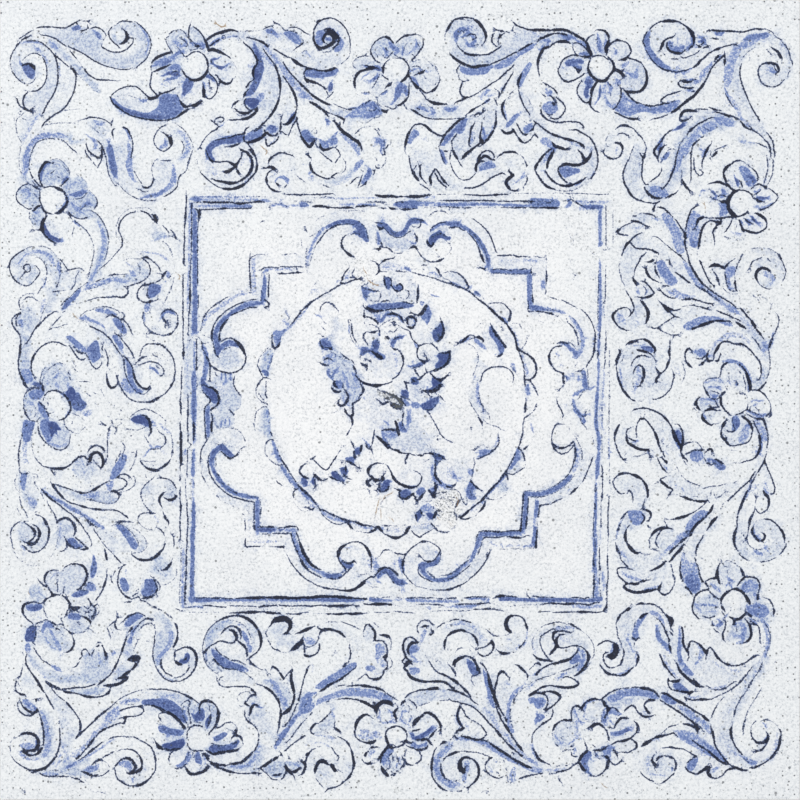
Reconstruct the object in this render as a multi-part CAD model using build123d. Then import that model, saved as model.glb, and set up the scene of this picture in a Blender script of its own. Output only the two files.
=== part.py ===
"""Square glazed porcelain floor tile, dry-pressed and fired as one piece.

Millimetres, +Z up, lying on its back with the glazed face up. The origin is the
middle of the plane that the back's ribs stand on.
"""

import os

from build123d import *

# The slab
face_edge = 600.0  # each side of the square face
tile_thickness = 10.0  # from the ribs' feet to the glazed face
corner_radius = 1.5  # the four corners in plan
arris_radius = 1.2  # the soft edge all round the face

# The heel is the lower part of the edge. It leans in, so that tiles butt at the face.
heel_height = 3.0
heel_inset = 1.0

# The back is a waffle of shallow square keys that the adhesive fills
keys_each_way = 12
key_depth = 0.8
key_corner_cut = 5.0  # the bevel across each corner of a key, along either side
key_draft_angle = 35.0  # the walls' lean from upright, in degrees
rib_width = 6.0  # between neighbouring keys
rim_width = 26.0  # the plain band round the outermost keys

def pressed_slab():
    """The slab before its keys: soft corners, soft arris and a heel that leans in."""
    slab = Box(
        face_edge,
        face_edge,
        tile_thickness,
        align=(Align.CENTER, Align.CENTER, Align.MIN),
    )
    slab = fillet(slab.edges().filter_by(Axis.Z), corner_radius)
    slab = fillet(slab.faces().sort_by(Axis.Z)[-1].edges(), arris_radius)
    back = slab.faces().sort_by(Axis.Z)[0]
    return chamfer(back.edges(), heel_inset, heel_height, reference=back)

def keys():
    """The keys, as one solid for each recess, spread evenly inside the plain band."""
    back_edge = face_edge - 2 * heel_inset
    pitch = (back_edge - 2 * rim_width + rib_width) / keys_each_way
    key_width = pitch - rib_width
    square = Rectangle(key_width, key_width)
    mouth = chamfer(square.vertices(), key_corner_cut)
    key = extrude(mouth, amount=key_depth, taper=key_draft_angle)
    places = GridLocations(pitch, pitch, keys_each_way, keys_each_way)
    return [place * key for place in places]

tile = pressed_slab() - keys()

os.makedirs("parts", exist_ok=True)
export_step(tile, "parts/tile.step")
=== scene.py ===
"""Looks of the glazed porcelain tile: a worn blue-and-white painted pattern under a matt glaze."""

import math

import bmesh
import bpy
import numpy as np
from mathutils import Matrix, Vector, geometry


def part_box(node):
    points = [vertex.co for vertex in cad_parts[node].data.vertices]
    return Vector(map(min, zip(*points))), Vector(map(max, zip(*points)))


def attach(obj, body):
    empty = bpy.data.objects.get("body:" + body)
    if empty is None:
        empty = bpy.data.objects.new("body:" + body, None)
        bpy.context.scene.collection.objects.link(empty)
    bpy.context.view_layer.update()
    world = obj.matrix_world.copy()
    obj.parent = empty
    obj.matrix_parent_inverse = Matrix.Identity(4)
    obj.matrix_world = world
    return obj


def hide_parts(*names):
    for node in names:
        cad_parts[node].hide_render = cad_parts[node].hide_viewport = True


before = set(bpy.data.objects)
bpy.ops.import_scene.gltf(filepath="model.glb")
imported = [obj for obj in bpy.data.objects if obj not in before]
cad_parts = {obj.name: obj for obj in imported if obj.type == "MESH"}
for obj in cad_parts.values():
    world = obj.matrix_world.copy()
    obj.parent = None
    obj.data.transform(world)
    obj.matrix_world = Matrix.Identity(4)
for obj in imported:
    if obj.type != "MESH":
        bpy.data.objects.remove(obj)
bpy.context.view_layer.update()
tile_low, tile_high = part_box("tile")

# The drawing's own units: 800 to the tile's edge, x to the right and y down from the top left corner.
GRID = 800

# The sheet that the strokes are laid on, before they go to the tile's mesh
CELLS_PER_UNIT = 3
LAYERS = ("pen", "blue", "wash", "wear", "rust")
FEATHER = 0.55  # half the width over which a stroke's edge fades, in units
STEP = 0.4  # between places along a stroke, in units
SHAPE_MARGIN = 1  # of cells round a filled shape, in units
SHAPE_SKIP = 3  # of the steps along its outline, for the test of what it holds
NOUGHT = 1e-9  # the least length that is divided by

# A stroke's width in units and its sway, the share of that width by which it changes along its length
PEN_WIDTH = 1.25
FAINT_WIDTH = 1.1
BRUSH_WIDTH = 4.0
STAIN_WIDTH = 1.6
WASH_WIDTH = 7.0
PEN_SWAY = 0.18
FAINT_SWAY = 0.2
BRUSH_SWAY = 0.12
STAIN_SWAY = 0.3
WASH_SWAY = 0.1
SWAY_GAP = 6  # between such changes, in units
TIP_SHARE = 0.75  # of its width that a stroke has at its very end
TIP_SLOPE = 5  # units from its end for each share of the width that it gains

# What matters most when the mesh has room for one vertex only. A stroke's edge has the rank after its line's.
PEN_RANK = 0
STAIN_RANK = 1
BRUSH_RANK = 2
FILL_RANK = 3
WASH_RANK = 6
WEAR_RANK = 8
GROUND_RANK = 9

# The places along a stroke where the mesh wants a vertex: closer together in a bend
BEND_PACE = 1.6
LEAST_BEND = 0.05
CLOSEST_PACE = 1.3  # in units
WIDEST_PACE = 3.0  # in units
FILL_PACE = 2.0  # round a filled shape, in units
TWO_EDGED = 4 * FEATHER  # the width over which each edge of a stroke has an inner and an outer row

chance = np.random.default_rng(1617)
sheet = {layer: np.zeros((GRID * CELLS_PER_UNIT, GRID * CELLS_PER_UNIT), np.float32) for layer in LAYERS}
guides = []  # (rank, x, y) of the places where the tile's mesh wants a vertex


def read_points(text, width):
    """The runs of a stroke from words such as '12,30', or '12,30,4' with a width. A bar parts runs."""
    runs = []
    for run in text.split("|"):
        rows = [[float(n) for n in word.split(",")] for word in run.split()]
        runs.append(np.array([row if len(row) == 3 else [*row, width] for row in rows]))
    return runs


def smooth(rows, closed=False):
    """A Catmull-Rom line through the rows, as places STEP apart."""
    if len(rows) == 2 and not closed:
        count = max(2, int(np.hypot(*(rows[1] - rows[0])[:2]) / STEP) + 1)
        return rows[0] + np.linspace(0, 1, count)[:, None] * (rows[1] - rows[0])
    if closed:
        ends = np.vstack([rows[-1], rows, rows[:2]])
    else:
        ends = np.vstack([2 * rows[0] - rows[1], rows, 2 * rows[-1] - rows[-2]])
    pieces = []
    for a, b, c, d in zip(ends, ends[1:], ends[2:], ends[3:]):
        t = np.linspace(0, 1, max(3, int(np.hypot(*(c - b)[:2]) / STEP) + 1))[:-1, None]
        pieces.append(
            0.5 * (2 * b + (c - a) * t + (2 * a - 5 * b + 4 * c - d) * t**2 + (3 * b - a - 3 * c + d) * t**3)
        )
    if not closed:
        pieces.append(rows[-1:])
    return np.vstack(pieces)


def stamp(layer, x, y, half, strength):
    """One touch of the brush: a soft disc, kept where it is darker than what is there."""
    reach = half + FEATHER
    x0, x1 = int((x - reach) * CELLS_PER_UNIT), int((x + reach) * CELLS_PER_UNIT) + 2
    y0, y1 = int((y - reach) * CELLS_PER_UNIT), int((y + reach) * CELLS_PER_UNIT) + 2
    x0, y0 = max(x0, 0), max(y0, 0)
    area = sheet[layer][y0:y1, x0:x1]
    if not area.size:
        return
    ys = (np.arange(y0, y0 + area.shape[0]) + 0.5) / CELLS_PER_UNIT - y
    xs = (np.arange(x0, x0 + area.shape[1]) + 0.5) / CELLS_PER_UNIT - x
    far = np.sqrt(ys[:, None] ** 2 + xs[None, :] ** 2)
    np.maximum(area, strength * np.clip((reach - far) / (2 * FEATHER), 0, 1), out=area)


def guide_rows(places, rank):
    """Asks for mesh vertices along a stroke: on its line and on both sides of its edges."""
    ahead = np.gradient(places[:, :2], axis=0)
    ahead /= np.maximum(np.hypot(*ahead.T), NOUGHT)[:, None]
    turn = np.abs(np.gradient(np.unwrap(np.arctan2(ahead[:, 1], ahead[:, 0])))) / STEP
    pace = np.clip(np.sqrt(BEND_PACE / np.maximum(turn, LEAST_BEND)), CLOSEST_PACE, WIDEST_PACE)
    run = np.cumsum(STEP / pace)
    chosen = np.flatnonzero(np.diff(np.floor(run), prepend=-1))
    for i in chosen:
        x, y, width = places[i]
        side = np.array([-ahead[i, 1], ahead[i, 0]])
        rows = [0, width / 2 + FEATHER]
        if width > TWO_EDGED:
            rows.append(width / 2 - FEATHER)
        for off in rows:
            for sign in (1, -1) if off else (1,):
                guides.append((rank + (off > 0), x + sign * off * side[0], y + sign * off * side[1]))


def lay(layer, text, width, strength, rank, sway):
    """Lays a stroke along each run of the text, thin at its ends, with the small changes of a hand."""
    for rows in read_points(text, width):
        places = smooth(rows)
        along = np.arange(len(places)) * STEP
        tip = np.minimum(1, TIP_SHARE + np.minimum(along, along[-1] - along) / TIP_SLOPE)
        knots = np.arange(0, along[-1] + 1.5 * SWAY_GAP, SWAY_GAP)
        change = np.interp(along, knots, chance.normal(0, sway, len(knots)))
        places[:, 2] *= tip * (1 + change)
        for x, y, full in places:
            stamp(layer, x, y, full / 2, strength)
        guide_rows(places, rank)


def pen(text, width=PEN_WIDTH, strength=1.0):
    """The dark outline."""
    lay("pen", text, width, strength, PEN_RANK, PEN_SWAY)


def faint(text, width=FAINT_WIDTH, strength=0.5):
    """A thin outline, mostly worn away."""
    lay("pen", text, width, strength, PEN_RANK, FAINT_SWAY)


def brush(text, width=BRUSH_WIDTH, strength=1.0):
    """A cobalt shading stroke."""
    lay("blue", text, width, strength, BRUSH_RANK, BRUSH_SWAY)


def rust(text, width=STAIN_WIDTH, strength=0.7):
    """A small brown stain."""
    lay("rust", text, width, strength, STAIN_RANK, STAIN_SWAY)


def pale(text, width=WASH_WIDTH, strength=0.6):
    """A diluted stroke, for the body of a leaf or stem."""
    lay("wash", text, width, strength, WASH_RANK, WASH_SWAY)


def inside(xs, ys, ring):
    """Which of the places lie in the ring, by crossings."""
    found = np.zeros(np.broadcast(xs, ys).shape, bool)
    for (xa, ya), (xb, yb) in zip(ring, np.roll(ring, -1, axis=0)):
        if ya == yb:
            continue
        found ^= ((ys < ya) != (ys < yb)) & (xs < xa + (ys - ya) * (xb - xa) / (yb - ya))
    return found


def shape(rows):
    """The smooth ring through the rows, and its share of each cell in its part of the sheet."""
    ring = smooth(rows, closed=True)[:, :2]
    low = np.maximum((ring.min(0) - SHAPE_MARGIN) * CELLS_PER_UNIT, 0).astype(int)
    high = np.minimum((ring.max(0) + SHAPE_MARGIN) * CELLS_PER_UNIT, GRID * CELLS_PER_UNIT).astype(int)
    ys = (np.arange(low[1], high[1]) + 0.5)[:, None] / CELLS_PER_UNIT
    xs = (np.arange(low[0], high[0]) + 0.5)[None, :] / CELLS_PER_UNIT
    mask = inside(xs, ys, ring[::SHAPE_SKIP]).astype(np.float32)
    for axis in (0, 1):
        mask = (np.roll(mask, 1, axis) + mask + np.roll(mask, -1, axis)) / 3
    return ring, mask, (slice(low[1], high[1]), slice(low[0], high[0]))


def flood(layer, text, strength, rank):
    """Fills the closed shape of each run with a layer's colour. Strong colours have two rows of vertices."""
    for rows in read_points(text, 0):
        ring, mask, cells = shape(rows)
        area = sheet[layer][cells]
        np.maximum(area, mask * strength, out=area)
        ahead = np.gradient(ring, axis=0)
        length = np.maximum(np.hypot(*ahead.T), NOUGHT)[:, None]
        side = np.stack([-ahead[:, 1], ahead[:, 0]], axis=1) / length
        for off in (FEATHER, -FEATHER) if rank < WASH_RANK else (0,):
            guides.extend((rank, x, y) for x, y in (ring + off * side)[:: int(FILL_PACE / STEP)])


def fill(text, strength=1.0):
    """Closed shapes of cobalt."""
    flood("blue", text, strength, FILL_RANK)


def blot(text, strength):
    """Closed shapes as dark as the outline."""
    flood("pen", text, strength, BRUSH_RANK)


def tint(text, strength):
    """Closed shapes of diluted colour."""
    flood("wash", text, strength, WASH_RANK)


def chafe(text, strength):
    """Closed shapes where the glaze is worn and grey."""
    flood("wear", text, strength, WEAR_RANK)


def wipe(text, layer, keep=0.0):
    """Takes a layer's colour off closed shapes, as where the glaze shows clean."""
    for rows in read_points(text, 0):
        _, mask, cells = shape(rows)
        sheet[layer][cells] *= 1 - mask * (1 - keep)


def corner_scroll_top_left():
    """The twin scrolls that spring from the top left corner."""
    tint("36,30 60,29 78,25 92,30 101,32 104,40 102,48 112,53 126,52 134,44 128,34 118,30 112,34 111,30 "
        "120,23 136,23 148,35 151,46 146,60 136,67 122,69 104,65 86,56 70,48 56,40 44,35", 0.5)
    tint("30,34 20,42 12,56 12,70 20,81 31,82 36,74 32,66 24,66 22,60 30,53 40,56 46,66 46,80 38,90 26,95 "
        "24,104 31,111 20,118 18,130 22,142 30,128 42,113 52,98 57,84 57,66 50,50 40,42", 0.4)
    tint("50,49 75,73 75,88 66,106 46,121 42,112 55,92 58,72", 0.25)
    pale("50,43 60,50 70,60 80,71 90,82 98,90", 6, 0.7)
    pen("36,28 42,27 52,27 65,28 71,25 76,22 80,20|80,31,1.6 85,30,1.6 88,28,1.6 87,24,1.6", 1.7)
    pen("83,33 80,37 81,41", 1.2, 0.6)
    brush("72,29 77,28,5 80,27,2", 3, 0.85)
    pen("76,22,1 79,27,1|84,21,1.5 87,21,1.5|90,29 95,27 101,29", 1.6)
    pen("101,29 105,33 106,36 103,41 101,46", 1.2, 0.8)
    brush("90,29 96,32,3 99,36,4 101,40,2", 1, 0.7)
    pen("101,46,1.5 105,49,1.5 112,52,1.5 120,52,1.5 127,49,1.5 131,45,1.5 133,43,1.5|117,24,1.4 122,21,1.4"
        " 133,22,1.4|136,22 142,27 148,34 151,42 150,51 146,59 140,64 137,67", 1.3)
    brush("138,24 144,31,2.5 148,38,3 148,47,2 145,55,1.5", 1, 0.55)
    pen("112,27 109,31 109,36 112,41 117,45 119,47|124,30,2 127,34,4 127,39,4.5 123,43,3 120,44,2|"
        "128,38,1.4 133,38,1.4 134,40,1.4", 1.3)
    pale("113,34 116,40 121,42", 5, 0.9)
    pen("68,46 76,50 84,54 93,60 103,65 113,68 122,69.5 130,69|41,35,1.7 48,36,1.7 54,38,1.7 60,42,1.7 "
        "67,47,1.7|31,31,1.5 25,35,1.5", 1.4)
    pen("25,35 19,39 17,44", 1.1, 0.8)
    pen("30,36 22,40 17,46|14,50,1.3 11,56,1.3 10,61,1.3", 1.5)
    faint("10,61 11,68 13,73", 1.1, 0.6)
    pen("13,73 17,78 21,82", 1.5)
    faint("21,82 27,84 33,82 36,77", 1.2, 0.65)
    brush("19,44 27,42,3 36,42,2.5 43,45,1.5", 2, 0.5)
    pen("27,41 36,41 42,43 48,48", 1.5, 0.9)
    pen("48,48 53,53 57,63 58,74 57,85 53,95 48,103 42,115", 1.9)
    brush("59,64 60,70,2 59,78", 1, 0.4)
    pen("48,48 55,55 62,61 70,68 75,73 76,78 75,87 72,96 66,106 60,111 52,116 46,121 42,126|71,66,2.2 "
        "75,71,2.2 77,74,2.2", 1.5)
    pen("22,66 23,60 27,56 33,53 38,54", 1.5, 0.75)
    pen("38,54 43,58 46,65 47,72 46,80 42,87 36,91 29,91", 1.4, 0.95)
    pen("29,91 25,95 23,101 24,106 27,110 31,111", 2)
    faint("29,91 23,90", 1)
    pen("17,99 18,103 21,107 26,110", 1.9)
    pen("18,113,1.4 22,110,1.4|30,110 24,113 20,117 24,119|21,112 18,117 16,124 17,133 20,140"
        " 22,144", 1.2, 0.7)
    faint("15,112 14,120 16,128", 1)
    fill("22,66 27,63 33,66 35,72 34,79 29,78 24,72", 0.8)
    pen("22,66 27,64,3.5 33,66,3.5 35,70", 2)
    brush("20,59,1 20,63 23,66", 3, 0.5)
    brush("35,48,3 39,50,4 38,52|43,55 46,59,3 47,63", 2, 0.6)
    brush("50,42 54,46,5 58,49", 2, 0.5)
    brush("42,112,2 36,119 29,130 23,143,3", 4, 0.3)
    pen("70,51 76,58", 1.4)
    faint("76,58 82,66 86,71", 1.1, 0.65)
    pen("85,70 88,74 92,77 97,79.5 104,80 110,80", 2)
    faint("110,80 117,81", 1.2, 0.7)
    faint("77,73 82,79 88,84 93,90 98,92", 1.2, 0.55)
    faint("78,66 86,76 96,86", 1, 0.4)
    pen("42,126 48,120 55,115 62,111", 1.5, 0.85)
    faint("62,111 68,110 78,109", 1.2, 0.7)
    faint("43,126 50,124 60,123 74,123", 1.4)


def stem_top_left():
    """The stem from the corner down to the upper left flower, its torn leaf and the leaf's bell."""
    tint("88,120 106,122 112,140 118,160 116,184 108,172 104,156 98,140 90,130", 0.45)
    tint("118,128 130,130 134,146 133,164 138,180 146,188 154,176 152,164 158,158 166,154 171,160 170,176 "
        "160,190 146,198 136,196 118,186 116,170 114,140", 0.35)
    brush("27,166 26,158 29,148 36,139 44,136 55,135 66,136,4", 6, 0.5)
    brush("24,176 26,166,6 28,156", 5, 0.4)
    pale("24,176 30,182 38,188")
    pen("77,153 70,147 64,141 56,139 46,139 38,142 33,149 30,158 29,166", 1.5, 0.8)
    faint("22,144 20,152 19,162 20,170 24,178 30,184", 1.3, 0.6)
    pen("29,166 31,174 36,182 41,187", 1.5, 0.95)
    pen("31,176 33,182 39,188", 1.3, 0.8)
    pale("70,138 78,144", 5, 0.7)
    pen("85,119 90,117", 1.9)
    pen("90,117 98,118 105,120 111,124", 1.6, 0.9)
    pen("112,122 111,126", 1.2)
    faint("93,128 99,133", 1.2, 0.8)
    brush("94,120 100,124,4 104,123", 2, 0.5)
    brush("93,124 97,128,2", 1, 0.4)
    brush("88,136,2 93,139 96,144,4 94,150", 3, 0.5)
    pen("113,136 112,131 116,127", 1.9)
    pen("97,140 100,143 103,148 106,158", 1.6, 0.9)
    pen("86,144 88,150 91,153", 1.5)
    pen("85,150 87,155 92,161", 1.7, 0.9)
    faint("92,161 96,166", 1.2, 0.8)
    pen("95,156 99,158 102,153 101,148", 2.2)
    pen("98,167 101,161 103,154", 1.5, 0.85)
    faint("78,156 83,165", 1, 0.4)
    brush("109,143 110,150,6 112,160,7 114,170,7 116,178", 3, 0.75)
    pen("106,156 107,166 109,175", 1.5, 0.85)
    faint("109,175 112,181 116,186 117,182", 1.2, 0.75)
    pen("123,127 128,130 131,136", 2.2)
    pen("131,136 133,144 132,152 131,158", 1.7, 0.85)
    brush("128,142,2 130,152 129,164,6 131,174 134,181,3", 5, 0.5)
    brush("124,128,2 128,133 130,139", 3, 0.6)
    pen("134,171 138,178 142,184", 1.3, 0.8)
    pen("143,187 148,188 152,184 154,179", 2.2)
    pen("140,190 145,192 150,190", 1.6, 0.9)
    faint("154,180 152,172 152,166 156,160", 1.2, 0.65)
    pen("117,182 123,189 130,195 138,199", 1.3, 0.7)
    pen("138,199 148,201 157,200", 1.4, 0.75)
    brush("139,199,1 148,196 158,194 166,190", 3, 0.65)


def flower_left_upper():
    """The flower at the top of the left border."""
    tint("42,166 52,160 63,161 70,172 67,180 58,185 46,186 40,178|64,184 76,176 87,182 86,188 96,197 97,206"
        " 88,212 80,218 70,214 66,196|18,190 28,184 40,190 40,202 32,208 20,202|32,210 42,206 44,216 40,228"
        " 32,224", 0.7)
    tint("46,216 60,214 70,216 73,226 66,236 54,238 46,228", 0.15)
    wipe("53,186 60,188 65,197 64,207 58,212 49,213 42,206 40,196 44,188", "wash")
    pen("52,163 46,162,3 42,167,3.5 39,174,3 40,181,2.5 43,187", 2)
    brush("50,163 44,167,4 41,175,3 41,182", 2, 0.8)
    faint("50,160 58,159 65,164 70,172 69,177", 1.1, 0.6)
    pen("62,164 67,170 70,175", 1.2, 0.7)
    pen("58,177 65,179 69,178", 1.6, 0.6)
    brush("62,183 66,179,4 69,178", 2, 0.9)
    pen("62,185 66,181 69,178|50,174 54,171", 1.4)
    brush("46,168,1 48,172,3 46,178,3 48,182|60,166 63,170", 2, 0.35)
    pen("44,188 51,186|55,187,2 61,190,4 63,188,2", 1.9)
    pen("63,190 66,196 67,203,3.5 63,209,3.5 58,213 54,213,1.5", 3, 0.9)
    brush("64,192,2 67,199 64,207 58,212,3", 4, 0.6)
    pen("52,214 46,212 42,206 40,199 40,191", 1.6, 0.9)
    faint("75,174 82,178 87,183")
    pen("82,187 90,191 96,197", 1.2, 0.55)
    brush("70,195 78,194,5 86,191,4", 2, 0.75)
    pen("74,199 82,198 87,193", 1.5, 0.75)
    brush("70,186 76,182,3 82,184,2", 1, 0.35)
    pen("97,200 97,205 94,209", 1.7)
    brush("82,207 88,203,4 92,205,2", 3, 0.7)
    faint("80,210 86,206 92,208", 1.2, 0.7)
    brush("70,202 76,208,5 84,212,3", 2, 0.5)
    pen("68,211,1.7 73,216,1.7 80,219,1.7 88,217,1.7|40,189 34,186 28,184 22,186 17,192 16,197", 1.4, 0.85)
    pen("16,197 18,202 23,206 28,209 33,208", 1.6)
    brush("20,192 26,190,4 30,194,3 27,198", 2, 0.5)
    pen("26,187 31,191 36,196 39,200", 2, 0.55)
    pen("34,187 39,190", 2.2, 0.8)
    pen("33,211 37,207 41,205|41,205,1.6 43,210,1.6 46,213,1.6|29,214,1.4 30,218,1.4", 2.4)
    pen("30,212 29,217 33,224", 1.2, 0.6)
    brush("31,210 36,213,3 41,212,2", 1, 0.6)
    faint("33,218 37,222", 1.5)
    pen("36,230 41,230|46,217,2 43,221,4 42,228,4 45,235,3 50,240,2.5 56,243,2", 1.6)
    brush("44,224,3 46,232 52,238 60,241,4", 5, 0.95)
    faint("60,213 66,213 71,218 74,226 72,236", 1.1, 0.75)
    pen("66,212 71,216", 1.3, 0.8)


def left_border_upper_scroll():
    """Below the upper left flower: the stem, its round scroll and the first big leaves."""
    pale("80,214 92,216 102,226 105,240 103,254 98,266 90,280", 8)
    brush("98,222,3 103,232,5 104,246,5 101,258 97,268,3 92,277 87,286", 4, 0.4)
    pen("90,210 97,214 103,222 107,231 109,240", 1.5, 0.8)
    faint("109,240 107,252 105,260", 1.2, 0.7)
    pen("75,221 80,225 86,230", 1.6, 0.75)
    brush("74,221 79,226,2", 3, 0.6)
    faint("86,230 91,238 94,248 93,258 90,270 88,278", 1.2, 0.7)
    faint("74,217 84,219 90,216", 1.2)
    pen("88,282 78,289 70,297 62,305", 1.3, 0.85)
    brush("80,290,4 74,297 66,304 62,310,2", 5, 0.65)
    pen("97,271 106,264 113,257 119,250 122,246", 1.3, 0.8)
    pen("122,246 122,238 119,231 120,223 124,217 130,213 136,212", 1.6, 0.95)
    faint("116,236 116,226 120,217 127,210 134,208 148,208 152,211", 1.1, 0.55)
    pen("141,211 147,213 152,218 155,222|152,214,1.5 155,218,2.5 156,223,2", 1.7)
    tint("12,258 24,250 40,247 54,253 60,264 62,280 58,300 50,314 44,312 47,296 48,276 44,262 36,256 26,258"
        " 22,264 30,264 38,270 38,278 30,284 18,282 12,272", 0.45)
    brush("20,262,2 24,256 32,252,4 42,252,4 50,257,5 54,266", 3, 0.42)
    pen("24,250 17,254 11,260 9,266", 1.9)
    pen("9,266 11,274 15,280 20,284", 2, 0.95)
    pen("20,284 27,286 33,283", 1.5, 0.8)
    pen("34,281 38,276 40,273", 1.9, 0.9)
    faint("40,271 36,266 32,265", 1.3, 0.8)
    pen("23,269 25,265 30,264", 1.8)
    pen("30,266 30,271 26,272 24,268", 1.6, 0.9)
    pen("26,271 22,276", 1.4, 0.8)
    faint("25,249,1.3 30,247,1.3 36,246,1.3|42,246 50,249 55,254 59,260", 1.2, 0.7)
    faint("33,260 37,257 42,260 46,267 47,274 45,282 41,288 37,295", 1.2, 0.75)
    brush("46,276 45,283,2.5 43,287,1.5", 1, 0.6)
    pen("60,259 64,264 67,269", 1.3, 0.9)
    brush("58,262 59,268,3 60,275", 2, 0.6)
    faint("60,260 61,270 59,280 57,288", 1.3, 0.7)
    pen("67,271 73,269 80,268 84,271", 1.5, 0.85)
    pen("80,270 76,277 75,284 71,290", 1.3, 0.75)
    pen("56,287 59,282", 1.5, 0.8)
    pen("53,292 58,291", 1.5, 0.9)
    faint("58,291 67,290", 1, 0.6)
    pale("68,284 64,278 66,272", 8, 0.35)


def top_left_blue_leaf():
    """The big blue leaf under the first flower of the top border."""
    fill("111,98 118,104 126,108 134,110 141,112 150,112 158,106 160,98 168,95 176,94 180,100 184,108 "
        "178,115 168,119 150,119 136,117 124,112 114,104", 0.62)
    brush("112,99 118,106,5 128,112,6 140,115,5 150,117,4 166,117,4 180,111", 3, 0.85)
    brush("160,98,5 168,98,7 176,99 178,106 168,108,8 160,110", 6, 0.7)
    pen("110,97 115,92 122,88 130,86 137,87 141,90|141,90,1.6 146,95,2 150,98,2.6 155,97,2.2 160,94,1.8|"
        "110,97,2 113,103,2.4 120,109,2.2 130,115,2 140,118,2 152,120,2.4 165,120.5,2 175,118,1.8 "
        "184,112,2.4 190,109,1.6", 1.4)
    faint("116,97 124,95 133,97 139,99", 1.2)
    brush("139,99 143,101,3 147,100,2", 1, 0.7)
    tint("112,97 120,89 132,87 142,93 152,99 158,100 156,108 146,112 130,108 118,103", 0.3)


def top_left_flower():
    """The first flower of the top border."""
    tint("168,36 175,30 184,31 190,27 196,28 205,38 207,50 198,50 186,54 174,52 168,46", 0.5)
    tint("152,66 158,57 170,53 182,54 181,68 170,72 156,71", 0.6)
    tint("160,74 180,70 186,80 194,80 196,96 184,98 170,92 158,90", 0.3)
    tint("208,54 222,54 232,60 235,70 231,80 222,82 210,74", 0.35)
    wipe("185,57 190,54.5 197,54 203,56 206,61 206,68 203,74 197,78 190,77 185,73 183,66 183,60", "wash")
    pen("186,57 191,53.5,1.3 197,51.5,1 203,54 206.5,59,1.8 207.5,64|207.5,60 208,68,2.5 205,75,3.4 "
        "199,79.5,3.4 192,80,3 186,76,2.4 182,70,2|169,34,2 173,31,1.8", 1.6)
    faint("173,31 180,29.5 185,33 187,38", 1.4, 0.6)
    pen("169,36 166,39 168,46 172,51 173,54", 1.4, 0.8)
    brush("173,40 178,44,4 182,47,3 186,43,4 184,38", 2, 0.6)
    pen("180,38 185,41,2.4 188,45,2 185,47,1.4", 1, 0.85)
    pen("174,44 178,48 181,52", 1.3, 0.6)
    pen("190,25,1.8 188.5,32,2.8 189,38|194,27,2 199,31 204,38 207,45,2.6 208,51,2", 2.2)
    brush("190,42 197,45,5 203,45,4 204,49", 3, 0.65)
    pen("189,39 193,42 196,46,3 201,46", 1.6, 0.85)
    pen("191,50 197,49 204,49", 1.5, 0.75)
    pen("172,52 165,54,3.2 158,57,3.2 153,61 151,65,1.8 151,69,1.4|153,72,1.6 160,69 167,66,2"
        " 171,64,1.2", 2.6)
    brush("153,66,3 160,62 168,60 175,57,4", 5, 0.55)
    brush("160,66 166,63,3 171,61", 2, 0.8)
    brush("174,56 180,52,4 183,54", 3, 0.75)
    brush("171,68 177,67,6 180,71", 4, 0.65)
    pen("182,53 184,56,2 186,58,1.4", 1.6, 0.9)
    pen("152,72,1.4 151,78 150,85,2 152,90 157,95,1.6|160,95,1.6 156,98,2.4 151,99,2.4 148,98,2|163,93 "
        "170,91 176,88,1.4|179,85,1.6 180,86,1.6", 1.8)
    brush("163,76 169,73,4 176,74,5 180,76,3", 2, 0.9)
    brush("164,81 170,79,4 178,77,3", 2, 0.75)
    brush("162,84 167,86 170,85,1", 2, 0.35)
    pen("172,73 176,71 180,72", 1.6, 0.8)
    pen("168,80 174,79", 1.4, 0.6)
    brush("189,80 188,85,10 185,91 183,97,2", 6, 0.8)
    brush("184,84 185,90,4", 3, 0.9)
    faint("180,91 178,96 180,101", 1.2, 0.6)
    pen("180,101,2 183,105 187,107 190,104.5,1.5|191,106 196,104.5,3 201,101,2", 2.4)
    pen("188,109 194,108,1.6 200,104,1.2", 1.4, 0.75)
    pen("203,84 204,92,2.8 206,97,1.8 210,99,1.4 214,96,1.6 217,91,1.6 217,83,1.6 213,77 208,73|203,94,3 "
        "204,98,3|209,80,1.4 210,88,1.4", 2)
    brush("206,76 212,78,4 215,82,2", 3, 0.75)
    brush("204,84 204,91,3 206,97", 2, 0.7)
    brush("208,82 209,88", 2, 0.4)
    pen("208,50 214,50 220,52,3 226,55,2.4 230,58,1.4", 3.4)
    faint("230,58 235,65 237,72 234,79")
    pen("217,76,1.6 221,81 226,84,2.8 231,82 233,78,1.2|219,86,1.5 220,82,2.4 223,84,1.5", 2.2)
    brush("211,60,3 214,59 217,59,2|211,63 215,65,2|216,66,2.5 221,68 224,67,2")
    pen("211,60 212,64,2.4", 2, 0.9)
    faint("215,72 222,74 229,72", 1.2, 0.35)


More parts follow.
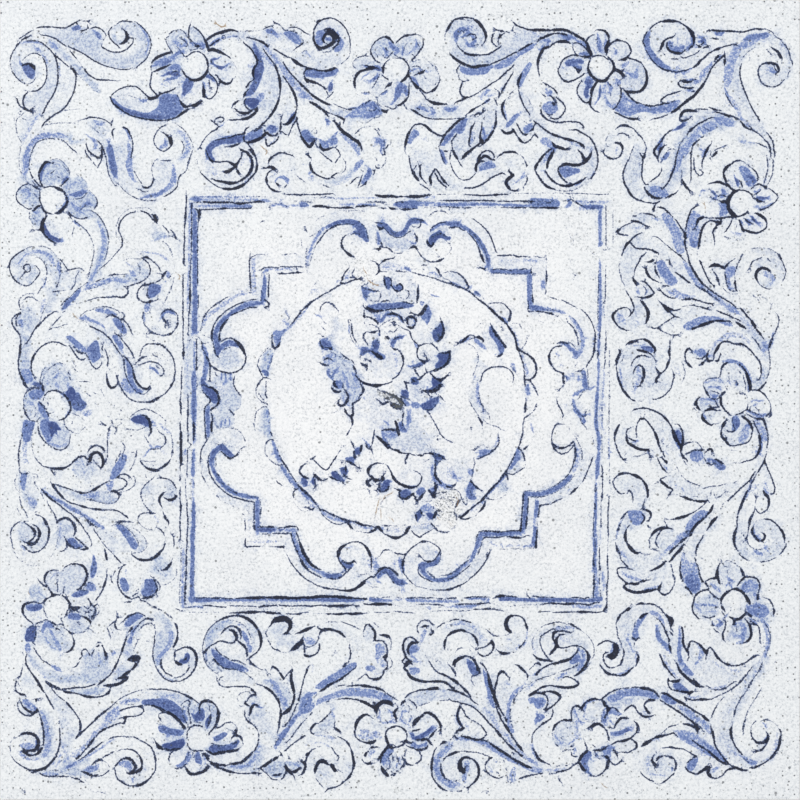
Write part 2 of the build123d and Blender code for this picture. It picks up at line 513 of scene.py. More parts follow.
def top_left_crescent():
    """From the first flower of the top border: its arched stem, the blue crescent and the leaf round it."""
    tint("208,44 214,36 226,32 246,32 262,36 272,46 284,62 292,74 300,84 310,92 312,98 300,96 288,84 280,90"
        " 279,100 274,112 262,126 250,132 256,120 262,104 262,90 260,70 256,52 246,42 232,38 220,40", 0.42)
    tint("280,84 290,90 295,102 294,116 284,124 280,128 268,128 276,112 281,98", 0.32)
    pen("207,40,2.6 212,36 219,33 226,31 232,30,2.4 238,32,1.2", 3.2)
    faint("238,31 244,31 250,31 257,31 263,29.5", 1.4, 0.45)
    pen("209,47 214,43,2.2 220,39,1.6", 1.8)
    pen("222,36 224,35.5 225.5,37.5 224,39.5 222,38.5 222,36", 1.2, 0.9)
    brush("212,44 218,40 224,37,3", 4, 0.65)
    brush("226,38 232,36,3 238,37", 2, 0.5)
    pen("233,36 239,37 240,39", 1.2, 0.6)
    pen("244,43 249,47,1.8 253,51,2", 1.5)
    brush("254,44,4 256,50 259,57 260,65,7 259,72,8 257,80,7 254,87 250,93,5 246,95,3", 6, 0.85)
    pen("251,49,1.6 254,54 257,59,2.6 257,64,1.8 254,68 253,74,4 254,79,2.2 250,82,2.2 247,86,3"
        " 244,89,2", 2.4)
    pen("258,52 261,58,1.6 259,64", 1, 0.6)
    brush("254,66 255,74,5 254,80", 3)
    pen("249,89 246,92,2.6 244,96,3 242,98", 2, 0.95)
    brush("262,54 268,58,5 274,66", 4, 0.35)
    fill("245,99 250,98 256,98 259,101 258,105 253,109 248,106 244,102")
    fill("257,96 263,92 265,95 262,101 258,103", 0.5)
    pen("238,101 234,104,2.2 232,107,2", 2.8)
    faint("230,110 236,107", 1.2, 0.4)
    pen("235,109,1.5 239,112 245,113.5,2.8 250,112 254,109,1.4", 2.2)
    faint("234,112 238,115 243,116", 1.2, 0.6)
    pen("246,99,2 244,103,1.8 247,108,2.2 250,110|232,120,1.8 240,119.5,2.6 248,118,3.2 254,114,3.2 "
        "257,110,2.8 258,107,1.8|255,112,2.6 257,108,3|215,120 217,118 221,117 224,119 222,122 219,122|"
        "212,121,2 216,124,2.6 219,126", 1.6)
    brush("221,126 224,124", 2, 0.7)
    pen("219,127 215,130,2.4 211,132,1.4", 1.5)
    faint("211,132 206,137 202,143 200,148", 1.4, 0.8)
    pen("263,49,1.5 268,56,1.8 274,64,2 278,73,2.4 280,83,2.8 280,92 278,102 273,112 266,121 258,128,1.8 "
        "250,132,1.2", 2.2)
    pen("274,64 278,67", 1.2, 0.7)
    pen("250,38 257,40,1.8 262,42,2.4 268,46,2.6|274,49 282,54,1.8 289,58,1.8|291,58,2.8 296,62,3.2 "
        "300,65,2.4 306,67,2 308,70", 1.4)
    brush("264,45,4 271,53 278,62 285,71,7 291,80,6 297,87 304,94,6 310,98", 5, 0.42)
    brush("283,66 289,74,6 293,80,4", 5, 0.35)
    faint("270,49 276,56 283,63", 1.2, 0.4)
    pen("283,62,1.2 288,70,1.6 294,77,2 300,83 306,89 312,95,2.2|283,76,1.3 288,83,2 293,91,2.2 296,99 "
        "297,107,2.2 295,114 292,119,3.4 287,124,3.4 282,124,2", 2.4)
    brush("294,113 292,119,5 288,123", 3, 0.9)
    pen("281,120,1.5 280,128,1.8 281,132,1.2|281,131 285,134,1.8 289,136,1.6|289,135,1.3 291,129,1.6 "
        "295,122 297,117|297,117,1.5 298,126,1.8 301,134,2 305,141,2.2 310,147,2.4|249,127 246,129,1.8 "
        "244,134,2.4 244,140,2.4 247,143,2 251,148,1.6 255,152", 1.4)
    fill("246,134 252,131 258,129 263,131 262,137 256,141 249,143 246,140", 0.62)
    pen("247,143 254,141,3.4 261,138,3.4 265,133,2.4|254,132,1.4 260,129,1.6 266,125,1.4|265,131,2.4 "
        "268,134 272,136,2.4 276,135 280,130,2 281,122,1.6", 2.8)
    brush("267,130,3 271,127 275,129 271,133,4", 5, 0.8)
    pen("265,133 266,140 267,146,2.2 272,144 277,140 280,134,1.5", 1.8)
    brush("269,145 273,141 276,138", 1.6, 0.5)
    brush("245,138,6 236,139,8 226,140 216,143 209,149 209,156,6 214,160,3", 7, 0.85)
    pen("213,142 220,139,1.8 228,138,2 236,135,2.6 243,134,2.4", 1.4)
    pen("225,147 233,146,2.4 240,143,2", 1.6, 0.85)
    pen("206,150 208,156,2.2 212,161,2.4 218,162,1.2", 2)


def top_left_small_curls():
    """The small hooked curl left of the crescent's foot, and the leaf tips above the big spiral."""
    faint("168,124 160,128 155,135 154,142 157,148 162,151 166,151", 1.6, 0.8)
    pen("165,134 169,137,3.6 171,142,4 171,146 168,149,1.5", 2)
    pen("170,134 173,138,1.6", 1.4, 0.8)
    brush("165,139 166,144,4 160,148", 3, 0.55)
    brush("176,131,3 183,134 187,141 188,149 184,157,4 177,160,3", 5, 0.36)
    faint("176,124 183,129 188,135 193,146 191,156", 1.3, 0.6)
    faint("180,139 184,146 182,153", 1.4, 0.7)
    tint("168,132 178,128 188,138 190,150 184,160 174,162 182,152 182,142 176,136", 0.4)
    tint("262,30 272,27 280,31 290,30 300,34 304,42 298,47 290,44 282,40 272,44 262,38", 0.45)
    pen("264,29,1.2 269,26.5 274,26|275,23,2.2 280,25,1.6 283,29,1.3", 1.8)
    brush("267,31 272,32,5 277,35,3", 4, 0.72)
    pen("288,28 294,27,1.8 300,29 305,33", 1.4)
    faint("285,30 291,31 297,33 302,38 304,43", 1.4, 0.75)
    fill("283,33 290,31 297,34 301,39 300,44 294,43 288,38", 0.62)
    brush("290,33 297,37,4 301,43", 3, 0.5)
    pen("296,48 301,45 304,41,1.2", 1.6)
    pen("303,52 305,50 308,51", 1.4, 0.6)
    brush("305,52 308,54", 2.5, 0.4)


def top_middle_spiral():
    """The tight spiral of the top border and the leaf that carries it."""
    tint("314,32 318,22 328,19 340,24 347,36 348,50 344,60 336,66 322,68 306,66 296,60 300,52 314,52 328,54"
        " 340,50 343,42 338,32 326,27 318,32 318,42 314,40", 0.42)
    pen("314,38,2.2 314,30 318,23 324,19,1.8 331,18,2 337,20,1.2 343,25,1.4 347,31,1.4 350,40,1.3"
        " 350,48,1", 1.6)
    faint("350,46 350,54 346,60 341,64", 1.4, 0.75)
    faint("316,22 320,19", 1.6, 0.8)
    fill("322,30 328,27 334,29 337,34 341,40 341,46 337,50 334,52 334,47 337,42 335,36 330,33 325,36 324,42"
        " 321,46 316,43 315,37 317,31", 0.55)
    pen("324,30,2.4 328,29,3 333,31,3.4 337,35,3.4 339,40,2.6 337,45,2 332,49,1.4|326,34 330,33 334,36,4.4 "
        "334,41,4.4 330,45 326,47,3.4 321,48.5,3.4 317,46,3.4 314,41,3 313.5,36,2.4|329,31 325,35 323,40 "
        "325,43,2.4", 4)
    brush("327,39 331,40", 4, 0.7)
    brush("317,34 319,39 321,43", 4, 0.5)
    brush("337,32 341,39,3 342,45,4 337,51,5", 2, 0.6)
    faint("317,50 322,52 328,52 334,50", 1.6, 0.6)
    pen("300,64 304,66,1.8 308,68,2.4", 1.4)
    fill("306,69 314,69 322,71 330,70 336,68 339,71 335,75 328,77 318,78 309,77 305,75", 0.7)
    pen("306,68 312,69,2.4 322,71,3 330,70,3 335,68,2.4 338,67", 2)
    brush("313,73 322,75,6 330,73,5 336,70,3", 4, 0.55)
    pen("307,68 304,73 305,78,2.4 310,81,2.6 316,83,2.2 322,86 326,91,1.4 328,95,1.2", 2)
    faint("323,84 327,89 331,92", 1.1, 0.6)
    pen("305,80.5 308,83,2", 2.4)
    brush("331,83 330.5,88,5 330,91", 3, 0.9)
    pen("327,98 331,95,1.8 334,91,1.2", 1.6, 0.8)
    faint("334,90,1.1 335,84,1.1|333,79 337,75 339,72", 1.2)


def top_middle_stem():
    """The long stem that runs into the middle flower of the top border."""
    pen("300,84 306,89,2.8 312,95,3.2 318,99,3.2 325,103 331,105,2|310,102,3.2 316,105,3 321,109 "
        "327,112,2.4 332,114,1.8|320,108,1.4 325,113,1.8 330,118,2", 2.6)
    faint("334,104 340,107 346,109", 1.4, 0.75)
    pen("335,115 341,118,2.4 345,120,2.6", 1.2)
    faint("328,113 336,115 343,117", 1)
    brush("300,95 308,97,4 314,100,2", 6, 0.5)
    tint("326,106 340,108 352,110 364,104 372,101 378,106 384,112 378,118 366,120 352,119 340,117"
        " 330,112", 0.55)
    fill("352,109 358,106 365,102 373,101 377,106 383,111 379,116 370,118 360,117 352,118 346,115"
        " 352,112", 0.42)
    brush("352,108,2 359,108,3 366,104 372,105,7 377,110,6 372,115 364,117,4", 5, 0.65)
    pen("352,109 357,108,1.4", 2, 0.85)
    pen("360,106 366,103 371,100", 1.6, 0.9)
    pen("367,110 373,111 377,108 380,112", 1.5, 0.7)
    pen("382,110 386,112,3.6 388,110,2", 3)
    pen("379,107 376,103 374,100", 1.3, 0.7)
    faint("360,122 366,123 372,119 378,117 384,115", 1.3, 0.6)
    brush("344,118 350,116 356,116,3", 2, 0.5)


def top_middle_flower():
    """The middle flower of the top border."""
    tint("372,44 380,38 390,38 397,44 404,38 414,36 422,42 420,52 410,58 398,57 386,58 376,58 371,50", 0.55)
    tint("352,64 362,57 372,58 380,62 380,72 366,72 356,70", 0.45)
    tint("410,62 424,60 436,66 440,76 436,86 426,90 416,84 410,74|370,86 380,78 388,80 398,82 408,84 408,98"
        " 398,106 384,106 374,98", 0.35)
    wipe("384,66 389,60 396,58 403,60 408,66 408,74 404,79 396,80 389,79 384,74", "wash")
    pen("385,63 390,59,1.2 396,58,1 402,59,1.4", 1.6, 0.7)
    pen("402,58,1.4 406,62 409,67,2 408,74,2.6 405,79,3 400,82|385,63,1.6 383,68,2.2 383,73,2.6|383,76,2 "
        "387,79 390,80,1.4|372,46,1.4 376,41,2 381,38,2.4 387,37,2.8 391,40,3 394,44,2.4|372,46,1.6 "
        "370.5,51,2 373,57,2.4 376,61,2.2 380,63", 1.8)
    pen("376,54 379,58,1.8", 1.4, 0.8)
    brush("383,48,2 387,52 385,57,3|389,42 393,47,5 397,50,5 395,54", 4, 0.6)
    pen("386,48 388,51,2|392,53 389,56,2 386,59,1.6", 2.4, 0.8)
    pen("383,55 385,58", 1.5, 0.6)
    pen("396,43 400,39,1.8 405,36,2.6 411,35,2.2 416,34,1.6", 1.4)
    faint("416,34 421,36 424,40", 1.2, 0.6)
    pen("423,41,1.6 423,46,1.8 419,52 415,57 411,60,2.4", 2)
    brush("416,41,2 417,46,4 413,50 408,54", 3, 0.5)
    brush("403,46,1.5 403,51 402,55", 3, 0.7)
    pen("406,44 404,48 403,53", 1.4, 0.7)
    pen("412,54 414,56", 1.8, 0.8)
    pen("418,44 421,49", 1.5, 0.6)
    pen("394,54 398,57 403,58 408,61", 1.3, 0.7)
    faint("353,62 357,58 363,56 370,56", 1.4, 0.7)
    pen("362,56 366,55,2.4", 2, 0.7)
    pen("353,66 357,69", 1.4, 0.8)
    pen("362,65,1.4 368,66,2 374,67 379,69", 2.4, 0.95)
    brush("364,66,2 371,68 377,68,5 381,70", 4, 0.8)
    pen("363,71 368,69,2.8 374,69|363,70,2.2 358,73,2.8 355,78,3.4 354.5,84,3 355,88,2", 2.4)
    pen("354,73 352,77", 1.4, 0.8)
    faint("356,89 357,94 361,97", 1.2, 0.4)
    pen("361,93 366,92.5,2 371,93,1.6", 1.2, 0.65)
    brush("362,93 368,94", 3, 0.4)
    brush("361,80 364,76,2.5 368,74,2", 1.5, 0.55)
    brush("371,81,3 376,78 379,74", 4, 0.65)
    pen("372,88 376,82,2 379,76,1.8", 1.4, 0.75)
    faint("377,98 382,93 388,90", 1.3, 0.7)
    brush("382,95 386,92,3 388,90", 2, 0.6)
    pen("386,87 389,85,3.2 392,83,2.2", 2.4, 0.9)
    pen("389,83 391,88", 1.8, 0.8)
    brush("401,84 399,90,8 397,96,5 394,101,3 392,104,2", 6, 0.72)
    brush("404,85 406,91,5 407,97,3", 4, 0.68)
    pen("409,83 409,90,1.6 408,96,2 405,101,2.6 400,105,2.2 396,106", 1.4)
    pen("385,106 390,108,2 394,109,1.6 398,106", 1.4, 0.85)
    faint("377,97 378,103 382,107", 1.6, 0.6)
    pen("393,92 391,99", 1.2, 0.35)
    pen("410,62 415,61,1.2 420,59,1", 1.4, 0.5)
    pen("412,67 418,66,1.8 422,69,2", 1.4, 0.7)
    brush("411,71 416,69 421,70", 3, 0.65)
    pen("415,75 419,73,2.6 423,72,3 425,70,1.6", 2)
    brush("426,71 430,72,2", 4, 0.5)
    pen("424,76 426,79", 1.4, 0.6)
    faint("427,60 433,66 438,72 440,79", 1.3, 0.6)
    pen("435,66 439,70", 1.3, 0.6)
    pen("440,80 438,85,2.4 434,90,3.2 430,92", 2)
    pen("436,83 434,86", 1.6, 0.7)
    pen("430,92 426,93 423,91 420,88|410,77,1.8 413,82,2.4 417,87,2.8 420,89", 2.2)
    brush("411,77 415,81,4 418,86", 3, 0.7)
    pen("421,92 424,96 427,100", 2, 0.8)


def top_right_of_middle_stem():
    """From the middle flower to the right: the broad blue leaf and its lower outline."""
    tint("406,104 414,104 424,104 434,106 446,106 460,106 460,116 444,118 430,118 418,114 410,110", 0.45)
    pen("404,104 406,108 409,110", 1.5, 0.7)
    pen("412,110 416,112,2.8 420,115 424,117,2", 2.4)
    pen("424,117 432,119 440,119 450,119,1.2 460,118,1.3", 1.6, 0.9)
    pen("429,101 434,103,2.8 441,104,2.8 449,104,2.2|456,102 462,100", 2)
    brush("416,109,3 420,107 424,109 429,112", 4, 0.6)
    pen("417,108 420,110,2", 2.2, 0.9)
    pen("421,106 425,107 426,111", 1.5, 0.7)
    brush("431,108 434,113,4 430,115", 3, 0.5)
    brush("446,109 452,110,5 456,108,2", 4, 0.6)
    pen("427,104 430,107 433,108", 1.3, 0.5)


def top_right_spiral():
    """The wide spiral right of the middle flower and the stem that ends in it."""
    tint("447,40 449,28 458,19 470,18 480,24 485,34 485,44 478,50 468,50 460,44 456,38 462,46 474,54 490,53"
        " 500,46 512,36 524,30 536,32 548,36 536,42 520,52 506,60 490,66 472,67 458,62 450,52", 0.5)
    pen("447,31,3 450,25 454,20 460,18,2.4 466,17.5,2 472,18.5,2.4 478,22 482,27 485,32,3 486,38,2.2 "
        "484,43,1.4 481,46,1", 2.6)
    pen("451,23 458,19.5 465,20 472,21", 1.2, 0.6)
    pen("446,30 445,36 445,42", 1.4, 0.5)
    brush("456,40,4 456,35 459,31 464,29 469,31", 5, 0.68)
    pen("457,38 460,32,2.4 465,30 468,29,1.4", 2, 0.65)
    brush("462,37,3 468,34 473,36 475,40 473,44,6 469,45,5 466,42,3", 4, 0.6)
    pen("464,33 467,36 470,34 475,35 476,38 472,40", 2, 0.85)
    pen("470,44 474,46 478,44", 1.6, 0.6)
    pen("457,44,1 460,49,2.2 464,52,2.6 468,54,1.6|465,54,1.6 473,55 482,55,1.8 489,54 494,51 499,48,2.4 "
        "501,46.5,1.4", 2)
    faint("474,58 474,62", 1.2, 0.4)
    pen("450,54,1.8 454,58,2.2 460,62 466,65,2.8 473,67,3 480,66,3 488,65", 2.6)
    fill("460,66 468,68 480,67 488,67 494,65 490,70 486,74 478,75 468,75 461,72", 0.62)
    pen("460,65 457,69,1.8 457,73,1.6", 2)
    faint("458,74 459,78 462,81 467,81", 1.4, 0.65)
    pen("463,82,1.8 461,86,2.2 460,91,2.2 461,95,2.4 465,97,2.2 470,97,1.4|456,102,2 462,100,2.6 467,98,2.2"
        "|470,97 476,94 482,90 488,86 492,83|496,81,1.8 500,78,1.8 505,73,2 511,68,2 515,64,1.4", 1.5)
    faint("500,79 506,74", 1)
    brush("484,68,3 492,67 500,66,6 508,62,6 516,57", 4, 0.55)
    brush("519,54 527,49,6 535,45,3", 5, 0.62)
    pen("488,65 496,62 504,58.5 512,54,2.2 518,51,2.4 525,47,2.2 532,43,2.2", 2)
    brush("500,62 508,58,3 514,55", 2, 0.4)


def top_right_hook():
    """The small hooked leaf between the wide spiral and the arched stem."""
    tint("498,32 506,31 514,28 524,28 536,31 540,36 530,42 518,50 506,56 500,50 494,42 498,38", 0.32)
    pen("497,30 502,31,2 508,32,1.2 511,34,1.2|493,34,2.4 492,38,2 492,42,2 496,46,1.8 499,47,1.4|505,33 "
        "500,36,2.2 498,40,1.8 499,45", 1.6)
    pen("514,26 512,30", 1.8, 0.8)
    pen("514,32 516,33 514,37", 1.6, 0.6)
    pen("513,22,1.4 518,26,2 524,28,2.4 530,30,2.8 538,30 545,30,3|551,30,2.6 558,29.5 565,30 570,32,2.8 "
        "572,35,1.8", 3.2)
    brush("533,33 538,35 536,38,2", 3, 0.35)


def top_right_arch():
    """The arched stem that joins the third flower of the top border."""
    tint("540,38 552,33 568,33 574,40 580,44 584,48 570,44 558,42 548,46 540,56 538,66 540,78 538,72 537,60"
        " 540,50 536,44", 0.5)
    pen("538,40 543,38 549,35,2 556,33.5,1.8 564,34,1.8 568,36,1.4", 2.4)
    pen("538,41 541,37", 2, 0.8)
    brush("541,40 546,40,4 550,41 546,45", 3, 0.6)
    brush("562,35 567,37,5 571,37 567,40", 3, 0.7)
    pen("564,36 568,38 566,40", 1.4, 0.7)
    pen("550,47 545,48,3.4 542,51,3.4 540,55,2.8 538,61,2.6 538,68,2 539,74,2 540,77,1.4|550,47,2.2 "
        "553,44,2.6 557,42 562,41.5 567,42,2.8 571,43.5,2", 3)
    brush("543,46 541,50", 3, 0.7)
    faint("543,52 541,58 543,62 542,68 542,76", 1.6, 0.3)
    pen("544,83 547,85,2 549,86,1.6", 1.5, 0.85)
    pen("573,33 577,36,2.8 581,38 585,41 588,45,2.2 590,50 592,56|573,43,1.6 578,43,2 583,46,2.2 587,50 "
        "590,54,2.2", 2.4)
    brush("572,36,2 577,40 583,43 588,46", 4, 0.5)
    brush("576,42,2 582,45 588,50", 3, 0.45)


def top_third_flower():
    """The third flower of the top border."""
    tint("573,46 580,46 588,52 592,58 580,58 575,54", 0.3)
    tint("588,40 596,32 604,32 609,38 604,54 594,54 590,50|608,46 618,40 628,44 630,52 624,60 614,58 608,54"
        "|622,62 632,58 642,62 646,74 644,86 634,92 624,90 620,80 616,72", 0.4)
    tint("560,62 566,56 576,56 586,60 586,70 580,78 568,81 560,76", 0.35)
    tint("578,84 584,80 590,78 596,82 594,92 592,102 585,102 578,96", 0.3)
    tint("604,82 612,82 620,88 620,98 614,108 606,106 600,96", 0.4)
    wipe("589,62 594,57 601,56 607,58 612,64 612,71 608,77 602,80 595,79 590,74 588,68", "wash")
    pen("590,60,2 588,66,2.2 589,72 593,77,3 598,80.5,3 604,81,2.8 608,78,2.4|592,57,1.8 597,55.5,1.8 "
        "603,56,1.4 608,60,1.4 611,65,1.2|608,57 612,61,3.2 614,66,3.2 613,71,3.2 609,76 606,79,2.2", 2.6)
    brush("610,58 614,64,3", 2, 0.6)
    brush("592,78 595,79", 3, 0.5)
    faint("573,44 573,49 576,54 579,56", 1.4, 0.75)
    pen("579,56 584,57,2.6 590,57,2.8", 1.8)
    brush("580,53,2 584,54 590,56", 4, 0.8)
    pen("586,42,2 588,38,1.6 592,35,1.2|586,42 589,50 592,56|596,30,1.4 600,30 605,31,3.2 608,35,3.2 "
        "609,38,2.4", 2.2)
    brush("598,36 599,43,5 601,50,5 602,53", 3, 0.62)
    brush("605,40 605,46,3", 2, 0.6)
    pen("597,38 598,46 600,52", 1.4, 0.7)
    brush("593,48 595,52", 2, 0.5)
    pen("609,40 606,46,3.2 605,52,2.4", 3)
    brush("606,40 607,48 604,52", 3, 0.55)
    pen("607,50,1.8 609,45,2.4 613,42 618,40,2.8 620,39.5", 2)
    pen("606,55 608,50", 2.2, 0.9)
    pen("622,41 627,43,2.4 630,47,2.8 631,52,2.8 628,56,3 625,59,3.2 621,60,2.4|620,60 627,58,1.6"
        " 632,59", 1.8)
    brush("614,48 617,52,4 613,54,3", 2, 0.5)
    pen("614,50 617,53", 1.2, 0.5)
    pen("635,60,2.4 640,62 643,65,1.6|644,67,1.6 646,71,2.2 647,78 646,84,2.8 643,89,2.8 638,92 630,92,2.8 "
        "625,91,2.2 623,88,1.6", 2.6)
    brush("623,64 628,63,3 622,68,3|624,71 630,74,4 636,77,5 636,71,4", 2, 0.5)
    pen("622,71 624,69.5,1.4", 2, 0.9)
    pen("614,70 619,71,3.4 622,74 625,78,2.4", 3)
    brush("616,79 619,82,4 617,85", 3, 0.6)
    pen("617,83 620,87,1.8 622,90,1.6", 1.2, 0.8)
    pen("621,88 621,96,1.8 619,102,2 615,108,1.8 611,110", 1.4)
    brush("608,83 611,88,4 609,93", 3, 0.55)
    pen("608,82 611,86,2", 2.2, 0.9)
    brush("604,96,2 607,102 612,107 616,104,3", 4, 0.45)
    faint("611,90 610,98", 1.4, 0.4)
    pen("607,79 604,81", 1.4)
    brush("605,84 604,92,4 605,98", 3, 0.4)
    pen("560,66,2.2 562,61 567,57 573,55,2.2 578,56|560,66 558,70 560,76,2.4 563,80,2.4 568,82,2.4 "
        "574,80,2.2 580,77 586,72,1.8", 2)
    fill("565,62 571,59 579,59 584,61 583,64 576,64 571,66 566,66", 0.78)
    brush("566,62 574,61,5 582,61,4", 3, 0.5)
    brush("572,66,2 577,66 581,68 578,70,4", 3, 0.75)
    pen("574,67 577,69 578,72 581,69", 2.2, 0.9)
    brush("561,67 564,68", 2, 0.6)
    pen("581,82,1.4 578,86,1.8 577,92 580,98,2.2 584,102 587,103,2 590,100,1.6", 2.4)
    brush("589,77,3 587,83,6 590,85,6 587,88 586,94 588,98", 4, 0.85)
    brush("590,78 593,83", 3, 0.7)
    pen("598,80,1.6 595,85,2.8 592,90,3.2 591,97,3 590,104,2.2 592,108,1.8 595,111 600,112", 1.4)
    brush("600,88 600,94,3 598,100", 2, 0.9)
    pen("601,90 599,98", 1.8, 0.8)


def top_right_big_spiral():
    """The big spiral beside the top right corner."""
    tint("645,36 650,26 662,20 676,20 688,28 693,40 688,50 678,54 668,50 662,44 660,50 666,58 678,60 690,56"
        " 700,50 712,44 700,60 690,68 674,71 660,66 650,54 645,46", 0.32)
    pen("650,29,1.4 654,25 660,22,2 666,21 673,21,3 677,22,1.6|679,22,2 684,25,2 688,28,2.8 692,33,4 "
        "694,40,3.6 693,45,3.2 689,49", 2.4)
    brush("689,30,2 693,38 692,45 687,49", 4, 0.75)
    brush("686,44 689,40", 3, 0.4)
    pen("645,46 643,42,2 645,35 648,31", 2.4)
    brush("650,31,3 647,38,6 647,46 650,53 656,60 663,66,6 670,69,4", 7, 0.66)
    pen("646,50 648,54 652,60 657,65 663,69,2.2 670,71,2.4 677,72,2.4 683,71 690,69,1.6", 2, 0.9)
    brush("668,69 676,72,4 684,71,3 694,68", 2, 0.6)
    pen("694,67,2 698,64,2.4 700,61 704,58,2 708,54 713,51,2.8 718,49,3 723,47 730,45,1.8 738,44,1.4|"
        "660,50,2 662,46,2.6 664,41 669,38,2 673,37 675,35,1.8", 2.2)
    pen("662,50 663,53 667,56", 1.4, 0.6)
    pen("667,43 667,47,3 670,51,3 676,53 682,53,2.4 685,50,2.2", 2.8)
    brush("670,41,4 670,46 675,49 681,49 682,44,4", 5, 0.66)
    brush("678,40 677,44", 3, 0.3)
    pen("670,43 672,48|672,59,1.6 677,59 680,59.5,1.6", 2.2, 0.8)
    pen("681,57 684,58,2 690,56 695,54,1.4 700,51,1.2", 1.6, 0.9)
    pen("707,31 709,30,2 711,33,1.4|712,30,2.6 720,31,2.4 727,31 734,31.5,2.4 740,32,2.8|744,32,2.4 750,30 "
        "757,28.5,2", 2.2)
    brush("715,33 720,34,5 726,32,2", 4, 0.55)
    pen("712,38 716,39,3 719,39.5,2", 1.6)
    brush("702,38 704,42,6 702,40,5", 4, 0.8)
    pen("697,45 700,47,2.4 702,44 704,42,2.4|703,48,1.8 706,47,2 709,46,3", 1.6)
    brush("694,46 698,47", 3, 0.4)
    faint("704,44 707,45 705,47", 1.2, 0.6)


def top_right_stem():
    """The blue stem of the third flower, its two small lobes and the line up to the corner."""
    fill("622,92 628,98 636,102 644,105 654,106 664,104 672,101 680,100 678,106 672,112 664,113 654,114 "
        "646,112 638,113 628,116 618,112 614,108 620,100", 0.55)
    brush("624,96,4 632,102 640,106 650,109,5 662,108,5", 6, 0.45)
    brush("664,106 670,104,5 678,102,4", 3, 0.5)
    brush("618,110 624,112,4 630,114", 3, 0.4)
    wipe("624,102 630,102 629,108 624,109", "blue", keep=0.35)
    pen("625,91 629,96,2.4 634,101 638,103,2.2 642,104,1.6|645,105,1.8 650,106,2.4 653,106|654,106 658,105 "
        "664,104|614,112,1.8 620,115 627,118,2.2 633,119,3 638,119,2.4", 2)
    pen("621,92 621,99", 1.2, 0.5)
    pen("653,119 658,118,2.4 662,117 669,114,1.6", 2, 0.9)
    pen("671,113 676,110,2.6 682,105,2.8 688,100,3.2 694,96,3.6 698,91,3 703,85,2.4 707,78,2.2 710,71 "
        "714,65 719,60 724,55", 2)
    pen("716,63 720,60 722,57", 1.2, 0.5)
    pen("686,80 680,81,2.2 678,84,2.2 681,87 686,88,2.4 691,88,2.2 694,87|683,82 688,82,2.6 692,81,2.4 "
        "696,79", 2)
    brush("684,81 690,80,4 696,80,3", 2, 0.6)
    brush("686,85 694,84", 2.4, 0.4)
    brush("688,90 694,91,3", 4, 0.6)
    pen("692,92,1.6 694,90.5|681,91,1.4 674,93 668,95,1.8 663,98,2.2 661,101 664,103,1.8 669,103,1.8 "
        "676,100,1.4", 2)
    brush("671,97 676,96,3 682,93", 2, 0.3)
    brush("700,80 703,74,5 708,68,5 713,62", 3, 0.42)
    brush("716,58 720,56", 3, 0.85)
    pen("715,60 717,57,2.6 720,55|725,55,1.6 725,60,2.2 724,67,2.2", 2)
    tint("690,52 704,50 720,48 736,46 730,52 716,58 704,64 696,72 700,62 692,64", 0.22)


def top_right_corner():
    """The top right corner: the forked band and the long outlines down its sides."""
    brush("733,46,5 742,46 750,42 757,38,6 766,36,4", 7, 0.4)
    brush("750,37 756,37,5 764,38,4", 3, 0.5)
    brush("737,50 733,58 730,66 728,76 727,86,7", 9, 0.4)
    brush("725,89 727,94,4 729,100,4 732,105", 3, 0.5)
    brush("730,97 734,104 738,110 741,116,3", 5, 0.36)
    pen("725,93 727,97,1.8 730,102,2 733,107,1.6", 1.4, 0.85)
    pen("741,65,1.8 740,70,2.2 740,76 742,84 745,92 748,99,1.6|749,102,1.4 753,110,1.6 758,118,1.8 "
        "760,121,1.4", 2)
    faint("741,28 750,24 758,21", 1, 0.35)
    faint("730,44 736,46 742,46|718,92,1 722,100,1", 1.2, 0.4)


def right_corner_scroll():
    """The open scroll below the top right corner, and the lines that come down from it."""
    tint("738,46 752,34 770,30 782,38 790,50 793,64 790,76 782,84 770,88 760,84 757,74 760,64 768,62 776,64"
        " 779,70 784,60 780,50 772,46 760,46 750,52 742,62 740,74 744,92 752,108 760,122 768,134 760,136 "
        "750,126 742,112 734,98 730,84 734,66", 0.4)
    brush("744,40,4 752,37 760,36 766,35,5 770,36,3", 6, 0.66)
    faint("764,29 769,30 773,33 776,37 782,40", 1.6, 0.7)
    pen("782,42,2.6 786,46,2.2 789,52 790,57,2 792,62 793,66,1.4", 2.4, 0.8)
    brush("782,42 788,50 790,56,2", 3, 0.45)
    pen("790,71 788,74 788,76", 1.6, 0.7)
    faint("783,37 788,42 792,47", 1, 0.35)
    pen("771,47 775,50,2.4 778,52,3.4 780,56,3.8 782,59,3", 1.6, 0.95)
    faint("782,60 782,65", 1.4, 0.7)
    faint("768,51 771,54", 1.6, 0.6)
    pen("760,66,1.6 764,63.5,2.2 770,63,2.6 776,64 778,67 779,71 775,74.5,2", 2.4, 0.9)
    pen("760,66,1.6 758,71 759,77 762,83,2.2 767,86,2.2 773,87,2.4 779,85 780,84,1.6", 2, 0.85)
    pen("782,82 784,80", 2, 0.8)
    brush("769,68 773,71,5 775,73", 3, 0.55)
    pen("773,65 775,69 777,72", 1.8, 0.8)
    tint("762,66 772,64 777,70 774,80 766,82 761,76", 0.3)
    faint("753,49 749,51 745,55 742,59", 1.3, 0.6)
    faint("749,60 750,57", 2)
    pen("767,133,1.6 770,137,1.8 773,142 774,150 775,156,1.8|748,129,1.4 754,131 759,134,2.2 764,139,2.4 "
        "768,143,2.2 770,150 771,158,1.6", 2, 0.9)
    faint("766,140 770,146 771,150", 1.4, 0.6)
    faint("760,126 766,131", 1, 0.3)
    brush("739,116,3 744,121 749,126", 4, 0.4)
    pen("730,115,1.8 736,118 741,122,2.8 745,127 749,129,2|714,112,1.8 720,113,2 726,115 731,117,3", 2.6)
    pen("746,123 749,125|749,126,1.6 753,129,1.6", 1.8, 0.8)


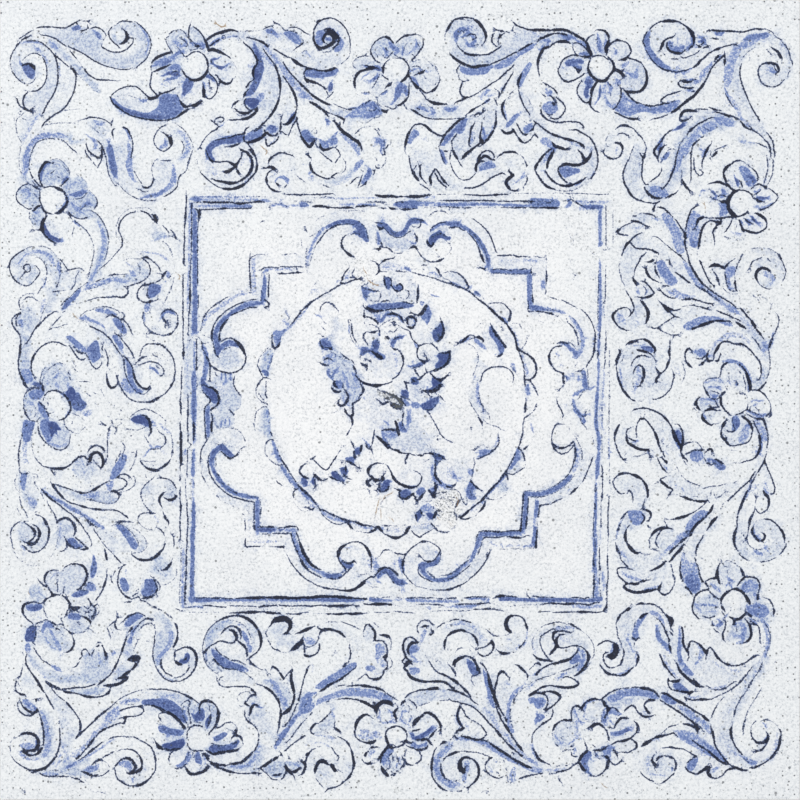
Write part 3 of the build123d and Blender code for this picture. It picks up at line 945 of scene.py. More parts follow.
def right_fan_leaf():
    """The fan of leaves under the third flower's stem."""
    tint("686,130 694,122 706,116 720,114 732,118 736,126 724,128 714,130 704,136 696,142 690,150 688,166 "
        "682,180 672,190 664,198 650,196 644,186 656,184 666,178 672,168 674,156 678,144", 0.55)
    tint("680,114 690,110 704,109 716,112 704,118 690,122 682,122", 0.4)
    tint("732,138 746,140 760,144 768,150 771,160 768,176 762,188 766,168 768,158 760,148 744,144", 0.35)
    pen("680,118,2.4 681,115 684,111 689,110.5 694,111,2.6 699,111.5,1.8", 3.2)
    pen("695,109 702,109,1.8 708,109.5,2", 1.4, 0.85)
    pen("709,107 713,109,3.4 717,110 721,110,1.6", 2.4)
    faint("705,113 712,114", 1.2)
    pen("679,120 683,121,2.4 688,119 692,117,1.6", 2, 0.8)
    brush("682,117 688,117,3 692,117", 2, 0.35)
    brush("676,129 680,127 685,124", 4, 0.95)
    pen("670,131 666,134 663,138,3 661,142 657,146 654,151 655,155 658,158,2.8|664,146,1.4 661,149,2.8 "
        "659,154 658,160,1.8 660,165,1.4", 2.4)
    brush("662,139 660,144,5 658,150,4", 3, 0.75)
    brush("669,152 666,156,5 662,160", 3, 0.72)
    pen("668,150,1.4 664,156 661,163,1.2|673,149 676,150", 1.6, 0.7)
    pen("693,128,1.4 698,124 704,121 710,118 714,117,1.6|687,135,1.6 690,130,1.8", 2)
    faint("683,140 680,144 679,149", 1.4, 0.75)
    pen("678,151,1.4 676,158 675,166,2.2 672,173,2.4 670,179,2.2 667,184 663,188,2.2 659,189", 2)
    brush("716,119 724,121,9 731,124,7 735,124,3", 6, 0.5)
    fill("692,134 697,128 704,124 712,121 718,123 716,129 709,132 703,135 697,140 692,145 689,152 684,158 "
        "680,158 682,148 687,140", 0.44)
    brush("709,128 711,131", 3, 0.8)
    pen("705,128 709,130 712,132", 1.6, 0.7)
    pen("704,136,1.6 699,140,2.2 694,144,2.2 692,149 691,156 691,164 691,172,1.8 691,180,1.8", 2, 0.95)
    faint("686,155 690,152", 1.2)
    brush("683,146,3 680,156 677,166 673,172,4", 6, 0.45)
    pen("711,144 708,148,2.4 706,152,2.8 704,157,2.4 702,163 702,168,1.4", 1.6)
    brush("702,150 706,152,4 703,156", 3, 0.7)
    pen("694,158,1.4 694,166,1.6 696,172 700,176 703,173 701,170,1.4", 1.8, 0.9)
    pen("711,152,1.4 710,157 710,160|712,157,2.4 716,153,2.8 718,151,1.8", 1.6)
    faint("715,150 719,148 723,147 727,145", 1.5, 0.8)
    brush("722,147 726,146", 2, 0.6)
    faint("728,145 734,144 739,142")
    brush("740,142 748,142 754,143", 3, 0.4)
    pen("757,143 762,145,1.8 767,148,2", 1.6, 0.8)
    pen("640,153 643,160 642,170,2.2 642,178,2 645,184,2.4 648,184.5,2", 1.6, 0.95)
    pen("645,152 643,160,1.6 642,168,1.8", 1.4, 0.8)
    pen("650,182 654,179 658,176 661,172,1.4 662,167,1.2", 1.8, 0.9)
    fill("650,187 658,186 666,190 668,196 662,198 654,197 649,193", 0.5)
    pen("644,187 647,192,2.8 651,196,3 656,198,3 662,198,2.2|666,198,2.2 671,196,2.4|674,194 677,192,1.6", 2)
    faint("679,189 681,184 681,178 682,173", 1.3, 0.6)
    pen("682,180 684,184 687,188,2.8 689,190,2", 3, 0.95)
    pen("682,171 682,176,2", 1.8, 0.8)
    pen("645,202 650,203,2 656,203,1.8 661,201,1.4", 1.6)


def right_first_flower():
    """The first flower of the right border."""
    tint("724,172 730,164 738,160 748,162 756,172 758,182 750,190 738,190 728,186", 0.32)
    tint("702,190 712,184 722,186 730,190 728,200 718,202 706,198 700,196", 0.35)
    tint("754,186 762,186 772,192 777,198 770,206 760,210 754,202", 0.3)
    tint("752,216 762,214 768,222 766,230 756,232 748,228", 0.25)
    tint("712,222 724,220 738,222 744,232 742,240 730,242 718,240", 0.15)
    wipe("733,193 738,190 744,190 750,195 754,203 751,210 746,215 739,216 734,212 731,204 731,197", "wash")
    pen("752,196,1.2 750,193,1.6 746,191,1.8 741,190,1.6 736,191,2.2 732,194,2.8 729,199,3.6 728,205 "
        "730,211 734,215 737,217,2.6|738,217,1.4 743,215,2 748,212,2", 4)
    pen("752,196 754,200,1.6", 1.2, 0.8)
    pen("731,164,2.4 727,167,3 724,171,3.2 724,176,3 726,181,2.4 729,186,2.2 733,190|732,164 735,161 "
        "741,160", 2)
    faint("744,162 748,165 752,168", 1.4, 0.7)
    pen("754,170 757,173,2.4 758,178,2.4 757,181", 2.2, 0.9)
    fill("739,167 744,166 749,169 752,174 756,178 757,182 752,186 747,186 744,180 741,174", 0.6)
    brush("750,177 754,181,4 752,184,3", 2, 0.85)
    brush("735,178 738,183,4 738,186", 2, 0.9)
    pen("738,179 741,183,2.4 743,188", 2, 0.7)
    brush("729,180 733,186,3", 2, 0.35)
    pen("741,179 740,177", 1.3, 0.6)
    pen("708,184,1.4 712,183,1.8 718,182 724,184 729,187,2", 2.6)
    brush("702,190 705,191,2", 3, 0.7)
    brush("713,192 716,195,3", 4, 0.85)
    brush("712,199 716,198", 3, 0.7)
    brush("722,189 724,193,5 722,197,4", 3, 0.65)
    pen("710,190 714,194 718,192", 1.6, 0.7)
    pen("711,197 715,200,2.4 719,200,1.6", 2, 0.8)
    pen("719,196,1.8 723,195 726,197,2 729,198", 2.2, 0.9)
    pen("720,201 724,202,3.6 728,201", 3)
    brush("700,195 701,191,2", 3, 0.4)
    fill("718,203 727,203 729,210 727,214 722,217 719,213 721,208", 0.6)
    brush("722,205 726,212", 4, 0.45)
    pen("709,218 716,218,2.4 724,218,2.8 730,217,2.6 734,219,2", 1.6)
    pen("731,216 734,219", 1.8, 0.9)
    pen("732,220,1.6 730,225 726,231", 2)
    pen("722,219 720,222", 1.4, 0.8)
    pen("716,222 720,223,3.2 722,222,2.4|718,225,2 715,228 713,232,2.4 714,238,2 715,242,1.4", 2.6)
    pen("714,230 717,228", 2, 0.8)
    brush("740,221 742,224,4", 3, 0.6)
    pen("739,220 741,225,2.8 743,230,2.8 745,232", 2)
    faint("737,224 736,228 733,231", 1.3, 0.7)
    brush("735,233 742,234", 2, 0.4)
    pen("729,238 731,238,1.8", 2.4, 0.8)
    faint("732,240 738,240 742,240", 1.6, 0.4)
    pen("745,236 746,234", 1.8, 0.6)
    brush("733,233 739,236,3 745,233", 2, 0.3)
    pen("745,230 750,232 757,233,2 762,231,1.8 766,228,1.8 767,226,1.4|755,213,2.2 760,215,3 765,219,2.8 "
        "768,224,1.8|745,219,2 749,222,3 753,224", 2.4)
    brush("746,220 750,223,4|751,216 754,220,4 758,223", 3, 0.9)
    pen("751,217 755,222,2", 1.8, 0.7)
    pen("751,189 755,186,2 759,184,2.2 763,186,1.8 767,187", 1.6)
    pen("764,187 766,189", 2, 0.8)
    pen("770,189,1.4 775,193 778,197 775,202 770,206,2 764,209,2 760,210,2", 1.6, 0.9)
    brush("762,209,4 768,206 773,203", 3, 0.5)
    brush("756,193 759,191,3", 4, 0.7)
    pen("754,195 757,193,2.8 760,191,1.8", 2.4, 0.9)
    brush("757,198 762,199,5 766,198,3", 4, 0.85)
    pen("755,198 759,201,3 763,202", 1.8, 0.85)
    brush("756,206 761,209", 4, 0.35)


def right_flower_stem():
    """The stem under the right border's first flower, and the line beside it that climbs to the corner."""
    faint("767,158 768,168 766,176 764,184|773,160 773,170 771,178 768,184 766,188", 1.8, 0.75)
    brush("766,178 764,184,3", 4, 0.4)
    fill("693,211 699,214 706,217 701,220 696,224 699,228 699,236 699,244 694,247 690,243 687,236 686,228 "
        "688,219", 0.46)
    pen("695,207,1.6 691,210 689,216,2 687,222 686,229 686,238 685,243,1.4|704,217,2.2 699,219,2.8 "
        "697,223,2.6 695,228", 1.8)
    brush("691,240 694,246 698,243,3", 4, 0.65)
    pen("709,218 704,217,1.8", 1.6, 0.8)
    pen("715,221,1.2 710,221,1.6 706,223 703,227,2.6 701,232 700,237,2.6 699,243,3 699,248,2", 2.4, 0.95)
    faint("698,250 697,256 697,260", 1.3)
    fill("661,215 667,213 673,219 679,229 683,238 684,250 682,254 677,252 673,243 670,232 664,222", 0.46)
    brush("665,219 668,224,5 671,229", 4, 0.4)
    pen("658,207 663,208,2.4 668,212,2.2 675,219,1.4 680,226,1.8 684,233 685,241,2.4 686,249,1.8 "
        "688,256,2.4 690,264,2.4 695,273,2.4 701,282 708,288 716,294 724,299 731,303,1.6 738,309,1.4", 2)
    pen("685,236 685,244", 2.6, 0.9)
    pen("656,204,1.4 654,207 653,211,3.4|700,261 703,268,2 707,277,2 710,282,2.2 713,285,1.6", 2.4)
    brush("684,262,3 689,270,5 694,278 700,286 708,291,5 716,297 722,302,4", 6, 0.46)
    brush("700,286 708,291,4 718,298", 3, 0.45)
    pen("694,284,1.4 700,288 706,291,2.6 711,295,2.4 717,299 720,302,1.6", 2.2, 0.8)
    faint("664,243 670,248 674,251 680,256 686,262", 1.4, 0.75)
    pen("657,237,2.4 660,239,1.6|680,256 681,255", 2.6)
    pen("653,236 655,235", 1.8, 0.8)
    pen("675,272,1.4 682,277 687,281 692,284,1.6", 2.2)
    brush("726,305 732,309,7 736,312", 5, 0.4)
    tint("684,256 690,266 700,280 716,292 730,302 742,312 730,312 716,304 702,294 690,280", 0.3)


def right_bell_leaf():
    """The small bell-shaped leaf right of the long stem."""
    pen("709,267,1.6 714,265,3 720,266,3.2 724,269|724,269 727,265 730,262,2", 2.4)
    pen("733,260 736,258,2 738,257,1.4", 1.6, 0.6)
    faint("713,271 716,275 718,281 720,287", 2, 0.75)
    pen("716,274 718,280,2.4 720,285,2", 1.6, 0.85)
    fill("726,268 733,266 736,268 735,275 730,278 731,284 734,289 731,291 727,288 726,280 725,273", 0.5)
    pen("725,272,1.4 726,280 728,287 732,291,2.2 736,291", 2, 0.8)
    pen("735,281 735,285,2.8 737,291,1.6", 2.4, 0.9)
    faint("740,257 743,254 739,262 737,267 734,275", 1.5, 0.7)
    pen("723,288 725,290", 2, 0.7)
    faint("727,292 733,294 738,294 740,299", 1.4, 0.6)
    tint("724,268 736,262 744,254 740,266 736,278 738,290 730,292 725,284", 0.3)


def right_ring_scroll():
    """The wide faint scroll at the outer edge of the right border."""
    tint("750,250 764,247 776,252 784,264 785,278 778,286 766,288 758,284 764,280 772,276 772,268 764,264 "
        "756,270 750,264 756,258 766,258 774,262 766,256 754,256", 0.35)
    faint("750,249 757,248 764,248 771,249", 1.3, 0.65)
    pen("772,250 774,251", 2, 0.6)
    faint("777,253 781,259 784,266 786,272 784,279 782,282", 1.7, 0.8)
    pen("780,254 782,255", 2.6, 0.5)
    pen("756,260 760,258,1.6 764,258", 1.4, 0.8)
    pen("768,259 771,263", 1.8, 0.7)
    pen("750,267 752,262 754,261,1.6", 2, 0.9)
    pen("756,278,2.6 756,274 758,270 762,268,3 767,269,3 771,272,2.2", 3.4, 0.95)
    brush("763,272 769,275,4 774,279,4 770,284,3|764,275 769,279", 2, 0.4)
    pen("759,284 763,287 768,289 771,289", 1.6, 0.8)
    faint("753,295 757,298 763,297 768,301", 1.5)
    pen("753,296 758,300", 1.6, 0.6)
    faint("757,294 763,295", 1.2)


def top_ring_scrolls():
    """The two open rings under the left half of the top border."""
    tint("203,164 208,152 216,150 213,160 226,164 236,168 232,174 224,180 244,180 252,168 250,154 256,164 "
        "254,178 244,188 230,190 214,186 205,178", 0.3)
    pen("197,160 198,166", 1.6, 0.5)
    pen("201,173,1.3 206,178,1.6 212,183,1.5 218,187,1.4 223,188,1.2|213,179,1.8 217,181,2.4 222,181.5,2.6 "
        "228,183,3.6 234,183,3.6 240,181 246,177,2.8 250,172,2.8 252,167 252,161,3.2 250,156,3.2 "
        "246,152,2.8 240,149,2.4|226,189 232,189,3.2 238,187.5,3.2 243,185 248,181,2.2 252,176,1.6|"
        "252,177,1.4 256,171,2.2 257,164,2.2 255,156,2.2 250,150,2", 3)
    brush("243,184 249,179 252,174,2", 3, 0.4)
    pen("241,150,2 242,155,2.6 239,161,2.8 236,165,2.8 232,169 228,172,3.8 225,172,3.4|213,161,1.4 "
        "219,162,1.6 226,161.5,2.4 231,163 235,166 237,170,2.4 239,174", 3)
    brush("250,158 252,165 249,173,2", 3, 0.5)
    brush("210,168 218,175", 6, 0.18)
    brush("244,160 241,166,3", 4, 0.25)
    tint("268,166 274,156 284,153 294,158 298,168 294,178 288,188 280,192 270,188 268,178 276,170", 0.18)
    pen("268,164,2 270,159,2.6 275,155,2.6 281,152.5,2.6 287,154,2 294,156,1.4|266,168 271,167 275,169 "
        "277,170,2|272,170,1.4 268,173,1.8 266.5,178 267,183,2.2 270,188 275,191,2.2 280,192,1.4", 2.4)
    brush("275,181 278,178 283,177,4 287,180,5 287,184", 3, 0.55)
    pen("276,183 279,186", 2, 0.85)
    pen("285,187 287,184", 2.2, 0.9)
    brush("273,176 275,174", 3, 0.35)
    faint("287,171 295,170", 1.2)
    pen("297,176 301,179,1.6 305,182", 1.4, 0.6)
    pen("296,160 298,161", 1.6, 0.5)


def top_left_inner_tail():
    """The tail of the left-hand curl that runs down to the frame's corner."""
    pen("161,160.5 168,160.5,1.8 173,160", 1.4, 0.8)
    pen("172,158.5 176,158", 1.3, 0.6)
    faint("153,167 154,162 158,158", 1.2)
    faint("192,152 190,158 188,165 186,171 181,175", 1.5, 0.7)
    pen("190,157 188,165,1.8", 1.6, 0.7)
    pen("180,175,1.4 178,181 177,187,1.8 172,192,1.8 167,195 164,197,2", 1.6)
    brush("173,167,4 174,174 173,181,6 169,187 163,191 157,195 151,197,3", 5, 0.48)
    tint("156,162 166,160 176,162 178,172 174,184 166,190 158,194 154,184 154,172", 0.25)
    faint("151,200 156,202", 1.6, 0.4)


def top_middle_lower_leaves():
    """Under the long stem of the top border: two blue leaf tips, a ring and the band on its right."""
    fill("302,131 308,130 312,137 313,140 309,142 303,139 301,134", 0.72)
    pen("300,136 305,142,2.6 309,147,3 313,143,2.6 315,139", 2)
    brush("308,141 313,139,5", 3, 0.95)
    pen("309,141 313,138 312,143", 2, 0.6)
    faint("312,131 314,129 317,131 316,134 313,135", 1.4)
    pen("314,139 316,144 318,149", 1.5, 0.7)
    fill("319,138 324,141 329,139 332,136 336,132 339,131 336,136 338,140 337,144 331,146 326,148 321,148 "
        "320,143", 0.6)
    pen("320,144,2 321,148 325,150 331,148,2.4 333,147,1.6", 2.8)
    pen("331,149 335,147 337,146", 1.4, 0.6)
    pen("335,122,2 339,127 343,132,3.8 348,135,3.6 353,139 358,142 361,147,2.8 363,152,2.2|340,122,1.6 "
        "340,127,2.4", 3.2)
    brush("341,133,4 347,139 353,145 357,150 359,156,4", 5, 0.42)
    brush("352,142 358,147", 5, 0.4)
    brush("326,119 328,122,3.5", 3, 0.8)
    pen("356,133 359,130,2.2", 2, 0.9)
    faint("359,129 364,127 370,126 375,127", 1.1, 0.45)
    pen("375,129 377,131", 1.7, 0.8)
    pen("378,128 380,131", 1.5, 0.7)
    pen("379,134 380,136,2", 3, 0.8)
    pen("386,134 388,134", 2, 0.6)
    brush("379,141 382,142,7 383,147", 5, 0.65)
    brush("381,151 382,154,3", 4, 0.6)
    pen("384,140 385,146", 1.6, 0.7)
    pen("386,148,2 389,144,2.4|391,143 391,143.6", 2.2)
    pen("384,150 385,154 382,155", 2.4, 0.9)
    faint("386,157 385,163 381,168", 1.4, 0.6)
    pen("375,165,1.4 377,168,1.8 381,168,1.6|377,160 378,161", 2, 0.8)
    pen("377,164 380,166", 2, 0.6)
    pen("309,156.5 312,159,2.4|310,163,2.8 311,168,2.6 313,172 317,175,1.8 320,176,1.4", 2.2)
    brush("309,172 312,177,5", 4, 0.4)
    pen("320,152,1 326,157 331,161 333,163,1.2", 1.8, 0.9)
    pen("336,148 339,152,1.6 340,156,1.6 337,160 335,163,1.2", 1.4, 0.85)
    pen("324,178 328,179,2.8 332,176,2.4 337,173", 2)
    pen("331,178 335,178", 1.6, 0.8)
    pen("344,160 346,164 345,170,1.6 342,173,1.2", 1.8, 0.75)
    tint("312,178 324,184 336,184 346,180 354,174 352,166 346,172 336,178 324,180 314,176", 0.55)
    brush("330,186 344,181,5 352,174,4", 2, 0.22)
    fill("354,167 357,162 362,159 364,161 361,166 357,171 354,172", 0.55)
    pen("323,185 327,186.5,1.8 331,188,1.2", 1.4, 0.8)
    fill("370,167 372,171 371,176 367,182 364,185 361,184 363,178 366,173 369,170", 0.62)
    brush("370,169 368,173", 3, 0.8)
    pen("362,176 360,181,1.8 358,187,2", 1.4, 0.9)
    pen("362,186 365,184,2.4 367,181", 1.6, 0.95)
    pen("371,172 375,170 373,176", 1.6, 0.8)
    pen("350,184 353,181,2 357,177", 1.6, 0.9)
    pen("361,170 364,172", 1.5, 0.7)
    faint("355,193 358,187", 1.1, 0.4)
    brush("302,164 308,166", 2, 0.3)


def top_right_of_middle_fan():
    """Right of the middle flower: a wavy outline, its blue leaves and the dark ribs that fan out below."""
    pen("405,146,3 406,141,3 408,135,2.6 411,129,2 415,125,1.8 420,124,1.8 426,126 430,130 436,134 442,136 "
        "445,134,2 450,129,2.4 456,123,2.8 460,120 466,117,1.6", 2.2)
    fill("411,133 414,129 419,132 419,135 414,139 411,144 408,143 409,138", 0.55)
    brush("420,139 423,139", 3, 0.3)
    faint("410,147 413,150 414,155", 1.4)
    fill("441,145 444,140 448,135 453,130 458,124 464,119 468,118 466,124 463,130 461,134 456,133 452,137 "
        "448,142 444,146", 0.72)
    brush("446,139 452,133 458,127,5", 4, 0.7)
    pen("439,146 442,140,2.6 446,134", 2, 0.9)
    brush("462,122,4 464,127 462,132", 3, 0.55)
    pen("467,114,1.6 471,111 475,108", 2.2)
    pen("475,115 478,113,3 481,114,2.4 484,110.5,2.2", 2, 0.9)
    pen("476,117 479,116", 1.8, 0.7)
    pen("484,119 485,116", 2, 0.8)
    pen("457,134 453,139,2.2 451,143,1.6", 2, 0.9)
    pen("452,146 454,153,2.4 458,160 462,167,1.4", 2, 0.95)
    pen("474,124 471,129,2.6 470,136,2.8 469,142,2.8 469,147", 2)
    brush("474,131 472,139,4 471,145", 3, 0.4)
    pen("475,135 474,142,1.4", 1, 0.6)
    pen("482,122,1.4 481.5,130,1.8 480,136 482,142,4 484,144", 3)
    brush("483,128,3 484,134 485,139", 4, 0.65)
    pen("496,112,2 496,120,2.4 495,127,2.2 492,133 487,140,3 482,145 478,147,1.8", 2.6)
    brush("493,124,2 491,132 486,138", 3, 0.45)
    pen("462,159 465,155,3 470,151,2.6 475,147,2.2 480,143,2", 2.4)
    pen("465,158 469,154 473,151", 1.6, 0.6)
    pen("481,105 486,102,2.2 491,99,1.8", 2)
    brush("485,103 490,99", 3, 0.6)
    pen("496,102 497,105,2", 2.4, 0.9)
    brush("482,96 486,92 491,89,3", 4, 0.48)
    brush("489,96 494,94", 3, 0.35)
    faint("494,88 499,92 500,96", 1.4, 0.6)
    pen("513,73,1.8 509,79 506,84 503,89,2.6 500,94,2.8 498,99,2.6", 2.2)
    brush("504,87 501,92", 4, 0.4)
    pen("504,102 502,107,3 503,113,2.8 506,120,2.2", 3.2)
    brush("503,104 505,114,4 507,120", 3, 0.45)
    faint("510,96 507,101", 2)
    tint("506,98 514,84 520,96 518,110 512,114 506,112", 0.15)
    brush("507,126,4 511,122 515,117 519,114,3", 5, 0.62)
    pen("502,130 505,133,2.8 510,133,3.2 514,130,2.4|514,130,2 517,136,1.8 521,141,2 525,143,2 530,140,1.6 "
        "534,134,1.5|517,124,1.6 519,128 522,133 525,135,1.8", 2.2)
    fill("523,129 527,124 531,124 534,127 532,131 526,133", 0.62)
    pen("530,131,2.2 533,129,3.4 532,126,1.8|525,135.5 528,134", 2)
    pen("510,94 512,92", 2, 0.7)
    tint("458,120 470,114 484,108 496,104 498,116 496,128 488,140 480,146 470,152 460,160 454,150 452,140 "
        "460,132", 0.42)


def top_right_scrolls():
    """The two ring scrolls under the right half of the top border, and the stem that feeds the second."""
    fill("519,88 518,80 521,73 525,67 529,62 532,64 530,70 526,77 523,83", 0.55)
    pen("522,73,2 519,79 518,85 519,88,2.4", 3, 0.9)
    pen("521,84 523,86", 1.4, 0.6)
    pen("519,93,1.8 521,99 524,106 528,112,2 530,115,1.4", 2.2)
    tint("519,90 527,92 531,102 536,112 541,122 548,130 560,136 574,138 586,142 594,150 597,162 592,176 "
        "580,184 586,170 586,156 580,148 566,144 552,138 542,132 532,122 524,110 520,100", 0.42)
    faint("528,98 531,105 534,111", 1.3, 0.4)
    faint("520,118 525,122 531,126", 1.2)
    pen("530,119 531,121,1.6", 2, 0.7)
    pen("534,121,1.6 538,124,2 544,129,1.8 550,133,2 557,136 563,138,2.2 570,140,2.6 577,142,2.8 582,145,3 "
        "586,150|535,123 534,126|535,134,2 537,137|551,87,1.2 555,90,1.6 558,95,1.5", 2.4)
    brush("546,89,3 549,94 552,92", 5, 0.5)
    pen("543,95 546,97,1.6", 1.8)
    pen("550,96 554,99 557,104,2", 2.6, 0.9)
    fill("544,104 550,101 556,104 558,110 553,114 546,113 542,108", 0.55)
    pen("552,103,3 555,105,2.6|557,98,1.6 562,102 565.5,108 563,114 559,118 554,119 549,117,1.6|541,107,1.6"
        " 541,113,1.8 544,117 548,120,2.2 554,122,2.4 561,122.5,2.2 568,121.5 576,122,1.8 580,123,2.2 "
        "584,127,2.6 581,128.5,1.6", 2)
    pen("545,112 549,115 553,114.5", 1.8, 0.8)
    faint("547,120 543,116 540,112", 1.2, 0.6)
    pen("573,130,1.8 577,130 582,133,1.8 589,137,2 593,142 596,149 598,158,2 597,167,2 594,174"
        " 590,180,1.8", 2.2)
    brush("571,142 578,146 584,152|592,147 590,154", 3, 0.3)
    brush("594,172 590,179", 3, 0.4)
    fill("540,139 546,137 551,141 554,146 551,149 545,146 541,143", 0.45)
    pen("552,142 555,146,3 561,148,3.2 567,150,2.4", 2)
    brush("556,147 552,150,5", 4, 0.7)
    pen("551,149,2.4 545,154,2.6 540,160,2.6 536,166,2.8 535,170,2.2|554,150 551,156,3.6 548,162 547,169", 3)
    brush("550,153 546,158,4 543,164,3", 5, 0.45)
    pen("535,171 539,177,2.4 543,183 548,187 554,189,2|545,171,1.6 549,177 553,181,2.4 560,185,2.6 "
        "568,186,2.6 575,184,2.4 581,181 586,177,1.6", 2.2)
    brush("562,186 570,186 578,183,4 585,178,2", 3, 0.5)
    brush("545,172 548,178,3", 4, 0.3)
    faint("536,173 540,178 545,184", 1.3, 0.4)
    faint("556,190 562,191 568,191 576,189 583,185", 1.6, 0.55)
    pen("561,166,3 566,164 572,165,3.2 578,165 584,163 588,159,3.2 591,154,2.4 592,150,1.8|578,150,1.8 "
        "582,154,2.4 584,160,3.4|560,166,2 558,170,2.2 560,175,2.4 562,178,2 566,182,1.8 571,183,1.6", 3.6)
    fill("560,167 567,166 573,168 580,169 579,173 572,175 566,178 562,175 559,171", 0.66)
    pen("566,170 569,172 571,175", 1.8, 0.5)
    brush("573,173 578,171", 3, 0.4)
    pen("478,160,2.4 480,155 485,151 490,151,2 494,155 495,160,2|478,161,2.6 481,158,2.6 486,156,3 "
        "491,159,2.6 495,160,1.8|476,171,3 476,166,3.2 479,162,2.8 484,161,2.4", 2.2)
    fill("479,168 484,163 489,161 493,163 496,167 490,169 484,170 480,171", 0.62)
    brush("491,161 495,166,3", 2, 0.4)
    pen("498,157,1.6 503,153 509,152 514,152,2.4 518,154,1.4", 2.6)
    faint("521,155 524,159 526,163", 1.3, 0.7)
    pen("526,163 528,168", 2, 0.9)
    pen("509,171,2 512,174 514,175 511,177 508,179,3.2 506,183,3.2 508,187,3.2 510,189,2.6", 2.8)
    brush("506,182 508,187", 4, 0.5)
    pen("511,190 515,191,2 519,189.5,1.6", 1.8)
    pen("524,186 527,181 527,175,1.5", 1.8, 0.9)
    brush("518,181 522,178,3 525,173,4", 2, 0.5)
    pen("450,162,1.4 452,168 455,174 460,179 466,180,1.7 471,178,1.5 477,172,1.4", 1.6, 0.85)
    pen("466,188,1.8 472,188 479,186,2.2 486,182,2.4 491,178,2.2 497,175 502,173,2.2 505,174", 2)
    pen("488,173 490,175", 1.4, 0.6)
    tint("478,172 492,168 504,160 516,156 524,166 526,178 520,186 512,188 510,180 516,174 508,170 496,174 "
        "484,180", 0.3)
    pen("455,188 450,188 445,186", 1.2, 0.3)


def top_right_of_middle_rings():
    """Below the wavy outline: the nested hooks and their dark outlines."""
    tint("412,150 424,152 436,150 444,160 450,172 462,184 472,188 452,190 442,182 434,172 432,184 426,184 "
        "416,176 410,164", 0.35)
    faint("405,151 406,154", 2, 0.6)
    pen("409,156 410,164,1.8 412,171,2.2 415,176,2.6 419,181,2.4", 1.4, 0.9)
    pen("416,166 414,170 415,175", 1.8, 0.85)
    pen("418,163,1.4 420,168,2.4 420,174 423,180 428,185,1.6", 2.2, 0.95)
    pen("421,165 422,164", 2, 0.8)
    pen("420,184 425,187,2 430,191,1.4", 1.6, 0.85)
    pen("431,183,2.8 430,178 432,174,1.8 434,170,2 436,169,2 440,175 444,181 449,186,1.8|435,173,1.8 "
        "438,179,2 442,184 446,187", 2.4)
    pen("439,148 440,151,2.4", 2, 0.9)
    brush("441,151 443,156 445,162,3", 4, 0.82)
    pen("441,154 443,160,2.4 445,164", 2, 0.8)
    pen("444,151 448,151", 2.2)
    pen("451,150 450,157,1.8 450,162", 1.6, 0.8)


def right_small_scroll():
    """The small faint scroll left of the fan of leaves, and its long band."""
    tint("624,176 624,164 630,154 634,146 640,148 642,160 641,178 644,190 654,200 642,200 632,194"
        " 626,186", 0.4)
    tint("606,150 606,138 614,130 624,128 634,134 642,142 644,156 638,150 630,140 620,138 614,144", 0.25)
    pen("616,129 620,126,2.4 626,125.5,2.4 631,127.5", 2, 0.8)
    pen("634,129,1.8 638,134 643,139", 2, 0.9)
    pen("617,135,1.4 622,133 627,135 630,137,1.6", 2, 0.85)
    faint("609,133 606,140 607,146 611,146", 1.4)
    pen("614,143 619,143,3.2 622,146,2.6 622.5,151 620,156,1.8 615,159,1.8 609,158,2.6 604,154"
        " 603,151,1.6", 2, 0.9)
    brush("617,149 616,152,3", 4, 0.35)
    faint("629,160 631,153 634,146", 1.5, 0.7)
    faint("643,140 646,146 646,152 644,160", 1.7, 0.75)
    pen("628,160,1.4 625,167,1.8 623,174 624,182,2.2 627,188 631,195,3.2 636,199,2.6 642,201,1.6", 2.4, 0.95)
    pen("629,138 630,140", 1.8, 0.6)


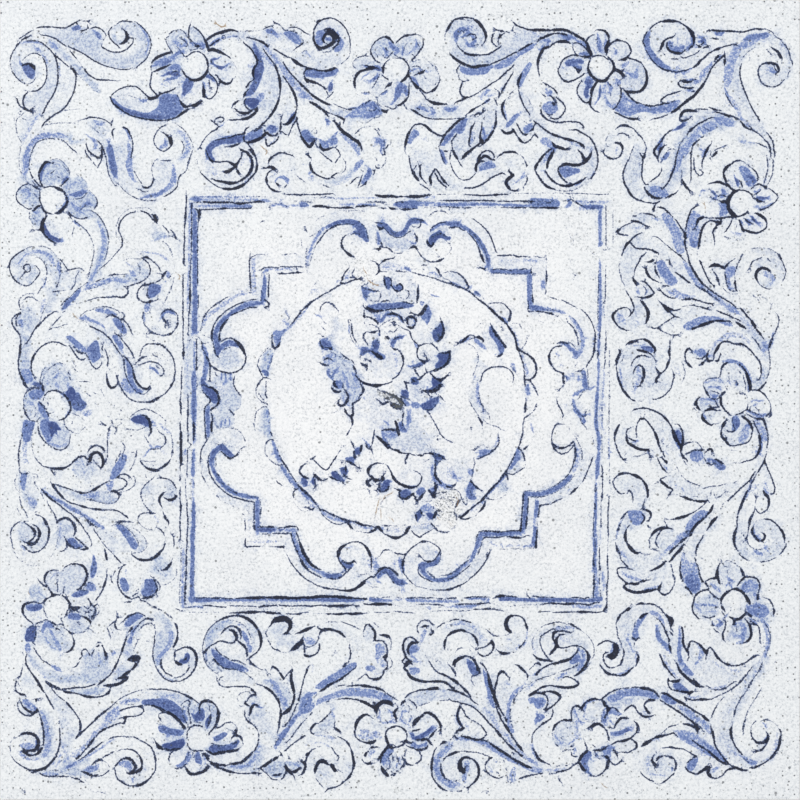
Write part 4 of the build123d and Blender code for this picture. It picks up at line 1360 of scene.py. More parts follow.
def right_leaf_with_bulb():
    """The leaf between the frame and the upper right border, with its bulb and rolled tip."""
    tint("634,216 644,213 656,216 660,222 650,220 642,228 632,232 622,230 626,224 640,222", 0.4)
    tint("632,234 640,232 652,236 664,244 674,254 684,262 690,272 700,286 690,284 676,276 664,268 656,258 "
        "644,256 636,268 632,280 636,296 626,288 621,276 621,258 630,244", 0.3)
    pen("633,216 636,216", 2.4, 0.85)
    faint("637,215 642,213 648,213", 1.6)
    pen("645,214 650,214,2.4 655,216,2.6 657,217,2", 1.6)
    brush("652,218 659,220,3", 2, 0.4)
    pen("622,227 628,224,1.6 634,222,1.4", 2.2, 0.85)
    pen("631,220.5,1.8 637,221.5 641,223,2.6 646,226", 2.4)
    brush("636,228 640,227,5 644,227", 4, 0.24)
    pen("617,232 619,230", 3.4, 0.9)
    pen("618,234 624,235,2 629,235.5,1.6", 2.2, 0.85)
    pen("631,240 635,236,2.4 641,233,1.6", 2.2, 0.9)
    pen("622,255,1.8 624,249,2 627,244 630,242,2.4 633,246,2.4 638,249|643,249,2.8 647,249,3 652,250,3 "
        "655,251,2|645,254,1.8 641,257 639,262 636,267,1.8 634,273,1.4", 2.2)
    pen("620,262 619,267,1.8 620,273,1.8 622,280", 1.4, 0.6)
    pen("622,281 624,284", 1.8, 0.7)
    pen("633,278 635,282,3.2 638,284,2.6|646,270,3 648,275,3.2 652,279 656,281,1.6", 2.4)
    faint("656,281 661,284", 1.2, 0.6)
    pen("648,262,2 652,261,3.2 654,258.5|657,260,1.8 655,265 656,272 659,277,1.8", 2.2, 0.9)
    fill("657,262 663,260 668,268 674,276 678,281 674,285 668,285 663,279 658,270", 0.56)
    brush("659,270 663,275,4", 3, 0.6)
    pen("665,286 670,286", 1.8, 0.9)
    pen("645,282,1.8 649,286,2.4 652,290 654,293,2 651,296 646,297.5,2.8 642,298,2.6", 2.2)
    brush("644,287,2 647,291 645,295", 3, 0.5)
    pen("642,285 646,289,2 646,294", 1.6, 0.7)
    brush("637,288 639,294,4", 3, 0.4)
    pen("636,297 639,297", 2, 0.7)
    pen("661,291 665,295,2.2 671,298 676,298,1.6", 1.8)
    fill("666,288 670,291 674,288 680,292 688,295 696,296 690,299 682,299 674,297 668,293", 0.42)
    pen("682,300,1.8 688,299,2.4 694,299.5 700,301 706,303,2.4 712,304,2|664,305,3 666,309,3.4"
        " 671,310.5", 2.2)
    pen("690,305.5 695,305", 1.7, 0.7)
    pen("700,307 707,309,2.4", 1.4)
    pen("626,291 629,296,1.8 632,301 634,308", 2, 0.85)
    pen("641,301,2.4 645,306,3 647,310|669,260 671,261.5|658,253,2 658.6,253.4,2", 2.6)
    faint("652,257 656,256 659,258", 1.4)


def right_middle_bulb():
    """Left of the right border's stem: the heart-shaped bulb."""
    tint("616,314 620,309 628,309 632,304 634,302 642,302 647,310 647,320 640,328 630,330 620,326"
        " 615,320", 0.4)
    pen("628,308,2 631,312 630,317,2.4|624,307.5,1.8 619,309 614,313 612.5,317,2.6 615,322 619,327 "
        "625,330,2 627,330.5,1.6", 2.2)
    brush("618,313 621,318,7 624,323,6", 4, 0.32)
    pen("631,300,1.8 633,304 634,309,2.4 632,313", 2)
    faint("640,303 637,306", 1.6, 0.4)
    pen("642,301,2.4 646,306 648,311 648,317,2.6 646,323,2.2", 3)
    brush("637,322 641,325,4", 5, 0.22)


def right_upper_spiral():
    """The tall spiral beside the frame, with its nested lips."""
    tint("620,352 630,344 642,342 652,348 660,362 666,372 672,376 670,388 660,396 640,400 630,396 620,384 "
        "616,370", 0.35)
    pen("627,344 631,342.5,3.4 635,341,2.6 638,340", 2, 0.9)
    pen("643,339,2.4 648,341 652,345 655,349,3 655,352,2.2", 3.4)
    fill("640,347 646,346 652,347 655,351 651,352 645,350", 0.8)
    brush("633,345 638,346 645,346,3", 2, 0.4)
    pen("637,350 643,351,2.8 649,353,3 652,355,2.2", 1.8)
    pen("620,351,3.4 622,352,3.6|620,353 617,360,2.8 616,364|617,362,1.6 616.5,369,2 618,377,2.6 "
        "620,383,2.8 623,390 628,396,2.2 632,400,2.2 636,401,1.6", 2.4, 0.9)
    brush("620,368,1.5 621,375 622,383", 2, 0.5)
    brush("617,374 620,382,3 623,388", 2, 0.4)
    faint("624,355 622,361", 1.4, 0.6)
    faint("636,401 644,401", 1.4)
    pen("631,366,1.2 633,361 637,357 641,355.5,2 645,356 649,358", 1.8, 0.85)
    pen("634,370 636,367 639,365,2.6 643,368,3 644,373,3 643,379,2.6 641,384,2.2 637,387,1.6", 2.4, 0.9)
    brush("638,367 639,376,5 637,384,5 634,390", 4, 0.33)
    pen("633,378,1.2 633,384 634,390", 1.4, 0.5)
    pen("654,358 657,363", 1.8, 0.7)
    pen("656,368 658,372,3 660,374.5 657,378,2.6 656,382,2.2 658,382,1.8", 2, 0.85)
    faint("656,382 653,384 652,387 646,387 641,388", 1.2)
    pen("670,341 670,347 669,352,3 670,358,2 668,363,3.4 666,369,1.6 661,374,1.4", 2.4, 0.9)
    pen("673,371,1.4 674,377 672,384 671,388,2.4 667,393,2.8 662,397,2.2 656,399,2 651,399.5", 1.8, 0.85)
    faint("682,362 684,368 685,374 683,380", 1.7, 0.6)
    faint("677,373 681,377", 1.5, 0.4)
    brush("678,370 680,376", 3, 0.2)


def right_claw_leaf():
    """The claw-shaped leaf and its broken outline, with the small keys of the worn glaze beside it."""
    tint("664,306 674,310 684,308 700,304 716,310 706,314 692,318 680,324 672,330 664,326 672,316", 0.3)
    pen("663,305 666,307,3.4 671,309.5,3 676,310.5,2 680,309,1.6|664,307 668,311,3.2 672,314 676,317,2.4 "
        "680,317,2", 2.6)
    pen("674,317 669,320,1.8 664,323,1.6 660,326", 1.4, 0.9)
    pen("654,328.5 658,328,3 660,330", 2.4, 0.85)
    pen("659,328 662,325 665,323 668,321", 1.6, 0.6)
    pen("660,330 664,332,2 668,334,1.8", 1.6, 0.7)
    pen("671,335 674,335 678,335|674,337,2 675,336,2", 2.2, 0.8)
    pen("670,323 672,325|683,306.5,1.2 689,305,1.2", 1.5, 0.6)


def right_broad_band():
    """The broad blue band that arches over the middle flower of the right border."""
    fill("683,326 688,322 696,318 704,316 712,316 718,317 726,319 731,323 733,327 724,325 718,322 708,322 "
        "700,325 692,329 686,330", 0.52)
    brush("688,324,4 696,321 704,319", 5, 0.35)
    pen("692,329,3.2 697,327 702,325,3.2 708,323 714,321 720,321,2.6 727,321,2.2 733,322,2.2", 3)
    pen("734,318 739,320,2.2 741,322,1.4", 1.6, 0.8)
    pen("736,322,2.4 740,325,2.8 744,327,2.4 746,329|720,312 725,314,2.2 730,316", 1.8)
    pen("727,311 728,312", 1.6, 0.7)
    brush("729,308 735,311 740,315,4", 5, 0.5)
    brush("741,317 747,324 753,331", 5, 0.24)
    pen("740,308 744,312,2.4 747,316 751,320,2", 2.2)
    faint("744,308 748,313 751,317", 1.5, 0.6)
    pen("751,320 754,325,3.4 756,329,2", 2.8)
    pen("756,329 760,334 764,339,1.8", 2.4, 0.9)
    pen("771,306 770,311", 2, 0.5)
    pen("777,314,1.4 779,319 778,326 775,333,2 772,339,2.6 770,345,3 768,350,2.4", 1.8, 0.85)
    brush("764,343 766,347,7 762,352", 5, 0.42)
    brush("774,332,3 772,340 770,347", 4, 0.45)
    faint("752,337 756,341 759,346 761,350", 1.8, 0.75)
    brush("752,330 757,337", 4, 0.25)
    faint("747,332 752,330 758,326", 1.1, 0.4)
    tint("744,316 754,326 762,338 770,340 770,352 768,366 768,378 760,388 752,388 758,380 762,368 760,354 "
        "752,342 744,328", 0.42)
    brush("712,350,3 716,343 722,339,5 729,335,6 736,335,6 743,337,5 749,342", 4, 0.3)
    pen("714,354 717,349,2.4 720,344,2.4 724,341.5 730,342 734,344,2 741,344,2.6 747,347 752,352,2 "
        "756,357,2 760,362 761,368,2 761,375,1.8 759,380,1.6", 2.2)
    pen("738,345 743,347", 1.3, 0.6)
    faint("769,352 770,362 769,372 766,380", 1.6, 0.7)
    brush("763,370 762,380 757,386", 4, 0.25)
    pen("766,382 763,386,2 760,389", 1.8, 0.85)


def right_clasp():
    """The clasp where the band's root is tied."""
    tint("688,350 698,350 708,350 713,356 708,360 700,358 692,356", 0.45)
    pen("689,348 686,351,2.4 685,356,2.2 686,361 689,365,3 691,367,2.2", 2.8)
    pen("689,348 691,350 692,354", 2.6, 0.9)
    brush("692,351 697,352,4", 3, 0.45)
    fill("697,351 701,348 705,350 707,354 703,357 698,356", 0.6)
    pen("696,358,1.6 701,359 705,356,2.4 708,354,2.4 708,350", 2, 0.9)
    pen("707,354 707,358,2.8 709,361,2.8 712,361,1.6|706,359 703,363,3 701,366,2.6", 2)
    brush("709,356 712,355", 4, 0.5)
    pen("713,360,1.6 714,356 716,352", 2, 0.7)
    pen("721,354 719,358,2.2 718,361,2.8 715,361,1.6", 1.8, 0.95)
    faint("695,368 696,369", 1.4, 0.4)


def right_middle_flower():
    """The middle flower of the right border."""
    tint("722,366 730,360 740,362 748,372 750,388 742,388 728,388 720,378", 0.3)
    tint("704,384 712,379 722,379 724,388 716,398 708,394 703,388", 0.45)
    tint("698,400 706,397 716,398 718,406 712,410 702,412 697,406", 0.5)
    tint("703,414 712,411 718,412 718,420 710,424 704,420", 0.35)
    tint("732,416 740,414 748,416 752,428 750,440 740,446 728,446 722,438 722,426", 0.4)
    tint("750,402 760,398 768,402 770,410 762,416 752,412", 0.25)
    wipe("724,392 732,389 740,390 746,395 748,402 745,409 739,414 731,414 723,410 719,403 720,397", "wash")
    pen("721,399,3 721,404,2.4 724,409 728,413 731,416", 2.8)
    pen("719,398 722,394,3 726,391,1.6", 2.4, 0.8)
    pen("735,415 739,414,2.4 743,412,2 747,409,1.6 748,404,1.2", 1.8, 0.9)
    faint("748,404 747,396 743,391", 1, 0.4)
    pen("744,394 746,394.4", 2.2, 0.7)
    pen("720,377,1.4 721,372,1.8 722,367 725,364,3 728,362", 2.4, 0.85)
    brush("724,362 729,361 735,362 741,365,5 746,371,5 749,378,5 750,386,5 748,390", 4, 0.58)
    pen("737,363 742,367,2 746,372,2.4 748,378,3 750,384,3.2 750,390,2.8", 1.6)
    pen("738,370,1.2 743,376,1.6 745,383 746,389", 1.8, 0.6)
    brush("736,382 737,385,4", 3, 0.65)
    pen("736,381 738,384 736,387", 1.8, 0.8)
    brush("728,381 730,384,3", 2, 0.4)
    faint("729,376,1.6 729,382,1.6|724,384 726,388 728,390", 1.4)
    brush("704,383 710,380,4 717,379,4 722,382", 3, 0.42)
    pen("704,382 708,379,1.6 714,378,1.6 719,377.5", 1.4, 0.8)
    pen("703,385,1.6 705,389 707,393,2.8 709,396", 2.2, 0.9)
    brush("710,387 716,387 720,388,4", 3, 0.6)
    pen("711,391 716,392,2 720,394,1.8", 1.6, 0.7)
    brush("711,395 717,396", 3, 0.6)
    pen("710,398 714,399,2 716,399,1.4", 1.8, 0.9)
    pen("718,378 721,381", 1.4, 0.5)
    pen("700,397,1.8 697,400 696,404,3.2 698,408,3 701,411", 2.4)
    faint("694,402 694,408 698,412", 1.3)
    brush("701,399 707,399 714,399,4 717,401", 3, 0.6)
    brush("700,402 706,404 712,404,2", 1.5, 0.4)
    pen("708,406 714,407,2 718,408,1.8", 1.4, 0.8)
    pen("717,399 716,403,2.4 719,407,2", 2.2, 0.85)
    pen("703,412 707,410,2.4 711,409,2.6 715,410,1.8 719,411", 2, 0.95)
    pen("703,412 702,416,3 703,419,3.4 706,422,2.6 711,425 714,424,1.4", 2)
    pen("716,424 720,423", 1.3, 0.6)
    brush("704,414 705,418", 3, 0.6)
    faint("711,412 709,417 713,420", 1.5, 0.4)
    pen("726,421 724,424 722,427,2.8|722,428,2 721,433 722,437 725,440 728,444,2.8 732,446,1.8 738,445,1.4 "
        "743,444,1.6 748,442,2 751,438,2 752,432,2", 3, 0.9)
    pen("723,435 726,436 727,441", 2, 0.7)
    faint("730,450 735,450", 1.8, 0.45)
    fill("732,418 736,416 740,420 739,427 735,431 732,430", 0.75)
    brush("734,420 736,427,4 735,430", 3, 0.6)
    pen("732,418 733,424 735,430,2 731,432,2.4 726,431,2", 2.2, 0.8)
    fill("742,428 747,424 749,430 748,438 743,443 738,441 741,434", 0.42)
    pen("742,416 746,419,3 750,423,3.2 752,428,2.8 753,431", 2.4)
    brush("749,424 751,428", 3, 0.6)
    pen("745,427 742,434,1.2", 1, 0.5)
    pen("757,384 760,382", 1.3, 0.4)
    pen("751,390,1.6 756,390 760,391,2 764,394 766,396,1.8", 2.2)
    faint("767,398 770,403 771,408", 1.3, 0.6)
    brush("751,402,2 755,400 759,401|754,405,2.4 758,405,2.4", 3, 0.6)
    pen("753,406 757,404", 1.3, 0.6)
    pen("751,406,1.4 750,409|756,408 758,410", 1.6, 0.7)
    pen("766,416 769,414,2.6", 2.2, 0.9)
    pen("770,417 772,413", 2, 0.8)
    pen("770,405 771,408", 1.6, 0.7)
    faint("745,404 747,400", 1, 0.3)
    pen("748,404 751,401", 1.4, 0.5)


def right_middle_stem():
    """The stem that drops from the middle flower of the right border."""
    brush("748,411 754,414,4 760,416,4 765,414", 3, 0.6)
    pen("748,410 752,412,1.8 757,414,2 762,416", 1.6, 0.8)
    pen("747,414,1.6 752,417,2 757,419 763,419,2.4 766,425", 2.2, 0.85)
    brush("756,421 760,427,6 764,434,6 765,441", 5, 0.42)
    pen("753,421,1.4 756,427 759,434,2.4 760,441,2.8 760,448,2.4 757,455,2 753,459", 1.8, 0.95)
    pen("763,420 766,427 768,434,2.4 768,441 767,447,1.6", 2, 0.9)
    brush("761,436 761,446 758,454", 4, 0.6)
    faint("767,450 766,456", 2.2, 0.6)
    tint("754,424 766,424 768,440 766,456 758,458 760,444", 0.3)


def right_lower_twin_leaves():
    """Beside the frame: the arched outline, the blue almond and the loops left of it."""
    tint("634,410 648,409 660,414 668,422 674,434 680,446 682,456 670,456 662,446 656,434 650,424 642,420 "
        "636,424 636,436 644,446 650,450 640,458 626,456 618,446 614,436 620,424 630,414", 0.22)
    pen("633,410 637,409,2.4|639,408.5,2 645,408 652,410,2 659,413,2 665,418 670,424 672,428,2 674,434,3.4 "
        "676,439,3.4 680,446,2.8 681,452,2.4 684,458|677,424,1.4 679,425,1.8 682,430,2.4 683,437,2.8 "
        "682,444,3 681,450,2.6", 2.2)
    fill("675,431 679,430 682,436 682,443 679,449 676,444 673,437", 0.8)
    pen("673,431 675,437,3.4 677,441|619,425,3 617,429,2.8 615,434 614.5,439,1.6|614,439,1.4 616,445,2 "
        "618,451,2.4 621,457 624,460,2", 2.6, 0.9)
    pen("637,425 636,430,1.8 637,438", 1.6, 0.85)
    pen("637,424,1.6 640,419 643,418.5,2.8 646,420 650,425 654,431 657,438,2.4 659,445 662,452,2 "
        "665,457,1.6", 2.2)
    pen("641,419,2.8 644,419,2.8|628,429,2.4 626,433 628,437 632,440,2.2 636,441", 2, 0.9)
    brush("634,442 637,441", 3, 0.6)
    pen("626,438 628,443 633,446 639,449,3 645,450,3 650,450,3", 2.6)
    brush("647,450 650,454", 4, 0.4)
    pen("650,446 652,446", 1.4, 0.6)
    pen("648,449 650,456,2.2", 2.4, 0.8)
    pen("634,456,1.4 640,456 647,453", 1.8, 0.6)
    faint("622,448 626,454", 1.2, 0.4)
    faint("663,436 662,442 667,446 670,442", 1.5)
    brush("664,438 663,444,3|660,452 668,452,4", 2, 0.25)
    faint("682,443 686,444 692,442 697,443", 1.5, 0.6)


def right_lower_bud():
    """The top of the lower bud, between the middle and the last flower of the right border."""
    pen("682,446 686,443.5,1.8 691,442,1.8 697,442.5 701,447 703,450,1.6", 1.4, 0.75)
    pen("686,454,2.8 690,452,3 695,450,2.4 700,450 704,450", 2, 0.85)
    fill("690,454 697,450 702,452 703,458 698,462 691,460", 0.58)
    pen("705,453 708,450,2.4 711,449,2.4 713,453", 2, 0.9)


def right_lower_leaves():
    """Below the middle flower of the right border: the bud, the wide leaf and its folded tip."""
    tint("660,462 672,466 684,478 700,486 716,486 732,482 744,480 734,492 722,500 708,504 696,500 682,497 "
        "670,496 670,488 662,480 668,474 664,470", 0.28)
    tint("684,458 694,464 702,462 708,456 720,460 726,468 716,470 704,468 694,470 686,464", 0.2)
    pen("657,457,1.8 659,462 662,467 665,471,2.8 668,473", 2.4, 0.95)
    brush("663,464 667,469", 2, 0.5)
    pen("662,458,2 665,461 668,463", 2.4)
    pen("682,456 684,461 686,464|685,456 688,461", 1.6, 0.7)
    pen("681,452 682,456 686,459 688,462,1.8", 2.2, 0.85)
    faint("695,464 698,463 699,466 695,468", 1.4)
    pen("704,458 706,462 708,465", 2, 0.8)
    brush("708,461,3 711,460 713,462", 4, 0.7)
    pen("709,459,1.6 709,463 712,465 715,462,1.8", 2, 0.8)
    fill("713,460 718,460 722,463 726,467 724,470 719,470 715,466", 0.7)
    pen("715,459 719,461,2.8 724,464", 2.4, 0.85)
    pen("717,464 720,468|733,463 736,463", 2, 0.6)
    faint("733,467 736,470", 1.3, 0.4)
    pen("741,463,1.6 746,461 751,460 756,457,2 759,453,2", 2.2, 0.9)
    faint("672,470,1.4 676,469,1.4|677,467 680,473 684,478", 1.6)
    pen("658,482 660,481", 2, 0.7)
    pen("661,481 664,484,2.8 668,487,2.6 672,489,2", 2.4)
    pen("661,479 665,477,2", 2.4, 0.9)
    faint("667,476 673,475", 1.2, 0.4)
    brush("673,486 677,485 676,489", 2, 0.3)
    brush("682,488 684,489", 3, 0.4)
    faint("686,480 692,483 700,486", 1.8, 0.7)
    pen("703,488.5 709,487,2.2 715,486,2", 1.8, 0.7)
    faint("717,486 722,485 728,483|734,483,1.6 738,480,1.6", 1.5, 0.6)
    pen("673,490 670,493,2.2 668,497,2", 1.8, 0.85)
    faint("670,495 675,494 679,495", 1.3)
    pen("680,496 686,498,2.4 692,500,2.6 700,501.5,2.6 707,500.5", 2)
    faint("695,496 699,497", 1.4, 0.4)
    faint("705,498 709,495", 1.4)
    pen("711,493 711,497,1.8|714,493 715,497,1.8", 1.6, 0.6)
    faint("717,498 722,495 725,491", 1.6, 0.6)
    pen("724,492 725,493", 2, 0.6)
    faint("707,502 701,507 694,512 688,515", 1.4, 0.85)
    pen("675,519,2.2 681,517.5 686,516 690,514,1.8", 2.4)
    faint("665,521 665,518 668,520 672,519", 1.4, 0.6)
    faint("664,520 666,524 668,527", 1.4, 0.7)
    brush("706,460 703,464", 2, 0.3)


def right_long_outline():
    """The pair of lines that run from the right border's stem down its outer edge."""
    pen("765,458,2 764,462,3 761,467 758,472|755,472 752,476,3 750,480,2.6 746,484,2.2 741,488,2.2 736,493 "
        "732,497 728,501", 2.4, 0.95)
    pen("757,473,1.8 754,479 751,484 750,490,2", 2.2, 0.8)
    brush("752,480 750,488 746,495,4 743,500,4", 3, 0.55)
    pen("748,490,2 745,496 743,501,3.2 741,506,3 739,511 737,517,2.2", 2.8, 0.85)
    pen("766,464 768,470 771,476 773,482,2.4 775,488,2.6 774,493,2.4 771,494,2.8", 2.2, 0.95)
    brush("765,484 767,490,4", 5, 0.3)
    pen("763,490 765,494,2.6 768,497,2.4 769,502,2.6 768,508,2.4 765,512", 1.8, 0.9)
    brush("764,489 768,494", 3, 0.5)
    pen("756,499 755,505", 1.8, 0.7)
    pen("755,508,1.4 758,512 761,513.5,2.2 765,511", 2, 0.8)
    brush("760,503 762,505", 5, 0.18)
    pen("755,509 753,514,2.8 750,520,2.6 749,526,2 748,532,2|737,521,1.8 737,527 735,532,2.6 734,539,3.2 "
        "735,546,2.8 739,552,2.4", 2.2, 0.85)
    pen("748,532,1.8 747,538 748,544", 2.2, 0.7)
    pen("744,536 746,541", 1.8, 0.6)
    pen("751,547 756,549 763,549,1.4", 2, 0.7)
    tint("764,462 770,472 774,486 770,494 762,488 760,476", 0.3)
    tint("738,520 748,522 748,540 752,550 764,556 780,552 770,560 756,562 744,558 736,548 734,534", 0.38)
    faint("726,500 722,506 719,512", 1.3)
    faint("728,503 724,510", 1.2, 0.4)
    pen("740,555 745,559,2.4 750,561,2.2", 2, 0.9)


def right_lower_scroll():
    """The round scroll low on the right border's outer edge."""
    tint("752,530 758,520 770,518 780,526 785,536 784,550 774,558 760,560 748,554 756,550 768,546 772,538 "
        "764,532 760,540 754,538", 0.38)
    pen("765,519,1.6 771,520 777,525,2.6 782,531,2.8 784,536,2.6 785,540", 2.2)
    pen("786,546 783,551,2 780,554.5,1.4", 2.6, 0.9)
    faint("775,558 768,561 760,562", 1.7, 0.75)
    pen("753,527,2.4 752,532 755,537 759,541,2.6 763,540,3 765,536,2.6 763,532,1.8", 2.8, 0.9)
    brush("754,524 753,531 756,537,4 761,540", 3, 0.5)
    brush("758,533 760,536", 3, 0.4)
    brush("754,551 759,553,4 763,555", 3, 0.6)
    brush("764,552 766,547,4 768,551", 3, 0.42)
    brush("764,545 766,542", 2, 0.4)
    pen("769,540 771,541", 1.8, 0.5)
    faint("766,519 758,520 754,524", 1.4, 0.4)


def right_lower_blue_stems():
    """The two blue stems that cross above the last flower of the right border."""
    tint("676,540 688,526 700,512 712,506 710,516 700,526 690,536 680,546 668,556 656,562 646,562"
        " 660,550", 0.3)
    tint("684,550 694,546 704,534 716,518 724,508 712,530 700,546 696,560 702,580 700,590 690,592 680,580 "
        "682,564", 0.35)
    fill("688,522 694,515 702,510 709,512 708,516 702,520 696,526 690,530 685,529", 0.52)
    brush("706,514,3 699,520 692,528", 4, 0.55)
    pen("713,505,2.2 711,510 708,514 703,519 697,524 693,529,2.8 690,534,2.6", 3, 0.95)
    pen("690,531 686,532,2.4 690,536 692,533", 2.2, 0.8)
    brush("690,530 685,536,5 678,541 673,545 668,548,3", 4, 0.5)
    pen("687,537 682,541,2.8 677,546,2.8 672,550 669,554,2", 2.6, 0.9)
    pen("683,545 680,550,3.2 676,554,2.8 672,559,2.4 669,563,1.8", 3, 0.95)
    pen("717,517 712,522,2.8 709,527,2.6 706,531", 2)
    pen("703,536,2 701,540 698,545,2.4 696,551 696,556,1.8", 2.2, 0.9)
    faint("688,540 685,546 690,544", 1.6)
    pen("684,551 685,555", 2, 0.6)
    fill("682,552 686,556 690,562 697,564 699,574 701,584 700,590 694,594 688,590 683,580 680,570"
        " 681,560", 0.4)
    fill("685,578 692,574 698,578 700,588 694,593 688,588", 0.68)
    brush("691,582 693,590,4", 3, 0.8)
    brush("683,562 682,570", 3, 0.35)
    pen("681,560 680,568,2 681,576,2.6 683,582,2.4", 1.6, 0.8)
    pen("695,558,1.6 697,564 699,570,1.8 700,576,2 703,582 707,585,1.8", 2.2, 0.9)
    pen("685,587 689,590,3.4 692,595,2.6", 3)
    pen("701,558 702,559", 1.6, 0.5)
    faint("689,553 690,560 694,566", 1.2, 0.3)
    faint("671,564 673,572 675,580 674,586", 1.8, 0.7)
    pen("672,574 674,579", 2, 0.6)


def right_lower_pointed_leaf():
    """Left of the crossing stems: the rounded leaf with blue at its root."""
    tint("652,534 660,528 672,529 680,532 678,540 670,546 660,548 654,540", 0.35)
    pen("651,536 654,532,2.8 659,529,3 664,528,3.2 669,528,2.4 675,530,2", 2.2, 0.95)
    pen("661,531 658,535,2.4 656,538,1.8", 2, 0.85)
    pen("656,540 656,544,2.8 659,548,2|649,540 649,542,2.4", 3, 0.7)
    faint("650,545 650,549 654,550 660,551", 1.6, 0.6)
    pen("653,549 656,549", 2.4, 0.8)
    brush("666,550,3 662,556 658,561", 4, 0.25)
    brush("677,538 683,533", 5, 0.35)
    brush("672,546 667,550,3", 4, 0.5)
    faint("660,560 664,562", 1.3, 0.4)
    pen("666,561 662,565,3 657,568,2.8 651,571,1.8", 2.4, 0.95)
    tint("642,556 654,560 664,562 656,570 644,574 636,570", 0.25)
    faint("640,552 646,554 650,554", 1.3)
    pen("638,583 642,581,2.8 646,580,2", 2.6, 0.9)
    pen("643,592 647,590,3 653,590,2.4 657,589,1.8", 3.2, 0.85)
    brush("646,590 652,589", 3, 0.5)
    pen("661,585 659,588,3.2 658,590,2.2", 2.8, 0.95)
    pen("658,590,2.2 661,593,2.6 664,595,2.8 667,594 671,591 672,588,1.4", 1.8, 0.9)
    pen("646,604 640,604", 2, 0.8)


def right_last_flower():
    """The last flower of the right border."""
    tint("718,570 724,562 732,560 740,566 744,576 736,584 726,588 718,580", 0.35)
    tint("740,584 748,578 756,578 760,586 760,594 754,600 746,596 738,590", 0.55)
    tint("750,604 760,598 768,602 774,612 772,620 764,622 754,618 748,610", 0.5)
    tint("704,584 712,579 718,582 724,592 714,594 708,590", 0.35)
    tint("694,602 700,594 710,594 720,598 720,612 712,618 702,618 694,610", 0.5)
    tint("734,622 742,618 750,624 752,636 746,642 736,640 728,634 730,628", 0.55)
    wipe("723,600 729,592 736,589 742,592 747,600 748,608 743,615 736,618 728,614 723,608", "wash")
    pen("721,602 722,598,2.6 726,593,2.6 731,590 736,589,2.8 741,591,2.4 745,595,3 748,600,3.6"
        " 750,604,3", 2.2)
    pen("721,602 722,607,2.6 725,611", 2, 0.9)
    faint("727,606 731,607 730,612 727,614", 1.6, 0.4)
    pen("730,617,2 734,619 739,619,2.8 743,616 745,613,2.2|720,563,1.8 718,568,2.8 717,574,3.6 718,579 "
        "720,584,2.2", 3)
    pen("725,561 730,560", 1.8, 0.7)
    pen("722,562 724,566 728,567", 1.6, 0.6)
    faint("732,562 736,564 738,567", 1.3, 0.6)
    pen("741,569 743,573,2.8 744,577,2.2", 2.4, 0.9)
    brush("727,577,3 730,580 733,582", 4, 0.55)
    brush("726,586,2 729,583 732,588", 3, 0.5)
    pen("728,573 729,574", 2.2, 0.7)
    pen("722,580 722,586", 1.4, 0.5)
    pen("706,581,1.6 710,579 715,578,2.8 718,578", 2.2, 0.95)
    pen("706,582 708,587,1.8 710,592", 1.7, 0.7)
    brush("711,584 716,588,4 720,592", 3, 0.42)
    pen("737,586,1.8 740,582,2 744,578 750,577 756,578,2.6 759,582 760,588,2.2", 2.4)
    fill("741,586 746,581 753,580 758,584 756,590 749,592 743,593", 0.45)
    brush("743,589 747,584", 5, 0.62)
    brush("745,590 742,587,3", 4, 0.5)
    pen("759,590 758,595,2.6 758,600,3", 1.8, 0.85)
    brush("754,594 758,598,5", 4, 0.5)
    pen("752,597 756,598 757,602", 1.6, 0.6)
    faint("761,597 766,598 770,601", 1.4, 0.7)
    pen("770,600,2 773,606 774,612 773,617,1.8", 2.2, 0.85)
    fill("750,605 758,603 766,606 769,611 767,616 760,618 753,615 749,610", 0.6)
    brush("754,606 762,607,5 766,612", 4, 0.4)
    brush("747,606,3 749,612 753,616", 4, 0.6)
    pen("745,610 748,614 753,616,1.8", 2.4, 0.8)
    faint("760,617 766,618", 1.2, 0.4)
    pen("693,606 694,600 696,595,2.6 700,592,2.6 705,590,2.8 709,590,2.4", 2.2)
    pen("709,591 712,594,2 716,597 720,600,1.8", 1.6, 0.85)
    brush("694,603 698,606,3", 4, 0.45)
    pen("707,598 712,597 716,598", 1.6, 0.5)
    brush("701,604 706,605 711,605 716,606", 3, 0.55)
    pen("716,607 718,608,2", 2.6, 0.85)
    pen("702,605 707,606 712,606", 1.6, 0.6)
    brush("706,611,2 711,612 716,611|700,610,4 701,612", 3, 0.4)
    pen("692,606,1.8 693,612 697,617,2.2 700,620", 2, 0.95)
    pen("703,616 708,618,2.4 713,617 716,615,1.6", 2, 0.9)
    brush("712,622 714,626,4", 3, 0.5)
    pen("712,621 713,626,2.2 716,624,1.6", 2, 0.9)
    brush("718,619 721,623,3 718,627", 4, 0.7)
    pen("722,612 725,617 722,622 726,620", 1.8, 0.7)
    brush("724,618 727,615,3", 4, 0.4)
    pen("714,629 717,632,2.2 720,633,1.6", 2, 0.85)
    pen("726,622 725,628,1.8 723,633,2.6 723,638,2.8 725,642", 1.6, 0.9)
    faint("726,643 731,645 737,644", 1.3, 0.4)
    pen("734,624 735,620 738,618.5,2", 3, 0.9)
    brush("735,621 735,626", 3, 0.7)
    brush("740,622 744,628,6 743,635,6 739,638", 4, 0.48)
    brush("745,636 742,642 737,643", 3, 0.5)
    pen("745,619 749,624,2.4 751,630,2.8 751,636,2.6 748,641,2.2 743,643,1.6", 2, 0.95)
    pen("736,625 737,631", 1.8, 0.6)
    brush("731,634 736,636,4", 3, 0.35)
    faint("727,632 733,633", 1.2, 0.4)


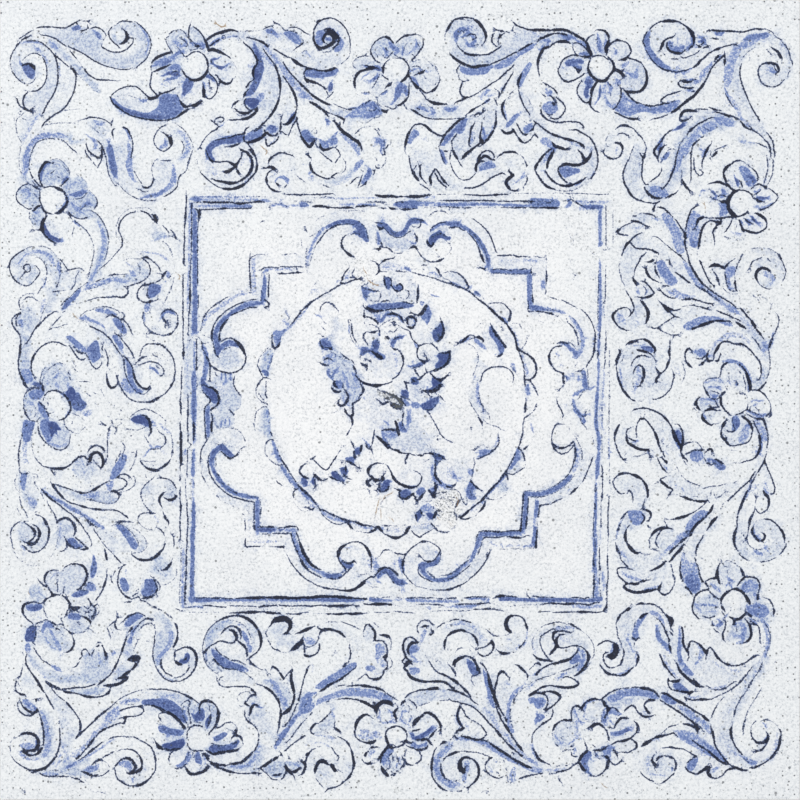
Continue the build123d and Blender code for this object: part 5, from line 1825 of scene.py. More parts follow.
def right_last_stem():
    """The stem that leaves the last flower and turns down to the bottom right corner."""
    brush("749,618,3 753,622 757,623", 4, 0.5)
    pen("749,615,1.8 753,619 758,622", 2, 0.8)
    pen("749,619,1.8 753,624,2.4 757,625 759,628 760,636 760,645,1.6", 2, 0.85)
    brush("762,619 766,626,6 768,634 768,644 766,652,4 764,658,4", 5, 0.45)
    pen("764,622,1.6 768,628 770,635 770,643 768,650 766,656,1.4", 2, 0.6)
    faint("763,640 764,648 762,656", 1.3, 0.4)
    brush("761,660,5 757,668 753,676", 4, 0.2)
    tint("766,654 770,662 762,676 752,690 744,702 740,716 728,730 716,742 718,726 716,712 724,700 736,690 "
        "746,676 754,664", 0.42)
    faint("776,661 773,666", 1.7)
    faint("762,664 759,671 754,678 750,684 748,690", 2.4, 0.65)
    faint("752,667 747,674 741,681 735,687 730,691", 2, 0.8)
    faint("757,664 760,660", 1.6, 0.4)
    faint("749,688 745,693 742,698", 2, 0.6)
    pen("742,696 739,702,2.4 736,707 735,711,2.6 734,716", 2, 0.75)
    faint("761,689 757,696 752,704 748,710 746,717 744,724", 2, 0.6)
    pen("744,724 743,730,2.6 744,735", 2, 0.7)
    pen("748,688 752,692", 1.4, 0.4)
    brush("729,712 732,708", 3, 0.3)
    faint("732,722 733,727", 1.8)
    brush("744,681 746,683,4", 5, 0.28)
    faint("762,692 764,700 766,709", 1, 0.3)


def right_last_leaf():
    """The leaf with the scalloped edge below the last flower, and the blue band under it."""
    tint("676,626 682,640 688,656 690,644 700,646 706,656 712,650 724,662 738,668 752,660 758,656 750,672 "
        "736,686 720,692 702,690 690,682 680,670 676,654", 0.3)
    fill("679,628 681,640 681,652 683,660 688,667 694,674 691,676 684,672 679,664 677,652 678,640", 0.62)
    brush("679,626 681,636 681,648,3", 4, 0.35)
    pen("682,627,2.4 683,635 683,642,2.6 685,648 687,652,2", 2.2)
    pen("689,657 688,651,2.6 689,645,2.4 691,641 695,642 700,645,2.4 704,650,2.8 705,653", 2, 0.95)
    brush("697,644 701,649,4 701,655,5 698,661,3", 2, 0.45)
    pen("706,658,2 707,652,2.2 710,647 714,652 718,658 724,663 731,665.5 738,665.5,2.2 745,663,2"
        " 750,659,2", 2.4, 0.95)
    pen("750,660 753,657,4 757,655,3.4", 2.4, 0.75)
    brush("714,662 720,667 726,669", 3, 0.28)
    brush("728,668 734,671,3 742,671", 2, 0.25)
    faint("740,665 746,666", 3, 0.3)
    pen("677,664,2.4 680,671 686,677 692,682 698,686,2.8 704,687,2.4", 3.2, 0.95)
    pen("694,680 700,685", 2.2)
    pen("707,686 712,689,2.2 719,690,2.2 725,688,2.4 731,684 735,681,1.8", 2, 0.75)
    brush("710,688,2 718,688 726,686", 3, 0.35)
    pen("714,698,1.6 720,695 727,692,2.2 733,688,2 740,682,2 746,676", 1.8, 0.75)
    pen("660,655 662,660 665,665,2.4 668,670 672,675,2.2 675,678", 2)
    brush("664,656 667,664 672,671 678,678,2", 3, 0.35)
    brush("661,640 666,646,5 670,651", 4, 0.65)
    brush("657,627 658,634,5 659,640,4", 3, 0.62)
    pen("665,630 668,635,3|668,637,2.4 670,641,2.8", 2.6, 0.9)
    pen("669,643 670,648,2.8 671,652,2", 2.2, 0.95)
    pen("671,629 673,631,2.4", 3, 0.8)
    pen("671,633 673,635.5,3|667,615,2 670,619,2.2 671,626,3.2|671,617 673,621,2.8 672,624,2.2", 2.4, 0.95)
    pen("674,660 676,662", 2, 0.6)


def bottom_right_bud():
    """The dark-edged bud and the blue stem that cross above the bottom right corner."""
    pen("668,679,2 668,684,2.6 670,688,3 672,690|670,681,2.2 675,681.5,2.8 679,680.5 681,679,1.8", 2.4, 0.95)
    fill("673,684 679,683 685,687 689,691 687,694 680,692 674,688", 0.75)
    pen("673,690,2 679,691 685,692,2.6 690,692.5,3 695,691", 2.2, 0.95)
    pen("687,693 690,695|685,697,2 688,699 693,700 700,699.5,2.8 707,699.5 712,699,1.8", 2.4, 0.9)
    brush("688,696 695,698,3 701,695", 2, 0.4)
    faint("695,692 699,691 702,693|684,697,1.6 688,703,1.6", 1.3)
    fill("661,697 663,693 669,695 675,700 676,704 670,704 664,701", 0.72)
    pen("662,693 668,695,2.8 674,699,2.8 680,702,2.8 687,706 694,711 700,714,2.2|702,715 706,719,3.2 "
        "709,721,2.4", 2.6)
    brush("678,706,3 685,710 691,715,7 697,719|701,720,5 706,726 710,733,4", 6, 0.45)
    pen("660,700,1.8 666,704,2.4 673,708,2.4|676,710 682,714 687,718 693,722,2.4 697,727,2.6 700,731", 2.2)
    pen("696,722 701,728,1.6 704,732", 1.4, 0.8)
    pen("711,727,2 713,734,2.6 714,740,2 715,745 718,750,2.4 722,756 727,762 732,766 737,768,2.4 "
        "742,770,2.4 748,770.5,2", 2.2)
    pen("724,697 719,702,2 716,706,1.6", 1.4, 0.6)
    pen("715,709 713,713,2.2 711,719,1.8", 2.6, 0.9)
    faint("711,722 711,727", 1.4, 0.6)
    pen("644,706,1.6 645,703 649,700.5,2.4 654,700,2.6|644,706,1.8 646,710,2.2 648,713,2.2"
        " 652,712.5", 2, 0.95)
    pen("641,715,1.6 646,717 652,716", 2.2, 0.9)
    brush("643,711 646,714", 3, 0.35)
    fill("640,690 648,690 655,692 659,697 654,698 646,696 640,696", 0.5)
    pen("641,688.5,2.2 648,689.5 655,692 659,697,1.8", 2.4, 0.9)


def bottom_right_corner_scroll():
    """The big scroll in the bottom right corner."""
    tint("716,740 722,728 730,724 730,738 738,750 746,756 760,758 774,748 778,736 774,724 766,720 776,726 "
        "780,738 776,752 764,762 748,766 736,764 724,756", 0.42)
    pen("731,728,2.4 731,735,2.8 733,741 735,746 739,751 743,755,1.8", 2, 0.95)
    pen("729,741 731,742", 2, 0.6)
    brush("727,745 733,752 741,757,4", 3, 0.28)
    fill("741,756 746,757 753,760 758,761 756,765 750,765 745,760", 0.55)
    pen("743,758 748,762 755,762,1.6", 2.4, 0.5)
    pen("750,768,2.4 756,767 762,764,2.4 767,761,2.4 772,757 776,752 779,746 780,739 781,733,2.4"
        " 779,728,2", 2.6, 0.9)
    brush("764,762 772,757,4 777,748,4 778,740", 3, 0.35)
    faint("778,727 774,723 770,720", 1.3)
    pen("761,721 765,719.5,2.4 770,720.5,2.8", 1.6, 0.75)
    faint("756,721 752,725 751,728", 1.8, 0.7)
    pen("751,732 752,737,2.2 755,741,2.6 759,743,2.8 764,742,3 768,739,3.6 768,735,3 766,732", 2, 0.9)
    brush("765,741 768,737", 4, 0.6)
    pen("768,741 765,746 761,750,2.8 756,751,2.2", 2.6, 0.8)
    brush("764,724 765,725,2", 3, 0.6)
    pen("766,715 765,717", 1.4, 0.3)
    brush("777,728,2 776,742 772,752", 4, 0.18)
    pen("743,769.5,2 737,768.5,2 730,769 726,771 723,775 720,777,2 715,778.5 711,777,2.8", 2.2, 0.9)
    pen("711,777 708,773,3.4 709,769 711,767,2", 3, 0.95)
    brush("711,772 714,770,4 717,768", 3, 0.5)


def bottom_right_blue_wing():
    """The dense blue wing that sweeps into the bottom right corner, and the ring under it."""
    fill("672,731 680,730 690,731 698,735 705,740 711,745 716,749 720,754 726,761 722,760 714,759 707,755 "
        "700,750 692,746 684,742 678,738 676,733", 0.42)
    brush("681,735,4 690,741 699,747 707,752 714,757,4", 5, 0.55)
    brush("704,742 711,749,4 718,755,4 724,761", 3, 0.62)
    brush("716,748 722,755,4 727,760", 3, 0.45)
    pen("692,740,1.8 700,746,2.2 708,751 714,756 720,761,2.4 727,765,2", 2.6, 0.9)
    pen("727,762 732,766 738,768.5,2", 2.2, 0.8)
    faint("697,736 704,741 709,747", 1.3, 0.3)
    pen("669,727 673,725.5 677,725,1.8", 2.4, 0.85)
    faint("679,724 683,724", 1.5, 0.6)
    pen("685,724 690,725,2.4 694,727,2.6 697,730,2.2", 1.8, 0.9)
    pen("642,746,3 646,743 650,741,2.6 654,738,2.4 659,736.5 664,735.5,2.8 669,734.5,2.2 673,733,2.4 "
        "677,736,1.8", 3.4, 0.95)
    pen("661,734 664,731", 1.6, 0.6)
    brush("652,740 657,739", 3, 0.35)
    faint("673,733 676,737 679,738|660,749 664,747", 1.4)
    pen("666,747.5 670,747,2.4 673,748.5,2.2", 1.8, 0.85)
    pen("678,748.5,2 683,749,2.4 687,751|688,751.5 692,754,2.2 697,757,2.2", 1.8, 0.9)
    fill("690,760 694,757 698,758 697,764 694,769 690,771 687,768 687,763", 0.62)
    pen("697,756,2.2 694,758,2 690,760 687,763", 1.8, 0.85)
    pen("685,767,1.6 688,771,2 692,773,2.4 697,774,2.8 702,771 706,768 709,765,2.2", 3)
    pen("654,755,1.8 652,760,2.8 654,764 657,767,2.6|656,761,1.4 658,758 662,756,2.4 667,756,2"
        " 673,758,2.4", 3, 0.85)
    pen("658,762,2.4 658,765,2|656,752 657,753", 1.8, 0.7)
    pen("674,759,1.6 676,763 676,768 674,771", 2.2, 0.9)
    faint("668,761 671,766 674,770", 1.4)
    brush("671,766 673,770", 3, 0.35)
    pen("641,773 645,777,1.8 651,781,2", 1.6, 0.9)
    pen("657,784 660,784", 2, 0.7)
    pen("662,783 668,779,2 672,775,2.2 675,774,2.4", 1.8, 0.95)
    brush("652,774,2 657,775 661,775", 3, 0.45)
    brush("648,757 648,766,5 650,770", 3, 0.2)
    tint("640,758 650,752 662,750 674,754 680,764 672,774 660,780 646,774 640,768", 0.35)


def right_inner_hook():
    """The hooked scroll beside the right frame, over the C-shaped band."""
    tint("616,478 626,473 638,476 646,488 647,500 642,512 632,510 634,500 628,492 618,490 613,484", 0.3)
    pen("625,493,1.6 621,494,2 617,491 614,486 613,481 616,477 620,474,2.4 626,473,2.4 631,474", 2.2, 0.9)
    pen("631,474,2.2 635,475.5 640,478,3 644,482,3 647,488 648,494 647,499,2.4", 2.8, 0.95)
    brush("643,482 645,490", 3, 0.3)
    pen("627,494,2.3 629,490 631,492,2.6 632.5,496,2.8 633,500,2.2 634,503,1.8|644,502,2.2 643,506 "
        "642.5,509,2", 2.4, 0.8)


def right_c_band():
    """The C-shaped band with a dark head beside the right frame."""
    tint("628,510 640,510 642,522 630,528 624,534 624,546 634,556 650,560 664,552 656,566 640,572 626,564 "
        "618,552 615,540 618,526 624,516", 0.38)
    fill("628,511 634,510 641,511 645,515 644,520 640,525 634,525 630,520 628,515", 0.55)
    pen("641,509,2 646,510 650,512,3 651,516 649,520,2.2|642,514,2.2 644.5,517 644,520,2.6"
        " 641,524,2", 2.8, 0.95)
    pen("648,526 649,527", 2.4, 0.8)
    pen("628,511 624,515,2 621,519,2.2", 1.6, 0.9)
    pen("620,524 618,530,3 617,532,2.4", 2, 0.85)
    brush("623,516 619,526 617,536 616,542", 3, 0.42)
    faint("626,515 622,521 618,529", 1.4)
    pen("616,536 617,540,2.4", 2.8, 0.6)
    pen("616,545 617.5,550,2.8 620,554,2.6", 2.2, 0.8)
    brush("619,548 624,556,4 628,560", 3, 0.35)
    pen("621,560 625,564,2.4 628,567,2.2", 1.8, 0.9)
    pen("627,528 630,525,2", 2.4, 0.8)
    pen("626,531,2.2 625,536 626,541,2.8 629,546 632,550 636,553,3.4 639,553,2.4", 3, 0.95)
    faint("641,553 646,555 651,554", 1.6, 0.6)
    faint("644,558 652,559 658,557", 1.2, 0.3)


def right_split_leaf():
    """The split leaf at the foot of the right frame."""
    tint("620,568 632,568 644,572 656,566 668,562 674,574 672,586 662,592 650,586 632,582 622,576", 0.32)
    pen("633,570,1.8 628,568.5 623,567.5,2 619,568,2.4 617,570,2.6 618,575 622,579,2"
        " 626,582.5,1.6", 2.2, 0.95)
    brush("624,574,3 630,577 637,579 642,580,2", 4, 0.42)
    brush("628,575 640,579,2", 3, 0.3)
    pen("646,580.5,2.2 641,582,2.8 636,584 631,583.5,2.4 627,584,2.4 623,587|623,587 627,589.5,3.2 "
        "633,592,3.4 639,592.5,3.2 645,591.5,3.8 651,590.5 656,588.5", 3, 0.95)
    brush("645,590,4 652,588 657,587", 3, 0.55)
    faint("649,571 655,569", 1.4, 0.4)


def bottom_right_ring_leaf():
    """The ring-ended blue stem above the bottom border's right flower."""
    tint("534,640 542,632 552,628 562,624 574,628 588,640 592,654 586,668 576,678 564,676 552,674 538,684 "
        "524,690 532,678 548,670 566,662 578,654 580,648 566,646 556,644 552,632 546,634 540,644"
        " 536,652", 0.35)
    brush("535,654 533,646 533,638 536,632", 3, 0.28)
    brush("556,627 562,629,4 570,628 574,628", 3, 0.42)
    pen("558,626 563,628,2 568,629", 1.8, 0.6)
    pen("545,625 551,623.5,2 557,622,2.2 562,622.5,2 566,624", 1.6, 0.8)
    pen("570,624 575,626.5,2.4 580,630,1.8", 2.2, 0.9)
    faint("582,631 587,635 591,640 594,647 594,652", 1, 0.7)
    pen("594,655 592.5,659,2.4", 2, 0.7)
    faint("590,663 586,669 581,673", 1.2, 0.7)
    pen("540,628 537,631", 1.4, 0.5)
    pen("534,636 533,639,2", 2.2, 0.7)
    pen("532,642 532.5,648", 2, 0.6)
    pen("533,654,1.8 537,658,2.2 542,660 548,660.5 552.5,661,2.8", 2.6, 0.9)
    pen("540,640 541,636,2 543,634.5,2.6", 1.8, 0.8)
    pen("545,633.5 549,631 552,629,2.6 555,629,2", 2.4, 0.9)
    pen("540,642,1.6 541,647 543,651,2 547,657,2.4 549,659", 1.8, 0.75)
    pen("553,640,2.2 553,636 554,633 557,631.5 562,631,2.2 568,632,2.2 572,633.5|553.5,639,2.2 555,643 "
        "555.5,648,2.8 552,652 549,656,1.8", 2.4, 0.95)
    pen("552,651 549.5,654", 2, 0.6)
    pen("564,634.5 560,635 557,638,2.4 556.5,642,2.4 558,646,2.4 561,648,2.2 566,647.5 572,646 "
        "578,645.5,2.4", 2, 0.95)
    brush("560,638 566,640", 5, 0.2)
    pen("578,645.5 578,649 576.5,653", 2, 0.9)
    pen("581,646.5,2 585,649.5 588,654,3 588.5,659,3 586,665,2.8 582,670 578,674 573,676.5,2.4|577,653,2.4 "
        "573,656.5,2.8 570,659,3 564,661,2.8 557,663 550,664.5 545,667,2.4 540,670,2.4 536,675,3", 2.6, 0.95)
    fill("576,653 580,656 581,661 576,663 572,664.5 569,662 571,658", 0.68)
    brush("583,651 584,658 581,666 577,671,3", 4, 0.5)
    brush("578,648 583,655", 2, 0.6)
    brush("578,667 582,661", 3, 0.5)
    pen("583,653 582,658", 2, 0.5)
    faint("580,663 574,667 568,669.5,1.8 561,671.5,1.6", 2, 0.7)
    faint("558,673 552,675 547,677", 1.4, 0.6)
    pen("546,676.5 541,678.5,2 536,680.5,1.6", 1.8, 0.8)
    brush("559,678 564,675,5 567,673", 3, 0.52)
    brush("534,675 538,672,3 544,670,2", 4, 0.42)
    brush("531,686 534,683", 3, 0.4)
    faint("534,681 528,685 524,688 520,691", 1.3, 0.6)


def bottom_right_pointed_leaf():
    """The pointed leaf with the dark blue heart above the bottom border's right flower."""
    pen("563,678,1.6 566,676.5,2 570,677.5,2 575,680,2.2 579,683.5,2 575,686.5,2.4 569,687.5,2.6 563,687.5 "
        "556,686.5,3 550,685.5,3 544,686.5 539,689 534,692.5 528,696.5,2.4", 2.8, 0.95)
    brush("541,690 550,687 560,688", 2, 0.12)
    tint("536,692 544,688 556,688 570,689 560,690 548,690 552,692 560,696 556,702 550,708 548,700"
        " 546,694", 0.32)
    pen("533,694,2.2 538,693,2.8 543,693.5,2.8 546.5,696 548,701 547,706 544.5,711,3.4|543,692,2 "
        "549,691.5,2.4 555,692.5,2.4 559,695,2.4 560.5,697,2.2 558,701,2.4 554,705,2.8 549,708.5 "
        "545,711,3.4", 3, 0.95)
    brush("546,694 549,700,4 549,706", 3, 0.22)
    fill("528,699 532,697 537,698 542,697 546,700 545,704 542,708 538,709 535,707 533,703 530,704", 0.55)
    brush("536,700 540,703,5 539,706", 4, 0.75)
    brush("530,701 532,702", 3, 0.5)
    fill("535,718 538,714 542,714 545,717 541,721 537,723 535,725 534,721", 0.62)
    brush("537,715 542,716,4", 3, 0.6)
    pen("552.5,709,1.6 553,713 551,718,2.2 547,721.5,2.2 542,724,2.4 538,728 534,732 532,737 532,741 "
        "531.5,745,1.6", 2, 0.9)
    pen("546,716 549,713", 1.6, 0.5)
    pen("531,715 532,717", 2, 0.4)


def bottom_right_stems():
    """The sheaf of stems that meet right of the middle of the bottom border."""
    tint("494,676 504,672 512,678 520,686 530,690 522,700 512,712 510,726 516,744 528,756 518,752 506,736 "
        "498,718 494,700", 0.3)
    tint("480,704 490,700 500,720 512,742 524,756 514,752 500,734 488,720", 0.4)
    brush("483,708 490,714,5 496,724,5 500,732", 4, 0.28)
    brush("505,734 512,744 520,752,4 526,757,4", 5, 0.35)
    pen("498,676 500,672.5,2.8 503,671.5,2.2 506,674 510,680,1.8|497,681,2.8 495.5,686,2.6 494.5,692,2.2 "
        "495.5,698,2.2 497.5,704 500,709 504,716 507,722", 2.4, 0.95)
    brush("506,681 509,686,4", 3, 0.28)
    faint("510,678 513,673 514,670", 1.2, 0.4)
    pen("517,665 520,667,3.2 523,670,3 526.5,673.5,2.4 528,676,2 526,679,1.8", 2.8, 0.9)
    faint("530,669 533,666 536,663", 1.6, 0.7)
    pen("536,663 539.5,663.5,2.8 540,667", 2, 0.9)
    brush("530,676 536,675", 3, 0.4)
    brush("525,684 528,689,2", 3, 0.35)
    fill("524,685 518,692 513,699 511,705 510,714 511,724 514,732 511,734 508,728 506,718 507,706 510,696 "
        "516,689", 0.5)
    brush("509,702 508,712 509,722,4 513,731,4", 3, 0.4)
    pen("521,690,1.8 517,695,2.2 514,700 512.5,704,1.8|511,709,2 510,715 511,722 513,728,2", 2.4, 0.6)
    pen("480,663,2 484,666,2.2 487,671,2.6 488.5,676,3 489.5,681 491,687 493,694 495,702 497,709,2.6 "
        "500,716,2.4 500,719,1.8", 3.4, 0.95)
    fill("483,670 487,673 489,682 491,692 494,702 495,708 491,706 488,696 485,684", 0.62)
    brush("489,696 492,704", 4, 0.62)
    pen("500,718,1.8 505,725 509,731,2.8 513,738,2.8 518,745,2.8 523,751|451,700.5,1.8 458,702,2 465,704,2 "
        "472,706.5,2 478,711,2 483,716,2.2 489,723,2.2 495,729 500,735,2.6 505,741,2.6 511,747 517,752,2.2 "
        "523,757,2|451,678,2 457,682 463,688 468,693,2.6 472,698,1.8", 2.4, 0.95)
    pen("451,689 457,691,2.4 463,694,2.6 469,698,2.4 474,702,2 477,704", 1.6, 0.9)
    pen("450,685 454,688.5", 2.4, 0.95)
    tint("450,692 462,696 474,704 482,712 472,706 460,702 450,700", 0.5)
    brush("531,744,3 534,752 537,758", 4, 0.45)
    brush("527,758,3 533,762 538,764", 4, 0.5)
    pen("533,748,1.8 537,756 540,760,2.6 546,763,2.4 551,765", 2.2, 0.85)
    pen("556,766 562,766|565,766 567,765,2", 1.8, 0.7)
    faint("570,764 576,763", 1.4)
    pen("578,762 574,765 569,769,2.2 563,771,2.2 556,772,2", 2.4, 0.85)
    brush("546,770 556,770 566,768", 3, 0.35)
    pen("540,772.5 545,774,1.6", 2, 0.6)
    pen("549,774 557,773.5,2", 1.8, 0.7)


def bottom_middle_blue_band():
    """The long blue band that runs along the bottom border from the middle flower to the right stems."""
    tint("450,742 464,742 480,746 496,754 510,762 528,770 544,774 560,774 540,766 520,758 500,746 482,738 "
        "462,736", 0.4)
    fill("454,737 462,736.5 472,739 484,739.5 492,743 500,749 508,755 520,762 530,768 543,769 540,773 "
        "530,771 516,764 504,758 492,751 482,745 470,741 456,740", 0.52)
    brush("486,745 498,752,5 508,759 518,763|532,768 540,770", 4, 0.35)
    pen("454,735 456,738,2.6 460,739,2.2|461,736,2.2 468,737.5,2.6 475,739.5,2.8 481,740,2.8 487,741.5,2.6 "
        "493,745.5,2.8 499,749.5,2.8 506,754 513,759 520,763,3.4 526,766 532,768,2.4|459,731,2.8 "
        "463,728.5,3.4 464,727,2.6|456,733,2.4 459,730", 3, 0.95)
    faint("450,723 452,724,1.4", 1.6, 0.4)
    pen("454,716 455,714", 2.2, 0.7)
    brush("458,712 457,718 460,724,4 463,726", 3, 0.6)
    pen("460,706 458,711,2.6 457.5,717 459,722,2.6 463,727|460,706,1.8 464,711,2 466,716,2.2"
        " 470,719,1.8", 2.4, 0.9)
    faint("471,720 476,722 481,726", 1.4, 0.8)
    pen("481,725.5 484.5,730,2.2 486.5,734 484.5,737 481,739", 2, 0.9)
    brush("468,728 469,731", 3, 0.3)
    faint("471,721 476,723", 1.2, 0.4)
    pen("540,774 533,775,2 528,776,2.4 522,777.5,2.4 519,779", 1.8, 0.9)
    faint("518,779 515,781", 1.4, 0.6)
    fill("510,782 509,778 510,773 513,767 516,768 516,774 515,779 514,782", 0.42)
    brush("511,777 512,781,4", 3, 0.4)
    pen("508,782 512,782.5,2.2", 2, 0.6)
    pen("507,771 508,772,2", 1.8, 0.7)
    faint("507,775 508,780", 1.4, 0.6)
    pen("492,757.5 488,760,2.4 485.5,764,2.4 485,767", 2, 0.95)
    pen("487,772 489,773.5,2.4|490,775,2 495,777.5,2.2 499,778.5,1.8", 2.8, 0.9)
    pen("502,777 504,775.5", 2, 0.8)
    pen("499,773.5 500,774", 1.8, 0.6)
    brush("490,768 492,772,4|494,760,2 497,763", 3, 0.3)
    faint("494,758 500,762 505,762", 1.2, 0.4)


def bottom_middle_ring():
    """The dark-headed ring scroll at the foot of the bottom border, right of its middle flower."""
    pen("470,758 464,757.5,3 460.5,761,3.6 459,766,4 461,771,4.4 464,772,3.6 465,767", 2.4)
    pen("460,760 461,768,5 464,771", 4, 0.95)
    fill("464,762 468,761 470,767 467,776 465,784 462,780 463,772 465,768", 0.45)
    brush("463,776 465,781,4", 3, 0.45)
    pen("466,758,2 471,758.5 475,761,2.2 478,766 479,771 478,777 475,781.5 471,785,2.2"
        " 468,788,1.8", 2.4, 0.95)
    pen("465,787 468,787,1.6", 1.8, 0.5)
    brush("451,781 457,783 461,787,3", 4, 0.35)
    faint("453,782 458,780 460,779", 1.6, 0.8)
    pen("458,791 463,791", 2, 0.7)
    faint("453,791 456,791.5", 1.2, 0.4)
    pen("450,755 454,753,3 457,752,2.4", 2.6, 0.95)
    pen("461,751 466,751.5,2 469,752", 1.6, 0.85)
    faint("472,752 479,753 485,755 490,757", 1.4, 0.7)
    pen("482,753.5 486,755,1.8", 1.6, 0.6)


def bottom_inner_bulb():
    """The bulb leaf with the blue blade, right of the bottom border's middle."""
    tint("454,662 462,656 472,660 480,672 484,684 476,690 466,684 458,676 452,668", 0.25)
    fill("466,659 470,660 474,663 477,668 480,673 479,675 473,675 470,672 468,667", 0.75)
    pen("455,667,2.6 454,663 457,660 460,658 463,657.5,2.4", 3.2, 0.95)
    faint("464,656,2.3 470,657 474,660,2.4 476,664,2.6 478,669,2.8 480,674", 2, 0.9)
    pen("476,664 478.5,670,2.8 480,674", 2.2, 0.85)
    pen("472,676 478,674.5", 2, 0.7)
    pen("471,680 474,684", 2, 0.6)
    pen("474,677 477,678", 1.6, 0.4)
    pen("451,667 454,671,2.6 456,675", 2, 0.8)
    pen("480,663 484,665", 2, 0.9)
    pen("455,653 457,650,2", 1.6, 0.6)
    pen("458,649 461,648", 1.8, 0.7)
    faint("465,648 471,651 475,658", 1.3)
    pen("460,655 461,655", 1.8, 0.5)
    faint("474,655 476,660", 1.3)


def bottom_arch_band():
    """The arched band under the frame, right of the middle, and the small tail at its foot."""
    tint("450,624 458,620 470,622 480,628 486,640 484,650 476,646 470,636 462,630 450,632", 0.42)
    brush("454,624 462,623 470,625 476,630", 4, 0.3)
    brush("480,636 487,641", 5, 0.26)
    pen("450,621 455,619.5,2.4 460,619.5 466,621,2.4 471,622.5", 2, 0.9)
    pen("450,635,2 454,632 458,630.5 462,630,2.8 467,632,2.2|470,633,1.8 475,637 477,642,3"
        " 478,646,2.4", 2.6, 0.95)
    pen("476,648,1.8 481,648 486,646.5 490,643,2.2 491.5,640,1.6", 2, 0.9)
    pen("478,653,2 481,655.5 484,656.5,2.2 488,655,1.8 492,651.5 493.5,647,2.8 493,643,2.8"
        " 490.5,639,1.8", 2.4, 0.95)
    faint("474,648 477,652", 1.4, 0.6)
    faint("470,644 474,649", 1.2, 0.4)
    pen("476,648 478,650", 1.8, 0.6)
    brush("477,628 478,633", 3, 0.25)
    faint("481,627 483,629", 1.4, 0.4)


def bottom_s_leaf():
    """The S-shaped leaf with the dark root under the frame."""
    tint("508,618 518,616 526,624 526,636 522,648 512,654 500,654 494,648 504,642 508,634 514,630"
        " 510,626", 0.28)
    pen("520,616 514,615.5,2 509,617,3.4 506.5,621,4.2 506,626,4 508,630,3.8 511,632,2.8", 1.6)
    pen("520,616 524,619.5,3 526,625,2.8 528,630,2.2", 1.6, 0.95)
    brush("527,632 526,640 522,648", 3, 0.45)
    pen("525,641 522,645,2.4 518,650,2.8", 2, 0.9)
    brush("519,645 516,648", 2, 0.4)
    pen("497,650 501,653,2.6 506,653.5,2.8 510,653,2.4", 1.8, 0.9)
    pen("513,652.5 515,652", 2.4, 0.8)
    faint("500,655 508,656 514,655", 1.2, 0.4)
    pen("487,630,1.6 491,633.5 495,636 499,636,2", 2.2, 0.8)
    faint("503,636 509,634 513,632", 1.4)
    brush("507,638 510,640,4", 3, 0.22)
    faint("519,622 524,628", 1.2, 0.3)


def bottom_right_flower():
    """The bottom border's right flower."""
    tint("572,710 580,704 590,698 602,702 606,712 600,722 588,722 576,718", 0.3)
    tint("556,726 566,720 578,726 582,736 574,746 560,748 552,740 552,732", 0.4)
    pen("598,699.5,2 593,699,2.6 588,701 584,704.5 581,710,2.4", 3, 0.9)
    brush("586,704 583,710,3", 4, 0.6)
    brush("588,702 595,700", 3, 0.4)
    pen("584,711 581,709,2 578,706,2.4 574,706.5,2.4 571.5,711,2.4 571,716 572.5,722", 2.2, 0.95)
    brush("574,710 573,716,2", 3, 0.4)
    brush("576,718 578,726", 3, 0.35)
    brush("584,716 586,720", 3, 0.42)
    pen("603,700.5 606,705,3 608,711,3.4", 2.2, 0.95)
    brush("604,712 603,720,5 606,723", 4, 0.62)
    pen("571.5,720,1.8 568,720.5,2 564,720 559,722 555,725.5,2.4 553,730", 2.2, 0.95)
    brush("574,722 580,726", 3, 0.3)
    faint("552,733 553,738 555,743", 1.2)
    brush("555,735 558,740|561,745 563,743", 3, 0.4)
    pen("556,744.5 558,746.5,2.8", 2.6, 0.7)
    pen("562,739 563,738", 1.8, 0.5)
    faint("570,731 571,733", 1.8, 0.4)
    pen("592,726.5 595,724.5,3.6 599,724,3.4 602,726,2.8 605,728,2", 3, 0.95)
    pen("605,728 607,732,2.4 608.5,737,2.6 609,742,2", 1.8, 0.85)
    brush("575,739 580,737", 3, 0.42)
    pen("570,747 574,745,2.4", 2.2, 0.7)
    brush("572,746 575,750 574,754,2", 3, 0.5)
    pen("565,750 568,750|571,750,2 576,748.5,1.8", 2.2, 0.7)
    pen("571,752 572,756,2 576,756.5,1.8", 1.6, 0.85)
    pen("585,742.5,1.8 586,746 588,750", 2, 0.9)
    pen("592,744.5 593,745", 2, 0.6)
    pen("594,746 595,746", 2.2, 0.8)
    pen("608,746 604,749,2.2 600,750.5 596,750,2 592,750,2", 2.4, 0.9)
    pen("588,751 584,753.5,3.2 581,757,3 579,761,2.4", 2.6, 0.95)
    fill("582,758 585,753 590,751 592,755 589,759 586,764 584,766 581,762", 0.75)
    fill("583,763 587,763 589,769 592,775 589,776 585,771 583,767", 0.62)
    pen("579,761.5 581,766,3.2 584,770,3.6 585,772,2.4", 2.2, 0.95)
    pen("588,772 591,775.5,2.2 595,776.5,2", 1.8, 0.8)
    pen("598,775.5 601,774,2.6 604,771.5,2", 2.2, 0.9)
    brush("595,752 596,757,3 599,759", 2, 0.55)
    brush("590,758 592,761", 2, 0.4)
    fill("603,750 608,745 612,748 611,753 606,755 603,753", 0.6)
    pen("603,756,2 608,757,2.4 608,762 607,768 605,770,2.2", 3, 0.9)


def bottom_specks():
    """The few dark specks along the tile's lower edge."""
    pen("560,781 561,783", 2, 0.8)
    pen("562,783.5 563,784|484,791 485,791", 1.8, 0.6)
    pen("497,797 498,797.5|544,799,2 545,799,2|605,793,1.6 606,793.5,1.6", 1.8, 0.5)
    pen("504.5,761.5 505.5,762", 2, 0.7)
    pen("513,753 514,754", 2.2, 0.8)


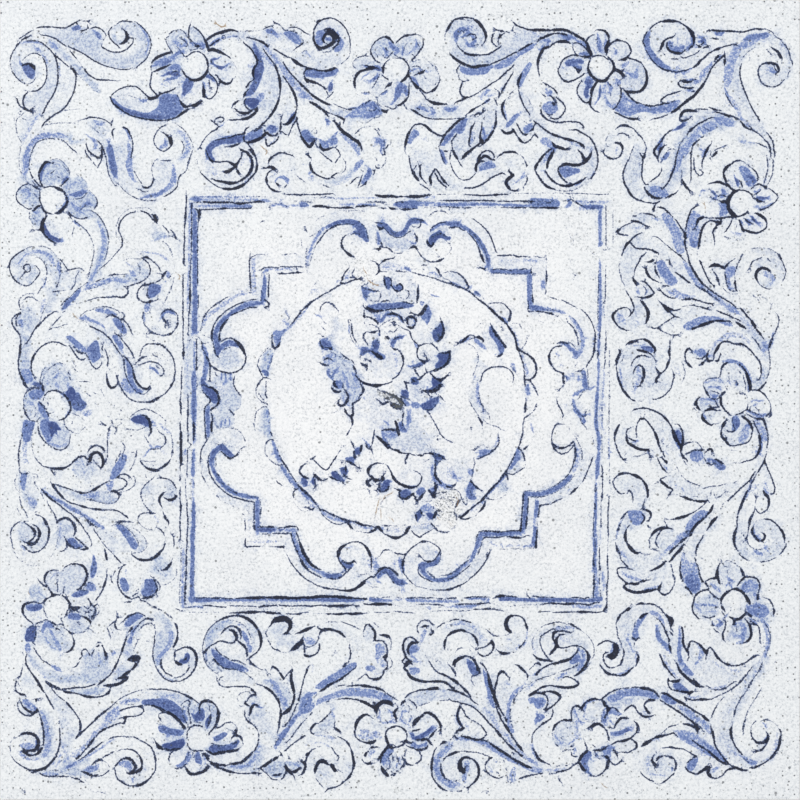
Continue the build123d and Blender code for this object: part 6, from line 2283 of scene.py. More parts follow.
def bottom_right_arch_scroll():
    """The tall arch with the dark-headed ring, left of the bottom right corner."""
    tint("618,622 626,610 640,604 654,608 664,618 672,632 676,650 670,648 660,640 654,628 646,616 638,618 "
        "634,632 638,650 638,664 626,674 612,676 602,668 598,656 604,668 616,668 624,656 620,640", 0.32)
    pen("637,604.5 640,603.5,2.4 644,603.5", 2.6, 0.95)
    pen("649,603.5 655,605,2.2 660,608,2.4 662,610,1.8", 2, 0.9)
    pen("627,610 630,608,3.2", 3.4, 0.95)
    pen("632,607 632,607.5", 1.6, 0.6)
    pen("626,611 621,614,2.6 618.5,618,2.8 617,621,2.2", 2.4, 0.95)
    pen("616,624,1.8 617,630,1.8|617,632 618,637 620,641 622,645,1.6", 2, 0.7)
    pen("622,647 624,651,2.2 623,654,2", 1.6, 0.75)
    pen("623.5,656 622,661,2 620,665,2.2 618,666", 1.8, 0.85)
    pen("615,667,1.4 610,668 606,665,2.2 604,661,2.2 603,656 605,653 608,652,2.2", 2, 0.9)
    pen("598,645,1.8 601,643 605,641 609,641 614,643,2.2 617,646,3.6 617.5,651,4.4 615,656,4.6 611,658,4 "
        "608,655,3", 2)
    blot("614,643 617,647 617,653 614,658 610,658 608,654 611,653 613,650 613,646", 0.95)
    brush("613,645 613,650,4 610,653", 3, 0.5)
    pen("600,665,2 603,669 607,673,2.4 611,675|613,674.5,3 616,675,2.4|617,676,2 622,675.5 627,673 "
        "630,670,2.4 634,667", 2.2, 0.9)
    brush("618,674,3 624,673 629,669", 4, 0.42)
    pen("636,666 637.5,661,2.4 638.5,657,2.4 637,653 635,650,1.8", 2.2, 0.9)
    brush("636,662 637,655 635,651,3", 4, 0.35)
    pen("634,646 634.5,643", 1.8, 0.7)
    brush("627,637 629,643 632,650 634,653,2", 3, 0.42)
    pen("647,613.5 643,615.5,2.6 640,618,2.4", 2.2, 0.95)
    fill("646,613 641,616 637,620 634,627 632,634 634,639 639,637 638,630 641,624 645,618 647,615", 0.6)
    pen("636,621 634,627,1.6", 2, 0.6)
    pen("632,637 636,640,2.8 639,637,2.2", 2.6, 0.8)
    fill("650,611 655,611 660,614 664,620 665,626 663,627 660,621 655,616 650,614", 0.5)
    pen("654,617,1.8 659,620,2.2 662,624 664,627", 2.8, 0.8)
    pen("664,613 667,617,2 669,620,2|668,619 670,623,2.6 671,626.5,2.8", 1.8, 0.9)
    brush("660,643 664,647 670,651", 3, 0.4)
    faint("658,652 659,657|673,655,1.3 675,662,1.3", 1.2, 0.3)
    pen("660,655 661,658,2", 1.8, 0.7)
    pen("663,664 665,668,2.4", 2.2, 0.8)
    pen("669,671 674,677,1.8", 1.6, 0.85)


def bottom_right_arch_band():
    """The blue arch from the bottom border's right flower to the corner."""
    tint("602,702 610,692 624,688 640,688 654,691 660,698 650,700 636,702 622,708 612,714 604,710", 0.5)
    fill("608,697 615,692 624,689 634,688 645,689 654,692 659,698 654,699 646,697 636,696 626,697 616,702 "
        "609,702", 0.55)
    brush("618,692 624,692", 4, 0.45)
    brush("636,690 648,692 656,696", 4, 0.3)
    brush("642,693 648,694", 4, 0.25)
    pen("602,699 606,695.5,2.6 611,692 617,689.5,2 623,688.2,2 629,688|632,687.5,1.6 639,687.2 646,688 "
        "652,689.5 656,692,1.8", 2.2, 0.9)
    pen("655,700 649,700,2.4 646,702,2 644,705,1.8 646,708.5 648,712,2.6 651,713|652,716 646,717,2.4 "
        "641,715 637,711,2 635,707,2.4 632,705,2.4 629,707 626,709 624,713,2.4|602,701,2.6 605,705,3 "
        "608,708,3.2 610,710,3.6", 2.2, 0.95)
    fill("606,706 612,707 618,711 622,714 618,716 612,714 608,716 605,722 602,720 604,712", 0.5)
    brush("606,708 613,709", 4, 0.6)
    brush("605,714 603,721", 4, 0.55)
    pen("617,709 619,712", 1.8, 0.5)
    brush("626,703 632,700", 4, 0.2)


def bottom_right_flower_right_half():
    """The right petals of the bottom border's right flower."""
    tint("612,722 622,717 632,720 638,728 632,738 620,740 612,736", 0.3)
    tint("616,742 628,740 636,744 634,752 622,753 616,750", 0.22)
    pen("610,728,1.6 614,728 616,724 619,720,2.4 622,718,2.6 626,718,2.6 630,719,2", 2.2, 0.95)
    pen("634,721 637,724,2.6 638,727", 2.2, 0.9)
    pen("636,733,2 633,736 629,739 623,741 617,741.5,1.8 611,745,1.4", 2.4, 0.95)
    pen("631,739,1.8 635,742 637,745,2.4 635,749 631,751|628,752.5 619,752,1.8", 2.2, 0.9)
    brush("614,734,4 620,733 628,729", 5, 0.62)
    brush("611,732 613,735,4", 3, 0.55)
    pen("611,733 614,737", 2, 0.6)
    faint("603,727 607,732 609,738", 1.8, 0.6)
    brush("603,749 609,747 613,748,4", 5, 0.6)
    pen("600,749 604,746,2.2", 2, 0.6)
    pen("613,750,2 616,753 618,756", 2.4, 0.9)
    brush("604,756 609,759", 4, 0.6)
    brush("614,734.5,3.4 620,733 628,729.5", 4, 0.86)
    brush("583,706,4 588,701.5,4 595,699,3|575.5,711 577,717 581,722", 2.4, 0.62)
    pen("608.5,709,2.6 606,715,2.8 603.5,720,2.4|609,709,2.5 613,707.5 617,710 619.5,714,2", 2.2, 0.8)
    pen("618,716 616,720,1.8|611,724 609.5,727.5|594.5,751,2 596.5,756|597.5,757.5 599,759.5", 1.9, 0.7)
    pen("613,749,2.4 616,752.5 617.5,756,2|606,756,3 608.5,760", 2.6, 0.88)
    pen("611,762 613.5,764.8,2.6 616.5,764.8,2.4 620.5,761.5,2", 2.2, 0.9)
    brush("608,750,3 611,757,3|613,724 607,717|596,752 598,758|555.5,736 559,741 563,745,2.6|569,744 "
        "574,740 578,736,2", 2.4, 0.5)
    pen("571,725 571.8,726|569,731 570.5,732|561.5,738 562,739.5|589,722 592,721|594,720 596,719", 1.7, 0.6)


def bottom_left_of_middle_ring():
    """The ring scroll under the frame, left of the middle of the bottom border."""
    pen("300,632 306,630 311,627.5,2.4 315,626,2|317,627,1.6 321,629.5,2.2 327,629,2.6 333,630 339,632 "
        "343,635,2.6 345,637.5,2.2", 2.8, 0.95)
    pen("319,634 322,631,2.2 326,630", 2, 0.8)
    faint("317,627 319,625", 1.4, 0.6)
    faint("328,622 333,621.5,1.8 337,622,1.6", 1.7, 0.65)
    faint("342,622 348,624 355,627 360,629.5", 1.3, 0.8)
    tint("318,627 330,622 344,624 356,630 350,640 344,634 334,628 322,630|348,636 358,636 368,644 378,656 "
        "376,668 366,668 358,676 350,680 350,668 350,652", 0.22)
    fill("304,638 309,637 315,640 315,644 310,645 305,643", 0.42)
    pen("301,640,2 303,644,2.2 305,646 310,647 315,644.5,1.8 318,640,1.8", 1.6, 0.75)
    faint("318,636 319,641", 1.6, 0.7)
    pen("304,646 304,653,2.2", 2, 0.75)
    pen("304,655 309,656.5,2.6 314,655,2.6 318,652,2.4 319.5,647 319.5,642,1.8", 2.2, 0.95)
    pen("301,639 303,637", 2, 0.7)
    faint("321,633 319,638", 1.5)
    pen("349.5,645 349.5,649", 2, 0.8)
    pen("350.5,651 350.5,656,2.6 349,660,2.4", 1.8, 0.9)
    pen("348,662,2 345,664 343,668", 2.2, 0.85)
    brush("334,650 336,653,5", 4, 0.12)
    pen("335,651 334,654", 3.6, 0.42)
    pen("337,650 338,653|337,660,2.2 339,661,2.2|340,664,1.4 341,665,1.4", 1.8, 0.4)
    pen("310,665 311,664.5", 1.8, 0.7)
    brush("312,664 313,671", 3, 0.2)


def bottom_twin_blue_blades():
    """The two blue blades that meet at the left of the bottom border's middle flower."""
    fill("355,662 357,664 356,668 351,672 344,676 336,681 328,686 320,689 315,688 318,684 326,678 336,672 "
        "346,666 351,663", 0.58)
    brush("316,687 323,684,5 328,680", 4, 0.35)
    pen("356,667,1.6 351,671,2 346,675,2.4 341,679 335,682 329,685,2.8 324,689 320,691.5,2", 2.6, 0.9)
    pen("344,667 346,665,2", 1.6, 0.7)
    fill("317,692 311,692 304,696 300,700 300,708 303,704 309,698 315,695", 0.5)
    pen("313,699 317,694,1.8", 1.6, 0.5)
    fill("316,706 317,700 322,697 330,694 340,690 352,688 366,689 378,691 388,695 395,700 388,701 376,699 "
        "362,697 346,696 332,699 322,703", 0.5)
    brush("362,693,6 374,693,7|318,702 328,699", 4, 0.28)
    fill("300,712 305,705 312,702 315,706 311,711 304,714", 0.5)
    brush("300,711 306,710 312,706", 4, 0.32)
    pen("304,707 307,703", 2, 0.6)
    pen("338,686 344,685,2.2", 1.6, 0.8)
    pen("348,686,1.6 355,685.5,2.8 362,685.5,3 369,686.5,2.8 376,688,2.6 382,690,2.4 388,694 392,697 "
        "396,699", 2, 0.95)
    faint("329,690 338,687", 1.2, 0.4)
    pen("341,699 348,698.5,2.6 355,699.5|359,700.5 365,702.5,2.8 371,706,2.8 374,708", 2.4, 0.95)
    pen("334,699.5 338,699.5", 1.8, 0.5)
    pen("326,702.5 330,701", 2, 0.7)
    pen("374,703 376,706,4.4 376,711,3.6 375,713,2.4|378,706 382,703,3.6 387,702.5,3.8 391,704,3.4 "
        "394,706,2.2", 2.6, 0.95)
    pen("385,695 386,696", 2, 0.5)
    pen("300,725 305,720", 1.6, 0.6)
    pen("310,715 313,712", 2, 0.8)
    pen("300,739 306,735,2.4", 2.2, 0.95)


def bottom_left_tall_leaf():
    """The blue-edged leaf left of the frame's middle, between the frame and the bottom border's flower."""
    tint("364,626 370,624 375,634 374,642 366,641 363,634", 0.35)
    pen("364,630,1.6 366,625 368,623", 2.4, 0.9)
    pen("369,624 372,628,2.8 375,632,3.2 375,637,3.6 374,641,3", 2, 0.95)
    pen("363,633 363.5,637", 1.6, 0.6)
    brush("366,630 367,636", 3, 0.22)
    pen("374,623 375,624", 2, 0.6)
    faint("376,625 380,628", 1.8)
    pen("380,635 385,635.5,2.6 390,637,2.8", 1.6, 0.95)
    faint("391,640 391.5,645 390,651", 1.8, 0.6)
    pen("375,641,1.6 380,640.5,2 384,642 386.5,646 387,650,2.2", 2.6, 0.9)
    fill("375,646 379,643 384,647 384,653 381,657 377,661 375,657 376,652", 0.45)
    brush("377,646 380,651,5", 4, 0.35)
    pen("388,651 386,656,2.8 383,658,2.6", 1.8, 0.9)
    pen("390,655 388,657", 1.4, 0.4)
    fill("381,660 386,661 386,666 382,668 380,664", 0.4)
    pen("384,659,1.8 387,662,2.4 387.5,666 386,669", 2.8, 0.9)
    faint("389,657 392,661 392,665 390,668,1.2 387,670", 1.3, 0.6)
    fill("367,665 372,665 376,668 372,671 367,671 365,668", 0.55)
    brush("367,668 370,667", 4, 0.4)
    pen("367,675 369,678,2.2", 2, 0.9)
    pen("371,678.5,1.8 375,679.5 380,678 383,674.5 384,670", 2.6, 0.95)
    pen("364,675 359,679,2.2", 1.8, 0.8)
    pen("352,683 354,682", 3, 0.9)
    brush("373,672 379,674", 5, 0.16)
    brush("376,660 378,665,3", 4, 0.22)


def bottom_right_tall_leaf():
    """Its partner on the right, with the dark claws."""
    tint("404,646 410,640 418,646 424,640 432,642 438,634 446,626 450,634 444,648 446,660 452,670 460,680 "
        "450,680 440,674 430,664 424,674 414,674 406,668 404,656", 0.25)
    pen("404,642 406,638.5,2.6 410,637,2.4 414,638.5,2.2 418,642.5", 2, 0.95)
    pen("404,640,2 403,646 404,652 407,658,2.4", 2.6, 0.9)
    pen("417,643,2.2 412,643 409,646,3.4 408,651 409.5,655,2.6", 3, 0.95)
    fill("409,648 412,645 418,646 420,649 417,652 411,653 408,652", 0.6)
    brush("411,655 415,660 417,661,3", 4, 0.5)
    pen("402,661,2 404,659 407,658.5 410,661,3.2 413,664,2.2", 2.4, 0.95)
    pen("402,662 404,664,2.8 405,668,2.4", 2, 0.9)
    blot("405,662 408,660 411,663 408,666 405,669 404,666", 0.85)
    pen("403,668,1.8 407,671,2.2 409,675,2.6 412,678 417,680,3 423,681.5 430,681.5,3 438,681.5 444,682 "
        "449,685,2.6 453,689,2.2", 2.8, 0.95)
    fill("409,669 413,667 419,668 420,672 415,675 411,674", 0.52)
    brush("417,669 421,670", 4, 0.25)
    faint("418,632 417,627 420,622 425,620 430,621.5 433,625,1.8", 2, 0.75)
    faint("419,625 420,623", 1.6, 0.4)
    pen("422,627 426,626,2.8 429,628,2", 2.2, 0.85)
    brush("425,630 423,636 421,642,4", 5, 0.38)
    pen("431,629 433,632,3.4 430,635,2.6", 2.4, 0.85)
    pen("432,625 433,626", 1.8, 0.5)
    pen("438,627 441,625,2.2|442,624,2 445,622.5,2.6", 1.8, 0.8)
    brush("446,627 450,625", 4, 0.25)
    pen("458,630,2 452,632 448,635 445.5,640 444.5,645,2.6 445,650,2", 2.4, 0.95)
    faint("446,655 448,660", 1.3, 0.4)
    pen("448,664 450,666,2.4", 2.2, 0.8)
    faint("425,654 428,660", 1.2)
    pen("429,661,1.8 432,666 436,671 440,674,2.2", 2, 0.9)
    pen("442,674,2 448,677 454,681 459,685,2.2", 2.4, 0.95)
    pen("436,660 437,661|448,647 448.5,648", 1.8, 0.5)
    faint("437,654 441,656", 1.8, 0.3)


def bottom_middle_right_band():
    """The pale band over the middle flower's right side."""
    tint("404,698 412,692 424,690 438,688 452,690 462,696 452,700 440,700 428,702 420,706 414,706"
        " 408,702", 0.5)
    pen("405,698,1.8 409,694 412,692.5", 2, 0.85)
    pen("414,692,2.2 420,690 427,689.5,2.4 434,688.5,2.8 441,688.5", 2.6, 0.95)
    pen("447,689.5 453,690.5,2.4 459,692,2.6", 2.2, 0.9)
    brush("442,691 445,692", 3, 0.3)
    brush("418,696 422,699", 4, 0.2)
    faint("419,706 424,704 428,703", 1.6, 0.7)
    faint("430,702 434,701", 1.2, 0.4)
    pen("441,700.5 446,700", 1.8, 0.6)
    pen("450,700 454,701.5", 2, 0.7)


def bottom_middle_flower():
    """The middle flower of the bottom border."""
    tint("356,722 366,716 378,722 384,734 374,742 362,740 356,732", 0.24)
    tint("378,708 388,704 394,712 394,722 384,724 378,718", 0.28)
    tint("400,704 408,700 416,706 414,718 406,728 400,724 398,714|412,736 420,730 432,724 438,728 434,738 "
        "424,740 414,740|380,756 386,750 396,752 402,760 402,768 392,772 384,768", 0.35)
    pen("370,716,2.2 366,714.5,3 361,717 357.5,721 355.5,726,2.8 355.5,730,2", 3.6, 0.95)
    pen("353,723 353.5,724", 1.8, 0.5)
    pen("354,731 355,735,2.6 356,738", 2.2, 0.85)
    pen("359,740 363,742,3.2 368,743,3.6 373,742,3 376,740,2.2", 2.4, 0.95)
    faint("371,717 374,719 377,721", 1.4)
    brush("362,733 368,731 366,737", 3, 0.35)
    brush("371,736 378,733 380,737,3", 4, 0.4)
    pen("366,732 368,733|371,734 374,733", 1.6, 0.5)
    faint("362,729 368,729", 1.2, 0.4)
    pen("380,722 382,721", 2.2, 0.8)
    pen("386,721 388,723|377,714,1.8 377,718,1.8", 2.6, 0.7)
    pen("396,704,1.6 398,708,2.4 395,711 394,714 396,718,2.8 396,723,2", 3, 0.9)
    brush("394,716 395,722", 3, 0.35)
    faint("380,712 384,706 390,708", 1.2, 0.4)
    pen("401,705 403,702,2.8 405,701,2.6", 2.2, 0.9)
    pen("411,701 414,703,2.4 416,706,2.4 417,709", 1.8, 0.85)
    brush("403,710 409,712", 3, 0.35)
    brush("402,716 401,721 406,724|411,718 408,725", 3, 0.42)
    faint("402,708 406,704 410,708 408,714", 1.3)
    pen("399,726,1.8 403,728.5 406,732 407,735,2", 2.6, 0.9)
    pen("394,727.5,2 390,728 387,730 385.5,734,3 386,738,3 387.5,742,2.8 389,745,2.4|413,726,2.2 415,722,4 "
        "418,719,4 421,717 424,715,2.4|421,716,1.8 425,713,2 428,712.5 432,714.5,3.2 436,718,2.8 "
        "439,722,2.8 441,726,3 441,729,2.4|413,731,2 419,729.5", 2.6, 0.95)
    brush("412,734,4 414,738,4 420,737 427,733 434,727", 5, 0.88)
    pen("435,731,2 432,735 429,738,2.4|416,740,2 421,740 426,739,2.6 429,741 432,745,2.4", 2.8, 0.9)
    fill("411,742 414,742 419,745 427,742 427,746 421,748 414,748 410,746", 0.6)
    pen("402,741.5 406,741.5,2.6 410,743,2.6 413,742", 2, 0.9)
    pen("445,729 447,728", 2, 0.8)
    pen("402,746 404,744", 1.8, 0.5)
    pen("409,747,1.8 414,748.5 418,751,2.4 421,755 421,757,2.2", 2.6, 0.9)
    pen("421,751 428,748", 1.8, 0.7)
    pen("407,764.5 411,765", 2.2, 0.8)
    pen("417,763.5,1.8 420,761|405,752 407,753,2.4", 2, 0.7)
    pen("402,756 404,760", 1.4, 0.4)
    brush("410,747 416,749,2", 3, 0.3)
    pen("377,747,2 373,747 370,749,2.2|368.5,751 366,753.5,2.8 364.5,758", 2.4, 0.9)
    pen("362,759.5 362.5,761.5|364.5,763,2.4 368.5,763.8,2.6 373,762.2,2.4", 2.3, 0.88)
    brush("374,751 369,755", 4, 0.4)
    brush("372,755 370,758,2", 3, 0.3)
    pen("389,745,2.6 386,749 382,754,3.2 379,758 377,760,2.2|388,745,2 391,748 394,748,2.4", 3, 0.95)
    fill("386,749 391,748 394,751 391,754 387,757 386,763 384,767 381,760 383,753", 0.6)
    pen("390,755 392,753|392,757,2.4 393,760,2.4", 2.6, 0.8)
    pen("396,753,1.4 397,758 399,763", 1.8, 0.6)
    pen("381,766,2 383,770 386,774,3.4 389,777", 2.6, 0.95)
    pen("379,770 380,768", 2, 0.7)
    pen("391,775 394,776", 2.2, 0.8)
    pen("392,772 395,774,2.4 397,771,2 400,773", 2.2, 0.85)
    pen("401,768 403,766,2.6 405,764,2", 1.8, 0.9)
    faint("388,758 386,764 389,768", 1.4)
    brush("396,762 398,768", 3, 0.3)
    pen("394,745 395,746", 2, 0.7)
    pen("391,727 396,725.8,2.4 401,727.2,2.2|407,736.5,1.8 406.2,741|404.5,743.5,2.1 401,746,2.1", 2, 0.85)
    pen("389.5,745.8 393,747,2.2|395,747.3 399,746.8", 2, 0.8)
    brush("358,735,3 366,738,4 374,737,4 380,734,3|360,730 368,733 378,731", 2.4, 0.36)
    pen("378,703.6 383,701.6,3.6 389,701.8,3.4 393.5,705,2.4", 3, 0.9)
    brush("380,711 379,717,2.8 382,722|388,709,2 392,714,2.4 391,720,2.4|382,723 393,722|402.5,711,3 "
        "401.5,717,3.4 403,722,3|409,722 412,718", 2.6, 0.5)
    pen("401.5,719.5 403.5,715.5|408,724 411,720", 1.9, 0.6)
    pen("411,746.5,1.8 415,749 421,749.5,2.4 426,748 428.5,745,1.8|421.5,757,2 421,760 418.3,762.5 "
        "415,764.5|413,765.2,2.1 408,764,2.1 405.5,761,2.1", 2.2, 0.85)
    pen("405.4,751 404.8,755|405,757 405.2,760", 1.8, 0.7)
    pen("383,753.5 381,759,2.4 380,764,2.2|404,766.5 403.6,761 402.6,756.5", 2, 0.78)
    brush("388,754,3.6 388,760,3.6 390,767|399,757 400.5,765", 3, 0.46)
    pen("388,757,1.6 390,762,2 389.5,767|393,756 393.8,760|397,756 399,760|386,766 388.5,771", 1.8, 0.62)
    pen("392,766 394,770|397,764 396,769", 1.6, 0.5)


def bottom_left_ring_and_leaf():
    """The dark-headed ring at the bottom border's foot, left of its middle flower, and the leaf over it."""
    tint("312,732 324,720 332,710 336,720 332,730 322,734", 0.45)
    pen("331,711 330,713,2.4 329,714", 2, 0.8)
    pen("327,716,2.4 324,719 321,722", 2.2, 0.9)
    brush("332,713 334,718", 4, 0.35)
    brush("330,721 332,724,3", 4, 0.25)
    pen("319,723,2 315,724 312,727 310.5,731,2.2|311,733,2.6 314,734.5,2.6", 2.4, 0.9)
    brush("315,735,2 326,736 334,739", 3, 0.35)
    pen("335,722,1.4 334,727 336,729,2.4 339,731,2.2 341,733", 2, 0.85)
    pen("328,733 329,734|333,736 335,738", 2, 0.6)
    faint("321,729 322,730", 1.8, 0.4)
    tint("300,742 312,737 326,738 342,744 350,756 352,772 344,784 348,768 344,754 334,744 318,740"
        " 304,746", 0.35)
    pen("338,736.5,1.8 343,739,2.2 347,742 349,745,2|350,747,2 352,752 353,758,2.8 354,764,2.8 353,769|"
        "352,772,2.2 350,776,2.6 347,779", 2.4, 0.9)
    pen("345,781 341,784,2.4", 2.2, 0.8)
    pen("340,785,2 336,787 331,788,3 328,789 326,791,1.6", 2.6, 0.95)
    pen("323,787 320,784,2 317,780", 1.8, 0.8)
    faint("315,774 316,778", 1.2, 0.4)
    brush("307,745 314,743 322,743 330,747,3", 2, 0.3)
    pen("307,757 309,753,2.2 312,750,2 316,748,1.8", 2.6, 0.9)
    pen("319,747 320,747.5", 1.8, 0.7)
    pen("332,748 334,751", 2, 0.75)
    pen("336,754 339,757,2.4 338,760", 2, 0.8)
    pen("329,760 330,761", 1.6, 0.4)
    pen("315,772 316,767,3 319,762,3.2 322,761,4 326,762.5,3.4 329,765,2.2", 2.4, 0.95)
    brush("318,764 316,769", 3, 0.3)
    pen("331,764 333,767,4.6 335,770.5,4.4 337,771,2.4", 3, 0.98)
    pen("338,769 340,771", 2, 0.6)
    pen("320,755 322,757", 1.8, 0.5)
    tint("318,768 326,764 332,770 340,770 348,758 350,770 344,780 332,786 322,784 316,778", 0.32)


def bottom_third_ring_scroll():
    """The big ring with the thick blue side, right of the middle flower at the foot."""
    tint("436,752 444,744 450,742 452,750 444,756 440,766 442,780 452,786 462,786 456,792 444,788 436,778 "
        "432,766", 0.5)
    brush("451,744 446,750,7 441,755", 6, 0.42)
    brush("437,757,5 436,764 437,771 441,778 448,783 454,785", 6, 0.5)
    brush("442,752 438,758,5 436,766", 4, 0.35)
    pen("441,744 444,742,3.4 447,743,2.6", 2, 0.9)
    pen("450,740 454,736", 1.6, 0.7)
    pen("436,748,1.6 434,752,2 433,757 432,762 431.5,768,2.6 432,773,2.4", 2.2, 0.9)
    pen("432,776,2 435,781,2.2 438,785 441,788 444,790,2.2|458,752,2 453,753 449,755,2.6 445,758,3"
        " 443,760", 2.4, 0.95)
    pen("441,764 441,770,2.4 443,775,2.4 446,779 450,781,1.8", 2.2, 0.85)
    faint("449,791 455,792 462,792", 1.3)


def bottom_flower_stain():
    """The grey scuff below the middle flower of the bottom border."""
    chafe("393,788 396,784 400,782 403,786 400,792 396,794", 0.5)
    chafe("400,772 406,776 403,780 399,778|392,790 400,790 400,794 394,794", 0.4)


def crown():
    """The crown on the lion's head."""
    tint("362,286 374,283 384,278 392,280 402,286 412,282 418,286 418,302 404,304 384,304 366,304", 0.35)
    fill("361,287 366,287 371,289 376,291 374,293 370,292 368,297 366,301 363,297 362,292", 0.72)
    pen("361,287 366,289,2.2 371,290 374,291,2.4 380,291", 2, 0.8)
    pen("363,293 366,297,2 369,295,1.8", 1.6, 0.6)
    pen("380,292 381,296,2 379,300,1.8", 1.6, 0.75)
    pen("369,300 374,301,1.8 378,301,1.6", 1.4, 0.6)
    fill("384,278 388,276.5 391,279 391,285 389,290 386,288 385,284", 0.85)
    pen("384,278,2 385,284 387,288,2|388,277,1.8 391,280 391,286", 2.4, 0.85)
    fill("392,285 396,286 400,284 403,288 400,291 395,290", 0.8)
    pen("392,286,2 395,290 400,291 403,288 400,284,2.2 396,286,2", 2.4, 0.9)
    faint("406,290 409,292 409,296 407,298", 1.7, 0.75)
    faint("396,294 399,297 404,299", 1.3, 0.4)
    pen("418,288 418,294,3 417.5,299,2.6 417,303,2.2", 2.4, 0.85)
    faint("411,286 413,283 417,282", 1.6, 0.45)
    faint("418,277 418,284", 1.2, 0.35)
    fill("366,307 372,305 380,303 390,303 400,302 410,303 414,306 408,308 398,308 388,310 378,311"
        " 368,311", 0.78)
    brush("384,306 396,306 406,305,5", 6, 0.62)
    pen("365,308 372,310,2.8 380,310.5,3 388,309.5,2.6 396,308.5,2.2 404,308,1.8", 2, 0.95)
    pen("370,312 376,312,2.4 382,311|381,302,1.8 386,300.5 391,301.5,1.6", 2, 0.85)
    pen("402,301.5 408,303,2.2 413,304|366,306 369,307", 1.8, 0.8)
    fill("420,302 424,301 424,304 421,305", 0.6)
    pen("361,286 363,286 365,284.5 367,284.5 368,282.5 370,282 372,281 374,281,1.6", 1.8, 0.55)


def lion_face():
    """The lion's brow, eyes, nose and cheek."""
    pen("363,305 365,309,2.2", 2, 0.9)
    pen("364,311 364,315,2.4 363,318", 2, 0.95)
    pen("364,317 369,317,2.2 373,319,2.4 377,322,2.6 379,324", 1.8, 0.9)
    fill("372,313 376,314 380,318 382,322 379,323 375,319", 0.5)
    brush("380,322,3 383,319,4 386,315,4 391,314 397,315 401,318 403,322,3", 3.6, 0.8)
    pen("386,315 391,313.5,2.4 397,314.5,2.6 401,317.5,3 403,322,2.8", 1.6, 0.85)
    faint("379,327 383,324 388,321 394,318.5 399,319.5", 1.3, 0.6)
    faint("364,322 366,325", 1.6)
    faint("366,326 371,324.5 376,326 379,329", 1.4, 0.6)
    pen("367,331.5 372,332.5,2.8 377,331,2.6 380,329", 2, 0.85)
    pen("376,327 379,329,2 380,332,2 379.5,336", 1.6, 0.75)
    brush("380,330 379,336,3", 2.4, 0.45)
    pen("366,332 363.5,335,2.2 364,339,2.2 366,342,2.4 368,345", 1.8, 0.8)
    blot("392,321 395,321 397,324 395,327 392,325", 0.62)
    pen("391,322 394,324", 2, 0.6)
    faint("390,331 394,332 397,329", 1.7, 0.7)
    faint("386,327 391,325 398,325 400,327", 1.2)
    faint("384,331 388,335", 1.2, 0.35)
    fill("375,339 379,340 380,345 378,350 374,348 373,343", 0.68)
    pen("377,339 379,344,2.2", 2, 0.7)
    pen("378,346 379,348", 1.8, 0.6)
    pen("387,336 389,339,3", 2.6, 0.8)
    fill("402,337 398,336 394,338 391,342 391,345 394,348 395,344 398,340 403,339", 0.78)
    pen("401,337 396,337.5,2.4 392.5,341,2.2", 2, 0.7)
    pen("390,346,1.8 394,349,2.6 398,350,2.2 401,353 403,358 403.5,363,2.2 402,368 400,371|400,372,2.4 "
        "398,375,2.4 395.5,377", 2, 0.85)
    brush("400,372 397,376", 3, 0.5)
    pen("392.5,379 394.5,378", 2.2, 0.85)
    brush("393,352,4 396,358 396,366", 5, 0.2)
    tint("384,352 394,352 400,360 400,370 392,378 380,382 368,376 372,364 380,360", 0.3)
    tint("366,312 380,326 378,338 370,344 364,338 366,326", 0.2)
    fill("376,313 384,312 388,314 384,320 380,320", 0.3)


def lion_mouth():
    """The lion's open mouth and the plume of breath before it."""
    fill("361,348 367,347 372,350 376,352 381,354 385,355 386,358 383,360 379,359 374,356 370,353 366,351 "
        "362,355 360,357", 0.72)
    pen("371,351 375,354,2.8 379,357,4 382,358,3.6", 2, 0.95)
    pen("360,357 362,354,2.4 366,351.5,2 371,351,1.8", 2.2, 0.75)
    brush("356,346,3 362,348 368,349", 4, 0.3)
    pen("360,359 361,360", 1.8, 0.6)
    pen("361,363 364,365.5,2.8 367,365.5 366,369,1.8", 2.4, 0.8)
    pen("368,360 371,361,2.8 370.5,363,1.6", 2.6, 0.75)
    faint("373,364 374,365", 1.6, 0.35)
    pen("348,322,1.8 348.5,319.5,2 350.5,320 351.5,325 352,331 353,336,2 355,340,1.8"
        " 358,343.5,1.6", 2.4, 0.85)
    brush("349,326 349.5,333", 2.6, 0.55)
    faint("349,322 350,334 352,340 356,345", 1.2, 0.55)
    faint("384,352 386,355", 2, 0.3)


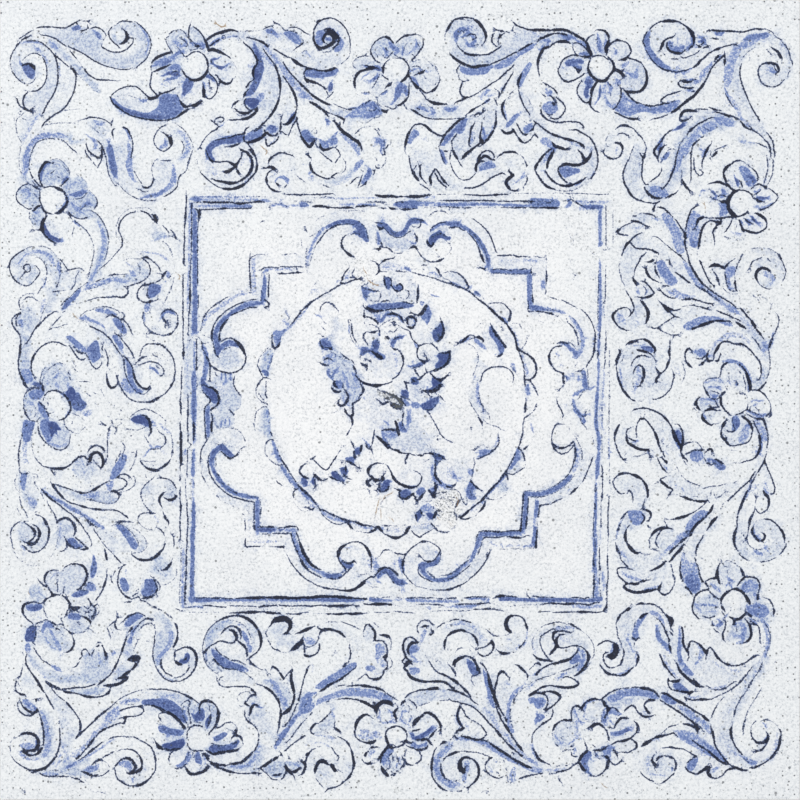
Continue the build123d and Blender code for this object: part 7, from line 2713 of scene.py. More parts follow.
def lion_mane_left():
    """The tufts of mane on the left of the neck."""
    tint("322,340 330,336 335,346 337,354 350,364 356,374 362,384 364,392 356,402 352,410 346,404 340,392 "
        "334,378 328,366 322,360 328,352", 0.6)
    fill("321,340 326,337 331,341 332,347 327,349 322,346", 0.5)
    pen("320,339,1.6 320.5,344 323,347.5", 2.2, 0.8)
    pen("326,350 331,349 332,346", 1.7, 0.7)
    brush("324,341 328,345,3", 2, 0.45)
    brush("323,358 328,355 334,354 336,359", 3, 0.42)
    pen("321,363 325,365,2.4 329,366,2.2", 1.8, 0.85)
    faint("322,360 327,357 333,355", 1.4)
    brush("330,371 329,375 333,377", 3, 0.5)
    brush("334,369 338,373,3", 2.4, 0.4)
    faint("328,373 331,377 334,376", 1.5, 0.7)
    fill("335,382 341,380 344,385 342,389 337,389", 0.4)
    pen("333,384 336,381,2|332,388,2 335,390.5,2.4 339,391.5 342,391,1.8", 2.2, 0.9)
    pen("346,393 348.5,396,2.2 348.5,400,2 347,403", 1.8, 0.85)
    pen("341,397 339.5,400,2", 1.6, 0.7)
    pen("338,402 340,405,2.4 344,405.5,2.2", 2, 0.9)
    faint("345,400 347,404", 1.4)
    brush("352,372 357,380,4 359,384", 3, 0.45)
    brush("345,368 350,374|352,386,4 355,392,4", 3, 0.28)
    pen("361,385 363.5,389,2.4 362.5,393,2 359,397", 1.8, 0.85)
    brush("364,391 360,396 356,401", 3, 0.45)
    pen("352,403 355,402 360,400,1.6", 2, 0.85)
    pen("352,404 353.5,409,2.4 353,413,2.4 351,417 352,421,2.2 352,424,1.6|344.5,409,2.2 346.5,413,2.4 "
        "350,416.5", 2, 0.95)
    faint("352,424 351,427", 1.4)
    pen("350,429.5 348,433,2 346,437,1.6", 1.8, 0.8)
    pen("339,356.5 340.5,357", 1.8, 0.7)
    pen("341.5,354 346,357.5,2.2 349.5,360", 1.8, 0.9)
    pen("351.5,360 355,364.5,1.8|353.5,366,2.2 355,370,2.6 356.5,374", 2, 0.85)
    pen("356,376,2 360,380.5 365,383.5,3 371,385,3.6 377,385.5,3.4 383,384.5 387,383.5,2.4"
        " 392,382,1.8", 2.8, 0.98)
    brush("355,374 360,381 366,384 374,385", 3, 0.5)


def lion_plume_left():
    """The pale curled plume left of the lion's head."""
    pen("320,311 320.5,308 323,304 327,302,1.8 331,303.5 335,307 339,312,1.6", 2, 0.75)
    faint("323,320 325,323", 1.8, 0.6)
    faint("321,326 326,331", 1.5)
    brush("317,316 321,316", 3, 0.35)
    faint("335,320 336,328 335,334", 1.6, 0.28)
    tint("322,308 330,304 337,312 338,326 336,340 328,336 330,324 326,314", 0.35)
    faint("325,336 329,341", 1.3, 0.4)


def lion_mane_right():
    """The tufts and curls of mane on the right of the neck."""
    pen("412,313,1.6 417,315,2.6 421,314 424,310 427,305,2.4", 3.6, 0.9)
    fill("427,304 430,308 431.5,314 430,320 427,325 425,321 421,318 424,314 426,309", 0.7)
    brush("428,306 430,313,4 428,320", 3, 0.35)
    pen("408,327,1.8 412,328 415,325,2.8 416,320 413,317 409,317,2.8 407,320,2.8 408,324,2.4"
        " 411,325,1.8", 2.6, 0.9)
    brush("410,317 414,319,4 415,324,4 412,328", 3, 0.45)
    pen("404,329,1.6 409,330.5 410.5,334,2.4 411.5,338,2.2 414,341,2.4 418,344.5", 2, 0.85)
    fill("414,343 419,345 418,349 415,347", 0.5)
    pen("426,343.5,1.6 421,345,2.2 418,348 417,353 418,358,2.2 421,360.5,2.6 425,361.5", 2, 0.9)
    pen("427,358 428,360", 3, 0.75)
    pen("431,361 432,362", 1.8, 0.4)
    fill("412,366 416,364 421,362 427,361 424,365 419,367 414,368", 0.72)
    pen("413,367,1.8 419,366.5,2 424,363,1.8|417,368 416,371 418,374 421,374", 1.6, 0.7)
    pen("426,371,1.6 424,375 421,378 417,379.5,2", 2.2, 0.85)
    pen("427,372 428,373", 2.2, 0.7)
    pen("441,322 443,327,2.6 442.5,333,2.4 440,338,2.2 436,343", 2, 0.9)
    fill("441,323 443,328 441,335 437,339 433,338 433,333 437,330 440,328", 0.68)
    pen("432,329 437,328,2 440,325,2.4", 1.4, 0.7)
    pen("438,336 439,338|432,344,2 435,346.5,1.8 437,348", 2.4, 0.8)
    fill("437,354 443,353 450,351 449,358 446,364 440,367 436,369 437,363 441,358", 0.76)
    pen("440,353 446,353,2.4 450,351,2.2 449.5,356,2 447,362,2.2 443,366,2.6 437,369,2.4 431,371,2"
        " 428,372", 1.6, 0.9)
    brush("440,366 446,360 448,354,3", 4, 0.3)
    fill("433,376 437,378 442,379 441,385 437,389 431,391 425,390 430,388 434,385 433,381", 0.85)
    pen("433,376,2 437,379 442,379 446,377,2.2", 2.8, 0.85)
    pen("425,390.5 430,391,3 436,389,2.8 440,385,2.4 441,380,2", 2.2, 0.9)
    pen("428,394 431,397", 1.7, 0.7)
    pen("439,395.5 442,398", 1.8, 0.75)
    fill("422,403 427,402 431,398 438,398 439,402 434,407 429,410 424,409 421,406", 0.66)
    pen("423,409 429,410,2 434,407,1.8 438,401", 1.6, 0.6)
    brush("426,405 433,402", 4, 0.35)
    tint("414,332 424,330 432,336 430,342 422,344|420,348 430,346 438,356 434,366 424,374 420,364"
        " 420,354", 0.3)
    tint("418,382 432,380 434,388 424,390 426,398 420,402 412,398 410,388", 0.5)


def lion_chest():
    """The tufts down the lion's chest, and the long outline of its back."""
    pen("404,381 406,385,2 407.5,391|404,381 409,383,2.2 413,382", 1.8, 0.85)
    fill("411,378 416,377 419,382 417,385 413,383", 0.9)
    pen("413,379 417,382", 2.6, 0.6)
    fill("401,391 405,389.5 409,393 408,398 403,397", 0.85)
    pen("401,396,2 405,398,2.4 409,399|401,398,2.2 403,402,2.2 406,406", 1.8, 0.8)
    fill("404,400 409,402 409,406 405,406", 0.62)
    fill("411,404 416,402 420,405 419,408 413,408", 0.45)
    fill("407,408 413,410 410,413 407,412", 0.3)
    fill("407,414 411,415 411.5,422 409,424 406,420", 0.5)
    pen("404,413 403,418", 2, 0.8)
    fill("401,421 404,424 406,429 407,432 402,433 400,429", 0.6)
    pen("402,424 404,428 403,430", 2, 0.65)
    pen("395,421,2.2 397,425 398,431 399,436,2.4", 2.8, 0.95)
    brush("399,423 400,430", 2.6, 0.5)
    pen("383,430 390,430.5,2 397,431,2.2", 1.6, 0.75)
    fill("384,431 391,431 397,433 396,438 390,440 385,438", 0.3)
    brush("383,432 383.5,438,2.6 386,441,2.2", 2, 0.6)
    tint("384,420 392,424 398,436 396,444 388,440 382,432", 0.5)
    pen("376,436,2.2 380,439,2.6 384,443 386,446 388,449,2", 3, 0.9)
    brush("386,444 389,447,3", 4, 0.5)
    pen("391,448,1.6 394,450 398,450.5,3.2 400,452.5,2.8 405,453.5 408,453.5,1.8", 2.2, 0.92)
    pen("411,454 414,455.5,2.6|418,455,2.6 422,455.5,2.8 425,453.5,2.2 429,453.5 434,455", 2, 0.9)
    fill("433,455 439,454 445,457 442,460 437,460", 0.85)
    pen("434,455.5 443,457.5", 2.4, 0.6)
    pen("409,454,1.6 407,459,1.6|427,411,1.4 431,416 435,424 439,431 442,436 446,440,1.4", 1.8, 0.75)
    faint("449,441 454,443", 1.9, 0.65)
    pen("438,436 439,436.5|437,439 438,440", 2, 0.7)
    pen("427,446 428,445", 2, 0.5)
    faint("430,444 431,448 434,449", 1.8, 0.4)
    brush("387,423 389,426", 3, 0.25)
    brush("404,448 408,450", 4, 0.18)
    tint("388,442 400,446 408,452 396,450", 0.35)


def lion_chest_cracks():
    """The dark cracks worn across the chest."""
    pen("376,388 380,391 384,392 387,393", 1.6, 0.6)
    pen("379,393 385,394", 1.5, 0.5)
    pen("391,394,1.8 395,396 399,399,2.4 401,403,2.6 401.5,408", 2.2, 0.85)
    pen("389,399,1.4 392,397 397,399 400,403,1.9|376,399,1.8 379,401 382,404,2.6 386,403"
        " 389,401,1.8", 2, 0.8)
    pen("389,403,1.8 393,405.5,2.2 396,404,2.1 400,406|391,406,1.8 395,408.5 400,409", 2.4, 0.85)
    chafe("391,394 397,396 402,401 402,408 397,409 392,406 397,403 398,400 393,397", 0.6)
    pen("373,397 374,398", 1.8, 0.5)


def lion_raised_claws():
    """The claws of the raised foreleg."""
    fill("355,449 359,448 361,451 359,455 356,454", 0.8)
    pen("362,446 361,450,2.6 359,453", 1.8, 0.9)
    pen("365,443 367,447,2.6 369,450,2.4", 1.8, 0.85)
    brush("365,441 369,444", 3, 0.5)
    pen("373.5,435 373,440,2", 2.2, 0.8)
    pen("372,444 370.5,448,1.8 372,451,2", 1.6, 0.75)
    pen("354,452 356,459,2", 1.8, 0.85)
    brush("349,458 354,459,4", 3, 0.75)
    faint("353,444 352,449", 1.5)
    pen("341,448 339,451", 1.6, 0.6)
    faint("338,453 335,459", 1.5)
    pen("313,458 310,460,2.4", 2.6, 0.85)
    pen("334,413 336,412", 2.6, 0.5)


def crest_left_volute():
    """The upper left volute of the cartouche."""
    fill("325,227 331,223 340,220 350,219 358,221 364,226 367,232 369,241 366,242 362,237 357,230 351,225 "
        "343,224 335,225.5 328,229", 0.8)
    brush("330,225,2.6 340,221.5,2.6 350,220.5 359,223 365,230", 3, 0.4)
    pen("328,230 334,226.5,2.2 341,224.5 349,224 356,225.5,1.6", 2, 0.8)
    pen("359,221.5,1.6 364,226.5 367,233 368.5,239", 2, 0.7)
    fill("353,231 358,231 362,234 367,239 366,241 361,238 357,235 353,234", 0.9)
    pen("353,234 357,233 361,236,2", 2.2, 0.8)
    pen("345,235.5,1.8 342.5,238.5 341.5,243 342.5,248 345,251,2|345.5,251.5,2.2 349,254.5,2.6"
        " 354,257,1.8", 2.4, 0.95)
    faint("355,258 362,259 368,256", 1, 0.3)
    faint("347,243 349,246 351,244", 1.6, 0.4)
    pen("343,228 344,229", 2, 0.5)
    pen("328,230,1.8 324,234 320,239.5 317,244,1.6", 2, 0.85)
    brush("325,227 320,232 316,238 312,246 309,255 306,264", 3, 0.5)
    faint("321,229 317,233 311,236", 1.6, 0.6)
    faint("316,245 313,252 311,259 309,267", 1.5)
    pen("312,255 313,254", 2.2, 0.6)
    faint("307,247 306,255 306,262", 1.7)
    pen("305,262 308,265,2.2 306,268", 2, 0.5)
    faint("315,222 319,218 326,215", 1.4, 0.45)
    brush("306,262 308,266", 3, 0.45)


def crest_middle():
    """The dark scalloped crest at the top of the cartouche."""
    tint("384,228 394,236 404,238 410,232 414,240 412,248 402,252 390,248 382,246 380,236", 0.5)
    brush("379,224 384,225 388,229 393,233 399,234,5.4 404,232,5.4 407,227 410,222 415,220.5 421,221,4.4 "
        "425,222,3", 5, 0.82)
    pen("385,229,1.6 389,233.5 393,236.5 398,237.5,2.4 403,236.5 407,233,2 411,231,2.1", 2.2, 0.75)
    pen("376,222.5 380,223,2.4 384,223.5,2", 2.2, 0.8)
    pen("378,227 381,229,2.8 383,227,2", 2.4, 0.85)
    pen("390,230 394,233.5,2.4 398,232,2|410,220,1.6 416,219.5 422,220,2.6 425,222,2", 1.8, 0.75)
    pen("421,222 420,226,2.4 418,228", 2.3, 0.8)
    pen("411,224 413,227 416,227", 1.8, 0.5)
    brush("377,232 379,240,5 379,244,4", 3, 0.62)
    pen("376,236 376.5,243", 1.6, 0.6)
    pen("379,241,2 382,244 380,247", 2.6, 0.7)
    pen("376,249 379,249.5,3 381,247,2", 2.2, 0.85)
    pen("382,247 385,247.5", 2, 0.7)
    pen("386.5,247 390,249.5,2.6 393,252,2.2", 2, 0.9)
    pen("394,253 399,253.5,1.8 404,252.5", 1.4, 0.6)
    brush("413,232 416,239", 4, 0.35)
    pen("414,233 417,238,2.4 416,243,2.2", 1.8, 0.8)
    brush("412,243 416,244", 3, 0.7)
    pen("411,247.5 414,246.5,3.2 417,248", 3, 0.95)
    pen("397,249 398,249.5", 1.6, 0.4)


def crest_right_volute():
    """The upper right volute of the cartouche."""
    fill("428,241 431,235 436,232 440,230 443,233 447,236 451,237 450,240 446,240 441,238 437,240 434,244 "
        "431,247 428,245", 0.95)
    pen("431,238,2.4 435,235 439,233.5,3.2 443,235 449,238,2.6", 3, 0.6)
    pen("427,240 428,243.5,2.6 431,246.5,2.6 434,243", 1.8, 0.9)
    brush("431,231,3 436,226 443,223.5 451,223 460,223", 4, 0.68)
    pen("430,230 434,226,2.2 440,223,2.2 447,222,2|449,228 454,227.5,2 460,227", 1.8, 0.8)
    faint("445,240 450,244 451.5,249 448,253", 1.6)
    pen("419,252.5,1.4 422,257 427,260.5,2.4 433,262,2.4 440,260.5,2.2 444,258", 1.8, 0.85)
    faint("445,257 449,253", 1.3)
    pen("440,256.5 441,257", 2, 0.5)
    faint("431,214 436,211.5 442,211 447,212.5", 1.7, 0.6)
    faint("440,214 444,217", 1.2, 0.3)
    pen("423,265 428,266,2.6", 2.2, 0.9)


def ring_top():
    """The top of the medallion's ring, with its scallops."""
    pen("372,261,1.4 375.5,262 378,265,2.2 379,269 378,273,2.2 376,273.5", 2, 0.85)
    pen("380,264 384,260.5,2.2 389,259,2 394,258", 1.8, 0.9)
    fill("382,265 390,262 400,265 406,269 400,271 388,271 383,270", 0.22)
    brush("383,267 387,266,5", 4, 0.38)
    pen("381,271.5 387,272", 1.8, 0.75)
    pen("396,271 402,271.5", 1.8, 0.8)
    pen("403,272 406,272", 2, 0.7)
    brush("405,267 409,270", 3, 0.7)
    pen("405,266 409,271", 1.6, 0.5)
    pen("412,269 414,268", 2.2, 0.7)
    faint("402,261 405,264", 1.3, 0.4)
    pen("349,268 345,272.5,2.2 342.5,278,2.4 341.5,283,2", 1.6, 0.9)
    pen("341,283.5,2.2 346,283 351,281 356,279.5,2.4 359,279,1.8", 2.8, 0.95)
    pen("354,270 352,274,1.8 355,278,2", 1.4, 0.75)
    pen("351,277.5 352,278", 2, 0.7)
    brush("344,276 348,279", 4, 0.35)
    brush("349,272 346,278", 3, 0.3)
    pen("341,284,1.6 335,288 329,291.5,2.2 323,294.5 318,298,2.2 313,301 309,304,2.4 307,308,1.8", 2, 0.85)
    pen("313,286 316,283", 1.5, 0.6)
    faint("310,290 309,296", 1.3, 0.4)
    brush("336,283 341,279", 3, 0.25)
    brush("311,292 316,290,5 318,294", 4, 0.26)
    brush("307,306 310,302", 3, 0.4)
    pen("413,272.5,1.6 419,274.5 426,276,1.8 433,278,1.8 440,280.5 447,283 454,285.5 460,288", 2, 0.72)
    faint("414,270 420,268 426,271", 1.2, 0.4)
    brush("428,275,3 433,273 438,277", 4, 0.3)
    pen("436,268 438.5,271,2.6 440,275", 1.8, 0.9)
    faint("440,276 446,279 452,282", 1.4)
    faint("443,273 450,271.5 457,273 460,275", 1.3, 0.6)
    brush("432,295 435,296", 3, 0.5)
    faint("346,286 350,284", 1.3, 0.3)


def frame_top_middle():
    """The top of the line frame, right of its worn gap."""
    fill("300,202 307,203 309,206 305,207 300,207", 0.7)
    brush("341,204.5,2.6 354,204.5|358,204.5 375,204.5", 3, 0.5)
    fill("394,203 403,201 417,201 417,208 403,208 395,206", 0.72)
    fill("417,202 432,202 448,203 460,203 460,207 448,206 432,206 418,206", 0.58)
    brush("325,198 345,198.5 360,198 378,198", 2, 0.42)
    brush("424,197 434,197", 3, 0.4)
    pen("286,194.5 293,194.5 300,195,2.4 306,194.5", 2, 0.85)
    pen("311,194.5 316,194.5,2.2 318,194,1.6", 1.8, 0.8)
    pen("321,194.5 327,194,2.2 333,193.5", 2, 0.9)
    faint("312,197.5 320,198 326,197 334,198", 1.7)
    pen("325,196.5 327,197", 2, 0.6)
    faint("293,201 299,201", 1.6, 0.6)
    pen("300,201 304,201,2 307,202,1.8", 1.6, 0.75)
    pen("310,202 312,202", 2, 0.7)
    pen("313,206.5 318,206,3 324,206.5,3.6 328,207.5,3 330,207.5|332,207.5,2.4 340,208,2.8 348,207.5,2.8 "
        "355,208,2.2", 2, 0.95)
    pen("357,206.5,2 364,206 371,206 376,206,1.6", 2.2, 0.9)
    faint("340,210.5 346,211 356,210.5 363,211.5", 1.5)
    faint("336,201.5 345,202", 1.4, 0.4)
    pen("365,202 373,202,1.8 382,202,2 388,202,1.9", 1.4, 0.7)
    pen("375,195,1.8 379,196 385,196.5,3 391,196,2.8 396,197 402,196.5,2.4|404,196.5,2.4 412,196.5,3 "
        "419,196.5,2.8 425,196,2.2 430,195,1.6", 2.6, 0.95)
    pen("425,194.5 431,194.5,1.8", 2, 0.75)
    pen("438,194.5 440,194.5", 2.4, 0.85)
    faint("446,194.5 460,194", 1.3)
    pen("395,202.5 401,202,2 409,202", 1.6, 0.75)
    pen("411,202 417,202", 1.6, 0.5)
    pen("381,208 385,208.5,2.4|389,207.5 393,209,2.8 396,208.5,2.4", 2, 0.9)
    pen("399,209 405,209.5,2.4 411,209,2 416,208.5,1.6", 1.8, 0.85)
    pen("381,204 391,205", 1.6, 0.4)
    faint("418,208 430,207.5 438,207.5", 1.4, 0.4)
    pen("438,207 448,207 460,208|439,200.5,1.8 442,201,2.4", 1.6, 0.7)
    pen("443,200.5 450,200.5,2.8 456,200.5,2.4 460,200.5", 2, 0.9)
    faint("418,201 430,201 438,201", 1.3, 0.45)


def lion_standing_leg():
    """The lion's hind legs and lower claws."""
    pen("378,463 374,464,2.6 370,467,3.2 368,471,2.8 369,475,2.2 371,477", 1.8, 0.95)
    blot("366,481 369,479 372,477 374,479 378,480 381,479 382,476 384,478 382,481 377,481 372,480 369,483 "
        "367,485 365,483", 0.8)
    pen("366,482 369,486,2.2", 2, 0.8)
    pen("369,487 370,490", 1.8, 0.6)
    pen("382,476 383,479,2.2", 2.6, 0.85)
    pen("372,483 374,485", 1.6, 0.5)
    fill("389,480 388,485 385,489 381,492 377,490 380,487 382,483 385,480", 0.78)
    pen("389,486,1.6 386,490 382,491 378,490,1.8", 2.4, 0.85)
    pen("377,490 379,486,2 381,482,1.8", 1.6, 0.7)
    pen("361,489 363,490", 1.4, 0.5)
    faint("384,464 388,466 390,469", 1.2)
    pen("388,467,1.2 391,472,1.8 393,477 396,481,2.8 400,484 405,486,2.8 410,487.5,3.2 415,487,3 "
        "419,484.5,2.4 421,481,2.2 422,476,1.6", 2.6, 0.95)
    brush("408,487 416,487", 3, 0.5)
    faint("415,471 419,473 422,476", 1.5, 0.7)
    pen("409,453 406.5,457,2 405,461,2 407,466", 1.8, 0.8)
    faint("410,470 411,471", 1.6, 0.4)
    tint("408,456 420,458 432,462 436,474 428,486 424,478 416,470 408,466", 0.25)
    faint("426,461 430,459", 1.6)
    pen("394,488,1.6 398,490 400,493,2.2 400,497 403,498.5,2.4 407,498.5,2.4 411,496", 2, 0.85)
    fill("400,492 404,491 409,488 411,491 410,495 406,498 402,498", 0.5)
    brush("402,492 408,490 410,492", 3, 0.35)
    fill("417,490 421,487 425,488 424,492 421,496 418,494", 0.62)
    pen("414,494 416,498 417,502,2|425,492,1.6 422,497,2 419,501 417,503", 1.8, 0.8)
    fill("430,489 434,487 436,490 435,494 432,492", 0.6)
    pen("428,490,1.8 431,494,2 434.5,497 435.5,491 435,486,2.8 434,481", 2.2, 0.85)
    pen("434,454 435,459 437,463", 2.6, 0.6)
    fill("434,457 439,457 437,461 435,462", 0.7)
    pen("441,460 437,464,2.2", 1.8, 0.75)
    brush("433,464 432,472,3.4 434,480,3", 2.6, 0.55)
    pen("435,464 435,470,2.6 435,475,2.8 438,480,2.6 440,482", 2, 0.9)
    fill("439,480 443,484 448,486 452,485 450,489 444,489 440,486", 0.5)
    pen("446,485 450,487,2 454,484", 1.8, 0.75)
    brush("454,476 455,479", 4, 0.22)
    tint("438,464 450,462 458,470 456,482 446,484 438,476", 0.3)
    faint("441,462 446,460", 1.4, 0.4)


def lion_back_claws():
    """The claws of the leg stretched to the left."""
    pen("300,468 303,465.5,2.4 306,463,1.8", 2.2, 0.85)
    pen("310,460,2.4 313,458,2.6|314,460,1.6 318,464.5 323,468.5 327,470,1.8 330,466 333,461"
        " 337,456,1.6", 2, 0.9)
    faint("338,454 342,450", 1.3, 0.6)
    pen("300,474 303,476.5,2.6 307,477.5", 2.2, 0.85)
    fill("301,480 305,479 307,483 306,487 303,486", 0.8)
    pen("304,477 307,480", 2, 0.6)
    fill("312,478 315,479 316,483 312,482", 0.9)
    pen("313.5,474 314,478", 2, 0.7)
    pen("315,474 318,478,2.2 322,480.5,2.2 326,479", 1.8, 0.85)
    pen("319,484 320,484", 2, 0.4)
    fill("332,474 337,474 341,478 341,481 336,480 333,477", 0.75)
    pen("329,477 334,479", 1.6, 0.6)
    pen("335,471,1.6 339,475 341,480", 1.8, 0.7)
    fill("341,470 345,470 347,474 344,476 341,473", 0.85)
    pen("338,468 343,470", 1.8, 0.6)
    pen("342,476 346,477,2 349,479,1.8", 1.6, 0.85)
    pen("345,468 346,472", 1.6, 0.7)
    pen("342,480 343,484", 1.8, 0.6)
    fill("348,458 353,458 354,461 350,462", 0.6)
    pen("345,463 350,462,2 355,464", 1.8, 0.6)
    pen("353,452 355,457,2", 1.8, 0.85)
    pen("355,465 357,467", 1.8, 0.7)


def ring_bottom():
    """The foot of the medallion's ring, with its scallops."""
    tint("300,488 312,498 320,506 334,514 350,520 370,525 378,528 366,530 348,524 330,520 318,512"
        " 306,502", 0.4)
    fill("320,510 326,511 333,515 342,519 348,520 344,522 336,521 328,518 322,514", 0.45)
    fill("353,522 360,524 368,526 374,528 370,530 362,528 355,525", 0.42)
    brush("300,489 306,494 312,500 318,506,3", 3.6, 0.55)
    pen("300,487,1.6 305,491 310,496 313,500,2.4 317,505", 2, 0.8)
    pen("303,496 310,504", 1.4, 0.4)
    fill("309,504 316,506 315,509 311,508", 0.4)
    pen("306,507 309,508 311,510,2.6 314,508,2", 2.2, 0.8)
    pen("317,506,1.6 321,509 327,512 333,515,2.2 340,518,2.4 347,520.5,2.6 352,521", 2, 0.75)
    brush("346,521 352,522", 3, 0.6)
    faint("319,508 322,514 327,519 333,523 340,524.5 347,522", 1.7, 0.75)
    pen("347,521 350,526 354,530,1.8", 2.2, 0.8)
    faint("355,531 361,532", 1.6)
    pen("352,521,1.8 357,522.5,2.6 363,525 370,526,2 378,527", 2.2, 0.85)
    pen("364,532.5 369,533", 2, 0.7)
    pen("370,532.5 374,530,3 378,527,2.6", 2, 0.95)
    pen("378,526 380,529,2.8 383,532,2.4", 2.2, 0.9)
    fill("380,527 384,528 382,532", 0.5)
    pen("384,534,1.6 388,535.5,2 391,537 396,538,2.6 401,536.5 405,534,2.8 408,529,3.2"
        " 410,526,2.6", 2.4, 0.95)
    fill("386,530 392,527 400,528 406,529 402,533 392,533", 0.2)
    faint("381,525 387,526 388,529 386,532", 1.7, 0.6)
    faint("388,525 396,526 408,525", 1.3)
    brush("388,529 398,530", 4, 0.2)
    pen("405,530 408,527", 2, 0.6)
    pen("412,531 415,534.5,2.2 420,537,2.4 424,534,1.8 430,531", 1.6, 0.85)
    tint("410,526 422,526 432,524 434,528 424,532 414,532", 0.5)
    brush("412,527 422,526,4 430,524", 3, 0.2)
    pen("431,523 434,527,2.6 437,530,2.2", 2, 0.85)
    pen("433,529 436,526", 1.8, 0.6)
    pen("438,531 443,532,2.4 448,532.5", 2, 0.85)
    faint("450,531 455,528 460,523", 1.3, 0.4)


def lion_ground_scroll():
    """The dark curl under the lion's foot, with the worn patch beside it."""
    fill("415,518 415,514 418,511 421,510 422,515 419,520 417,521", 0.92)
    pen("420,510,2.4 417,513 416,518", 2.8, 0.7)
    pen("421,514 424,516", 2.2, 0.8)
    fill("426,513 430,513 434,514 434,518 431,519 428,517", 0.92)
    pen("432,519 435,515,2.8 436,511,2.2", 2, 0.9)
    faint("419,504 425,501 432,502 437,505", 1.4, 0.45)
    fill("420,508 428,503 435,506 436,511 428,512 422,511", 0.24)
    pen("432,506,1.8 434,509,1.8|437,503 439,505|438,509 441,511", 2, 0.6)
    pen("381,504 382,501 386,497 388,495", 1.6, 0.5)
    pen("378,507 378,511", 1.8, 0.4)
    pen("375,512 375,517", 1.5, 0.35)


def foot_volute_left():
    """The lower left volute of the cartouche."""
    tint("340,552 352,544 364,548 370,562 366,578 350,588 332,588 312,580 320,576 340,580 352,572 360,560 "
        "352,552", 0.25)
    fill("300,550 304,555 308,562 312,567 318,570 324,571 330,574 338,574 344,572 348,568 352,566 354,562 "
        "350,563 345,563 341,558 338,557 340,562 345,567 342,571 334,578 326,578 318,573 310,569 304,562 "
        "300,556", 0.55)
    fill("325,573 332,574 340,573 342,576 337,579 330,579 326,577", 0.78)
    fill("340,559 344,562 349,564 353,562 353,567 348,569 343,565", 0.8)
    pen("352,542,1.8 346,544.5,2.6 341,548,3 338,552,3.2 338,557,2.8 340,562 344,567 346,569,2", 2.4, 0.95)
    pen("340,551 340,555,2.4", 1.8, 0.8)
    pen("342,560,2 346,563 351,563 354,561,2.6 357,563.5,1.6", 3, 0.85)
    pen("358,542 362,543.5,2.4 366,547,2.8 369,552,2.8 371,557,2.4 371.5,562,2.2 371,568", 1.8, 0.95)
    brush("355,548 361,551 364,557", 3, 0.2)
    brush("345,548 352,547", 3, 0.25)
    pen("371,569 371,574", 1.6, 0.5)
    pen("301,550 304,555,2.4 308,561,2.8 312,565,2.8 317,568,2.4 322,570", 2, 0.95)
    pen("300,561,1.8 304,566,2.2 309,571 316,575 323,578.5,1.6", 2, 0.9)
    pen("326,572 333,574,1.8 341,573,2 347,569,2.2", 1.6, 0.6)
    pen("328,578 335,579,2.2 341,577,2 347,572 352,567", 1.8, 0.8)
    pen("300,574 306,579,2 313,583,1.6|316,585 323,587.5,2.2 331,589,2.2", 1.8, 0.85)
    pen("334,589,1.8 342,590.5,2.6 350,590.5 356,588.5 362,584 367,579,2.2 370,577,2.6", 2.8, 0.95)
    faint("317,582 326,585 336,587 346,587", 1, 0.3)


def foot_middle():
    """The dark crest at the foot of the cartouche."""
    pen("380,556,1.6 382,552 385,550,2.4 391,550,1.6|395,553,2.2 399,554 402,554.5 405,554,2.2", 2, 0.85)
    brush("369,560 370,566", 5, 0.3)
    brush("374,559 376,566 374,570,4", 5, 0.42)
    faint("374,558 379,558", 1.6)
    pen("385,563 387,563", 2.2, 0.4)
    brush("400,560 402,566 403,572,4", 5, 0.62)
    pen("401,558 402,563,2.2", 2, 0.6)
    brush("394,560 394,566", 3, 0.25)
    pen("405,556,2.2 403,562,2.8 402.5,568,2.8 404,574,2.2|371,576,1.8 374,577 377,573 380,569.5,2.6 "
        "385,567.5 391,568.5", 2.4, 0.9)
    brush("378,577,4 382,573 386,571 390,573 394,578,6 398,582,6 404,583", 5, 0.82)
    pen("378,576,1.8 382,573 386,572 389,576 393,581 396,584,2 407,584,1.8", 2.4, 0.7)
    pen("391,569 396,573,3.2 399,577,2.6", 2.2, 0.8)
    fill("400,579 406,582 408,584 400,584 398,581", 0.7)
    brush("376,580 379,582", 4, 0.42)
    brush("367,582 370,583,3", 4, 0.4)
    faint("368,585 371,587 375,588", 1.8)
    faint("362,575 366,574 370,574", 1.6, 0.6)


def foot_volute_right():
    """The lower right volute of the cartouche."""
    tint("408,556 418,544 432,544 440,556 434,562 422,558 416,568 420,580 440,588 460,584 450,592 428,592 "
        "412,582 406,570", 0.3)
    fill("422,562 428,563 434,561 438,556 440,556 439,563 434,566 428,567 425,570 428,575 434,578 442,578 "
        "450,576 458,570 460,573 452,580 442,582 432,581 424,576 419,570 418,565", 0.76)
    brush("421,566 424,573 430,578", 3, 0.35)
    pen("422,558,1.6 425,561 430,561.5,2.6 435,559.5,2.4 438,555 440,551", 2, 0.9)
    brush("438,553 439,559 435,565", 2.6, 0.5)
    pen("441,552,1.8 440.5,558 438,563 433,566", 2, 0.6)
    pen("421,563,1.4 418.5,568,1.8 418.5,573 422,577 428,580 433,582,1.6", 2, 0.75)
    pen("427,571 431,575,2.4 436,579,2.2", 1.8, 0.6)
    faint("437,582 444,581.5 452,578 460,572|440,576,1.5 450,574,1.5 460,567,1.5", 1.6)
    pen("407,553 410,549.5,2.2 414,546,2", 1.6, 0.85)
    pen("418,543.5,1.6 422,541.5 427,541.5,2|429,541.5 431,542|434,544,1.4 437,546,1.6 440,549,2 "
        "440.5,552,2", 2.2, 0.8)
    pen("406,576 409,580,2 413,584", 1.6, 0.75)
    faint("416,586 424,588 432,590", 1.5, 0.6)
    pen("433,590 438,590.5", 1.8, 0.7)
    pen("439,590 446,590,2.4 452,588.5,2.2 460,585", 1.8, 0.85)


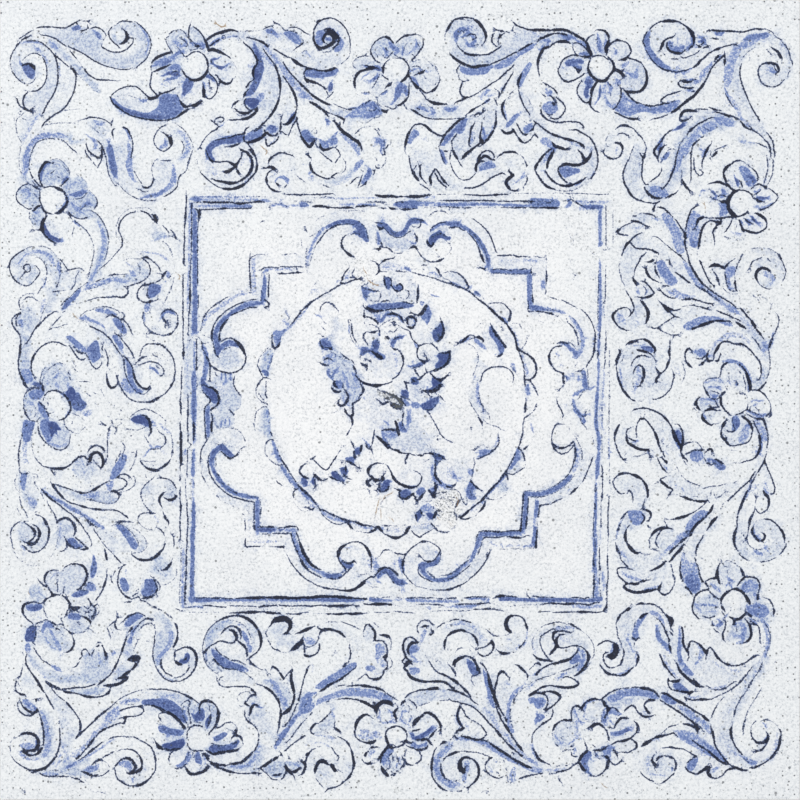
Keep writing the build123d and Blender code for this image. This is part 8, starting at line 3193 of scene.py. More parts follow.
def frame_bottom_middle():
    """The foot of the line frame, below the cartouche."""
    fill("300,598 320,597.5 345,598 360,599 366,600 352,602 335,602 318,601.5 300,601", 0.78)
    pen("300,597.5 310,597.5,2.6 320,596.5,3.2 330,596.5,3.4 340,597,3 350,598,2.8 358,598.5,2.6"
        " 367,599", 2.4, 0.98)
    pen("300,605.5 308,606,2.4 315,606,1.8 320,605 327,606,2.4 336,606,2.8 345,606,2.8 352,605,2.2 "
        "356,606,1.6", 2, 0.9)
    faint("300,608 320,609 340,609 354,609", 1.2, 0.3)
    pen("300,613 306,612.5", 1.8, 0.6)
    faint("312,613.5 326,613.5", 1.3, 0.4)
    pen("328,614 331,614", 2.4, 0.9)
    pen("335,614,2.2 340,614 346,613.5 352,614,2.8 358,613.5,2.8 363,613.5", 2.4, 0.95)
    fill("369,598 376,598 384,599 391,599.5 391,602 380,602 370,601.5", 0.7)
    pen("370,597 378,598 386,597 391,597", 1.6, 0.5)
    pen("364,604,2.4 370,604.5 376,604 384,604,2.6 392,604.5,2.2", 2.8, 0.95)
    faint("373,612 382,612.5 391,612", 1.3, 0.7)
    pen("394,611 400,612,2 407,612.5,1.8 414,613", 1.4, 0.7)
    faint("393,605 405,607 415,606", 1.3, 0.4)
    brush("395,599 401,600,4", 3, 0.4)
    pen("397,597 402,598", 2, 0.5)
    pen("407,598,1.8 414,598,2.2 421,597.5 427,598 433,597.5,1.6", 2, 0.75)
    fill("406,598 420,599 434,600 446,600 458,600 458,602.5 440,602.5 420,602 408,602", 0.58)
    pen("434,598,1.6 441,599 448,598.5 456,598", 2, 0.6)
    pen("418,604.5,1.4 426,604 434,604.5 442,605,1.6", 1.8, 0.7)
    brush("429,608 431,608", 4, 0.5)
    pen("436,608 442,607,1.6", 1.4, 0.5)
    brush("446,607 450,607", 2, 0.4)
    faint("430,611.5 438,611 446,610.5 460,611", 1.4, 0.6)
    pen("455,604.5 460,604", 1.6, 0.7)


def lion_tail_tufts():
    """The two dark tufts at the end of the lion's tail."""
    pen("459,343 463,341,3.2 466,338 470,335,2.4 474,336,1.8", 3, 0.85)
    brush("460,342 465,340 469,338,3", 4, 0.62)
    pen("468,340 471,339", 2.2, 0.6)
    pen("473,338 478,337,3.2 482,339,3 485,343", 2.2, 0.92)
    fill("475,338 480,341 484,345 487,350 483,349 478,345 474,341", 0.55)
    brush("477,340 482,345 485,349", 3, 0.35)
    faint("466,343 471,345 475,348 477,352", 1.5)
    fill("489,329 491,325 494,329 497,335 501,341 504,346 504,351 501,354 499,351 497,345 492,338"
        " 489,333", 0.78)
    pen("491,325,2.2 494,331,3 498,337 502,342 505,346,2.8 507,349,1.8", 3.6, 0.85)
    brush("490,330,3 494,337 499,344 501,350", 4, 0.4)
    fill("494,354 500,352 503,354 498,357", 0.25)
    pen("497,357 501,355,2.4 503,353", 1.8, 0.85)
    pen("502,328 502.5,329", 2.2, 0.6)
    pen("481,323.5 482,323", 2, 0.4)
    faint("494,325 499,321", 1.2, 0.4)
    pen("511,360 509,357", 1.6, 0.3)
    fill("510,364 514,363 516,368 516,373 513,371 511,367", 0.42)
    pen("511,366 514,370,1.8 516,373", 1.6, 0.5)


def lion_tail():
    """The lion's tail, which curls over its back."""
    tint("477,350 480,360 478,374 482,370 490,366 478,384 476,396 480,408 488,416 482,424 474,410 469,398 "
        "469,384 472,374 476,364", 0.35)
    faint("477,352,1.4 478.5,357 478,362 476.5,367 474,373,2.2 471,378,1.8", 2, 0.55)
    pen("513.5,380,1.4 513.5,376 511,371.5,2 507,368,2.4 502,366.5,2.6 496,367,2.6 491,367.5,2.4 486,370,2 "
        "483,373 481.5,378,1.6 480,382,1.6", 1.8, 0.85)
    brush("478,384 477,391,3.6 478,398,3.6 480,405 484,411,3", 3.4, 0.48)
    pen("479,393,1.6 480,400 483,407 486,411 489,415,2 490,418", 1.8, 0.7)
    pen("482,412 485,410 487,413", 2, 0.5)
    brush("483,413 488,415,2", 3, 0.35)
    faint("469,400 472,406 476,412 479,416", 1.5, 0.65)
    pen("478,417 481,421,2.2 483,426", 1.8, 0.7)
    pen("484,420 487,423", 1.8, 0.65)
    pen("487,423 490,425", 1.4, 0.5)
    pen("485,418 488,419", 1.6, 0.4)
    faint("494,426 498,427 502,430", 1.8, 0.65)
    pen("470,428 472,428,3", 2.6, 0.6)
    pen("471,427 471.5,430", 2.4, 0.5)
    pen("496,396 497,397", 1.4, 0.3)
    pen("499,401 499.5,402", 1.4, 0.35)
    faint("474,374 474,380 473,384", 1.3, 0.3)
    brush("475,376 476,382", 4, 0.18)
    pen("451,406 451.5,409", 1.8, 0.4)


def lion_haunch():
    """The blue shadow on the lion's haunch."""
    pen("498,434,1.4 499,439,2.2 499,443,2.2 496,448 492,451,2.6 487,455 482,457 478,459,2", 2.4, 0.9)
    brush("498,436 497,442 495,446", 3, 0.4)
    fill("479,451 484,449 490,450 494,449 492,453 486,456 480,459 476,459 480,455", 0.6)
    brush("478,457 484,454", 4, 0.4)
    faint("478,446 484,445 488,448 492,446", 1.6)
    pen("472,450 475,449.5,2.2 479,446,1.6", 2.4, 0.65)
    brush("476,452 482,451,4", 3, 0.3)
    faint("456,445 463,446 469,448", 1, 0.3)
    pen("493,447 493.5,448", 1.8, 0.5)


def ring_right_upper():
    """The upper right of the medallion's ring, with its scallops."""
    pen("479,300 484,303.5,2.8 490,308.5,3 496,314.5,3 502,319.5,3 506,323.5,2.8 510,329,2.4 514,335 "
        "516,341 517,347 518.5,350,3", 2.6, 0.98)
    brush("490,306 496,312", 2.6, 0.25)
    fill("501,316 505,318 508,322 507,324 503,321", 0.6)
    brush("510,327 514,333,2.8 517,340,2.8 518,346", 2.6, 0.42)
    faint("489,303.5 494,303 499,303 503.5,303,2.4", 1.8, 0.65)
    pen("504,304,1.6 508,308 510.5,312,2.2 510.5,316,2.2 508.5,321", 1.8, 0.85)
    faint("511,324 515,323 520,324.5", 1.3)
    pen("520,325.5 522,327,2.4", 2, 0.85)
    pen("527,339 526,343,1.8", 2, 0.65)
    faint("525,345 521,349", 1.6, 0.6)
    pen("518,349.5,2.6 521,351 525,353 529,355.5,2.2 532,358,2.2 535,361.5,2", 2.4, 0.95)
    pen("536,365,2.4 536.5,370,2.8|536,373 534,377 530,379.5,2", 2.2, 0.9)
    pen("519,352 521,357,2.2 523,363,2.4 524,368,2", 1.8, 0.85)
    fill("520,354 524,356 525,361 528,368 529,377 526,376 524,368 522,360", 0.36)
    brush("525,363 528,371", 3, 0.25)
    pen("524,370 524.5,373", 2.2, 0.7)
    pen("524.5,375 524.5,380,2.6 525,386", 2.2, 0.95)
    pen("525,380 529,379.5,2.4", 2, 0.9)
    pen("530,381 534,386,2.2 537,393 538,396,1.6", 2, 0.8)
    brush("533,385 536,391", 2.6, 0.4)
    faint("539,398 539,403", 1, 0.3)
    fill("526,385 529,384 530,390 530,396 527,395", 0.55)
    brush("525,388 527,394", 3, 0.42)
    brush("526,397 527,402", 3, 0.25)
    pen("526,400,1.6 525.5,406 525,412|536,406,2.4 535,408,2.4", 2.2, 0.85)
    pen("534.5,410 532,412", 1.8, 0.6)
    pen("532,413 528,415.5,2.2 524,418.5", 1.8, 0.75)
    pen("524,420 524,422,2.2", 2.4, 0.8)
    pen("523,424 522.5,428", 2, 0.65)
    pen("523,431,1.8 522,436 520.5,441,2.6 519,446 518,449", 2.4, 0.9)
    brush("531,424 533,431", 2.4, 0.5)
    pen("532,429 533.5,433", 1.5, 0.4)
    faint("534,436 532,441 528,446", 1.1, 0.4)
    pen("527,447 523,449.5,2.4", 2.2, 0.9)
    pen("518,449 521,450,2.2 523,454,1.8", 2.4, 0.8)
    fill("516,451 520,451 521,456 520,460 513,460 514,456", 0.55)
    pen("517,451 514,456,2 512,460,1.8", 1.6, 0.7)
    pen("522,455 523.5,459", 1.5, 0.5)


def flank_right_volute():
    """The middle right scroll of the cartouche: its corner, its band and its ring."""
    brush("530,300 530,306", 4, 0.72)
    pen("532,300 533,301", 2, 0.7)
    pen("528,300 528.5,306,2.2 528,311,2.4 533,311.5,2 539,311,1.8", 1.6, 0.85)
    fill("530,305 536,305 543,307 548,310 544,311 536,310.5 530,310", 0.7)
    brush("545,308 550,310", 4, 0.45)
    brush("550,310,3 558,311 565,313", 3.4, 0.48)
    pen("539,311.5 544,312,2.4 549,313,3 554,314,2.6", 2, 0.92)
    pen("547,310 553,310,2 560,311.5,1.8", 1.6, 0.6)
    faint("555,315.5 560,317", 1.8, 0.6)
    brush("570,317,3 575,322 579,328 582,335 583,342,4.4 582,349,4.4 579,355", 4, 0.48)
    pen("568,323 572,326,2.2 575,331,2.2 577,336,2 578,341,2 578.5,346", 1.8, 0.72)
    faint("568,314 574,319 579,326 583,334 584,340", 1.4, 0.45)
    pen("580,327 583,333", 1.6, 0.4)
    fill("572,357 575,352 579,350 582,352 579,357 576,359", 0.55)
    pen("556,344,2.6 560,342.5 564,343,2.8 568,343", 2.4, 0.7)
    brush("561,343,3.6 567,345 571,349 575,352,3.4", 4, 0.68)
    pen("569,342 573,345,2 576,349,1.8", 1.6, 0.6)
    pen("562,346 555,347,2 551,351,2.4 549,356,2.8 549.5,361,2.6 552,366,2.4 556,370.5,2.2 561,372.5,1.8 "
        "566,374", 1.6, 0.88)
    brush("557,353 558,358,6", 5, 0.24)
    brush("562,364 559,366", 3, 0.3)
    faint("561,362 564,365|575,366,1.5 578,363,1.5", 1.4, 0.4)
    pen("562,300 568,303,2.2 574,306,1.4", 1.8, 0.75)
    faint("582,310 587,315 591,321 594,328", 1.6, 0.8)
    pen("595,332,2 595,338 594.5,345,2.2 594,351 592.5,357 589,362 586,367,1.8", 2.4, 0.88)
    brush("594,336 593,346", 2.6, 0.35)
    pen("541,321.5 542,322", 3, 0.45)
    pen("587,368,1.6 588,373 588,380,2.2 589,386 588,389", 2, 0.6)


def flank_right_column():
    """The column that hangs under it."""
    pen("563,375 563.5,380,2.4 563.5,385,2 560,389,1.8", 2.2, 0.85)
    pen("564,386 565,389", 1.6, 0.5)
    brush("567,376 568,381", 4, 0.6)
    pen("566,377 568,381", 2.2, 0.5)
    brush("572,375 573,380", 5, 0.3)
    brush("578,377 579,381", 4, 0.48)
    pen("575,371.5 580,371,2.2 583,369.5", 1.8, 0.75)
    fill("581,372 584,370 586,374 587,381 588,388 584,389 582,384 583,378", 0.68)
    brush("583,372 583,380 586,387", 3, 0.35)
    pen("583,373 582,377", 2, 0.7)
    fill("575,393 580,390 585,388 590,388 595,386 591,390 585,390 580,393 577,396", 0.62)
    brush("574,395 578,392", 4, 0.6)
    brush("589,389 595,386,2.4", 3, 0.4)
    pen("588,390,1.6 583,392 580,396,2.2 579,398", 1.8, 0.7)
    pen("557,397 558,399", 1.8, 0.5)
    pen("557,400,1.4 558,405,2 561,409.5 563,414,2.4 563,418", 2.2, 0.85)
    faint("567,398 571,394", 1.2, 0.3)
    brush("564,405 567,407,5", 4, 0.16)
    brush("573,399,2.4 574,404 575,409,4.4 578,413,4.6 582,416,4 586,415", 3.4, 0.68)
    pen("572,400,1.4 573,405 576,410,2 580,415", 1.8, 0.55)
    pen("581,415 585,416.5,2.6 586,413", 1.8, 0.8)
    pen("580,418 581,422,2 584,425 586,428,1.4", 1.8, 0.75)
    fill("581,420 585,419 586,422 583,424", 0.7)
    pen("569,429 569.5,430", 2.2, 0.5)
    pen("571,424 571.5,424.5", 1.6, 0.4)
    pen("561,424,1.4 557,424 554,428 552,434,1.8 551.5,440 553,446,2.4 556,451,2.4 560,453.5,2.4 565,453.5 "
        "570,450 573,446,1.8 574,443,1.4", 2, 0.85)
    pen("552,443 556,446.5,2.8 560,448,2.8 565,447.5,2.2 570,444.5,2.2 575,439.5", 1.8, 0.88)
    brush("553,444 558,448", 3, 0.4)
    pen("577,440,1.4 580,446 582,452 582,460,1.6", 1.8, 0.65)
    brush("576,444,3 576,452 577,460", 3.4, 0.45)
    pen("575,446 575,454 575,460", 1.8, 0.75)
    pen("578,442 581,449", 1.3, 0.4)
    pen("592,435 593,440 594,444", 1.6, 0.5)
    pen("594,447 594,450", 1.4, 0.4)
    pen("593,457 592,460", 1.8, 0.6)


def frame_right():
    """The right side of the line frame, above its foot."""
    brush("600,300 600,312 600,324,3.2", 3.6, 0.68)
    brush("599.5,332,3 599,342 598.5,356", 2.6, 0.58)
    brush("598.5,360,3 598.5,372,3 598,384,3 597,396,3.4 596.5,408 596,420 597,430,4 599,437 599,450 "
        "598,462", 3.6, 0.66)
    pen("598,300 598,312,1.6 598,326", 1.4, 0.6)
    pen("600,332 599.5,338,2.6", 2, 0.85)
    pen("598,351 598,357,2.6", 2, 0.9)
    pen("600,340 600,346", 1.6, 0.5)
    pen("597,404,1.2 596.5,414 596,424 598,431,2", 1.6, 0.6)
    pen("598,441 598,448", 1.8, 0.5)
    brush("601,301 602,308,4 603,315", 3, 0.3)
    faint("603,300 604,310 605,320", 1.3)
    pen("606,331 606,336", 1.8, 0.6)
    pen("606,340 605.5,348,2", 1.6, 0.8)
    pen("605,353 605,360,2 604.5,366", 1.6, 0.7)
    brush("604,372 603.5,384,2.4 602.5,398,2.4 602,412 602,426", 2.6, 0.42)
    pen("603,385 602.5,392,1.6|602,405 602,416,1.6 602.5,425", 1.4, 0.5)
    brush("604,431 606,436", 4, 0.25)
    pen("601.5,434 602,440|602,443,1.4 602,452,1.6 602,460,1.5", 1.8, 0.5)
    faint("609.5,348 609.5,362", 1.6, 0.45)
    pen("609.5,367 609.5,372", 1.6, 0.5)
    faint("609.5,378 609.5,400", 1.8)
    pen("609,405 609,416", 1.6, 0.6)
    faint("609,420 609,436", 1.6, 0.45)
    brush("609,440 609,450 609,460", 2.4, 0.4)
    pen("608.5,446 608.5,456", 1.5, 0.5)
    faint("613,212 613,228 613,244", 1.4)
    brush("600,206 600,222 600,238 600,246,3", 3.6, 0.62)
    brush("600,262,3 600,280 600,300", 3.4, 0.6)
    faint("606,206 606,226 606,246", 1.8, 0.65)
    pen("598.5,268 598.5,288,1.8 598,304,1.6|605.5,268 605.5,286,1.8 605,304,1.6", 1.4, 0.65)


def frame_top_right():
    """The top of the line frame, to its right corner."""
    pen("466,194.5,1.6 474,195,2.2 480,195.5,2.8 486,195.5,2.4 494,195 502,194.5 510,194.5,1.8", 2, 0.95)
    faint("450,194,1.1 464,194.5,1.1|515,193.5 530,193.5 545,193 556,193.5", 1.3)
    faint("560,193.5 580,193.5 600,194.5 610,194", 1.4, 0.65)
    pen("450,200.5 462,200.5 466,201,2.8 472,200.5,2 484,200.5,2 495,201,1.6", 1.8, 0.95)
    pen("497,201 508,201.5,1.8 516,201 524,201,2 534,201.5,2.2", 1.4, 0.85)
    pen("537,200 540,202 544,201 548,203 552,201 557,201", 1.8, 0.7)
    brush("450,204.5 464,204.5 478,204,3.6 492,204.5 506,205,3 520,205.5,3 530,205.5,3", 3.4, 0.66)
    fill("530,199 540,198 550,199 558,200 560,206 552,208 540,207 532,207", 0.62)
    pen("450,207.5 460,207.5,1.8 466,208 471,207.5", 2, 0.9)
    faint("473,208 486,207.5 500,208", 1.2)
    pen("502,207.5,1.4 512,208,1.8 520,207.5 528,208|530,207.5,2 538,208 545,207.5,2.6 552,208"
        " 559,208", 2.4, 0.9)
    faint("524,203 540,204 556,203", 1.6)
    pen("563,201 571,200.5,1.8", 1.6, 0.75)
    fill("566,199 571,199 571,206 567,208 564,207 568,203", 0.6)
    pen("569.5,194,1.2 570.5,199 575,202,1.8 580,205 587,208", 1.6, 0.85)
    faint("572,192 573.5,198 577,202", 1.1, 0.6)
    brush("577,202 588,202 600,202 608,202,2.6", 3.4, 0.45)
    brush("581,206,3 588,207 596,207 602,207", 4, 0.82)
    pen("582,205 588,208.5 598,208.5", 1.6, 0.6)
    faint("590,202 597,202|587,208,1.2 588,212,1.2", 1.6)


def worn_corner_right():
    """The rubbed patch under the frame's top right corner."""
    faint("566,212 568,220 572,228 575,234 573,242 568,249", 1, 0.32)
    faint("580,212 582,220 582,228 585,232|570,208,0.9 574,214,0.9 575,222,0.9", 1, 0.3)
    faint("565,226 569,233 571,238 576,234", 1.2, 0.45)
    faint("596,240 600,244 604,250 610,248", 1.3, 0.55)
    faint("567,252 570,260 572,268 578,276 580,284", 0.9, 0.3)
    faint("573,274 576,276 573,279", 1.3)
    pen("594,254.5 595,255", 2, 0.6)
    brush("601,242 604,246", 3, 0.3)


def cartouche_top_right_arc():
    """The big arc at the cartouche's upper right shoulder."""
    tint("450,216 462,217 472,220 480,225 488,234 494,245 496,254 490,256 486,246 480,234 472,227 462,222 "
        "450,221", 0.25)
    brush("450,225,4.4 458,225,4.6 465,228,4.6 471,232 477,238 481.5,245 485.5,252,5.2 488,259,5.2 "
        "488.5,266,4.4", 4.8, 0.72)
    pen("450,227.5 457,227 463,230,1.8 468,232.5,1.4", 2, 0.8)
    pen("468,233,1.4 472.5,237.5,1.8 476.5,243 479,249 480.5,254,2.4 482,258,2.8 484,262", 2, 0.92)
    pen("468,230,1.2 474,234.5 479,240.5 482,247,1.8 485,252,2.4 487,258,2.2 488,265,2", 1.6, 0.6)
    pen("450,223 457,222.5 462,224", 1.4, 0.4)
    brush("485,251 488,257,4", 5, 0.4)
    pen("473.5,219 476,221,2.2", 2, 0.9)
    pen("479,223,1.2 484,227.5 488.5,233,2.2 492,240,2.2 494.5,247,2 496,252.5", 1.8, 0.92)
    faint("454,216 463,217 471,219.5", 1, 0.35)
    pen("481,268 485,269", 2.2, 0.75)
    brush("481,268 486,268", 3, 0.4)


def cartouche_top_right_step():
    """The step between the shoulder's arc and the flank."""
    pen("498,255.5,1.6 505,255.5 512,255 516,256 518,257,2.2 524,256.5,1.8 530,257,1.4", 2, 0.85)
    faint("534,256 539,257 546,258", 1.6, 0.6)
    brush("500,260,3 515,260,3.4 528,260 537,260", 4, 0.22)
    brush("531,261 536,260,4", 5, 0.3)
    tint("498,256 515,257 530,258 546,258 547,270 546,290 541,292 540,270 538,264 515,266 498,266", 0.35)
    brush("491,271,5 500,271.5 510,271.5 520,271.5 530,272,5", 4.6, 0.7)
    pen("490,270.5,1.4 497,269,1.8 506,269.5 511,270.5,1.6 518,269.5 528,269,2.4", 2, 0.75)
    pen("486,274 492,274,1.8", 1.6, 0.5)
    pen("493,273.5,1.6 500,273 508,274 515,274,1.6 522,274 530,273.5,2", 1.8, 0.65)
    pen("531,269 532,274", 2, 0.8)
    brush("529.5,274 529.5,284 529.5,294 530,304", 5, 0.66)
    pen("527.5,278 527.5,296", 1, 0.35)
    faint("532,285 532.5,295", 1.6, 0.6)
    pen("532.5,296 533,302,2.6", 2, 0.9)
    pen("546.5,257.5 546.5,261", 1.6, 0.7)
    faint("546,263 546.5,270", 1.1, 0.4)
    pen("546.5,271 546.5,278,2 546,285", 1.6, 0.85)
    brush("543,281 543,289", 4.4, 0.5)
    pen("546,290 545.5,295,2", 1.6, 0.8)
    faint("541,291 542,296 546,299", 1.2, 0.4)
    pen("550,297 553,298,2.2 557,299.5", 1.8, 0.85)


def ring_top_right():
    """The medallion ring between its crown and its right side."""
    brush("450,281.5 456,284.5 463,288 470,292,2.4", 2.6, 0.55)
    pen("450,282.5,1.4 456,285.5,1.8 463,288.5 469,291.5,2.2 475,296", 2, 0.88)
    pen("476,297.5 483,303,2.2", 1.8, 0.92)
    pen("457.5,273,1.6 461,275.5 464.5,279 467,283.5,2 468.5,287 467,288.5,2", 2.2, 0.85)
    brush("466,285 470,288", 3, 0.45)
    tint("448,272 458,273 466,280 469,288 460,286 450,280", 0.4)
    faint("450,272 457,273", 1.2)
    brush("476,292.5 479,295,4", 3.6, 0.75)
    pen("477,294 479,295", 2, 0.6)
    faint("470,289 475,291 481,296 485,300", 1.4, 0.45)
    faint("474,282 482,285 488,290 490,296 491,302", 1, 0.35)


def lion_hind_leg():
    """The hind leg under the haunch, and its claws."""
    pen("474,461,1.4 475,463 473.5,468 472.5,473,2 471.5,479", 1.8, 0.65)
    fill("468,469 472,468 474,473 471,476 468,474", 0.5)
    fill("470,481 473,483 476,487 479,489 474,489.5 473,492 475,496 477,499 473,500 469,499 466,494 467,489"
        " 468,485", 0.78)
    pen("470,480 473,484,2.8 476,487,2.6 479,489,1.6", 1.8, 0.8)
    pen("469,488 471,493,2.6 474,497,2.4", 1.6, 0.7)
    brush("467,487 467,495", 2.6, 0.35)
    brush("453,474 456,477", 4, 0.38)
    tint("456,460 466,462 472,470 470,482 460,486 456,476", 0.35)


def worn_foot():
    """The rubbed and broken glaze between the lion's foot and the ring."""
    faint("450,490 455,489.5 459,492 461,496 461,500", 1.5, 0.7)
    pen("459,498,1.6 458,503,2.2 456,507|455,509 454,514|461,499,1.6 464,503,2.2 467,505 467,500,1.8 "
        "466,497,1.8", 2, 0.7)
    pen("452,497 455,498", 2, 0.6)
    faint("444,492 448,497 446,503 450,508|436,494,1.5 440,499,1.5 443,496,1.5 446,501,1.5", 1.4)
    faint("426,502 432,500 437,499 441,504 445,506|444,512 449,511 452,515 448,519", 1.3, 0.45)
    faint("440,516 446,518 452,522", 1.2, 0.4)
    faint("453,514 458,516 456,521", 1.3)
    faint("459,521 456,525 452,528.5", 1.2, 0.45)
    faint("449,499 453,503 451,507", 1.6, 0.55)


def ring_right_lower():
    """The lower right of the medallion's ring, with its scallops."""
    brush("518,449 517,456,4.4 514,463,4.4 510,469", 4, 0.66)
    brush("505,475 499,482 492,490 486,496,3", 3.4, 0.58)
    pen("514.5,456,1.6 512,461 509,466,2.2 506.5,471,2.6 503.5,475,2.6 500,480", 2.4, 0.85)
    pen("500,480,2 495,485.5 490,490.5 485,496.5,3 481,501,2.6 475,505.5,2.2|475,505.5,2 470,509.5 "
        "465,514,2.6 461,517.5,3.2 458.5,515.5,1.8", 2.4, 0.92)
    brush("480,502 472,508 464,515", 3, 0.45)
    pen("521,449 523,453,2 525.5,461.5,1.6", 1.4, 0.8)
    faint("525.5,463 525,467 522,470", 1.1, 0.45)
    pen("520.5,470,2.2 517,472 513,474.5,1.8 509,474,1.8 506,472.5", 2, 0.82)
    pen("506,473 508,479,2.2", 2.6, 0.8)
    tint("519,455 523,456 524,463 521,469 515,472 512,470 516,463", 0.5)
    faint("502,482 506,487 508.5,491", 1.5, 0.45)
    tint("501,482 508,481 509,489 505,493 498,492 494,494", 0.55)
    pen("485,497 489,499,2.6 494,500,1.6", 1.8, 0.88)
    faint("495,499.5 501,498 507,493.5")
    brush("483,501 482,504,3", 3.6, 0.5)
    pen("486,500,1.8 484.5,505 482,509 479,512,2.2", 2.6, 0.92)
    pen("460,518 464,519.5,2.2 468,518.5 471,517.5,1.8", 2, 0.9)
    faint("473,517 477,515", 1.2)


def cartouche_bottom_right_arc():
    """The arc at the cartouche's lower right shoulder."""
    tint("577,450 592,452 592,462 586,478 574,490 558,502 540,506 538,498 556,492 570,482 578,468", 0.35)
    brush("578.5,450 578,458,4.4 576.5,465,4.2 573,472", 4, 0.42)
    brush("571,476 564,483,5.2 556,488.5,5.4 548,492,5.4 540,494,5.2 532,494,5 526,493.5", 4.6, 0.72)
    pen("576,449 575.5,456,2.2 573.5,463,2.2 571,470,2.2 567,476,2 562,480.5 556,485", 1.8, 0.78)
    pen("556,485,1.4 549,488.5 541,491 532,491,1.6", 1.8, 0.55)
    pen("581,449 582,456 581.5,463", 1.4, 0.45)
    faint("574,476 568,483 561,489 553,493.5", 1.5, 0.55)
    pen("550,494.5,1.4 545,496 538,497 531,496.5,2", 1.8, 0.7)
    brush("571,490 566,492,3", 4, 0.25)
    pen("592.5,458,1.6 590.5,464,2.2 588,470 585.5,476,2 583,481", 1.8, 0.85)
    faint("581,483 579,486", 1.1, 0.4)
    pen("577,488 573.5,491,2.4 569.5,495|561,499 556,501 552,503,1.6|551,504,1.6 545,504.5"
        " 540,505.5,2.2", 1.8, 0.85)


def cartouche_bottom_right_step():
    """The stepped corner below it."""
    pen("524,491 530,490.5", 1.6, 0.6)
    brush("525.5,494 525.5,504 525,514 524,524 523,530", 4.6, 0.72)
    pen("523.5,493 523,503,2.6", 2.2, 0.88)
    pen("522.5,505,2 522,514 521.5,523 520.5,531,3", 2.4, 0.9)
    pen("528.5,498 528,503", 2.2, 0.8)
    pen("528,505 527.5,513,2", 1.8, 0.85)
    pen("527,516 526.5,523,2.2 526,530", 1.8, 0.88)
    brush("481,534 492,534 503,534 514,533.5 523,533,4.8", 4.6, 0.74)
    pen("480,531,2 490,531 500,532,2.4 510,531 520,530.5", 2.2, 0.88)
    pen("484,537,1.6 492,537.5 500,537 505,536,1.4", 2, 0.85)
    pen("506,536 514,537.5,2.2 522,537.5,1.8 527,535.5", 1.6, 0.88)
    brush("537,501 536.5,509,4.4 535.5,517", 4, 0.66)
    brush("535,518 534.5,526,3.4", 3.6, 0.32)
    brush("535,528 534.5,537,4.4 533.5,545,5", 4, 0.74)
    pen("539.5,505,2 539,511 538,518", 2.2, 0.9)
    pen("537,522 537,528", 1.6, 0.55)
    pen("537,530 536.5,536 536,542 536,548,2.6", 2.4, 0.92)
    pen("536,548.5 530,548,1.8", 2, 0.75)
    brush("529,546 533,545", 4, 0.5)
    brush("493,544 497,546|501,544 503,547|508,546 512,545|517,546 520,545|523,547 526,546", 3, 0.42)
    faint("500,549 508,549.5|512,549 518,548.5|522,549 527,548.5", 1.4, 0.55)
    faint("500,542 509,542.5|515,543 521,543", 1.2, 0.3)


def cartouche_bottom_right_leg():
    """The curve from the step down to the foot's volute."""
    tint("484,538 488,545 488,556 480,568 468,580 452,588 450,582 464,572 474,560 480,546", 0.32)
    brush("481,534 479,541 476.5,548,4.2 473.5,555,3.6 470,562,3", 4.6, 0.66)
    pen("478.5,532 476.5,538,2 475.5,544,1.6|484,537 482,543,2 479.5,550,2 477,557", 1.8, 0.75)
    faint("475,549 474,556 472,562", 1.6)
    faint("471,554 467,558.5", 1.4, 0.7)
    brush("468,563,3.6 460,568 454,573,4.4 448,577", 4.2, 0.6)
    pen("470,559.5,1.4 464,563.5 458,569,2.4 453,572.5,2.6 448,575", 2, 0.68)
    pen("470,565,1.6 465,569.5 459,574 454,577.5,2 448,579", 1.8, 0.78)
    pen("490,551.5,1.4 488,557 484.5,563 480,569 475,574.5 470,578.5,1.8", 2.2, 0.92)
    pen("487,552 486.5,557", 2.2, 0.7)
    pen("468,581 462,584.5,2 456,587,2.2", 1.6, 0.9)
    pen("454,588 449,589", 1.9, 0.85)


def frame_bottom_right():
    """The bottom of the line frame, to its right corner."""
    pen("450,598 457,597.5", 1.8, 0.9)
    pen("465,598,1.6 474,597,2.2 482,597 489,597", 1.8, 0.82)
    fill("466,598 472,597 480,598 489,598 489,602 484,601 478,599.5 470,600", 0.66)
    pen("494,598 499,596,2.4 508,596,2.2 517,597", 1.8, 0.92)
    fill("498,597 510,597 525,598 545,598 565,598 585,599 600,597 602,601 585,602 565,602 545,602 525,601.5"
        " 508,601 500,601", 0.8)
    pen("528,596 530,598", 2, 0.85)
    pen("533,596 542,597,1.8 555,597.5,1.4", 2.4, 0.82)
    pen("570,598 576,597.5,2.4 582,598,2|583,599,2.2 588,597.5,2.6 591,597", 1.8, 0.9)
    faint("584,600 592,600 598,601", 1.4, 0.4)
    pen("456,605,1.4 464,604 474,604 482,603.5 490,603,1.6", 1.8, 0.82)
    brush("454,606.5 462,606.5,3.6 470,606.5,4 477,606", 3, 0.48)
    pen("466,606 468,607", 2, 0.5)
    pen("494,603 495.5,605", 1.8, 0.65)
    pen("514,605 516.5,604.5", 1.8, 0.7)
    faint("521,605 538,604.5", 1.3)
    pen("541,604.5,1.8 548,603.5,2.2 556,603.5 564,604 573,603.5 582,604,2.2 589,605,2.2 595,603 "
        "599,602.5,2", 2.4, 0.95)
    faint("500,606.5 520,607 545,607.5", 1.2, 0.3)
    brush("572,606.5,3.4 584,607,3.6 596,606.5 603,606", 4, 0.4)
    pen("474,609.5 484,609,2.4 492,609,2.4 499,610", 1.8, 0.85)
    pen("464,611 470,610.5", 1.8, 0.6)
    faint("503,611 506,611", 1.8)
    pen("538,612 547,611.5,1.8", 1.6, 0.7)
    pen("557,612.5,1.8 568,612 580,612 590,612 597,612.5 604,611,1.8", 2, 0.9)


